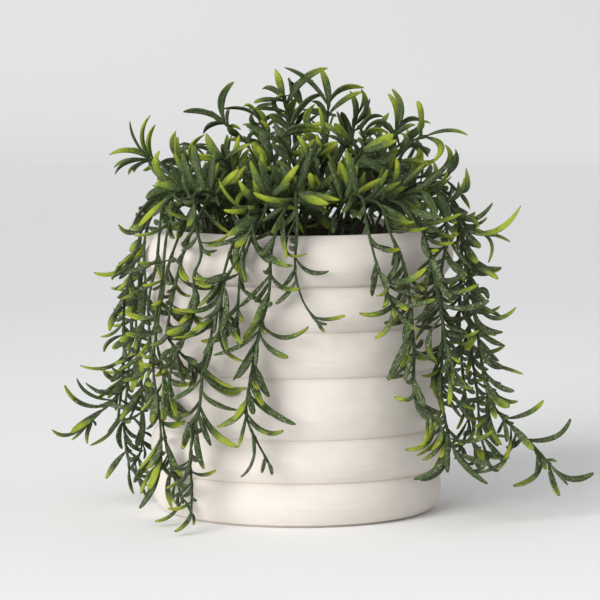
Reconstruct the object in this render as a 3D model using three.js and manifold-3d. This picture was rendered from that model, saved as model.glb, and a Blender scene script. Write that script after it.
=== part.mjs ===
// Potted trailing plant: small fleshy hooked leaves on thin stems, growing in a white pot of stacked rounded rings.
// Units mm. +Z up, origin at the centre of the pot's underside, front of the plant towards -Y.
import * as THREE from "three";
import { mergeVertices } from "three/addons/utils/BufferGeometryUtils.js";
import Module from "manifold-3d";

const wasm = await Module();
wasm.setup();
const { Manifold, Mesh } = wasm;

// ---- driving dimensions -------------------------------------------------
// Pot: heights of the grooves between the rings, and the largest radius of each ring, from the foot up.
const GROOVE_Z = [0, 21.2, 42.1, 71.8, 94.0, 115.8, 140.4];
const RING_R = [71.9, 72.5, 72.8, 73.4, 74.8, 77.6];
const GROOVE_R = [66.8, 68.8, 69.2, 69.5, 70.3, 71.5, 68.6]; // radius at each of the heights: the flat underside, the grooves, the lip
const RIM_RING = [[116.3, 72.0], [121.2, 75.8], [128.6, 77.6], [135.6, 75.6], [139.3, 72.2]]; // height and radius across the top ring
const INNER_R = 65.9; // inner wall
const FLOOR_Z = 6.0; // inside floor of the pot
const POT_SEGMENTS = 36;
// Soil: fills the pot, mounded in the middle.
const SOIL_R = 65.4;
const SOIL_EDGE_Z = 133.8;
const SOIL_MOUND = 9.0;
const SOIL_SEGMENTS = 26;
// Stems and the sockets in the soil that they stand in.
const STEM_R = 0.78; // corner radius of the four-sided stem, the mean radius is 0.7
const STEM_TIP_R = 0.5;
const SOCKET_R = 2.3; // three-sided sockets, corner radius
const SOCKET_DEPTH = 3.1;
// Leaves: flat above, keeled below.
const LEAF_RINGS = [0.34, 0.72]; // where along the leaf its sections lie
const LEAF_RINGS_LONG = [0.25, 0.52, 0.79];
const SEAT = 0.7; // half the length of a leaf's seat along the stem
const SEAT_ACROSS = 0.36; // half its breadth, as a share of the side of the stem
const COLLAR = 0.35; // height of the stalk of a leaf whose first section stands less than this next length clear of the stem
const COLLAR_BELOW = 0.6;
const LONG_LEAF = 21.5; // a leaf longer than this takes one section more

// Each strand: its name, the centre line of its stem from the soil to the tip, and its leaves.
// A leaf: base x y z, control x y z, tip x y z, width, thickness, direction of its width x y z, shade 0 dark .. 1 yellow-green.
const STRANDS = [
  ["trailing_stem_01", [[-46,-4,135.71], [-46.57,-3.79,144.3], [-49,-3.01,149.79], [-51.4,-2.36,152.98], [-54.42,-1.72,155.59], [-58.12,-1.29,157.1], [-60.13,-1.27,157.09], [-62,-1.46,156.39], [-66.24,-2.71,152.33], [-69.98,-5.61,148.02], [-70.91,-7.45,146.45], [-72.32,-12.91,143.25], [-73.53,-24.71,138.48], [-73.81,-26.47,136.69], [-74.17,-28.95,131.04], [-73.92,-29.9,123.32], [-73.57,-31.3,117.58], [-73.42,-31.72,111.76], [-73.58,-31.37,107.82], [-75.24,-27.2,91.79], [-77.88,-19.89,79.4], [-78.85,-18.26,75.36], [-79.89,-17.63,71.45], [-82.12,-18.1,66.01], [-86.53,-19.39,59.65], [-101.93,-22,44.83]], [
    [-93.05,-20.38,53.4,-108.31,-20.38,50.62,-113.95,-20.38,63.42,4,2.17,0.15,0.93,0.32,0.44],
    [-94.44,-20.6,52.35,-102.84,-16.88,46,-110.69,-16.55,40.63,4,2.17,-0.45,-0.82,0.35,0.54],
    [-101.93,-22,44.83,-113.73,-19.7,34.38,-119.84,-25.22,42.05,2.87,1.56,-0.23,-0.64,0.73,0.42],
    [-101.93,-22,44.83,-107.1,-24.58,39.5,-110.69,-20.53,36.22,2.34,1.52,-0.34,-0.93,0.18,0.53],
    [-100.77,-21.77,46.07,-102.91,-23.12,40.65,-102.88,-19.08,34.14,4,2.3,0.13,0.12,0.98,0.51],
    [-101,-21.81,45.83,-99.02,-23.1,45.21,-98.7,-22.85,43.46,2.6,1.56,-0.1,-0.94,0.31,0.19],
    [-58.3,-1.29,157.1,-63.53,0.37,162.69,-62.59,2.53,170.15,3.88,2.05,0.02,0.96,-0.27,0.11],
    [-73.01,-18.04,140.98,-69.24,-28.22,139.94,-64.9,-37.26,141.2,4.6,1.95,-0.37,-0.32,0.87,0.83],
    [-79.71,-17.7,72.11,-85.68,-13.14,66.14,-91.37,-6.85,70.63,4.26,2.05,0.66,0.67,-0.34,0.12],
    [-73.49,-31.52,115.66,-74.27,-38.2,109.44,-75.45,-46.54,105.83,4.31,2.05,-0.99,0.03,0.16,0.13],
    [-75.12,-27.53,92.72,-74.7,-18.71,89.38,-73.86,-9.39,88.09,4.67,2.05,1,-0.07,0,0.05],
    [-74.11,-30.13,102.33,-75.85,-25.08,97.73,-78.01,-18.37,97.78,4.41,2.05,0.95,0.22,-0.23,0.42],
    [-74.64,-28.8,97.02,-76.04,-32.91,91.48,-76.81,-39.66,92.16,4.73,2.05,-0.96,0.25,-0.1,0.46],
    [-73.72,-31.06,106.21,-75.29,-35.03,101.06,-76.55,-41.48,102.3,4.21,2.05,-0.89,0.35,-0.28,0.77],
    [-81.02,-17.76,68.33,-85.09,-24.5,65.28,-88.78,-32.01,64.12,4.82,2.05,-0.89,0.45,0.1,0.08],
    [-88.88,-19.76,57,-95.55,-15.79,51.09,-96.55,-6.13,52.07,5.11,2.05,0.88,0.43,-0.18,0.21],
    [-65.67,-2.51,152.91,-70.19,-6.98,148.91,-69.46,-14.08,151.25,4.44,2.05,-0.59,0.08,0.81,0.51],
    [-85.64,-19.2,60.77,-92.41,-22.89,60.16,-98.9,-26.92,61.33,5.32,2.05,-0.5,0.86,0.09,0.07],
    [-98.53,-21.33,48.44,-104.55,-25.11,44.3,-110.47,-29.78,41.02,3.93,2.05,-0.67,0.68,0.3,0.83],
    [-78.6,-18.61,76.36,-78.78,-24.51,68.94,-76.85,-32.67,70.42,4.87,2.05,-0.67,0.29,-0.69,0.54],
    [-83.32,-18.53,63.97,-88.17,-24.14,58.97,-88.73,-32.02,63.13,3.98,2.05,-0.93,0.37,0.04,0.43],
    [-75.94,-25.21,87.81,-77.4,-17.29,86.59,-78.71,-9.27,86.94,4.7,2.05,0.97,0.18,0.15,0.5],
    [-77.55,-20.67,80.79,-79.84,-14.11,77.63,-81.8,-7.43,80.76,4.54,2.05,0.9,0.29,-0.33,0.43],
    [-73.43,-31.69,111.16,-75.08,-26.21,106.01,-77.25,-18.84,106.3,4.45,2.05,0.96,0.28,0,0.02]]],
  ["trailing_stem_02", [[-44,-14,135.71], [-44.46,-14.39,144.17], [-46.57,-16.01,149.39], [-48.69,-17.48,152.33], [-51.37,-19.1,154.7], [-56.43,-21.42,156.45], [-60.11,-22.27,155.55], [-67.86,-22.33,149.54], [-72.12,-22.49,145.49], [-75.33,-22.56,140.56], [-79.13,-20.63,125.11], [-84.13,-19.15,105.85], [-84.99,-17.36,77.92], [-85.89,-16.05,63.86], [-88.03,-16,46.02]], [
    [-75.43,-22.54,140.32,-82.39,-23.49,135.38,-86.92,-22.14,142.51,3.55,1.78,-0.35,-0.81,-0.47,0.47],
    [-78.08,-21.15,129.86,-86.42,-23.69,123.82,-90.26,-21.99,115.3,3.55,1.78,-0.31,-0.9,0.31,0.53],
    [-79.31,-20.57,124.44,-88.59,-18.84,115.42,-99.15,-20.23,118.83,4,2.17,-0.16,-0.84,0.52,0.92],
    [-79.49,-20.5,123.75,-76.79,-26.34,128.47,-73.73,-26.37,132.4,3.62,2.17,0.52,-0.64,-0.57,0.84],
    [-80.23,-20.25,121.09,-82.58,-17.04,119.51,-87.03,-18.36,115.48,3.16,1.6,0.83,-0.39,-0.41,0.11],
    [-82.05,-19.75,114.95,-82.63,-14.61,107.82,-86.05,-10.76,102.43,4,2.3,-0.66,-0.69,-0.28,0.13],
    [-84.5,-18.93,102.23,-91.27,-22.07,97.87,-91.8,-19.02,89.92,4,1.97,0.72,-0.11,-0.69,0.56],
    [-84.74,-18.52,95.3,-88.74,-18.58,87.54,-96.27,-18.29,87.13,3.16,1.6,-0.21,0.93,0.32,0.53],
    [-84.75,-18.03,87.35,-87.04,-14.68,82.67,-90.64,-14.42,80.78,4.42,2.3,-0.77,-0.46,0.44,0.55],
    [-84.98,-17.39,78.39,-90.68,-17.32,68.11,-106.56,-17.08,72.82,3.55,1.78,-0.55,-0.7,0.45,0.53],
    [-85.53,-16.5,68.4,-90.68,-14.42,63.44,-94.74,-16.84,69.92,4,2.3,0.14,-0.74,0.66,0.14],
    [-85.72,-16.24,65.87,-92.78,-15.29,59.83,-98.24,-17.21,56.1,4,1.97,-0.25,-0.88,0.41,0.54],
    [-86.29,-15.91,59.39,-95.94,-12.8,55.83,-104.22,-12.52,63.69,2.61,1.46,0.45,-0.47,0.76,0.05],
    [-86.02,-15.97,62.35,-89.58,-12.03,56.3,-89.18,-10.71,49.44,4,2.3,0.19,-0.87,-0.46,0.47],
    [-87.95,-16,46.5,-90.08,-16,37.45,-101.9,-16,32.85,3.16,1.6,-0.26,0.93,0.27,0.52],
    [-84.73,-18.33,92.21,-84.23,-13.7,87.74,-83.56,-7.86,88.33,5.27,2.05,0.96,0.24,0.17,0.85],
    [-83.16,-19.48,111.03,-85.32,-25.59,106.75,-86.27,-33.17,108.11,5.21,2.05,-0.98,0.21,0.07,0.54],
    [-87.42,-16,49.97,-84.77,-23.04,44.38,-81.01,-26.54,46.29,3.07,1.7,-0.43,0.4,-0.81,0.59],
    [-84.72,-18.66,97.69,-87.65,-10.52,93.49,-90.9,-1.52,94.55,4.42,2.05,0.65,0.36,0.67,0.77],
    [-85.19,-17.01,73.78,-87.61,-22.15,67.82,-90.53,-29.73,66.46,3.84,2.05,-0.92,0.18,0.36,0.09],
    [-60.46,-22.29,155.33,-61.1,-26.82,147.37,-55.22,-28.36,143.88,4.71,2.05,-0.45,-0.89,0.01,0.14],
    [-84.85,-17.72,82.74,-84.29,-20.98,77.33,-83.2,-27.28,78.68,4.95,2.05,-0.31,0.17,-0.93,0.15],
    [-74,-22.6,142.93,-78.98,-16.04,139.63,-82.29,-7.86,140.07,4.09,2.05,0.83,-0.3,-0.47,0.9]]],
  ["trailing_stem_03", [[-44,16,135.59], [-44.1,16.12,142.23], [-45.36,17.47,148.06], [-49.01,20.72,154.58], [-53.26,23.53,157.95], [-56.88,25.12,158.9], [-60.8,25.95,158.28], [-69.58,25.68,153.43], [-72.17,25.52,150.41], [-74.66,25.3,142.82], [-75.61,25.83,128.74], [-77.01,24.28,116.89], [-81.93,23.32,97.44], [-83.35,22.92,87.5], [-85.14,21.78,59.39], [-87.12,20.97,39.35], [-84.4,20,15.32]], [
    [-80.37,23.57,103.28,-83.71,20.24,106.46,-93.43,23.51,107.22,3.16,1.6,0.15,-0.86,0.49,0.56],
    [-82.05,23.3,96.85,-88.88,25.4,93.65,-92.14,21.87,97.02,3.16,1.6,0.13,-0.85,0.51,0.57],
    [-87.11,20.96,39.09,-84.55,23.24,31.14,-79.38,21.4,32.02,3.68,1.87,0.05,0.56,-0.82,0.09],
    [-87.09,21.02,40.61,-91.82,18.59,33.11,-87.83,17.6,26.39,4.07,2.18,-0.79,-0.57,0.24,0.17],
    [-86.62,20.66,31.46,-83.04,19.14,26.91,-77.77,24.56,24.33,4,1.97,0.46,-0.78,0.43,0.12],
    [-85.69,20.39,24.92,-92.45,20.39,18.83,-96.31,20.39,10.67,4.42,2.3,-0.66,0.56,0.49,0.46],
    [-85.75,20.41,25.34,-81.39,23.2,21.59,-78.04,21.96,18.3,3.16,1.6,-0.28,0.95,-0.13,0.57],
    [-84.46,20.02,15.81,-84.87,17.08,9.39,-82.21,20.35,3.03,3.55,1.78,-0.35,-0.93,-0.09,0.42],
    [-83.84,22.69,81.87,-85.8,28.3,75.19,-87.55,36.6,77.99,4.96,2.05,0.97,0.24,-0.06,0.04],
    [-86.14,21.4,50.02,-85.47,25.6,43.14,-83.21,32.97,45.28,4.04,2.05,0.75,-0.15,0.65,0.49],
    [-53.55,23.68,158.06,-54.03,31.23,157.81,-53,38.85,157.34,5,2.05,0.2,-0.79,-0.58,0.41],
    [-85.59,21.61,54.98,-84.05,29.12,50.04,-81.85,37.81,48.34,4.41,2.05,0.98,-0.18,0.11,0.88],
    [-76.15,24.87,122.44,-80.82,24.49,114.99,-87.48,24.67,109.25,4.11,2.05,0.48,0.77,-0.42,0.56],
    [-65.82,25.85,155.69,-71.25,29.95,154.45,-70.19,36.13,157.36,4.43,2.05,0.3,0.27,-0.91,0.9],
    [-84.37,22.37,73.9,-84,26.13,67.81,-82.66,32.98,69.43,3.85,2.05,0.97,-0.05,0.26,0.1],
    [-70.01,25.65,153.02,-74.85,20.06,150.77,-73.91,13.24,154.27,3.98,2.05,-0.7,0.29,0.65,0.44],
    [-57.61,25.33,158.87,-62.46,30.04,159.76,-60.66,36.04,161.84,5.32,2.05,0.44,0.02,-0.9,0.2],
    [-78.92,23.81,108.79,-81.88,16.69,104.43,-82.26,10.91,111.7,4.01,2.05,-0.95,0.28,0.16,0.42],
    [-61.4,25.97,158.01,-68.56,18.83,157.79,-69.08,9.33,161.17,5.31,2.05,-0.36,0.33,0.87,0.43],
    [-82.89,23.09,91.8,-87.97,24.75,88.11,-94.01,27.1,88.05,5.35,2.05,0.34,0.94,0,0.83],
    [-47.68,19.63,152.77,-51.86,17.43,158.53,-55.84,14.13,163.89,4.35,2.05,0.84,-0.24,0.5,0.47],
    [-85.14,21.79,59.45,-84.4,28.77,53.75,-83.14,38.45,53.92,4.4,2.05,-0.01,-0.88,-0.47,0.54],
    [-87,20.84,36.1,-85.09,15.81,29.24,-82.68,7.81,31.72,3.99,2.05,-0.94,-0.34,0.07,0.17],
    [-85.37,20.3,22.74,-83.13,13.95,19.65,-81.86,7.83,23.64,4.84,2.05,-0.71,-0.25,-0.66,0.5],
    [-86.74,21.2,45.07,-90.31,15.75,39.68,-94.3,9.3,35.93,4.45,2.05,-0.8,0.59,-0.11,0.17]]],
  ["trailing_stem_04", [[-50,6,134.86], [-50.18,6.19,143.35], [-51.53,7.3,150.93], [-53.88,8.57,156.1], [-56.87,9.52,158.26], [-60.54,10,157.4], [-72.23,10.64,149.68], [-75.43,11.28,144.59], [-77.34,12.66,138.77], [-78.24,14.72,132.65], [-78.43,14.81,130.64], [-78.76,13.82,122.69], [-78.79,13.89,112.63], [-79.01,13.38,108.66], [-79.96,12.84,100.72], [-80.39,13.02,90.64], [-79.41,14.04,78.47], [-78,18.17,59.87], [-77.49,19.89,35.26], [-77.62,19.4,31.26], [-79.18,17.04,23.64], [-83.43,16,16.92]], [
    [-80.38,12.91,93.63,-82.87,16.82,89.44,-90.02,15.35,94.89,3.16,1.6,-0.14,-0.83,0.55,0.07],
    [-77.49,19.89,35.18,-74.68,19.05,33.79,-72.96,19.59,32.14,2.6,1.56,0.2,0.98,0.1,0.14],
    [-77.67,19.18,30.67,-74.47,21.15,26.87,-71.46,19.36,25.58,3.16,1.6,0.2,0.18,-0.96,0.16],
    [-77.81,18.66,29.22,-75.73,18.28,23.25,-76.88,11.25,22.5,2.05,1.46,0.3,0.84,-0.46,0.07],
    [-78.52,17.58,25.74,-79.15,20.73,22.17,-83.16,18.14,20.28,2.17,1.23,-0.63,0.34,0.7,0.2],
    [-78.07,17.64,62.84,-79.67,23.99,55.41,-83.22,32.47,59.07,4.41,2.05,0.85,0.39,0.36,0.08],
    [-80.01,13.34,84.78,-80.62,10.71,76.06,-84,2.54,73.77,3.87,2.05,-0.76,0.58,-0.3,0.89],
    [-78.63,15.52,71.56,-80.06,12.62,63.51,-82.59,7.3,57.14,4.23,2.05,-0.95,0.31,0.08,0.86],
    [-54.45,8.78,156.7,-56.71,5.39,161.76,-58.37,1.26,166.5,5.16,2.05,0.93,-0.34,0.11,0.53],
    [-79.68,12.96,103.72,-82.7,9.83,99.14,-86.55,5.22,101.1,5.27,2.05,-0.76,0.62,0.17,0.03],
    [-72.89,10.72,148.88,-77.14,4.8,146.78,-77.81,-2.32,149.3,5.16,2.05,-0.6,0.25,0.76,0.19],
    [-77.92,18.84,53.94,-76.78,26.76,48.75,-75.53,35.42,52.41,5.18,2.05,0.25,-0.83,0.5,0.83],
    [-79.78,16.75,22.23,-78.3,19.06,14.34,-71.9,24.08,12.44,4.23,2.05,0.29,-0.86,-0.42,0.84],
    [-78.58,14.48,128.05,-82.45,9.65,121.9,-88.34,3.21,121.51,5.09,2.05,-0.75,0.66,-0.03,0.03],
    [-78.82,13.74,118.6,-79.84,10.88,112.67,-81.98,4.68,113.83,5.28,2.05,-0.95,0.28,0.09,0.48],
    [-77.97,18.44,57.91,-79.81,12.81,53.68,-81.9,5.98,55.09,5.25,2.05,-0.93,0.33,-0.16,0.46],
    [-58.33,9.77,158.21,-67.17,7.51,161.76,-66.47,1.66,169.59,4.24,2.05,-0.05,0.83,0.55,0.54],
    [-75.2,11.2,145.08,-78.9,6.79,142.47,-79.17,2.09,146.68,4.07,2.05,-0.77,0.42,0.48,0.08],
    [-82.52,16.12,18.11,-80.75,17.01,11.56,-75.28,18.58,7.75,4.71,2.05,0.25,-0.97,-0.06,0.03],
    [-79.63,13.71,80.82,-75.76,22.11,76.31,-72.25,30.33,76.92,4.65,2.05,0.36,-0.57,0.74,0.1],
    [-69.97,10.47,151.58,-76.08,16.96,147.57,-76.1,26.86,148.3,5.19,2.05,0.99,-0.11,0.01,0.18],
    [-78.29,16.52,67.71,-76.87,23.23,65.19,-75.42,30.35,65.97,4.02,2.05,0.89,-0.13,0.43,0.03]]],
  ["trailing_stem_05", [[-41,-29.02,134.89], [-41.08,-29.17,141.46], [-41.62,-30.13,145.25], [-43.16,-32.73,150.33], [-45.38,-36.15,154.63], [-48.23,-40.03,158.08], [-51.87,-44.07,160.39], [-54.92,-46.52,160.73], [-58.26,-47.92,159.35], [-63.58,-47.59,153.76], [-64.75,-47.31,150.13], [-67.49,-45.52,125.22], [-70.51,-44.55,112.01], [-71.58,-43.86,102.37], [-70.6,-42.48,82.98], [-71.1,-41.93,75.2], [-73.55,-41.24,65.75], [-80.84,-40,49.68]], [
    [-67.23,-45.65,127.07,-71.7,-46.23,123.49,-83.03,-46.7,120.88,4,2.17,-0.21,0.9,0.38,0.1],
    [-69.82,-44.79,115.31,-74.38,-45.75,111.89,-85.07,-45.68,108.22,4,2.17,-0.19,-0.84,0.51,0.47],
    [-74.43,-41.07,63.5,-80.34,-44.37,56.59,-85.58,-42.11,48.98,4.42,2.3,-0.67,-0.5,0.55,0.49],
    [-70.95,-42.01,76.34,-75.14,-40.55,68.28,-83.98,-43,68.61,3.79,1.9,-0.24,0.93,0.28,0.43],
    [-70.96,-42.95,89.5,-71.22,-38.7,85.42,-78.25,-40.51,79.03,4,1.97,-0.46,-0.88,0.12,0.94],
    [-71.28,-44.1,105.65,-69.06,-42.48,102.09,-63.95,-44.27,104.7,4,2.3,-0.38,-0.59,-0.72,0.87],
    [-80.38,-40.08,50.68,-76.71,-37.49,47.42,-75.13,-38.72,43.97,2.56,1.4,0.42,0.91,0.03,0.04],
    [-63.35,-47.61,154.07,-60.8,-53.17,147.96,-53.91,-49.02,148.43,2.82,1.58,0.25,0.11,0.96,0.82],
    [-71.97,-41.61,70.8,-71.92,-43.89,64.82,-69.95,-47.73,60.38,5.19,2.05,-0.77,0.2,0.6,0.11],
    [-45.65,-36.53,155.01,-44.48,-42.42,160.21,-38.91,-47,163.53,4.63,2.05,0.44,0.72,0.53,0.41],
    [-56.89,-47.51,160.14,-59.01,-52.93,157.31,-55.13,-58.05,156.51,4.75,2.05,-0.57,-0.35,0.74,0.14],
    [-76.82,-40.67,58.26,-74.94,-34.81,53.35,-69.96,-28.75,53.9,3.84,2.05,0.86,-0.51,-0.03,0.03],
    [-68.1,-45.26,121.64,-70.84,-40.34,117.27,-72.5,-34.42,116.44,4.84,1.95,0.85,0.35,0.39,0.57],
    [-71.35,-43.2,93.1,-69.65,-35.83,88.25,-69.13,-29.13,94.22,5.21,2.05,0.82,-0.17,0.55,0.1],
    [-71.52,-43.91,103.05,-71.17,-39.51,95.78,-69.02,-31.53,97.79,4.55,2.05,0.98,-0.22,-0.05,0.15],
    [-73.28,-41.3,66.51,-71.74,-39.15,59.51,-69.96,-36.89,52.03,5.07,2.05,-0.54,-0.15,0.83,0.06],
    [-64.79,-47.29,149.86,-61.94,-45.1,144.06,-56.12,-43.9,142.38,4.79,2.05,-0.66,-0.53,-0.54,0.46],
    [-66.73,-45.94,131.01,-66.05,-48.02,124.26,-64.82,-51.6,118.47,4.24,2.05,-0.8,-0.24,0.55,0.53],
    [-70.68,-42.64,85.15,-69.22,-45.75,78.23,-66.82,-53.04,77.4,4.8,2.05,-0.74,0.2,-0.64,0.05]]],
  ["trailing_stem_06", [[-33.58,-38.76,134.67], [-33.58,-38.76,139.27], [-34.04,-39.45,143.18], [-35.16,-41.1,146.66], [-37.63,-44.63,150.87], [-40.73,-48.79,153.93], [-44.43,-53.25,155.53], [-47.24,-56.06,155.16], [-49.85,-57.8,152.8], [-60.27,-57.7,128.22], [-64.76,-57.51,107.72], [-68.46,-57.03,83.11], [-68.59,-56.78,73.53], [-66.39,-56.49,58.33], [-65.04,-56.19,41.06], [-65.44,-56,29.49]], [
    [-68.81,-56.89,77.99,-69.76,-61.06,76.93,-75.54,-60.57,78.87,3.68,1.87,0.26,-0.66,0.7,0.94],
    [-68.36,-57.05,83.73,-71.8,-58.55,79.18,-74.48,-57.81,83.88,4,1.97,-0.11,0.94,0.32,0.9],
    [-64.31,-57.55,109.92,-65.43,-60.55,106.91,-69.49,-59.89,106.7,3.16,1.6,0.81,0.51,-0.3,0.96],
    [-66.53,-56.51,59.59,-55.82,-56.95,61.36,-53.06,-56.63,52.28,4,1.97,-0.16,0.63,-0.76,0.13],
    [-66.37,-56.48,58.08,-66.79,-52.44,48.93,-72.4,-54.77,46.3,3.55,1.78,-0.45,-0.88,0.1,0.2],
    [-65.05,-56.2,41.17,-66.19,-59.09,32.36,-72.34,-58.31,27.35,4.42,2.3,-0.83,0.51,0.24,0.43],
    [-65.2,-56.05,32.39,-74.17,-53.05,29.34,-78.07,-55.64,20.37,4.42,2.3,-0.6,-0.47,0.65,0.19],
    [-65.36,-56.02,30.46,-71.85,-56.49,23.76,-74.73,-58.97,15.41,6.08,2.3,-0.14,0.91,-0.4,0.55],
    [-65.44,-56,29.49,-67.54,-57.99,17.97,-75.59,-58.58,8.24,4.15,2.3,-0.74,0.57,0.34,0.05],
    [-65.36,-56.02,30.48,-62.53,-55,25.21,-58.82,-59.78,23.75,4,1.97,-0.46,-0.89,0.05,0.13],
    [-64.93,-56.13,37.46,-65.06,-47.55,31.26,-64.1,-38.93,33.25,3.17,1.58,0.96,-0.19,0.23,0.22],
    [-61.65,-57.66,121.97,-61.78,-61.37,116.33,-59.68,-67.57,117.97,4.36,2.05,-0.88,-0.32,0.35,0.47],
    [-66.04,-57.33,98.43,-66.03,-61.88,93.77,-64.94,-68.14,95.21,4.8,2.05,-0.99,-0.08,-0.09,0.17],
    [-59.36,-57.72,131.17,-59.96,-63.4,126.53,-57.54,-69.36,130.09,4.77,2.05,-0.97,-0.17,0.18,0.41],
    [-52.21,-57.95,147.66,-55.62,-63.66,140.4,-56.4,-73.47,140,4.43,2.05,-0.63,-0.2,0.75,0.46],
    [-68.22,-56.71,70.21,-68.6,-54.26,65.5,-72.58,-50.46,68.49,3.92,1.79,0.84,0.44,0.33,0.83],
    [-68.74,-56.83,75.68,-71.68,-55.16,72.69,-72.1,-50.78,70.72,3.23,1.58,-0.32,0.68,0.66,0.8]]],
  ["trailing_stem_07", [[-24,-48,134.14], [-24.17,-48.18,140.73], [-25.25,-49.28,144.42], [-27.88,-51.97,149.1], [-31.05,-55.25,153.02], [-37,-61.42,158.19], [-42.15,-66.84,161.08], [-46.18,-71.21,161.74], [-47.44,-72.65,161.18], [-48.25,-73.69,159.75], [-48.35,-74,157.8], [-46.8,-73.67,142.81], [-44.89,-73.47,133.62], [-45.97,-73.35,128.07], [-47.67,-73.27,124.69], [-48.47,-73.18,121], [-48.38,-72.86,105.9], [-50.94,-72.65,96.77], [-58.26,-72.29,81.33], [-59.79,-72.16,75.82], [-60.8,-72,68.26]], [
    [-56.01,-72.41,86.82,-63.02,-70.66,86.8,-63.77,-73.43,81.33,4,2.3,-0.49,0.66,0.57,0.07],
    [-57.85,-72.31,82.54,-61.36,-70.51,77.79,-67.12,-73.67,78.35,4,1.97,-0.1,-0.95,0.29,0.11],
    [-59.75,-72.17,75.97,-54.93,-71.29,72.87,-49.85,-74.83,73.96,4,1.97,0.81,0.14,-0.57,0.15],
    [-60.55,-72.05,70.66,-58.08,-74.68,69.9,-51.95,-73.69,69.18,3.55,1.78,-0.23,-0.93,-0.28,0.55],
    [-60.65,-72.03,69.68,-63.18,-71.36,61.01,-62.93,-73.71,52.69,5.53,2.3,-0.84,-0.51,0.16,0.56],
    [-44.99,-73.5,135.06,-43.63,-76.16,132.11,-37.38,-74.79,134.25,3.16,1.6,-0.04,0.87,-0.48,0.14],
    [-44.92,-73.48,134.12,-43.11,-70.33,133.32,-40.58,-69.77,130.85,3.55,1.78,-0.44,0.37,-0.82,0.55],
    [-48.72,-73.09,116.52,-46.27,-76.14,112.82,-48.37,-76.77,105.97,4,2.3,-0.92,-0.1,0.37,0.1],
    [-48.62,-72.83,104.57,-48.23,-74.98,99.48,-43.34,-73.69,98.27,4,1.97,0.01,0.67,0.75,0.55],
    [-49.04,-72.79,102.7,-51.05,-76.55,95.71,-61.73,-75.8,94.92,5.53,2.3,-0.4,-0.42,0.81,0.57],
    [-29.08,-53.22,150.71,-32.19,-53.64,158.74,-33.04,-50,166.51,5.18,2.05,-0.91,0.31,-0.29,0.55],
    [-48.19,-73.97,156.43,-48.63,-76.5,149.51,-50.93,-82.38,145.79,5.19,2.05,-0.85,0.48,-0.22,0.48],
    [-50.76,-72.66,97.26,-55.66,-72.42,92.38,-58.62,-67.26,92.84,2.69,1.7,0.11,0.97,0.19,0.14],
    [-47.14,-73.75,146.49,-50.08,-70.7,141.41,-54.22,-68.39,136.98,4.36,2.05,0.07,0.97,0.24,0.17],
    [-46.63,-73.65,141.52,-49.28,-71.58,135.8,-54.64,-68.43,133.55,4.89,2.05,-0.13,0.91,0.39,0.2],
    [-45.81,-73.57,138.12,-37.09,-73.99,136.18,-31.26,-74.6,142.92,4.67,2.05,-0.11,-0.99,0.12,0.75],
    [-48.19,-72.98,111.4,-45.12,-69.82,107.98,-46.24,-65.29,107.08,2.89,1.38,0.91,-0.11,-0.4,0.43],
    [-48.41,-73.19,121.35,-44.95,-76.78,116.47,-39.8,-81.25,117.89,4.67,2.05,-0.71,-0.65,-0.27,0.93],
    [-36.89,-61.31,158.12,-38.45,-73.69,159.59,-36,-76.76,154.82,3.97,1.79,-0.01,0.29,-0.96,0.54],
    [-47.62,-73.86,151.46,-46.22,-70.16,144.5,-45.16,-64.35,141.87,4.03,2.05,0.08,-0.9,0.44,0.49],
    [-47.98,-73.34,160.23,-49.3,-81.6,159.4,-49.76,-89.87,160.83,4.43,2.05,-0.99,0.11,0.13,0.46],
    [-52.54,-72.57,93.13,-56.15,-78.11,87.92,-58.91,-85.53,85.06,4.75,2.05,-0.85,0.09,0.52,0.12],
    [-45.36,-70.32,161.77,-47.36,-78.31,162.42,-43.96,-85.73,163.76,3.87,2.05,0.19,0.14,0.97,0.76]]],
  ["trailing_stem_08", [[-36.42,-33.22,135.09], [-36.49,-33.4,141.69], [-37.05,-34.59,145.47], [-38.66,-37.82,150.28], [-40.93,-41.98,154], [-43.76,-46.57,156.67], [-47.27,-51.26,158.06], [-50.12,-54.06,157.83], [-51.68,-55.13,157.19], [-54.67,-56,154.73], [-58.31,-55.84,150.29], [-61.65,-55.56,141.32], [-62.88,-55.31,133.74], [-64.12,-54.74,118.39], [-67.4,-54.26,101.34], [-67.89,-54.08,95.57], [-67.07,-53.86,87.88], [-63.86,-53.6,70.8], [-64.77,-53.17,53.39], [-61.91,-52.86,34.2], [-59.58,-54.02,24.95], [-55.4,-57.71,14.62], [-54.6,-58.47,10.94]], [
    [-62.61,-52.85,40.18,-60.98,-56.44,32,-55.11,-56.4,23.24,4.42,2.3,-0.79,0.44,-0.44,0.51],
    [-60.02,-53.7,26.38,-63.9,-53.7,16.93,-60.08,-53.7,7.74,4,2.3,-0.71,0.7,0,0.52],
    [-54.88,-58.21,12.39,-59.2,-60.95,3.3,-67.9,-62.65,2.88,3.55,1.78,-0.4,0.91,0.12,0.55],
    [-59.98,-53.73,26.26,-57.25,-51.06,21.87,-54.66,-52.44,20.13,4,1.97,-0.75,0.63,0.18,0.04],
    [-57.87,-55.49,20.26,-61.01,-56.15,13.45,-57.75,-64.02,11.82,3.55,1.78,-0.4,-0.65,0.65,0.51],
    [-55.6,-57.51,15.15,-58.32,-55.83,12.29,-56.1,-57.13,8.24,4,1.97,0.25,-0.96,0.11,0.1],
    [-55.08,-58.02,13.29,-51.31,-56.46,8.67,-51.23,-58.88,6.63,3.16,1.6,-0.33,-0.94,-0.07,0.17],
    [-64.7,-53.3,58.26,-60.32,-57.72,52.61,-54.29,-63.56,52.93,5.19,2.05,-0.66,-0.32,-0.67,0.15],
    [-60.51,-55.68,145.23,-60.71,-60.46,138.87,-57.56,-67.74,139.62,4.48,2.05,-0.77,-0.41,0.48,0.44],
    [-55.51,-55.96,153.78,-59.93,-61.49,152.4,-58.94,-66.98,156.98,5.11,2.05,-0.8,0.38,0.46,0.07],
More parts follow.
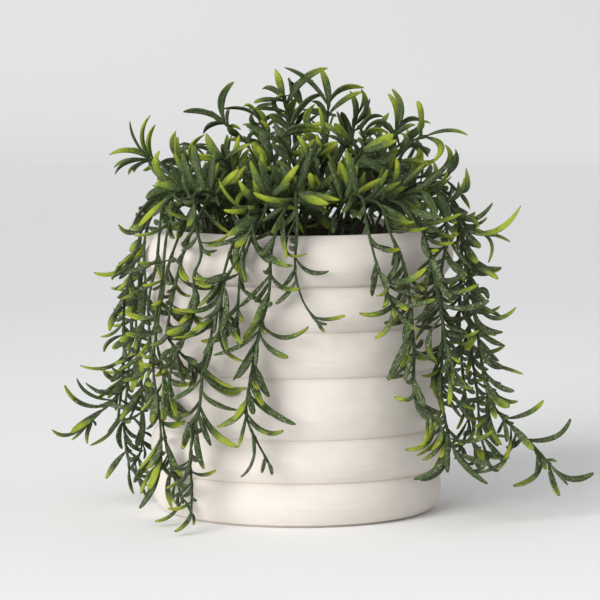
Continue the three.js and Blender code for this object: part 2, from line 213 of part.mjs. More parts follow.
    [-64.7,-53.72,76.65,-64.19,-48.64,71.86,-68.14,-46.75,71.35,3.82,1.79,0.91,0.41,-0.1,0.84],
    [-64.02,-53.63,72.2,-56.67,-57.02,67.76,-48.65,-61.26,69.47,3.85,2.05,-0.41,-0.89,0.19,0.44],
    [-65.98,-54.45,108.72,-60.71,-57.09,102.22,-55.13,-56.03,101.56,4.25,1.79,-0.47,-0.73,-0.49,0.58],
    [-58.32,-55.83,150.27,-60.02,-63.26,144.3,-56.09,-71.53,147.46,4.22,2.05,-0.7,-0.22,0.68,0.19],
    [-61.48,-52.96,32.03,-62.82,-49.72,26.38,-66.92,-44.78,25.76,5.09,2.05,0.37,0.86,0.35,0.83],
    [-51.89,-55.22,157.04,-54.18,-63.24,154.92,-49.28,-70.08,156.74,4.98,2.05,-0.69,-0.13,0.71,0.87],
    [-58.77,-54.69,22.58,-54.92,-60.13,17.68,-51.8,-67.12,20.83,4.84,2.05,-0.82,-0.4,-0.42,0.81],
    [-63.73,-53.54,68.21,-62.02,-50.25,60.55,-59.87,-46.32,53.4,4.96,2.05,-0.26,-0.5,-0.83,0.41],
    [-65.14,-54.54,112.63,-63.65,-50.58,108.19,-60.21,-45.65,110.73,3.84,2.05,0.93,-0.36,-0.08,0.45],
    [-64.42,-53.06,49.27,-58.78,-55.46,46.42,-53.52,-57.68,50.75,4.87,2.05,-0.62,-0.41,-0.67,0.77],
    [-65.83,-53.8,82.04,-58.25,-56.42,76.94,-50.5,-57.93,73.96,4.15,2.05,0.2,-0.27,-0.94,0.17],
    [-63.34,-52.94,44.39,-62.75,-44.17,39.27,-65.85,-37.9,39.75,3.58,1.89,0.98,0.16,0.12,0.1],
    [-66.75,-54.36,104.79,-63.85,-50.61,100.5,-59.29,-46.53,102.3,4.8,2.05,0.66,-0.43,0.62,0.06],
    [-64.31,-54.69,117.05,-67.37,-46.73,113.2,-69.71,-35.23,112.21,3.28,1.95,0.79,-0.27,0.54,0.1],
    [-67.47,-54.25,100.85,-75.28,-52.24,98.05,-82.35,-50.34,102.42,4.53,2.05,0.27,0.81,0.52,0.79],
    [-64.78,-53.19,54.26,-67.23,-46.18,48.7,-69.19,-39.57,51.26,4.52,1.95,-0.5,-0.37,-0.78,0.54]]],
  ["trailing_stem_09", [[-17,-50,134.33], [-16.99,-50.22,140.89], [-17.02,-51.67,144.57], [-17.04,-54.05,147.73], [-17.19,-58.56,151.57], [-17.49,-65.59,155.14], [-18.04,-71.31,156.43], [-19,-75.08,156.13], [-19.8,-76.68,155.35], [-20.82,-77.65,154], [-27.61,-78,142.59], [-33.43,-78,126.53], [-40.09,-78,94.87], [-43.76,-78,82.03], [-45.79,-78,61.1], [-50.24,-78,38.53], [-49.59,-78,19.33], [-50.1,-78,9.72]], [
    [-44.83,-78,74.21,-49.85,-78.01,67.1,-58.91,-78.21,63.78,4,2.17,-0.26,0.91,0.33,0.15],
    [-49.96,-78,11.64,-49.4,-84.48,5.9,-57.42,-90.99,2.51,3.68,2.06,-0.76,0.63,-0.17,0.47],
    [-50.1,-78,9.75,-48.17,-79.27,7.27,-49.15,-78.49,3.56,3.16,1.6,-0.38,-0.93,0.02,0.49],
    [-50.09,-78,29.84,-44.58,-77.52,25.46,-38.18,-78.23,29.88,3.55,1.78,-0.02,-0.96,-0.29,0.51],
    [-49.63,-78,17.87,-48.79,-80.77,15.67,-47.14,-81.1,15.96,2.76,1.6,-0.62,-0.71,0.34,0.12],
    [-49.84,-78,41.78,-49.27,-83.26,34.51,-54.82,-80.34,23.58,4,2.3,0.07,-0.98,0.17,0.06],
    [-46.53,-78,57.43,-52.91,-76.86,48.74,-53.5,-76.46,40.88,4.03,2.01,-0.82,0.56,0.09,0.08],
    [-47.27,-78,54.14,-48.61,-82.22,41,-43.7,-83.8,31.18,4.15,2.3,-0.84,0.48,-0.25,0.18],
    [-45.76,-78,61.38,-42.32,-75.74,45.53,-27.94,-79.38,41.05,4,2.3,0.38,0.02,0.93,0.55],
    [-45.18,-78,68.55,-42.52,-80.97,61.02,-27.7,-78.2,58.54,4,2.17,-0.29,0.81,-0.51,0.06],
    [-44.51,-78,77.18,-36.58,-75.94,65.61,-23.42,-78.36,69.04,4,2.3,-0.09,0.81,0.58,0.47],
    [-44.78,-78,74.77,-40.81,-80.85,71.77,-37.93,-83.39,71.84,2.56,1.4,-0.73,-0.68,0.05,0.08],
    [-40,-78,95.28,-40.22,-83.69,87.27,-43.85,-82.46,76.53,4.42,2.3,0.1,-0.96,0.25,0.18],
    [-49.43,-78,44.26,-50.33,-82.69,50.04,-51.12,-85.51,53.79,4,1.97,0.58,-0.69,-0.44,0.15],
    [-36.25,-78,114.53,-39.52,-80.11,102.51,-59.12,-80.83,107.29,4,2.3,-0.27,0.78,0.56,0.46],
    [-38.21,-78,104.16,-42.59,-79.99,92.75,-58.67,-81.42,93.62,3.16,1.6,-0.57,-0.82,0.02,0.46],
    [-50.27,-78,32.7,-53.74,-72.86,27.69,-58.25,-66.86,30.39,4.16,2.05,0.79,0.59,0.13,0.12],
    [-42.36,-78,86.97,-43.87,-72.25,79.49,-42.32,-62.84,79.13,3.87,2.05,-0.45,-0.84,0.29,0.56],
    [-18.51,-73.53,156.41,-23.14,-79.7,160.19,-27.38,-78.23,167.55,4.31,2.05,0.01,0.44,-0.9,0.57],
    [-23.53,-77.99,149.89,-27.52,-73.39,145.02,-28.44,-65.8,145.7,5.3,2.05,0.74,0.52,-0.41,0.43],
    [-37.16,-78,109.88,-32.98,-76.95,103.92,-27.37,-75.67,99.33,4.97,2.05,0.22,-0.98,-0.01,0.47],
    [-38.88,-78,100.53,-41.92,-70.78,94.97,-43.22,-62.54,99.73,4.71,2.05,0.6,0.79,0.17,0.04],
    [-48.1,-78,50.51,-47.19,-71.87,46.28,-44.66,-65.1,47.81,3.97,1.95,0.34,0.48,0.81,0.4],
    [-45.43,-78,64.25,-48.95,-74.78,56.26,-55.17,-68.03,54.74,4.6,2.05,0.51,0.8,0.31,0.54],
    [-35.31,-78,119.2,-38.76,-73.59,113.18,-42.45,-68.38,107.99,5.21,2.05,0.77,0.63,0.05,0.03],
    [-43.62,-78,82.65,-46.23,-82.97,79.3,-47.81,-88.72,82,4.24,2.05,-0.75,0.33,-0.57,0.45],
    [-49.68,-78,22.71,-51.01,-83.2,18.58,-52.95,-89.65,19.29,4.04,2.05,-0.96,0.28,-0.05,0.12],
    [-31.16,-78,133.09,-28.85,-72.2,126.58,-24.49,-74.83,121.21,4.71,2.05,0.76,-0.43,0.49,0.91],
    [-50.29,-78,37.7,-48.66,-69.05,32.96,-46.04,-64.64,32.82,4.6,1.95,0.81,-0.03,0.58,0.81]]],
  ["trailing_stem_10", [[-30,-44,134.23], [-30.1,-44.2,140.79], [-30.78,-45.48,144.45], [-31.91,-47.56,147.61], [-34.15,-51.52,151.39], [-36.88,-56.05,154.05], [-40.11,-60.83,155.32], [-42.57,-63.84,154.78], [-44.91,-65.75,152.38], [-54.39,-66,129.72], [-61.64,-66,94.55], [-61.54,-66,92.66], [-59.73,-66,89.38], [-45.53,-66,74.24]], [
    [-56.33,-66,85.87,-57.21,-67.45,77.94,-49.19,-68.66,71.14,4,2.3,-0.5,0.27,-0.82,0.55],
    [-56.18,-66,121.61,-48.06,-67.6,112.43,-34.87,-69.53,117.62,4,2.17,0.03,0.81,-0.58,0.11],
    [-57.06,-66,116.35,-54.12,-65.93,111.73,-50.31,-68.01,111.9,2.91,1.6,-0.38,-0.89,-0.24,0.48],
    [-60.75,-66,99.56,-60.44,-58.27,93.53,-58.15,-48.88,95.21,5.16,2.05,0.97,-0.09,0.23,0.19],
    [-61.63,-66,94.64,-60.88,-59.3,89.29,-59.57,-51.21,91.88,4.85,2.05,0.98,-0.11,0.14,0.08],
    [-47.79,-66,145.59,-49.89,-60.54,141.67,-50.69,-56.93,143.43,4.66,1.95,0.91,0.4,-0.11,0.45],
    [-53.87,-66,83.56,-49.18,-71.41,80.66,-47.43,-78.93,81.08,4.92,2.05,-0.72,-0.23,-0.66,0.53],
    [-56.65,-66,118.63,-58.97,-70.66,112.93,-60.65,-77.8,115.38,5.21,2.05,-0.7,-0.04,-0.71,0.15],
    [-54.88,-66,127.97,-54.84,-68.64,121.25,-51.22,-74.67,119.63,4.4,2.05,-0.92,-0.4,0.02,0.83],
    [-59.71,-66,104.45,-56.18,-60.73,98.31,-50.11,-57.27,101.3,4.99,2.05,0.35,0.25,-0.9,0.08],
    [-57.61,-66,113.72,-60.36,-72.55,106.41,-60.97,-81.75,110.77,4.62,2.05,-0.98,0.19,0.11,0.05],
    [-53.31,-66,132.71,-56.12,-71.25,126.9,-55.78,-79.08,129.68,4.24,2.05,-0.9,0.07,0.42,0.12],
    [-31.77,-47.3,147.26,-29.96,-52.91,149.53,-28.47,-63.45,147.51,3.82,1.79,0.06,-0.22,-0.97,0.44],
    [-47.82,-66,76.89,-47.48,-57.34,72.07,-49.58,-59.33,68.98,3.25,1.95,0.68,0.28,0.68,0.04],
    [-50.77,-66,80.3,-49.12,-71.8,76.66,-51.41,-78.43,77.31,4.49,2.05,-0.94,0.13,-0.32,0.09],
    [-46.13,-66,149.78,-53.81,-64.65,146.96,-60.35,-62.86,151.74,4.94,2.05,0.24,0.95,0.22,0.59],
    [-51.38,-66,137.33,-54.02,-61.53,133.62,-53.93,-55.96,136.74,4.57,2.05,0.96,0.24,-0.15,0.44]]],
  ["trailing_stem_11", [[-12,-42,136.19], [-12,-42,140.79], [-12.09,-43.13,144.49], [-12.46,-47.42,148.4], [-12.99,-52.78,150.73], [-13.81,-60.41,152.42], [-15.54,-70.2,152.99], [-17.39,-78.18,151.92], [-19.25,-84.03,149.44], [-20.85,-85.21,146.31], [-26.77,-84.22,132.57], [-33.87,-84.02,119.44], [-35.35,-84,110.24], [-36.23,-84,93.42]], [
    [-34.1,-84.02,118.66,-30.96,-85.71,109.07,-35.36,-90.19,96.44,4,2.3,-0.77,-0.61,0.21,0.1],
    [-34.84,-84.01,115.1,-39.1,-79.98,105.56,-38.57,-86.54,95.86,4,2.17,-0.47,0.88,0.05,0.18],
    [-36.18,-84,94.36,-34.77,-82.74,85,-25.19,-84.31,82.57,3.55,1.78,-0.27,-0.94,-0.22,0.54],
    [-19.84,-84.76,148.36,-21.69,-92.29,148.46,-21.88,-99.08,152.21,4.96,2.05,-0.58,0.29,0.76,0.86],
    [-31.5,-84.06,124.18,-37.03,-86.9,121.84,-42.63,-90.1,120.27,5.32,2.05,-0.54,0.7,0.46,0.09],
    [-17.18,-77.34,152.1,-19.59,-83.79,153.23,-22.39,-89.34,156.4,5.31,2.05,-0.85,0.19,-0.5,0.45],
    [-35.33,-84,110.39,-38.42,-87.55,103.98,-43.03,-94.02,104.29,4.24,2.05,-0.8,0.6,0.02,0.19],
    [-35.87,-84,100.41,-34.93,-76.24,97.23,-30.74,-70.35,96.48,3.52,1.95,0.18,-0.68,-0.71,0.52],
    [-21.88,-84.92,143.89,-25.57,-87.61,138.26,-28.58,-94.13,137.3,4.51,2.05,-0.86,0.47,0.22,0.79]]],
  ["trailing_stem_12", [[-9,-52,134.34], [-9.02,-52.19,140.89], [-9.14,-53.47,144.59], [-9.49,-56.81,149.42], [-9.98,-61.16,153.42], [-10.87,-67.96,157.55], [-11.79,-73.74,159.46], [-12.66,-77.83,159.54], [-13.22,-79.73,158.79], [-13.81,-81.01,157.29], [-15.19,-81.82,151.84], [-22.05,-80.3,138.43], [-25.95,-80.05,125.87], [-26.95,-80.01,118.42], [-28.06,-80,97.73]], [
    [-27.98,-80,100.09,-32.91,-76.65,90.74,-45.23,-74.31,90.95,4,2.3,-0.53,-0.52,0.67,0.56],
    [-26.28,-80.04,124.18,-36.37,-82.47,118.58,-48.73,-80.2,121.89,4,2.3,-0.06,0.87,0.5,0.45],
    [-17.86,-80.87,146.2,-31.2,-84.13,137.07,-43.01,-81.23,136.61,4,1.97,-0.16,-0.88,0.46,0.45],
    [-19.35,-80.6,143.53,-32.21,-80.6,137.5,-27.53,-80.6,125.23,4,2.3,-0.71,0.63,0.32,0.45],
    [-23.33,-80.17,134.24,-27.19,-84.76,127.9,-24.67,-83.62,119.36,4,2.3,-0.77,-0.61,0.21,0.12],
    [-27.43,-80,110.53,-29.24,-83.15,104.09,-35.54,-82.14,103.4,4,1.97,-0.38,0.91,0.16,0.5],
    [-27.65,-80,107.21,-26.77,-83.94,103.35,-25.15,-84.27,101.02,4,1.97,0.52,-0.29,0.81,0.53],
    [-27.03,-80.01,117.17,-21.42,-77.31,112.27,-14.62,-79.08,109.26,4,2.17,-0.28,-0.9,-0.33,0.05],
    [-28.02,-80,99.15,-27.24,-81.71,94.36,-27.83,-80.7,90.22,4,1.97,-0.41,-0.91,0.06,0.47],
    [-21.77,-80.33,139.06,-13.18,-84.94,130.11,-3.5,-90.97,127.76,4.7,2.3,-0.02,0.06,-1,0.46],
    [-26.72,-80.02,120.73,-25.48,-75.43,117.82,-24.62,-78.34,114.81,2.41,1.38,0.8,-0.6,0.07,0.11],
    [-14.11,-81.37,156.19,-16.21,-76.26,150.01,-15.35,-73.87,143.56,3.38,1.79,0.47,0.43,0.77,0.47],
    [-12.09,-75.26,159.63,-8.57,-79.68,162.86,-3.13,-78.38,166.17,4.09,2.05,-0.49,0.3,0.82,0.43]]],
  ["trailing_stem_13", [[-4,-46,135.71], [-3.98,-46.26,142.29], [-3.87,-47.98,145.87], [-3.65,-52.28,150.02], [-3.45,-57.48,152.99], [-3.34,-65.01,155.64], [-3.59,-72.91,156.74], [-4.34,-78.76,155.89], [-5.54,-81.57,153.49], [-9.26,-82,144.84], [-11.14,-82,137.6], [-12.21,-82,130.18], [-13.06,-82,113.33], [-17.26,-82,96.94], [-23.79,-82,59.76], [-23.59,-82,56], [-21.91,-82,50.59], [-13.25,-82,33.78]], [
    [-12.21,-82,122.99,-18.87,-85.37,115.25,-26.87,-82.05,108.04,3.68,2.18,-0.43,-0.79,0.43,0.07],
    [-12.33,-82,120.15,-15.62,-80.07,113.61,-19.5,-84.43,110.47,4,2.17,-0.32,-0.83,0.45,0.16],
    [-12.22,-82,124.88,-9.31,-84.1,114.58,1.96,-85.41,116.96,4,2.17,-0.36,-0.86,-0.36,0.5],
    [-16.47,-82,100.36,-7.33,-81.59,87.8,5.64,-83.96,98.85,4,2.3,-0.11,-0.87,-0.47,0.46],
    [-17.24,-82,97,-14.48,-81.58,86.4,-3.77,-84.2,84.21,4,2.3,0.37,-0.55,-0.75,0.44],
    [-17.08,-82,97.77,-25.07,-88.65,88.73,-39.24,-87.83,85.73,4,1.97,-0.05,-0.83,0.55,0.17],
    [-17.73,-82,94.09,-22.3,-81.66,84.69,-30.02,-79.94,72.8,4.15,2.3,-0.16,-0.71,0.69,0.15],
    [-18.02,-82,92.17,-18.22,-85.95,87.06,-19.11,-86.99,80.39,3.68,2.18,0.33,-0.91,0.27,0.11],
    [-19.64,-82,82.79,-18.03,-82.93,71.67,-12.71,-84.7,65.56,4.58,2.18,-0.74,0.48,-0.47,0.05],
    [-21.55,-82,71.48,-16.03,-81.77,57.17,-0.25,-82.41,52.18,4.15,2.3,-0.53,-0.62,-0.57,0.12],
    [-21.9,-82,69.48,-21.71,-83.92,63.56,-20.4,-92.09,58.44,4.15,2.3,-0.86,-0.43,0.27,0.1],
    [-23.18,-82,62.84,-25.86,-81.15,54.39,-37.55,-82.21,50.97,4.15,2.3,-0.51,0.61,0.6,0.49],
    [-23.81,-82,58.56,-15.78,-81.03,44,-6.13,-82.37,49.43,4,2.17,-0.21,-0.93,-0.31,0.54],
    [-23.73,-82,57.14,-25.01,-83.71,49.06,-27.7,-83.45,41.18,3.27,1.69,-0.33,0.83,0.46,0.43],
    [-13.71,-82,34.61,-12.41,-85.11,32.86,-11.58,-84.82,28.47,4,1.97,-0.47,-0.85,0.23,0.17],
    [-14.83,-82,36.68,-15.2,-80.57,31.64,-16.31,-83.56,29.24,4,1.97,-0.4,-0.88,0.26,0.08],
    [-6.34,-82,151.73,-7.39,-83.2,140.62,-4.43,-88.05,131.32,3.36,2.12,-0.77,0.64,0.06,0.49],
    [-5.91,-81.77,152.67,-8.34,-84.05,146.58,-11.75,-91.75,143.41,4,2.3,-0.42,-0.6,0.68,0.54],
    [-10.12,-82,141.99,-13.32,-85.05,135.07,-16.95,-92.2,133.25,4.6,2.05,-0.88,0.25,0.4,0.22],
    [-20.76,-82,76.1,-19.6,-86.83,72.19,-17.85,-92.48,69.97,4,2.05,-0.96,-0.27,0,0.58],
    [-12.28,-82,127.2,-13.61,-86.63,123.18,-15.25,-91.96,126.05,3.85,2.05,-0.95,0.29,-0.08,0.79],
    [-15.81,-82,102.61,-16.5,-85.79,96.03,-13.73,-92.76,97.4,4.13,2.05,-0.9,-0.32,0.3,0.94],
    [-14.58,-82,106.93,-19.43,-78.61,98.62,-25.01,-74.16,91.45,4.27,2.05,0.69,-0.16,-0.7,0.84],
    [-18.64,-82,88.41,-22.71,-86.78,81.14,-28.08,-92.88,75.53,4.16,1.95,-0.79,0.51,0.32,0.14],
    [-22.3,-82,67.23,-17.19,-79.6,59.7,-9.53,-76.46,55.21,4.65,2.05,0.11,-0.94,-0.31,0.1],
    [-3.47,-56.95,152.73,-5.45,-61.01,158.58,-8.29,-63.26,165.02,4.65,2.05,-0.84,-0.27,-0.47,0.49],
    [-3.75,-50.28,148.38,0.4,-56.32,147.02,3.41,-55.77,140.04,4.99,2.05,0.43,0.87,-0.24,0.79],
    [-13.38,-82,111.78,-13.52,-88.2,107.73,-11.95,-94.38,111.51,4.48,2.05,-0.99,-0.11,-0.08,0.56],
    [-20.11,-82,80.04,-18.58,-77.26,75.04,-16.11,-70.28,71.34,4.38,2.05,0.94,-0.06,0.33,0.9]]],
  ["trailing_stem_14", [[4,-50,134.91], [4,-50,139.51], [3.87,-50.77,143.42], [3.34,-53.76,148.58], [2.64,-57.91,152.86], [1.58,-64.36,157.49], [0.76,-69.72,160.07], [-0.03,-75.49,161.49], [-0.4,-79.33,160.74], [-0.39,-80.59,159.24], [-0.24,-81,157.3], [0.4,-81,148], [-0.66,-81,127.47], [0.08,-81,120.03], [3.67,-81,109.41], [10.12,-81,100.2]], [
    [-0.53,-81,131.89,4.37,-81,121.24,15.28,-81,124.79,4,1.97,-0.15,-0.93,-0.32,0.2],
    [7.33,-81,104.02,12.69,-81,100.31,22.84,-81,103.76,3.55,1.78,-0.01,-0.94,-0.34,0.52],
    [8.33,-81,102.64,10.76,-84.33,100.51,14.32,-85.39,100.18,2.76,1.6,-0.58,-0.81,0.04,0.13],
    [9.34,-81,101.27,10.85,-83.24,98.25,13.17,-82.55,96.1,3.55,1.78,-0.44,-0.9,-0.05,0.45],
    [0.38,-81,150.25,-12.22,-83.74,127.73,5.49,-84.76,133.43,3.55,1.78,-0.05,0.98,-0.21,0.57],
    [-0.04,-81,155.42,-0.11,-78.8,149.39,-12.01,-78.18,142.5,4,2.3,-0.3,0.84,0.46,0.45],
    [1.26,-66.41,158.59,-2.52,-71.63,166.44,-7.62,-68.36,174.61,4.47,2.05,-0.81,-0.34,-0.49,0.11],
    [-0.18,-81,137.47,-1.65,-86.54,133.73,-3.05,-89.64,137.46,3.77,1.95,-0.96,0.28,-0.07,0.12],
    [0.18,-81,141.95,-1.52,-89.07,136.43,-2.39,-96.59,142.85,4.41,2.05,-0.95,0.17,0.26,0.17],
    [0.37,-81,146.44,-1.1,-74.84,143.45,-1.58,-65.81,142.65,3.55,1.79,0.18,0.49,-0.85,0.89],
    [2.34,-59.73,154.34,7.95,-65,155.18,14.59,-64.19,151.27,4.21,2.05,0.38,0.54,0.75,0.22]]],
  ["trailing_stem_15", [[16,-48,134.81], [16,-48,139.41], [16.36,-48.78,143.33], [17.76,-51.79,148.35], [19.68,-55.88,152.36], [22.63,-62.08,156.56], [25.94,-68.85,159.4], [28.66,-74.17,160.18], [30.55,-77.53,159.16], [31.29,-78.61,157.67], [31.73,-79,155.76], [32.76,-79,148.3], [37.75,-79,128.14], [44.58,-79,110.51], [48.8,-79,104.27]], [
    [34.35,-79,142.04,39.48,-82.13,132.13,49.05,-79.14,135.48,4,2.3,-0.03,0.93,-0.37,0.46],
    [38.65,-79,125.68,35.93,-77.95,118.56,35.46,-84.25,113.29,4,2.3,-0.63,-0.64,0.44,0.13],
    [39.05,-79,124.7,46.84,-84.93,115.9,37.34,-84.2,113.28,4,2.3,-0.69,0.69,-0.21,0.52],
    [40.74,-79,120.84,51.12,-79.12,115.64,61.48,-78.38,126.45,4,2.3,-0.29,-0.09,-0.95,0.51],
    [45.23,-79,109.11,46.07,-80.73,97.28,36.96,-82.4,93.25,4,2.3,-0.53,0.85,0.09,0.58],
    [47.97,-79,105.31,50.52,-80.81,99.63,57.56,-83.25,97.08,3.58,2.01,-0.53,-0.49,-0.7,0.44],
    [45.46,-79,108.67,45.91,-83.31,106.02,46.18,-87.84,103.44,3.24,1.72,-0.63,-0.52,0.58,0.8],
    [31.66,-78.94,156.05,30.99,-84.88,151.18,28.62,-92.18,151.89,4.33,2.05,-0.95,0.26,-0.14,0.44],
    [42.62,-79,116.13,43.36,-81.94,110.14,40.76,-87.92,108.56,4.58,2.05,-0.72,0.53,-0.45,0.53],
    [33.03,-79,147.15,33.33,-74.46,141.54,31.63,-67.46,142.02,4.76,2.05,0.9,0.27,0.36,0.11],
    [37.44,-79,129.15,37.56,-74.21,123.6,35.97,-69.42,118.55,4,1.95,0.91,0.42,0.07,0.22],
    [25.82,-68.61,159.33,26.66,-79.07,157.7,21.5,-85.43,152.21,4.3,1.95,0.24,0.18,-0.95,0.49],
    [35.29,-79,137.9,40.2,-73.66,134.73,45.21,-67.59,133.88,4.24,2.05,0.64,-0.31,0.7,0.07],
    [17.59,-51.42,147.85,18.22,-59.4,147.02,17.24,-64.95,141.29,4.5,2.05,0.96,0.11,-0.27,0.04]]],
  ["trailing_stem_16", [[38,-36,134.43], [38.13,-36.18,141.03], [39,-37.38,144.76], [42.14,-41.53,150.85], [46.24,-46.65,155.52], [51.01,-52.15,158.94], [56.53,-57.65,160.87], [61.32,-61.13,160.31], [64.38,-62.02,157.98], [68.93,-61.75,151.8], [70.4,-61.61,148.24], [71.54,-61.41,142.59], [71.53,-61.22,136.83], [68.66,-60.62,119.75], [69.95,-59.9,98.52], [69.33,-58.92,69.39], [70.08,-58.52,57.72], [73.14,-58,42.38]], [
    [69.35,-59.12,75.36,66.74,-62.79,66.17,70.52,-61.92,54.5,4.42,2.3,-0.87,-0.49,0.02,0.47],
    [69.42,-59.31,81.16,63.11,-55.82,73.04,67.68,-60.35,62.01,4,2.3,-0.76,0.65,0.03,0.51],
    [73.14,-58,42.38,85.54,-59.95,38.3,94.17,-59.17,46.41,4,2.17,0.02,-0.93,-0.36,0.56],
    [70.44,-61.61,148.1,74.18,-66.83,140.89,76.27,-76.18,142.04,4.17,2.05,-0.92,-0.39,0.07,0.85],
    [59.81,-60.23,160.78,64.29,-67.14,156.07,65.89,-73.38,150.06,5.09,2.05,-0.3,0.1,-0.95,0.15],
    [72,-58.18,47.76,75.89,-55.7,42.84,80.12,-52.87,38.4,5.26,2.05,0.48,-0.87,-0.07,0.52],
    [69.32,-58.97,71.05,71.45,-51.09,66.6,73.41,-44.04,72.33,5.01,2.05,0.67,-0.12,-0.74,0.49],
    [40.16,-38.93,147.52,39.92,-45.37,150.29,39.03,-51.56,150.61,3.71,2.05,0.16,-0.91,-0.37,0.55],
    [68.89,-60.34,111.49,72.16,-56.35,107.25,74.68,-52.47,108.15,4.27,1.95,0.86,-0.35,-0.36,0.77],
    [70.36,-61.01,130.84,74.81,-62.07,124.63,81.25,-63.74,120.65,4.84,2.05,-0.98,-0.18,-0.03,0.18],
    [69.46,-58.79,65.55,71.27,-54.7,60.92,73.69,-48.4,61.34,4.6,2.05,0.73,-0.6,-0.33,0.2],
    [69.55,-60.17,106.54,72.57,-54.65,98.54,76.26,-47.01,92.9,4.95,2.05,0.88,-0.48,-0.03,0.22],
    [71.16,-58.32,51.67,70.43,-49.84,46.88,68,-40.62,49.02,4.95,2.05,0.97,0.15,-0.17,0.82],
    [69.67,-58.67,62.06,71.18,-52.71,56.25,73.27,-44.4,59.13,3.75,1.95,0.47,-0.87,-0.14,0.5],
    [71.66,-61.31,139.72,69.57,-58.03,136.13,69.71,-51.2,138.6,3.55,1.89,0.91,0.06,-0.42,0.44],
    [68.6,-60.51,116.48,65.39,-57.26,107.85,60.43,-50,100.67,4.04,2.05,0.15,0.33,-0.93,0.41],
    [70.17,-58.5,57.08,67.82,-52.96,50.76,64.18,-45.95,47.03,4.8,2.05,0.8,0.56,0.23,0.92],
    [69.47,-59.4,83.55,72.91,-54.35,77,78.12,-47.55,79.61,5.02,2.05,0.8,-0.6,-0.03,0.52],
    [66.06,-61.93,155.89,66.74,-64.64,149.71,61,-66.95,145.61,3.62,1.95,-0.77,0.63,0.07,0.11],
    [42.07,-41.43,150.74,42.48,-48.32,155.85,37.64,-55.03,158.12,4.23,2.05,0.07,-0.49,-0.87,0.14],
    [69.89,-59.72,93.05,75.08,-53.58,88.63,81.16,-46.94,90.41,4.71,2.05,0.75,-0.66,0,0.07],
    [68.67,-61.77,152.23,73.35,-67.62,146.83,75.58,-76.58,147.23,3.97,2.05,-0.81,-0.2,-0.55,0.59]]],
  ["trailing_stem_17", [[27,-38,135.63], [27.08,-38.22,142.21], [27.62,-39.74,145.83], [29.76,-45.15,151.2], [32.73,-51.66,154.71], [36.46,-58.35,156.89], [41.31,-64.6,157.68], [46.22,-67.73,156.73], [51.36,-67.92,154.09], [58.64,-67.68,145.2], [61.39,-67.52,138.05], [69.59,-66.68,98.34], [73.63,-66,65.61]], [
    [60.16,-67.61,142.09,65.49,-69.05,134.64,75.11,-68.04,137.71,4,2.17,-0.13,0.84,-0.52,0.56],
    [60.3,-67.6,141.77,59.39,-70.72,135.13,63.12,-72.41,130.45,4.42,2.3,-0.83,0.55,-0.09,0.12],
    [62.64,-67.4,132.63,64.31,-70.1,133.45,67.53,-71.35,133.94,4,2.3,0.5,-0.19,-0.85,0.81],
    [63.37,-67.33,128.86,61.77,-67.14,120.04,60.57,-70.98,112.85,3.36,2.01,0.6,-0.8,-0.09,0.17],
    [64.32,-67.23,124.46,69.66,-69.93,114.85,79.94,-67.8,122.7,4,2.3,-0.1,-0.78,-0.61,0.13],
    [65.39,-67.12,119.25,71.65,-67.33,108.87,86.63,-67.38,117.43,4,2.3,-0.05,0.77,-0.64,0.47],
    [66.16,-67.03,114.99,60.19,-60.76,110.98,55.91,-54.46,113.97,3.24,2,0.96,-0.29,0,0.52],
    [67.35,-66.91,109.3,63.82,-62.55,102.61,59.37,-65.15,96.71,2.75,1.77,-0.54,-0.76,0.36,0.15],
    [68.72,-66.78,103.06,58.29,-60.39,94.45,57.11,-59.59,89.8,2.75,1.77,-0.55,-0.82,0.16,0.46],
    [67.57,-66.89,108.29,78.81,-65.27,102.29,91.47,-66.68,109.63,4.42,2.3,0.3,0.56,-0.78,0.13],
    [69.1,-66.74,101.13,57.33,-70.18,90.31,66.96,-69.04,79.29,3.68,2.17,0.42,0.03,0.91,0.52],
    [71.26,-66.44,86.77,74.99,-71.63,78.07,74.45,-66.15,68.56,2.75,1.77,-0.31,0.25,-0.92,0.55],
    [73.57,-66.02,66.56,77.98,-66.02,58.88,82.27,-66.02,53.11,4,2.17,-0.39,-0.89,-0.25,0.14],
    [68.14,-66.84,105.71,71.57,-63.32,99.62,75.41,-56.61,100.79,4.9,2.05,0.74,-0.63,-0.23,0.2],
    [37.01,-59.18,157.06,44.85,-60.14,159.98,51.97,-56.66,162.79,4.76,2.05,-0.28,-0.35,0.89,0.42],
    [73.08,-66.15,73.09,75.89,-60.32,69.15,78.39,-53.72,71.89,4.08,2.05,0.92,-0.38,0.12,0.55],
    [69.83,-66.65,96.87,72.49,-62.93,91.99,74.93,-57.49,94.93,4.54,2.05,0.86,-0.3,-0.41,0.21],
    [52.26,-67.89,153.23,60.64,-70.99,149.71,68.44,-77.6,149.95,4.05,2.05,-0.56,0.32,-0.76,0.09],
    [73.41,-66.07,69.1,77.06,-58.24,64.77,80.73,-48.9,63.27,5.14,2.05,1,-0.07,0.03,0.11],
    [70.57,-66.55,91.92,73.12,-61.15,88,75.76,-55.06,85.34,5.09,2.05,0.79,-0.53,-0.3,0.08],
    [58.49,-67.69,145.43,62.16,-73.05,143.3,64.91,-79.31,143.31,3.86,2.05,-0.77,-0.33,-0.54,0.13],
    [72.53,-66.25,77.55,75.71,-60.59,74.63,78.71,-54.25,75.83,4.22,2.05,0.83,-0.37,0.43,0.21],
    [71.85,-66.35,82.51,71.11,-73.03,75.53,68.57,-82.11,77.76,5.38,2.05,-0.88,0.3,-0.38,0.52],
    [39.97,-63.16,157.65,41.91,-69.84,159.42,39.35,-75.79,162.51,5.11,2.05,-0.13,-0.35,-0.93,0.87],
    [29.75,-45.12,151.18,26.84,-46.05,158.55,22.99,-45.77,165.54,5.32,2.05,0.17,-0.83,-0.53,0.78]]],
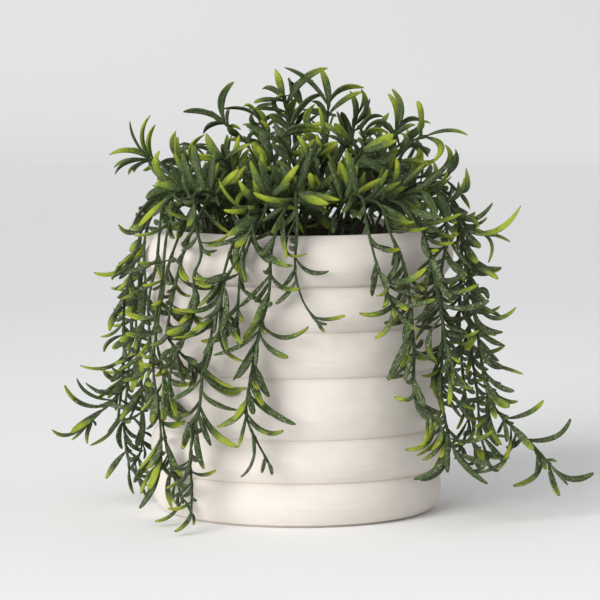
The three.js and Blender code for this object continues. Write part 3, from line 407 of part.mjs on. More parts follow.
  ["trailing_stem_18", [[22,-44,135.11], [22.11,-44.22,141.66], [22.81,-45.7,145.22], [24.61,-49.39,149.44], [26.86,-53.85,152.57], [31.13,-61.99,156.05], [35.01,-68.73,157.18], [38.25,-73.56,156.37], [40.41,-75.73,154.02], [44.58,-75.51,141.47], [49.43,-75.01,131.24], [52.11,-74.52,120.23], [55.71,-73.12,88.16], [55.5,-72.38,71.01], [56.13,-72.14,65.33], [58.93,-71.89,60.37], [66.78,-71.4,52.02], [73.93,-70.82,40.68], [86.01,-70,25.77]], [
    [52.5,-74.4,117.59,43.5,-78.38,100.41,29.48,-78.44,104.69,4,2.3,-0.22,-0.75,0.62,0.47],
    [52.56,-74.38,117.09,55.29,-76.36,115.64,58.81,-75.24,114.81,3.55,1.78,-0.24,-0.92,-0.3,0.05],
    [52.76,-74.3,115.19,51.44,-77.25,111.53,48.03,-78.21,106.9,3.68,2.18,-0.67,-0.61,0.42,0.14],
    [53.01,-74.18,112.32,54.31,-78.9,107.11,54.51,-77.81,101.3,4,1.97,-0.36,0.87,-0.34,0.15],
    [54.81,-73.47,96.12,50.85,-73.47,87.28,43.38,-73.47,71.78,4.98,2.3,-0.74,0.57,0.35,0.15],
    [55.85,-72.97,84.61,52.67,-77.42,79,51.12,-76.57,72.54,4.42,2.3,-0.42,0.9,0.12,0.15],
    [55.54,-72.35,70.22,57.48,-77.79,60.24,46.41,-75.64,64.48,2.98,1.9,-0.99,0.1,0.09,0.45],
    [56.12,-72.14,65.38,57.34,-73.66,55.3,63.7,-75.1,53.84,4,2.3,-0.71,-0.63,-0.31,0.19],
    [64.02,-71.57,54.91,68.15,-72.69,38.96,51.56,-72.74,38.9,4,2.3,-0.4,0.88,0.25,0.57],
    [69.73,-71.17,47.6,68.97,-70.86,37.18,59.71,-71.43,33.67,4,2.3,-0.39,0.88,0.26,0.43],
    [72.58,-70.93,42.75,70.53,-76.31,27.55,55.46,-73.79,24.8,3.55,1.78,-0.99,0.13,0,0.09],
    [73.75,-70.84,40.95,71.32,-70.84,25.09,58.82,-70.84,23.97,4,1.97,-0.23,0.95,0.2,0.15],
    [72.04,-70.97,43.68,70.84,-78.5,36.45,71.54,-79.78,28.76,4.42,2.3,-0.87,-0.42,0.27,0.08],
    [74.13,-70.81,40.41,76.59,-75.47,31.81,91.21,-71.15,22.09,4,2.3,-0.55,-0.66,-0.5,0.08],
    [55.81,-73.05,86.53,60.48,-75.94,84.23,66.6,-73.03,80.33,3.16,1.6,-0.25,0.87,-0.43,0.17],
    [55.58,-72.55,74.89,54.46,-68.28,68.6,52.97,-61.07,70.8,4.78,2.05,0.95,0.27,0.17,0.11],
    [67.78,-71.33,50.69,67.82,-66.49,44.95,62.53,-61.22,45.76,4.64,2.05,0.65,0.58,0.49,0.06],
    [58.43,-71.93,61.06,63.4,-65.5,55.17,68.54,-58.82,55,4.67,2.05,0.74,-0.03,0.67,0.43],
    [41.27,-75.99,152.11,48.24,-79.57,147.15,55.77,-84.87,148.26,4.9,2.05,-0.5,-0.86,0.08,0.55],
    [43.71,-75.64,144.5,49.56,-77.53,142.07,54.61,-80,145.56,4.04,2.05,-0.38,-0.92,0.13,0.15],
    [47.35,-75.23,135.78,47.51,-76.89,128.55,45.4,-79.7,122.01,4.11,2.05,-0.34,0.91,-0.25,0.16],
    [80.9,-70.34,31.91,85.02,-64.59,29.91,85.04,-58.13,33.4,4.15,2.05,0.79,-0.33,0.52,0.19],
    [55.59,-73.17,89.35,58.22,-65.06,85.4,60.09,-57.01,89.9,4.42,2.05,0.95,-0.27,0.18,0.91],
    [55.14,-73.35,93.32,53.01,-67.99,84.44,49.61,-62.79,75.64,4.02,1.79,0.6,0.76,-0.26,0.89],
    [83.45,-70.17,28.83,87.78,-65.33,27.59,90.31,-59.58,29.49,4.82,2.05,0.85,-0.35,0.4,0.77],
    [78.05,-70.53,35.38,81.56,-63.47,33.15,79.26,-57.27,38,4.22,2.05,0.7,-0.2,0.68,0.08],
    [50.46,-74.86,127.91,48.68,-75.07,121.18,42.58,-74.99,118.95,5.06,2.05,-0.52,0.85,0.11,0.22],
    [42.55,-75.82,148.32,48.45,-73.66,146.26,55.42,-68.42,145.74,4.66,1.95,0.96,0.15,-0.22,0.94],
    [55.75,-72.77,79.88,52.07,-74.83,76.5,49.24,-68.63,77.94,2.24,1.45,0.37,0.15,0.92,0.15],
    [53.62,-73.91,106.21,53.41,-69.27,101.85,52.37,-63.06,102.79,4.6,2.05,0.99,0.07,-0.15,0.17],
    [51.39,-74.69,124.03,51.19,-67.94,117.27,47.36,-65.24,113.81,3.72,1.7,0.92,0.21,-0.32,0.47],
    [54,-73.76,102.73,48.34,-73.04,98.6,41.39,-72.79,99.54,4.58,2.05,-0.79,0.51,0.33,0.18],
    [25.56,-51.29,150.9,28.12,-59.39,152.37,27.82,-65.41,148.77,4.99,2.05,0.96,-0.08,0.25,0.93],
    [33.7,-66.54,157.01,40.02,-68.02,164.29,43.33,-62.9,171.9,4.16,2.05,-0.52,-0.69,0.5,0.53]]],
  ["trailing_stem_19", [[47,10,135.34], [47.39,10.01,143.83], [50.07,10.07,151.14], [54.91,10.13,157.23], [59.89,10.15,160.28], [63.72,10.12,160.99], [69.28,10,159.39], [75.82,9.77,154.87], [78.38,9.66,151.81], [80.23,9.54,148.29], [82,9.26,138.5], [81.14,8,94.52], [81.57,7.6,80.49], [85.84,6.51,42.55], [87.83,6.23,32.68], [90.15,6,24.96]], [
    [85.5,6.59,45.04,90.89,2.06,38.07,84.61,2.02,32.53,4.07,2.3,0.03,-0.98,-0.18,0.5],
    [82.07,9.03,130.67,81.66,14.29,126.24,81.07,20.38,129.4,4.94,2.05,0.99,0.09,0.06,0.12],
    [85.14,6.68,48.38,87.66,13.73,43.61,88.93,20.46,49.25,4.72,2.05,0.91,-0.27,0.33,0.2],
    [65.81,10.09,160.76,73.16,16.84,159.83,74.34,26.78,160.47,3.95,2.05,0.33,-0.15,0.93,0.14],
    [81.64,7.58,79.69,80.02,15.08,73.38,77.32,24.55,74.74,4.74,2.05,0.96,0.26,0.05,0.93],
    [51.52,10.09,153.39,51.87,8.57,160.18,48.6,6.04,165.79,4.7,2.05,0.57,-0.81,-0.13,0.18],
    [82,8.78,121.67,80.75,13.61,117.43,79.81,18.93,121.13,4.8,2.05,0.84,0.15,-0.52,0.18],
    [82.5,7.35,71.74,85.23,14.19,66.96,87.45,22.38,69.26,4.25,2.05,0.95,-0.32,-0.06,0.45],
    [81.14,7.98,93.68,80.06,11,85.3,77.78,18.02,80.19,4.98,2.05,0.98,0.13,-0.15,0.13],
    [61.35,10.14,160.68,63.67,9.25,168.42,58.76,9.64,174.64,4.39,1.95,0.15,-0.98,-0.09,0.86],
    [86.54,6.4,38.48,86.16,12.45,33.18,84.18,20.12,34.57,5.31,2.05,0.68,0.31,0.66,0.59],
    [79.75,9.58,149.38,83.31,12.91,144.02,84.73,19.84,145.61,5.02,2.05,0.86,-0.25,0.45,0.21],
    [82.08,7.45,75.21,84.31,13.75,71.06,86.19,21.26,72.5,4.23,2.05,0.95,-0.3,-0.09,0.86],
    [81.44,8.39,108.18,78.69,0.78,102.85,75.57,-8.07,105.31,5.25,2.05,-0.92,0.36,-0.17,0.43],
    [83.07,7.21,66.77,85.4,-0.67,62.47,86.25,-9.59,69.15,4.15,2.05,-0.58,0.6,0.55,0.55],
    [84.6,6.82,53.35,89.83,10.15,50.61,94.63,13.81,53.7,5.19,2.05,0.51,-0.7,-0.5,0.16],
    [82.03,9.16,135.17,79.27,14.89,128.7,75.55,22.86,130.93,4.17,2.05,0.86,0.47,0.19,0.21],
    [88.82,6.13,29.26,90.41,9.3,22.78,91.84,13.07,16.58,3.98,2.05,0.94,0.15,0.3,0.2],
    [81.3,8.23,102.68,81.62,5.24,97.87,84.32,-1.46,96.91,3.27,1.58,-0.89,-0.34,-0.3,0.22],
    [77.65,9.69,152.77,78.37,17.1,146.17,75.64,26.09,142.9,3.85,2.05,0.95,0.24,0.2,0.14],
    [57.66,10.15,159.18,58,10.41,166.7,55.82,10.71,173.89,4.53,2.05,-0.39,-0.92,-0.01,0.47],
    [84.15,6.94,57.33,83.35,-0.98,52.31,81.59,-10.13,53.58,5.11,2.05,-0.94,0.2,-0.29,0.04],
    [81.31,7.72,84.68,82.14,5.28,75.46,85.89,-8.49,77.02,3.85,2.05,-0.81,-0.24,-0.53,0.09],
    [83.58,7.08,62.3,86.28,12.1,56.87,89.33,18.92,54.36,4.38,2.05,0.93,-0.33,0.18,0.21],
    [81.18,8.09,97.68,79.54,3.89,92.08,76.99,-2.74,93.19,4.39,2.05,-0.94,0.32,0.12,0.14],
    [69.93,9.98,159,75.93,2.55,158,73.52,-7.87,160.09,3.99,1.79,0.06,0.91,-0.4,0.46],
    [87.72,6.24,33.11,89.03,0.57,28.01,90.62,-12.25,31.66,4.22,2.05,-0.73,-0.68,-0.01,0.21],
    [81.74,8.65,117.18,78.24,13.2,109.25,73.19,21.39,111.07,4.44,2.05,0.85,0.42,-0.31,0.78],
    [54.1,10.13,156.44,64.01,12.96,157.67,73.35,15.19,154.71,4.61,2.05,-0.84,0.32,0.44,0.75],
    [81.17,7.83,88.68,88.5,5.15,83.46,96.81,2.31,86.79,3.99,2.05,-0.32,-0.94,0.12,0.45],
    [74.15,9.84,156.33,78.71,14.34,155.26,77.7,19.7,158.78,4.01,2.05,0.3,-0.33,0.9,0.59],
    [81.54,8.52,112.68,82.65,12.52,105.84,85.04,20.13,106.51,4.91,2.05,0.96,-0.27,0.05,0.42],
    [81.24,9.43,144.62,80.21,16.23,137.42,76.7,25.51,138.31,5.15,2.05,0.83,0.39,0.4,0.57],
    [82.11,8.92,126.67,81.9,4.37,120.7,81.56,-3.06,121.77,5.08,2.05,-1,0.04,0.02,0.5]]],
  ["trailing_stem_20", [[47,-6,135.48], [47.38,-6.42,144.03], [49.09,-8.27,149.46], [50.82,-10.04,152.61], [54.1,-13.15,156.57], [59.63,-17.7,160.15], [64.71,-20.82,160.8], [68.27,-22.09,159.55], [75.62,-22.53,153.18], [80.09,-22.52,146.83], [82.14,-22.51,141.38], [83.46,-22.54,133.72], [83.77,-22.86,104.53], [85.71,-23.23,79.23], [88.42,-23.51,59.85], [89.72,-23.74,44.22], [91.46,-23.89,34.57], [94.39,-24,27.29]], [
    [90.91,-23.85,36.67,97.54,-30.2,41.75,105.89,-18.85,36.04,2.23,1.54,0.58,-0.51,-0.63,0.56],
    [90.35,-23.81,39.62,97.12,-23.81,30.98,102.76,-23.81,25.28,4,2.3,-0.62,0.58,-0.53,0.14],
    [91.92,-23.91,33.22,93.72,-29.48,22.18,99.08,-28.74,22.42,3.68,2.06,-0.22,0.92,-0.32,0.16],
    [93.09,-23.95,30.33,94.08,-21.45,28.27,99.16,-19.36,26.64,3.16,1.6,-0.67,0.68,-0.3,0.48],
    [84.98,-23.1,88.23,83.39,-27.95,83.57,80.81,-34,85.01,4.35,2.05,-0.45,-0.13,-0.88,0.17],
    [50.76,-9.98,152.51,58.62,-13.28,152.07,66.49,-16.18,150.51,5,2.05,0.34,0.63,0.69,0.17],
    [53.71,-12.8,156.18,61.8,-10.54,158.41,69.12,-12.45,158.08,4.31,1.95,0.69,0.02,0.72,0.55],
    [84.37,-22.96,97.71,85.22,-29.38,92.66,85.64,-37.53,93.64,4.73,2.05,-0.93,0.02,-0.37,0.12],
    [84.7,-23.02,93.22,81.61,-25.15,85.71,74.4,-29.33,84.67,4.45,2.05,-0.55,0.84,0.04,0.46],
    [89.33,-23.67,49.02,92.75,-17.22,43.02,96.67,-9.12,40.12,4.88,2.05,0.92,-0.35,0.18,0.52],
    [83.66,-22.65,120.66,85.21,-30.62,115.87,86.81,-37.47,122.14,3.95,2.05,-0.91,-0.16,0.38,0.13],
    [87.22,-23.39,68.38,86.14,-29.36,63.57,83.67,-35.53,67.54,4.46,2.05,-0.95,0.29,-0.1,0.93],
    [88.97,-23.61,53.5,91.81,-18.66,48.82,94.73,-12.32,51.2,4.41,2.05,0.62,-0.45,-0.64,0.21],
    [60.67,-18.42,160.45,66.42,-18.8,164.1,68.22,-13.76,168.33,5.35,2.05,-0.55,-0.37,0.75,0.15],
    [77.81,-22.54,150.46,78.61,-27.78,145.32,74.49,-32.81,144.77,4.48,2.05,-0.63,0.75,0.17,0.16],
    [86.48,-23.32,73.32,88.64,-28.05,68.18,90.31,-34.78,70.5,4.79,2.05,-0.9,-0.36,0.25,0.9],
    [83.66,-22.83,106.67,82.66,-15.34,102.11,81.3,-6.71,101.52,4.66,2.05,0.68,-0.69,-0.25,0.03],
    [87.95,-23.46,63.44,90.08,-30.29,59.57,91.57,-38,61.69,4.39,2.05,-0.96,-0.25,0.09,0.19],
    [82.88,-22.52,138.1,85.19,-28.11,133.21,87.01,-35.65,133.72,3.96,2.05,-0.91,-0.36,0.22,0.41],
    [71.58,-22.39,156.91,73.23,-29.23,148.69,65.41,-28.49,143.12,3.17,1.79,0.64,0.61,0.46,0.09],
    [89.69,-23.74,44.53,90.47,-18.01,37.33,88.64,-12.5,37.59,4.19,1.95,0.93,-0.22,-0.3,0.84],
    [88.55,-23.53,58.48,90.66,-20.25,52.69,93.45,-13.96,53.85,4.14,2.05,0.88,-0.25,0.42,0.9],
    [79.94,-22.52,147.09,84.8,-18.66,144.71,87.53,-13.75,148.25,3.91,2.05,0.75,-0.61,-0.26,0.57],
    [83.52,-22.77,111.16,82.52,-27.42,106.05,80.94,-33.65,108.4,4.57,2.05,0.09,0.65,-0.75,0.76],
    [85.34,-23.17,83.25,86.55,-18.05,77.62,87.27,-11.12,80.89,4.31,2.05,0.99,-0.16,0,0.51],
    [85.82,-23.24,78.27,89.27,-29.96,71.83,92.84,-39.08,73.41,4.54,2.05,-0.91,-0.32,-0.28,0.84],
    [81.81,-22.51,142.46,86.25,-27.56,139.16,87.93,-32.61,144.54,5.3,2.05,-0.14,-0.66,-0.73,0.55],
    [48.88,-8.04,148.93,57.32,-5.57,151.67,63.16,0.19,147.45,3.88,2.05,-0.33,0.69,0.65,0.21],
    [64.95,-20.92,160.74,69.76,-24.77,165.94,66.42,-25.07,173.28,4.54,2.05,-0.5,-0.84,-0.22,0.48],
    [83.69,-22.56,130.15,87.56,-21.21,121.67,95.99,-17.89,119.09,4.89,2.05,0.56,-0.77,0.29,0.19],
    [83.95,-22.89,102.18,85.41,-17.4,96.98,86.55,-10.06,99.07,4.69,2.05,0.96,-0.13,0.25,0.18]]],
  ["trailing_stem_21", [[43,-22,135.29], [43.09,-22.16,141.85], [43.71,-23.23,145.59], [44.76,-24.97,148.96], [47.7,-29.54,154.65], [52.53,-36.19,160.06], [57.51,-41.67,162.7], [62.21,-45.12,162.68], [65.49,-46,160.81], [71.18,-45.9,155.67], [76.78,-45.78,147.91], [80.18,-45.63,136.91], [90.64,-44.77,70.12], [92.89,-44.64,60.69], [94.57,-44.59,57.19], [97.97,-44.52,52.47], [116.17,-44.2,34.94], [122.62,-44.07,27.65]], [
    [100.58,-44.47,49.78,113.8,-45.62,51.15,119.33,-45.19,59.14,4,2.3,0.23,-0.82,-0.52,0.5],
    [112.29,-44.27,38.77,127.78,-44.27,37.55,132.53,-44.27,50,4,2.17,0.17,-0.94,-0.3,0.06],
    [118.38,-44.16,32.65,120.37,-44.74,20.51,104.86,-45.06,17.13,4,2.3,-0.45,0.82,0.34,0.54],
    [122.4,-44.08,27.93,131.8,-44.36,15.67,144.15,-43.56,23.35,3.68,2.17,-0.69,-0.07,-0.72,0.12],
    [122.21,-44.08,28.17,123.77,-41.51,18.93,127.06,-47.61,12.71,4.58,2.18,-0.87,-0.49,-0.02,0.47],
    [121.11,-44.1,29.54,123.9,-43.22,30.17,126.16,-44.11,28.74,2.76,1.6,0.14,0.22,-0.97,0.57],
    [122.21,-44.08,28.17,127.16,-47.93,23.47,131.26,-48.05,18.08,3.16,1.6,-0.18,0.85,-0.49,0.08],
    [100.95,-44.46,49.43,103.26,-47.1,48.36,104.98,-47.65,48.26,2.76,1.6,-0.62,-0.79,0.01,0.06],
    [100.69,-44.47,49.67,98.45,-40.77,43.81,97.39,-42.37,42.71,2.91,1.52,-0.47,0.88,0.06,0.11],
    [92,-44.68,63.57,91.34,-46.03,44.57,99.32,-46.52,37.38,4.15,2.3,-0.79,0.56,-0.26,0.54],
    [78.71,-45.71,142.6,97.1,-52.25,134.46,107.86,-46.94,153.79,4,2.3,0.71,-0.65,-0.27,0.83],
    [78.86,-45.7,142.06,99.34,-43.62,140.76,92.09,-47.4,125.84,2.53,1.77,-0.53,-0.85,0.03,0.54],
    [81.11,-45.56,131.82,85.46,-48.15,120.91,98.71,-48.13,123.65,4,2.3,-0.36,-0.76,-0.54,0.1],
    [81.61,-45.52,128.51,85.94,-44.22,115.78,96.91,-44.33,122.86,3.68,2.06,-0.23,-0.93,-0.27,0.44],
    [82.34,-45.44,122.68,90.33,-53.2,123.85,96.39,-55.07,118.72,4,2.3,-0.59,-0.72,-0.36,0.52],
    [76.08,-45.8,149.23,85.8,-45.03,141.76,94.1,-48.66,154.93,3.24,2.01,0.5,0.64,-0.59,0.06],
    [76.87,-45.78,147.71,85.07,-51.26,148.95,87.29,-52.87,143.02,4,2.3,0.13,0.67,-0.73,0.57],
    [78.88,-45.7,141.98,83.89,-48.09,137.59,88.24,-48.48,133.17,4.58,2.18,-0.68,0.29,-0.67,0.46],
    [78.72,-45.7,142.55,88.89,-45.7,143.95,91.51,-45.7,147.8,2.76,1.6,0.08,-0.98,-0.19,0.43],
    [79.41,-45.67,140.06,95.36,-39.16,140.83,102.8,-43.2,135.56,3.16,1.6,0.02,-0.93,-0.38,0.51],
    [84.52,-45.27,109.15,90.89,-43.82,116.31,92.31,-45.77,108.22,4,2.3,-0.19,-0.32,-0.93,0.06],
    [84.94,-45.24,106.71,94.84,-48.06,92.73,105.6,-47.5,104.52,4,2.17,-0.14,-0.91,-0.39,0.45],
    [85.5,-45.19,103.33,86.04,-50.14,91.98,99.42,-47.46,92.42,4.42,2.3,-0.57,-0.56,-0.6,0.07],
    [86.9,-45.08,94.58,92.01,-47.93,87.63,99.97,-46.98,86.07,4,2.3,-0.48,-0.65,-0.59,0.08],
    [87.72,-45.01,89.24,92.23,-41.8,81.87,97.71,-45.28,78.1,4,2.3,-0.81,-0.33,0.49,0.15],
    [88.98,-44.91,81.47,94.87,-42.06,72.81,100.87,-43.76,75.33,3.24,1.9,0.07,-0.97,-0.22,0.17],
    [89.59,-44.86,77.59,102.4,-50.85,75.36,109.12,-48.42,72.17,3.55,1.78,0,0.84,-0.54,0.52],
    [89.87,-44.84,75.61,94.62,-43.98,64.21,105.22,-45.77,63.58,3.68,2.18,0.44,-0.35,-0.83,0.15],
    [90.32,-44.79,72.2,92.76,-50.92,58.66,102.82,-50.29,56.87,5.53,2.3,-0.75,-0.5,-0.43,0.56],
    [91.36,-44.72,66.35,99.4,-44.72,56.66,107.04,-44.72,58.59,4,2.3,-0.28,0.77,-0.57,0.42],
    [80.51,-45.61,135.25,83.4,-50.51,129.77,86.45,-56.98,126.41,4.62,2.05,-0.89,-0.13,-0.43,0.55],
    [67.01,-45.97,159.46,70.86,-50.18,153.49,73.1,-55.93,148,5.07,2.05,-0.79,0.19,-0.58,0.08],
    [55.4,-39.52,161.87,57.7,-45.14,166.63,55.95,-49.35,172.85,4.98,2.05,-0.5,-0.66,-0.57,0.04],
    [45.96,-26.89,151.66,52.12,-32.68,150.72,57.85,-36.98,146.12,4.89,2.05,0.62,0.78,-0.09,0.53],
    [83.93,-45.31,112.54,86.97,-40.05,107.69,89.99,-32.89,107.93,5.1,2.05,0.9,-0.44,0,0.47],
    [81.93,-45.49,125.87,81.15,-50.84,121.12,79.26,-57.5,123.09,3.96,2.05,-0.96,0.24,-0.13,0.92],
    [88.32,-44.96,85.42,88.57,-39.51,78.22,86.93,-30.64,78.78,5.36,2.05,1,0.1,0,0.9],
    [102.63,-44.44,47.86,109.34,-48.47,41.31,113.9,-56.02,36.17,4.4,2.05,-0.71,0.03,-0.71,0.44],
    [86.16,-45.14,99.24,88.59,-39.78,93.26,91,-32.07,92.5,4.03,2.05,0.84,-0.51,-0.19,0.56],
    [49.81,-32.58,157.42,57.6,-36.91,155,63.31,-36.95,147.74,5.34,2.05,0.62,0.3,0.73,0.59],
    [63.04,-45.44,162.32,69.69,-48.04,163.36,72.41,-49.15,169.95,3.92,2.05,-0.42,-0.9,0.08,0.51],
    [52.4,-36.02,159.95,49.72,-40.31,167.19,41.71,-37.69,169.86,4.86,2.05,-0.58,-0.42,-0.7,0.04],
    [96.73,-44.54,53.95,101.14,-50.58,50.22,101.18,-58.54,52.74,3.86,2.05,-0.63,-0.14,-0.76,0.87],
    [58.89,-42.89,162.97,60.09,-50.35,162.68,57.68,-57.43,161.82,5.32,2.05,0.54,-0.69,-0.49,0.49]]],
  ["trailing_stem_22", [[21.6,40.62,135.75], [21.6,40.62,144.35], [24.26,45.63,153.66], [26.55,49.94,157.92], [29.41,55.31,160.28], [31.44,59.13,160.71], [32.44,61.02,160.31], [34.13,64.19,157.93], [35.96,67.63,152.69], [37.81,71.11,144.91], [38.67,72.06,138.53], [38.4,72.22,132], [34.41,74.68,119.81], [33.76,75.35,111.16], [35.04,75.07,102.55], [39.74,73.19,90.49], [44.17,71.22,76]], [
    [35.33,74.14,122.72,38.93,76.77,114.98,45,79.17,109.12,4.7,2.05,0.38,-0.86,-0.35,0.79],
    [33.19,62.41,159.54,33.27,69.8,157.44,31.54,77.25,156.67,5.38,2.05,0.92,0.17,0.36,0.59],
    [41.78,72.3,84.07,44.73,75.45,78.88,47.36,81.54,77.64,5.39,2.05,0.84,-0.13,0.53,0.91],
    [33.76,75.34,111.51,39.44,72.89,105.8,46.41,68.77,102.4,4.22,2.05,0.28,-0.8,0.52,0.53],
    [40.15,73.01,89.27,44.8,68.6,87.21,48.87,63.84,89.72,4.35,2.05,-0.72,-0.69,-0.09,0.58],
    [35,65.83,155.7,36.91,74.74,155.07,37.31,82.33,160.13,4.44,2.05,0.84,-0.25,0.49,0.57],
    [33.99,74.98,117.47,37.39,77.08,109.46,45.59,82.83,107.7,4.84,1.95,0.69,-0.7,0.17,0.53],
    [30.71,57.76,160.66,32.1,62.65,168.67,29.86,61.17,177.78,4.96,2.05,0.97,-0.24,0.1,0.21],
    [37.64,70.79,145.72,38.68,77.59,138.3,37.07,87.67,140.7,5.12,2.05,0.81,0.57,0.15,0.05],
    [23.6,44.38,151.49,22.9,52.88,156.54,19.41,61.81,155.98,4.08,2.05,-0.69,-0.42,0.59,0.44],
    [35.96,74.72,99.81,45.12,72.32,98.48,53.92,70.22,101.59,4.18,2.05,-0.26,-0.93,0.25,0.49],
    [34.49,75.24,105.07,41.29,78.17,98.14,48.81,81.71,92.33,5.08,2.05,0.68,-0.54,0.49,0.18],
    [25.34,47.67,156.14,26.51,51.47,164.75,22.92,48.4,172.97,5.08,2.05,0.34,-0.94,0.09,0.8]]],
  ["trailing_stem_23", [[5.02,47.74,135.35], [5.02,47.74,143.95], [5.8,55.16,157.44], [6.33,60.18,161.66], [6.75,64.18,163.43], [7.2,68.5,163.48], [7.4,70.4,162.41], [7.7,73.29,159.11], [8.05,76.61,153.4], [8.43,80.15,145.34], [8.75,81.15,141.06], [8.6,81.34,132.29], [2.98,82.14,120.39], [1.91,82.36,116.13], [1.67,82.54,111.73], [2.53,82.73,105.19], [3.93,82.78,101.01], [9.2,82.74,91.33], [14.79,82.35,79.35], [15.75,82.35,75.06], [15.8,82.52,70.66], [13.98,83.13,62.07], [6.8,84.5,48.5], [1.58,85.29,34]], [
    [1.71,82.57,110.98,-2.71,85.38,102.51,-8.9,89.02,95.6,4.28,2.05,0.55,0.84,-0.03,0.09],
    [6.79,64.59,163.5,5.16,70.67,169.17,1.07,68.77,176.34,5.36,2.05,0.91,0.23,0.33,0.76],
    [14.78,82.35,79.36,22.29,87.28,77.04,25.15,91.47,84.78,5.04,2.05,0.64,0.07,-0.76,0.81],
    [15.84,82.4,73.48,19.86,81.49,65.75,28.2,78.85,65.42,5.25,2.05,-0.4,-0.89,-0.22,0.43],
    [8.11,77.19,152.21,11.13,78.68,144.77,17.72,75.18,141.42,4.56,2.05,0.18,-0.82,-0.54,0.94],
    [2.36,82.71,106.03,-0.27,88.6,100.14,-5.28,95.56,101.82,4.84,2.05,0.86,0.4,-0.32,0.47],
    [10.16,82.7,89.33,17.49,78.5,84.56,24.18,72.01,87.29,5.2,2.05,-0.6,-0.72,-0.34,0.53],
    [7.81,74.34,157.49,5.94,84.13,155.27,2.81,91.08,162.05,5.24,2.05,0.92,0.33,-0.2,0.83],
    [5.47,52,152.28,1.39,49.88,159.37,-3.94,43.4,160.34,4.07,2.05,0.67,-0.75,-0.02,0.4],
    [7.12,81.64,128.28,-0.23,86.57,123.57,-7.86,92.45,120.76,4.78,2.05,0.57,0.82,0.04,0.04],
    [13.84,83.16,61.73,13.81,80.79,56.5,19.03,74.92,52.29,2.72,1.58,-0.61,-0.63,0.47,0.86],
    [2.23,82.27,117.93,-5.32,83.6,115.66,-13.2,84.95,116.16,4.24,2.05,0.15,0.97,0.17,0.17]]],
  ["trailing_stem_24", [[-10.89,43.66,135.94], [-10.89,43.66,144.54], [-12.35,49.51,153.71], [-13.16,52.77,156.51], [-15.16,60.79,159.4], [-16.73,67.12,159.27], [-17.62,70.69,156.96], [-18.6,74.59,151.75], [-19.57,78.43,143.92], [-20.07,79.23,139.64], [-20.21,79.23,135.25], [-19.49,79.5,130.94], [-13.94,81.06,119.11], [-13.21,81.55,110.41], [-15.06,81.47,101.85], [-21.16,80.56,90.2], [-26.95,79.35,76]], [
    [-13.19,81.41,114.09,-16.58,83.74,104.77,-23.44,87.53,98.26,4.02,2.05,0.59,0.8,-0.07,0.5],
    [-15.28,81.45,101.36,-22.72,83.15,94.6,-31.97,86.72,92.22,5.01,2.05,0.49,0.73,-0.48,0.12],
    [-15.81,63.41,159.67,-21.37,69.32,163.27,-27.85,67.26,168.98,4.66,2.05,0.62,0.05,0.78,0.47],
    [-21.52,80.49,89.41,-23.07,82.89,80.37,-23.77,86.28,71.53,3.98,2.05,0.97,-0.19,-0.18,0.09],
    [-26.02,79.55,78.32,-27.28,83.02,70.16,-26.27,89.77,64.28,5.06,2.05,-0.33,-0.85,-0.42,0.19],
    [-18.52,80.99,95.17,-26,79.73,93.84,-32.85,78.54,97.15,4.85,2.05,-0.11,0.94,0.33,0.04]]],
  ["trailing_stem_25", [[-26.84,39.79,135.35], [-26.84,39.79,143.95], [-31.17,46.21,157.15], [-34.1,50.55,161.06], [-36.39,53.95,162.58], [-38.79,57.51,162.26], [-39.83,59.04,161.12], [-42.08,62.39,155.96], [-43.83,64.99,150.18], [-45.24,67.11,144.13], [-45.45,67.93,139.85], [-45.35,68.04,135.47], [-45.97,67.71,131.16], [-50.85,64.63,119.38], [-51.77,64.36,110.72], [-50.56,65.63,102.16], [-42,72.3,80.68], [-41.01,73.06,76.49], [-40.84,73.36,72.13], [-41.34,73.27,67.78], [-42.93,72.56,61.45], [-49.31,68.99,48]], [
    [-27.76,41.16,146.88,-27.15,49.06,152.82,-21.78,56.24,148.62,4.78,2.05,-0.51,0.3,-0.8,0.07],
    [-43.17,71.48,83.85,-43.48,74.35,76.87,-46.61,77.69,70.86,4.41,2.05,0.18,0.9,0.38,0.46],
    [-46.69,67.32,129.07,-54.43,66.07,124.78,-62.18,66.66,129.2,5.38,2.05,-0.04,0.99,-0.14,0.92],
    [-49.58,66.47,99.35,-46.38,72.54,95.18,-44.69,79.92,97.86,5.18,2.05,0.87,-0.27,0.42,0.84],
    [-51.19,64.45,117.82,-53.7,66.01,112.26,-56.62,71.4,109.39,4.05,2.05,0.85,0.5,-0.2,0.42],
    [-29.06,43.08,151.31,-32.22,42.07,157.23,-38.77,38.76,157.48,3.6,1.89,-0.23,-0.66,-0.71,0.59],
    [-33.61,49.82,160.54,-35.64,49.87,167.35,-35.09,45.25,172.72,4.17,2.05,0.7,0.64,0.32,0.2],
    [-48.02,69.72,50.61,-45.13,68.32,44.98,-39.14,67.78,42.52,4.91,2.05,0.51,-0.45,0.74,0.85],
    [-44.63,66.16,147.05,-44.04,65.18,140.72,-40.93,64.7,135.4,3.95,2.05,-1,-0.01,0.06,0.04],
    [-51.77,64.33,111.36,-54.38,67.75,106.8,-58.06,72.36,104.66,4.86,2.05,0.83,0.53,-0.15,0.54],
    [-41.25,72.86,77.8,-36.74,75.04,71.92,-29.59,78.51,72.03,3.83,2.05,0.52,-0.83,-0.19,0.08]]],
  ["trailing_stem_26", [[38.63,31.96,134.91], [38.63,31.96,139.51], [37.54,31.5,143.75], [42.92,36.02,157.38], [46.44,38.97,162.05], [49.34,41.4,164.23], [52.63,44.16,164.57], [54.08,45.38,163.51], [56.26,47.21,160.2], [59.49,49.92,152.52], [62,52.05,144.39], [62.45,52.71,140.09], [62.78,52.49,131.36], [65.58,49.52,121.2], [66.34,48.78,116.95], [66.64,48.92,108.21], [66.01,50.1,101.78], [61.24,56.9,81.49], [60.45,58.21,72.9], [61.81,57.32,62.09], [66.13,53.08,48]], [
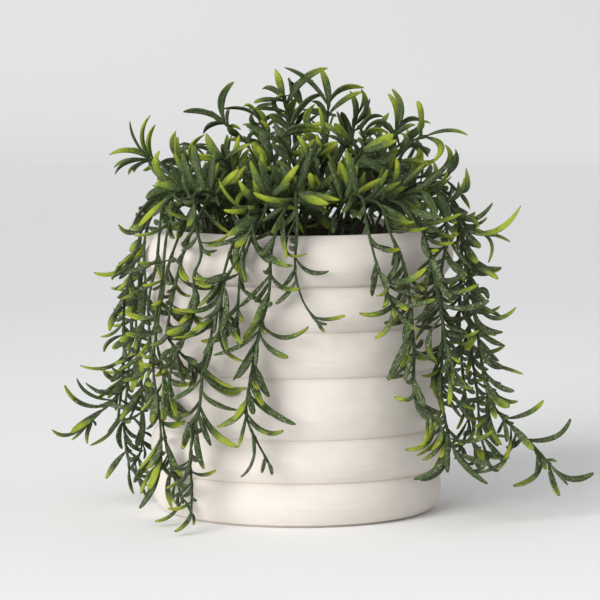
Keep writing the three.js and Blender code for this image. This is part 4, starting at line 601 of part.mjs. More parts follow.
    [66.54,48.66,114.67,64.27,51.02,107.72,58.67,56.19,108.62,3.86,2.05,0.7,0.72,-0.01,0.58],
    [58.48,49.07,155.18,67.59,49.51,150.54,77.4,49.15,147.69,3.87,2.05,-0.17,-0.88,-0.44,0.86],
    [40.58,34.05,151.8,48.18,32.73,157.73,54.24,27.25,152.69,4.51,2.05,0.65,-0.03,-0.76,0.85],
    [60.44,50.72,149.75,59.46,56.74,147,56.2,60.97,151.04,3.93,2.05,0.85,0.3,0.43,0.14],
    [56.38,47.31,159.95,60.9,51.81,157.18,65.48,56.87,158.53,4.03,2.05,0.72,-0.69,-0.02,0.51],
    [66.08,49.97,102.3,68.2,53.66,95.35,72.76,58.13,90.29,4.46,2.05,0.52,-0.81,-0.27,0.07],
    [62.32,55.48,86.11,63.7,60.2,78.39,66.67,65.56,71.59,5.39,2.05,0.68,-0.68,-0.27,0.57],
    [65.72,49.38,120.56,66.08,53.07,111.08,63.09,62.77,111.84,4.27,2.05,0.73,0.47,0.5,0.55],
    [61.89,57.25,61.77,68.22,52.52,59.8,74.01,48.39,63.75,4.87,2.05,-0.59,-0.81,0.01,0.18],
    [60.88,57.39,79.53,55.06,54.45,70.1,49.68,57.53,65.57,4.89,2.05,-0.54,0.76,-0.36,0.52]]],
  ["trailing_stem_27", [[-38.96,26.28,135.55], [-38.96,26.28,144.15], [-43.72,29.49,153.58], [-47.74,32.2,157.99], [-52.82,35.63,160.42], [-56.45,38.07,160.58], [-59.64,40.23,158.59], [-63.07,42.54,153.45], [-66.5,44.85,145.65], [-67.62,45.94,139.27], [-68.09,45.48,130.51], [-70.93,41.72,118.17], [-71.41,41.57,109.38], [-70.73,43.24,100.77], [-68.66,47.12,90.65], [-66.21,51.37,76]], [
    [-63.57,42.88,152.46,-69.86,43.36,151.27,-75.74,42.63,153.71,3.94,2.05,-0.02,1,0.04,0.18],
    [-69.32,43.89,125.52,-67.34,46.53,115.92,-62.66,52.07,108.54,5.34,2.05,0.45,-0.54,0.71,0.08],
    [-68.17,45.38,130.15,-73.11,47.81,121.58,-78.59,51.44,113.8,3.86,2.05,0.74,0.62,-0.24,0.76],
    [-65.92,44.46,147.17,-65.2,50.63,141.88,-64.78,54.44,134.56,3.23,1.89,0.26,-0.96,-0.13,0.1],
    [-40.43,27.27,146.99,-43.44,35.19,148.78,-42.89,41.4,142.77,5.37,2.05,-0.97,-0.21,-0.12,0.75],
    [-68.76,46.93,91.15,-67.16,52.17,86.62,-66.18,58.72,89.21,4.7,2.05,0.9,-0.13,0.41,0.1],
    [-67.59,46.02,136.06,-70.78,41.71,130.51,-75.2,36.05,133.31,3.91,2.05,-0.79,0.61,-0.02,0.13],
    [-51.68,34.86,160.04,-56.84,39.06,165.34,-61.35,43.02,171.37,3.89,2.05,0.35,0.88,-0.33,0.13],
    [-70.02,44.61,97.09,-64.3,46.05,92.56,-56.91,45.67,92.36,3.9,2.05,0.26,-0.94,-0.21,0.92]]],
  ["upright_stem_01", [[-36,-8,137.34], [-36,-8,141.94], [-35.39,-7.96,143.95], [-31.22,-7.79,148.73], [-31.82,-8,150.61], [-40.44,-9.5,158.44], [-49.8,-11,165.3], [-71.31,-14,173.57]], [
    [-71.05,-13.96,173.47,-79.7,-13.96,186.1,-71.21,-13.96,195.58,4,2.17,0.44,0.9,0,0.95],
    [-69.88,-13.8,172.99,-75.36,-17.7,183.01,-68.85,-14.51,191,4,2.17,0.47,0.88,-0.02,0.93],
    [-71.31,-14,173.57,-77.23,-9.77,178.31,-81.11,-11.42,179.41,3.55,1.78,0.35,0.91,0.22,0.95],
    [-70.39,-13.87,173.2,-84.58,-19.31,175.84,-88.71,-18.33,166.52,3.24,2.01,0.1,-0.7,0.71,0.12],
    [-70.55,-13.89,173.26,-80.24,-8.86,171.94,-79.76,-10.88,167.16,2.32,1.36,0.94,0.26,-0.22,0.83],
    [-68.71,-13.63,172.51,-72.7,-12.58,168.63,-75.25,-13.77,168.66,2.76,1.6,0.8,0.6,-0.06,0.84],
    [-52.68,-11.42,166.75,-58.49,-11.42,175.55,-67.02,-11.42,171.96,4.15,2.3,0.3,-0.49,0.82,0.05],
    [-44.78,-10.21,161.89,-44.92,-13.14,168.37,-38.6,-15.38,170.75,4.65,2.05,0.31,0.9,0.31,0.09],
    [-48.84,-10.85,164.7,-52.09,-20.01,166.28,-52.47,-29.72,166.01,5.2,2.05,-0.25,0.52,0.82,0.85],
    [-61.1,-12.59,169.85,-66.55,-20.34,170.2,-62.24,-28.37,167.3,5.38,2.05,-0.45,0.59,0.67,0.45],
    [-65.8,-13.23,171.37,-71.31,-21.33,172.19,-68.21,-29.69,168.07,4.52,1.95,-0.17,0.85,0.5,0.91]]],
  ["upright_stem_02", [[-42,-20,135.65], [-42,-20,140.25], [-41.42,-19.82,142.26], [-39,-19.32,145.71], [-39.39,-20,147.49], [-55.25,-30.77,159.32], [-57.04,-31.85,159.98], [-60.3,-34,158.14]], [
    [-56.83,-31.72,159.9,-73.24,-31.93,170.88,-66.05,-33.25,178.92,4.42,2.3,0.81,-0.47,0.35,0.91],
    [-57.04,-31.85,159.98,-61.19,-38.48,166.62,-67.09,-33.87,161.61,2.75,1.77,-0.99,-0.11,-0.08,0.8],
    [-58.54,-32.79,159.32,-67.65,-32.79,161.8,-72.7,-32.79,156.13,4.7,2.3,-0.18,0.56,0.81,0.17],
    [-59.45,-33.41,158.74,-71.47,-28.39,158.79,-80.33,-31.21,141.13,3.68,2.18,-0.48,-0.73,0.49,0.13],
    [-59.99,-33.78,158.36,-68.77,-32.52,151.39,-76.82,-34.07,142.14,4,2.3,-0.47,0.74,0.48,0.93],
    [-60.3,-34,158.14,-64.72,-38.68,151.43,-70.33,-37.89,147.26,3.55,1.78,-0.47,0.88,0.12,0.09],
    [-49,-26.5,154.63,-48.34,-28.39,159.31,-49.88,-26.34,165.45,4,2.3,0.66,0.75,0.04,0.53],
    [-53.2,-29.34,157.71,-54.99,-35.48,157.73,-55.09,-41.62,155.95,4.37,2.05,0.68,-0.21,0.7,0.4]]],
  ["upright_stem_03", [[-38,8,137.03], [-37.49,7.98,143.43], [-33.84,7.9,147.75], [-34.15,8,149.56], [-40.68,8.8,159.74], [-44.55,9.2,164.37], [-49.5,9.6,167.85], [-55.02,10,170.34]], [
    [-47.44,9.44,166.57,-54.96,5.88,169.46,-62.45,8.33,164.45,4,2.3,0.76,0.33,0.56,0.12],
    [-55.02,10,170.34,-66.17,12.55,178.57,-59.84,15.47,186.77,3.68,2.18,0.65,-0.63,0.43,0.47],
    [-54.42,9.96,170.09,-61.61,7.11,176.99,-58.93,9.15,183.98,4,2.17,0.79,-0.6,-0.13,0.87],
    [-52.98,9.85,169.48,-55.84,5.45,174.19,-55.47,11.16,178.33,3.55,1.78,0.28,0.93,0.24,0.53],
    [-49.19,9.58,167.66,-58.16,10.05,178.28,-45.55,10.39,184.98,4,2.3,0.65,0.74,-0.17,0.88],
    [-36.46,8.29,153.33,-37.68,7.49,161.29,-35.46,5.43,168.78,4.97,2.05,0.36,0.92,0.15,0.56],
    [-40.85,8.82,159.96,-40.62,9.92,166.13,-35.44,11.17,169.45,4.94,2.05,-0.16,0.98,-0.15,0.46],
    [-38.31,8.52,156.28,-44.34,13.61,161.18,-49.55,21.23,162.22,4.02,2.05,-0.69,-0.3,-0.66,0.95],
    [-43.65,9.11,163.44,-46.1,16.57,168.76,-45.35,23.58,170.29,4.78,1.95,0.04,0.7,-0.72,0.77]]],
  ["upright_stem_04", [[-26,26,137.36], [-26,26,141.96], [-25.09,25.76,146.26], [-25.5,26,148.37], [-34.3,30.21,166.77], [-42.34,32.74,176.05], [-45.74,34,181.18]], [
    [-38.07,31.43,171.33,-46.45,30.5,181.17,-58.13,28.99,176.28,3.68,1.87,0.69,-0.7,0.21,0.11],
    [-32.75,29.48,163.61,-32.08,32.7,172.2,-26.2,36.56,178.15,4.02,2.05,-0.65,0.76,-0.08,0.5],
    [-34.52,30.29,167.08,-35.53,30.99,175.51,-32.63,30.47,183.51,3.99,2.05,0.26,0.96,-0.04,0.08],
    [-30.91,28.48,159.09,-27.41,31.63,168.14,-20.04,34.59,174.56,3.88,2.05,-0.08,0.94,-0.32,0.54],
    [-28.76,27.47,154.7,-28.64,34.47,157.86,-26.64,40.45,159.79,4.47,1.95,-0.19,0.56,-0.81,0.15],
    [-40.99,32.3,174.38,-44.85,40.1,176.37,-45.18,48.61,173.66,5.37,2.05,-0.66,-0.2,-0.73,0.47]]],
  ["upright_stem_05", [[-26,-20,137.94], [-26,-20,142.54], [-26.68,-19.4,146.08], [-27.29,-19.32,147.8], [-27.67,-20,149.45], [-29.6,-30.67,165.33], [-33.39,-36,172.19], [-36.88,-40,176.84]], [
    [-32.55,-34.93,170.86,-40.02,-36.57,175.5,-43.62,-34.5,187.57,6.07,2.18,0.97,-0.18,-0.15,0.52],
    [-36.65,-39.74,176.54,-43.86,-36.78,175.09,-49.31,-41.07,177.63,4,2.3,0.02,-0.48,0.88,0.86],
    [-29.96,-31.27,166.14,-50.41,-34.12,161.75,-42.51,-31.4,173.89,4.15,2.3,0.36,0.89,0.27,0.9],
    [-29.56,-30.55,165.16,-32.67,-30.56,175.18,-36.08,-32.59,182.27,5.25,2.3,0.84,-0.46,0.27,0.09],
    [-28.3,-23.43,154.6,-43.7,-26.74,157.92,-35.24,-31.4,139.03,4,2.3,-0.62,-0.55,0.56,0.47],
    [-31.03,-32.9,168.31,-30.15,-36.19,177.75,-27.47,-38.28,187.2,4.13,2.05,-0.75,0.58,0.31,0.9],
    [-28.64,-25.62,157.87,-30.25,-32.87,159.46,-31.75,-40.6,157.07,3.86,1.95,0.73,-0.33,-0.6,0.05],
    [-27.89,-21.18,151.22,-24.12,-20.37,157.82,-18.83,-15,159.06,4.21,2.05,-0.74,0.49,0.46,0.87]]],
  ["upright_stem_06", [[-20,6,139.28], [-20,6,143.88], [-17.23,6,147.7], [-17.67,5.5,159.86], [-19.74,5.08,169.76], [-21.88,4.83,175.43], [-24.86,4.58,180.69], [-28.81,4.33,185.26], [-34.96,4,190.45]], [
    [-34.96,4,190.45,-41.39,5.15,203.75,-30.97,4.23,211.18,4,2.3,0.85,0.19,-0.48,0.18],
    [-34.42,4.03,190.02,-44.36,4.03,199.07,-56.21,4.03,196.38,4,2.3,0.23,-0.58,0.78,0.12],
    [-34.96,4,190.45,-40.19,5.83,193.14,-42.83,12.97,196.75,3.55,1.78,-0.07,-0.16,0.99,0.11],
    [-33.34,4.09,189.14,-35.46,7.18,194.4,-33.28,3.71,198.02,3.16,1.6,0.51,-0.86,0.02,0.11],
    [-32.8,4.11,188.71,-31.65,2.17,190.87,-27.48,-0.12,187.7,3.16,1.6,0.38,0.46,-0.8,0.83],
    [-34.96,4,190.45,-43.81,1.1,192.23,-46.15,2.56,185.49,4,2.3,-0.15,-0.84,0.52,0.15],
    [-28.07,4.38,184.49,-30.69,0.45,185.42,-34.34,-1.97,189.21,4,2.17,0.89,0.2,0.4,0.19],
    [-18.68,5.26,165.71,-23.91,7.86,171.51,-30.48,12.67,171.22,4.24,1.79,-0.54,-0.66,-0.52,0.16],
    [-17.32,5.81,152.35,-22.55,3.06,160.16,-30.95,-0.82,156.94,4.63,2.05,0.4,-0.91,-0.11,0.03],
    [-17.46,5.6,157.33,-22.64,3.27,165.38,-30.85,-0.46,169.4,5.33,2.05,-0.13,-0.97,0.18,0.56],
    [-23.86,4.66,179.13,-24.8,9.43,186.58,-19.22,16.23,185.38,3.94,2.05,-0.75,0.51,-0.42,0.48],
    [-21.37,4.89,174.25,-20.57,8.97,179.92,-18.13,14.31,183.79,4.27,2.05,-0.46,0.71,-0.54,0.42],
    [-19.69,5.09,169.56,-20.2,9.96,174.7,-18.55,16.8,173.77,4.43,2.05,-0.81,0.27,-0.53,0.53],
    [-17.87,5.44,161.29,-17.14,12.91,166.1,-15.2,21.05,163.02,4.92,2.05,-0.97,0.14,0.19,0.14]]],
  ["upright_stem_07", [[-14,18,139.11], [-14.37,18,145.9], [-13.24,18,164.06], [-13.75,18,178.18], [-15.62,18,185.99], [-20.31,18,194.87]], [
    [-17.84,18,190.87,-23.65,22.65,200.02,-37.74,15.06,197.27,2.62,1.76,0.27,-0.77,0.58,0.14],
    [-19.93,18,194.29,-23.2,16.26,201.44,-26.77,16.92,198.39,3.55,1.78,0.34,-0.88,0.34,0.82],
    [-17.33,18,189.88,-23.57,14.73,188.56,-22.51,14.68,195.48,2.75,1.77,0.48,-0.03,0.88,0.09],
    [-15.02,18,184.33,-16.25,20.68,197.8,-21.85,21.39,195.24,4,2.3,0.28,0.42,0.86,0.81],
    [-14.58,18,182.83,-12.98,14.17,188.87,-18.24,15.61,191.68,3.68,2.18,0.07,-0.92,-0.38,0.88],
    [-13.29,18,170.42,-9.79,23.17,175.19,-5.3,29.57,175.97,4.13,2.05,-0.82,0.57,0,0.45],
    [-13.45,18,157.47,-9.91,22.91,162.17,-5.79,28.87,164.7,4.04,2.05,-0.83,0.55,0.06,0.44],
    [-13.78,18,153,-20.7,16.45,158.91,-28.18,14.8,164.06,4.43,2.05,0.39,-0.89,0.25,0.81],
    [-13.29,18,161.45,-10.28,13.84,168.16,-6.54,8.56,173.6,4.91,2.05,0.69,0.71,0.17,0.43],
    [-13.46,18,174.4,-10.83,21.27,183.08,-5.67,27.01,188.87,4.25,2.05,-0.56,0.8,-0.2,0.78],
    [-13.23,18,166.43,-16.03,22.52,170.89,-19.5,28.15,168.76,4.25,2.05,-0.84,-0.53,0.05,0.82]]],
  ["upright_stem_08", [[-6,-40,136.76], [-6,-40,141.36], [-5.8,-39.06,147.18], [-6.08,-40,148.86], [-7.19,-44,152.71], [-9,-48,156.22], [-11.59,-52,159.14], [-20.22,-62,162.74]], [
    [-15.47,-56.64,161.15,-4.11,-56.27,158.25,-0.27,-56.62,168.14,5.53,2.3,0.78,-0.16,-0.61,0.9],
    [-8.34,-46.73,155.16,-4.18,-44.89,159.03,-1.72,-47.35,160.41,4.42,2.3,0.57,0.49,-0.66,0.86],
    [-19.22,-60.89,162.44,-35.28,-58.93,166.72,-44.52,-60.39,154.54,4.42,2.3,-0.27,-0.48,0.83,0.1],
    [-19.67,-61.39,162.58,-30.42,-61.25,160.04,-27.39,-61.86,152.68,4,2.3,-0.54,0.75,0.39,0.9]]],
  ["upright_stem_09", [[-14,-26,138.37], [-14,-26,142.97], [-14.74,-25.72,145.09], [-16.22,-25.4,146.84], [-16.85,-26,148.88], [-15.03,-33.88,162.65], [-12.63,-39.5,172.16], [-11.8,-44,179.92]], [
    [-14.78,-34.65,163.99,-32.41,-36.21,170.13,-22.02,-34.97,180.93,6.6,2.3,0.83,-0.44,0.35,0.49],
    [-13.33,-37.64,169,-15.95,-37.81,176.24,-21.48,-38.46,183.51,6.6,2.3,0.74,0.5,0.45,0.51],
    [-15.11,-33.52,162.03,-27.05,-30.13,170.98,-30.82,-30.05,178.27,4.7,2.3,-0.59,-0.8,0.09,0.5],
    [-16.01,-29.29,154.63,-19.02,-30.36,164.07,-26.34,-23.96,166.22,4.87,2.05,-0.61,-0.76,-0.2,0.08],
    [-16.51,-27.31,151.17,-18.96,-34.56,157.01,-24.1,-42.37,159.31,4.94,2.05,0.69,-0.58,-0.44,0.6],
    [-15.48,-31.76,158.96,-10.69,-30.73,167.64,-4.95,-27.24,175,4.92,2.05,-0.73,0.6,0.31,0.11],
    [-12.71,-39.24,171.71,-14.65,-41.83,177.35,-19.54,-42.91,181.5,4.6,2.05,-0.58,-0.54,-0.61,0.8],
    [-12.19,-41.74,176.03,-14.33,-40.69,182.66,-17.46,-37.38,188.04,5.15,2.05,-0.82,-0.56,-0.16,0.15]]],
  ["upright_stem_10", [[5.21,-13.6,139.75], [5.21,-13.6,144.35], [3.6,-14,148.06], [3.01,-17.2,156.28], [1.87,-19.6,162.31], [-4.49,-26.8,179.44], [-6.4,-28.4,182.98], [-9.01,-30,186.02]], [
    [-7.84,-29.3,184.74,2.26,-29.3,193.88,15.69,-29.3,186.96,5.81,2.3,0.08,0.45,-0.89,0.57],
    [-4.39,-26.7,179.21,-0.24,-22.88,174.78,5.16,-18.81,180.22,3.81,2.12,0.08,0.45,-0.89,0.92],
    [2.17,-19.13,161.14,-1.55,-17.76,171.56,5.55,-16.95,177.14,4.7,2.3,0.83,0.5,-0.24,0.58],
    [-1.63,-23.92,172.75,-6.92,-20.92,178.47,-12.07,-15.01,181.36,5.32,2.05,-0.75,-0.34,-0.56,0.18],
    [1.11,-20.64,164.85,2.54,-26.76,171.98,7.43,-33.8,176.09,4.11,2.05,0.26,0.7,0.67,0.13],
    [-0.2,-22.28,168.82,2.69,-25.42,177.74,9.25,-27.53,184.85,4.26,2.05,-0.44,0.74,0.5,0.6],
    [-3.23,-25.57,176.61,-7.27,-20.96,185,-11.16,-15.62,192.6,4.33,2.05,-0.9,0.01,-0.44,0.07],
    [2.96,-17.36,156.7,4.79,-23.05,163.22,3.93,-31.2,161.64,3.27,1.79,0.01,0.91,-0.42,0.85]]],
  ["upright_stem_11", [[-4,10,139.96], [-4,10,144.56], [-6.32,10,147.43], [-3.87,8.57,167.43], [-3.4,7.43,183.47], [-4.06,6.86,191.45], [-6.28,6,203.23]], [
    [-6.08,6.07,202.28,-15.76,4.48,202.76,-21.12,5.97,201.25,4,1.97,-0.02,-0.89,0.45,0.56],
    [-6.18,6.03,202.75,-8.53,2.53,212.2,-10.73,6.88,217.53,4.7,2.3,0.82,-0.5,0.28,0.9],
    [-6.28,6,203.23,-13.02,7.87,210.61,-17.25,9.36,207.29,3.24,1.9,0.77,0.13,0.62,0.04],
    [-4.2,6.79,192.34,-19.17,8.82,203.19,-2.61,8.86,204.41,4,2.3,0.59,-0.8,0.08,0.43],
    [-5.47,6.29,199.23,1.23,9.4,215.5,15.49,6.16,218.03,4,2.3,0.66,-0.14,-0.74,0.43],
    [-3.73,7.08,188.35,4.07,7.73,205.89,14.04,9.92,204.59,4,2.3,0.49,0.59,-0.64,0.18],
    [-3.82,7.01,189.38,-5.06,11.94,197.8,0.65,11.22,203.55,5.25,2.3,0.79,0.48,-0.39,0.56],
    [-4.42,8.99,161.52,-0.13,11.69,167.64,5.68,16.2,170.64,4.41,2.05,-0.48,0.87,-0.16,0.45],
    [-3.36,7.96,175.98,0.82,7.39,182.65,8.45,7.07,184.68,4.41,2.05,-0.22,0.9,0.39,0.09],
    [-3.61,8.32,170.98,2.88,12.27,177.64,11.03,18.03,179.27,4.15,2.05,-0.48,0.86,-0.15,0.86],
    [-3.54,7.25,185.97,-7.44,8.88,193.12,-14.41,12.65,194.53,4.04,2.05,-0.02,-0.27,-0.96,0.51],
    [-3.95,8.64,166.5,-3.57,4.32,170.41,-3.27,0.12,168,3.67,1.58,0.76,-0.34,-0.55,0.82],
    [-3.33,7.61,180.97,-6.95,11.83,188.11,-12.34,19.09,188.37,4.9,2.05,-0.83,-0.52,-0.21,0.07],
    [-5.52,9.6,153.1,-2.9,4.2,156.35,-1.41,-0.81,151.72,4.57,2.05,0.67,-0.01,-0.74,0.83]]],
  ["upright_stem_12", [[0,-30,138.31], [0,-30,142.91], [-1.89,-29.51,146.35], [-2.24,-30,148.17], [4.11,-40.53,167.41], [10.03,-46.84,177.82], [14.07,-50,182.13]], [
    [13.59,-49.63,181.64,10.74,-50.98,183.2,9.72,-50.6,187.93,4,2.3,0.12,0.97,0.21,0.92],
    [9.1,-45.91,176.32,12.49,-43.57,180.57,19.83,-46.96,183.81,4.7,2.3,-0.03,0.25,-0.97,0.94],
    [8.12,-44.82,174.51,10.07,-54.88,176.42,9.93,-64.25,173.98,4.94,2.05,0.41,-0.66,-0.63,0.15],
    [5.91,-42.49,170.67,6.49,-44.31,180.44,0.13,-40.12,186.86,3.86,2.05,-0.91,-0.3,-0.28,0.57],
    [-1.29,-31.6,151.13,-1.38,-39.12,154.62,-3.5,-47.07,153.71,4.78,2.05,0.7,-0.21,-0.68,0.4]]],
  ["upright_stem_13", [[8,2,140.06], [8,2,144.66], [6.59,2,146.98], [10.55,0.5,160.5], [13.3,-1,174.28], [15.9,-4,202.08]], [
    [15.51,-3.73,199.61,7.49,-3.73,214.72,-6.22,-3.73,218.51,4,2.17,0.33,-0.87,0.38,0.2],
    [15.82,-3.95,201.6,15.7,-3.4,210.65,11.46,-5.61,218.8,4.7,2.3,0.84,-0.51,0.16,0.49],
    [15.55,-3.79,200.13,20.24,-5.03,211.67,33.13,-2.77,208.43,4,2.3,0.27,0.71,-0.66,0.49],
    [15.12,-2.77,190.72,12.85,-5.23,203.11,7.05,-3.63,201.58,4,2.3,0.59,-0.72,0.38,0.08],
    [14.77,-2.24,185.77,-1.72,-0.74,190.15,9.03,-0.94,200.51,4,2.3,0.89,0.15,0.44,0.55],
    [15.28,-3.25,195.18,22.88,-1.97,204.22,32.14,-3.12,206.47,4,2.3,0.37,-0.75,-0.54,0.57],
    [9.68,0.86,157.21,9.79,6.05,164.51,8.14,13.99,168.29,3.95,2.05,-0.98,-0.2,0.1,0.9],
    [10.8,0.38,161.56,10.91,5.66,167.58,9.84,13.15,170.22,5.1,2.05,-0.75,-0.41,0.52,0.49],
    [12.7,-0.63,170.85,10.93,-5.15,176.28,7.02,-10.75,177.77,3.96,2.05,0.84,0.54,-0.03,0.48],
    [14.23,-1.7,180.71,7.59,-3.2,185.38,0,-4.61,188.31,4.79,2.05,-0.02,-0.92,-0.39,0.55],
    [11.76,-0.1,165.95,14.56,-5.9,173.27,18.31,-11.39,178.71,4.78,2.05,0.96,0.28,-0.03,0.46],
    [13.54,-1.16,175.77,8.8,0.18,182.43,1.51,2.61,185.52,4.02,2.05,0.07,-0.9,0.44,0.56]]],
  ["upright_stem_14", [[4,-38,137.13], [3.59,-37.73,143.66], [1.68,-36.99,147.1], [1.64,-38,148.72], [5.61,-47.45,156.01], [6.75,-49.82,157.71], [8.47,-52.18,158.62], [17.78,-64,157.63]], [
    [7.27,-50.54,157.99,15.79,-53.34,164.96,21.25,-51.22,170.23,5.25,2.3,0.91,0.23,0.33,0.57],
    [6.57,-49.44,157.44,8.5,-53.03,164.7,5.95,-50.52,169.23,4.42,2.3,0.85,-0.53,0,0.89],
    [12.13,-56.74,158.6,8.31,-58.25,159.41,4.5,-57.34,161.03,4.42,2.3,0.3,-0.48,0.83,0.93],
    [16.35,-62.15,157.91,18,-66.43,162.57,11.11,-67.33,157.37,4.42,2.3,-0.5,0.43,0.75,0.87],
    [5.32,-46.75,155.47,10.62,-44.81,147.79,16.54,-45.66,142.02,4.98,2.3,-0.62,-0.54,-0.56,0.49],
    [4.09,-43.85,153.25,18.02,-39.8,140.97,1.16,-43.7,143.33,4,2.3,-0.63,0.78,0.01,0.47]]],
  ["upright_stem_15", [[10.79,-16.4,139.39], [10.79,-16.4,143.99], [9.83,-16.15,145.59], [8.19,-15.81,146.6], [7.52,-16,148.2], [13.09,-20.67,160.67], [23.03,-28,179.45], [23.95,-28.67,181.13], [26.83,-30,183.6]], [
    [24.42,-28.9,181.61,14.5,-25.61,195.53,7.47,-24.33,190.14,4,2.3,0.45,0.73,0.51,0.82],
    [26.28,-29.76,183.21,22.71,-32.02,187.51,18,-39.71,192.22,4.7,2.3,0.39,0.42,0.82,0.93],
    [20.55,-25.99,174.21,21.09,-25.7,184.12,27.38,-26.26,179.55,4,2.3,0.52,0.58,-0.63,0.49],
    [17.54,-23.86,168.81,20.38,-21.75,174.95,13.77,-20.57,175.38,4,2.17,0.27,-0.83,0.49,0.2],
    [14.41,-21.63,163.15,16.58,-20.4,169.18,15.3,-14.17,170.65,4.7,2.05,-0.82,-0.35,0.45,0.18],
    [22.85,-27.85,179.05,21.51,-33.62,185.14,15.44,-39.44,186.32,4.77,2.05,0.7,-0.64,-0.31,0.11],
    [8.97,-17.24,151.55,16.04,-19.97,154.07,22.71,-20.93,149.79,4.74,2.05,0.2,0.92,-0.35,0.53],
    [19.01,-24.9,171.44,20.3,-23.78,178.19,18.43,-18.89,182.77,4.43,2.05,-0.62,-0.71,0.34,0.49],
    [12.65,-20.33,159.78,15.59,-27.36,163.94,15.45,-34.55,160.25,4.43,2.05,0.17,0.69,-0.71,0.14]]],
  ["upright_stem_16", [[14,16,139.25], [14,16,143.85], [14.63,16,146.03], [21.18,16,160.97], [25.79,16,174.45], [27.99,16,184.37], [28.54,16,192.46]], [
    [28.62,16,190.48,31.45,13.75,198.5,26.52,15.4,206.4,4,2.3,0.79,0.61,0.13,0.44],
    [28.53,16,188.97,38.76,16.14,197.68,32,15.64,207.39,4,2.17,0.45,-0.89,-0.1,0.44],
    [28.56,16,189.47,34.42,11.52,195.86,36.38,10.56,203.08,3.16,1.6,0.19,-0.87,-0.46,0.1],
    [28.22,16,185.96,38.48,18.21,192.88,35.07,19.22,199.81,4,2.3,0.57,0.69,-0.44,0.91],
    [27.74,16,182.96,24.27,19.56,192.34,22.07,16.36,195.93,4,2.3,0.84,0.2,0.51,0.07],
    [21.14,16,160.89,26.31,19.17,167.7,31.39,26.53,165.95,4.95,2.05,-0.7,0.71,-0.07,0.12],
    [24.23,16,169.38,28.01,21.18,175.47,31.36,29.14,177.43,5.01,2.05,-0.85,0.52,-0.1,0.18],
    [19.62,16,157.17,18.3,9.01,161.39,14.73,5.1,156.97,3.55,1.79,0.36,-0.63,0.69,0.42],
    [22.74,16,165.11,25.68,12.58,169.74,28.59,7.67,172.79,4.23,2.05,0.84,0.11,-0.53,0.44],
    [17.59,16,152.58,20.61,23.23,156.78,20.54,31.59,153.74,4.63,2.05,-0.77,0.1,0.63,0.2],
    [26.82,16,178.55,29.09,20.99,182.91,30.01,27.29,179.99,4.56,2.05,-0.96,0.27,-0.02,0.17]]],
  ["upright_stem_17", [[20,-4,139.32], [20.39,-4,146.4], [29.89,-9.83,164.04], [33.55,-13.33,175.4], [33.93,-14.5,179.36], [33.33,-15.67,183.28], [31.19,-17.42,188.84], [29.94,-18,190.37]], [
    [31.41,-17.27,188.38,34.6,-16.17,197.37,42.69,-14.71,194.63,4,2.17,0.11,0.84,-0.54,0.16],
    [32.29,-16.62,186.37,40.26,-16.62,196.92,46.08,-16.62,188.85,4,2.17,0.09,0.85,-0.51,0.13],
    [32.96,-16.02,184.44,42.57,-11,191.67,45.18,-10.56,196.68,4,2.3,0.6,-0.75,-0.3,0.52],
    [32.45,-16.48,185.93,37.67,-20.2,190.45,45.08,-17.71,186.94,4,2.3,0.46,0.67,-0.57,0.83],
    [23.71,-5.92,152.14,23.87,-7.38,159.97,16.98,-6.21,163.78,5.15,2.05,-0.11,-0.99,-0.09,0.06],
    [28.04,-8.58,160.16,30.35,-16.04,161.27,29.41,-21.56,155.72,4.57,2.05,0.91,0.21,-0.34,0.6],
    [33.69,-13.63,176.41,32.46,-7.41,184.1,29.8,2.08,182.18,5.16,2.05,-0.21,-0.11,0.97,0.58],
    [33.77,-15.04,181.19,35.15,-22.73,185.77,37.77,-27.47,181.69,4.57,2.05,0.7,-0.46,0.55,0.9]]],
  ["upright_stem_18", [[16,-26,138.24], [16,-26,142.84], [15.03,-25.54,146.25], [15.27,-26,147.9], [24.57,-36,163.49], [28.48,-42.67,174.84], [31.37,-46,180.02]], [
    [23.65,-34.89,161.72,21.6,-41.95,167.49,20.63,-42.32,174.07,4.98,2.3,0.9,-0.44,-0.04,0.87],
    [28.57,-42.79,175.05,38.05,-45.53,174.75,45.06,-40.44,165.62,5.34,2.01,-0.56,-0.28,-0.78,0.1],
    [29.87,-44.4,177.6,39.91,-44.21,182.98,46.72,-43.61,187.57,6.6,2.3,0.27,-0.12,-0.96,0.93],
    [30.44,-45.01,178.53,42.55,-49.07,182.32,47.97,-51.61,185.07,4.15,2.3,0.1,-0.55,-0.83,0.5],
    [27.37,-40.53,171.16,46.59,-39.05,173.38,47.9,-38.24,181.57,5.25,2.3,0.43,-0.55,-0.72,0.46],
    [17.23,-27.99,150.96,16.94,-34.49,154.69,15,-41.33,157.09,3.95,2.05,0.46,-0.43,-0.77,0.83]]],
  ["upright_stem_19", [[22,10,138.97], [22.51,10.04,145.12], [45.15,6.8,179.65], [49.68,6,188.39]], [
    [49.49,6.04,187.99,55.08,3.21,198.81,47.05,4.68,207.76,4,2.3,0.74,-0.67,0.03,0.5],
    [48.93,6.14,186.79,50.79,7.83,200.62,45.19,6.6,205.14,4,2.3,-0.33,-0.82,-0.46,0.89],
    [47.31,6.45,183.38,54.21,10.12,195.8,61.14,8.04,192.02,4,2.3,0.26,0.79,-0.56,0.06],
    [46.79,6.54,182.4,54.15,1.66,190.92,58.79,2.08,189.97,3.24,2.01,0.35,-0.63,-0.69,0.52],
    [44.26,6.93,178.3,42.5,4.05,184.54,36.3,1.07,186.23,5.1,2.05,0.23,-0.88,-0.42,0.16],
    [41.74,7.29,174.58,42.44,12.76,178.71,39.11,18.37,176.55,4.86,2.05,-0.79,-0.28,0.55,0.11],
    [39.03,7.7,170.4,39.56,3.58,175.41,35.48,-1.41,174.82,4.43,2.05,0.05,-0.31,-0.95,0.58],
    [33.99,8.46,162.38,37.64,2.33,166.46,37.59,-5.53,164,4.16,2.05,0.78,0.13,-0.61,0.46],
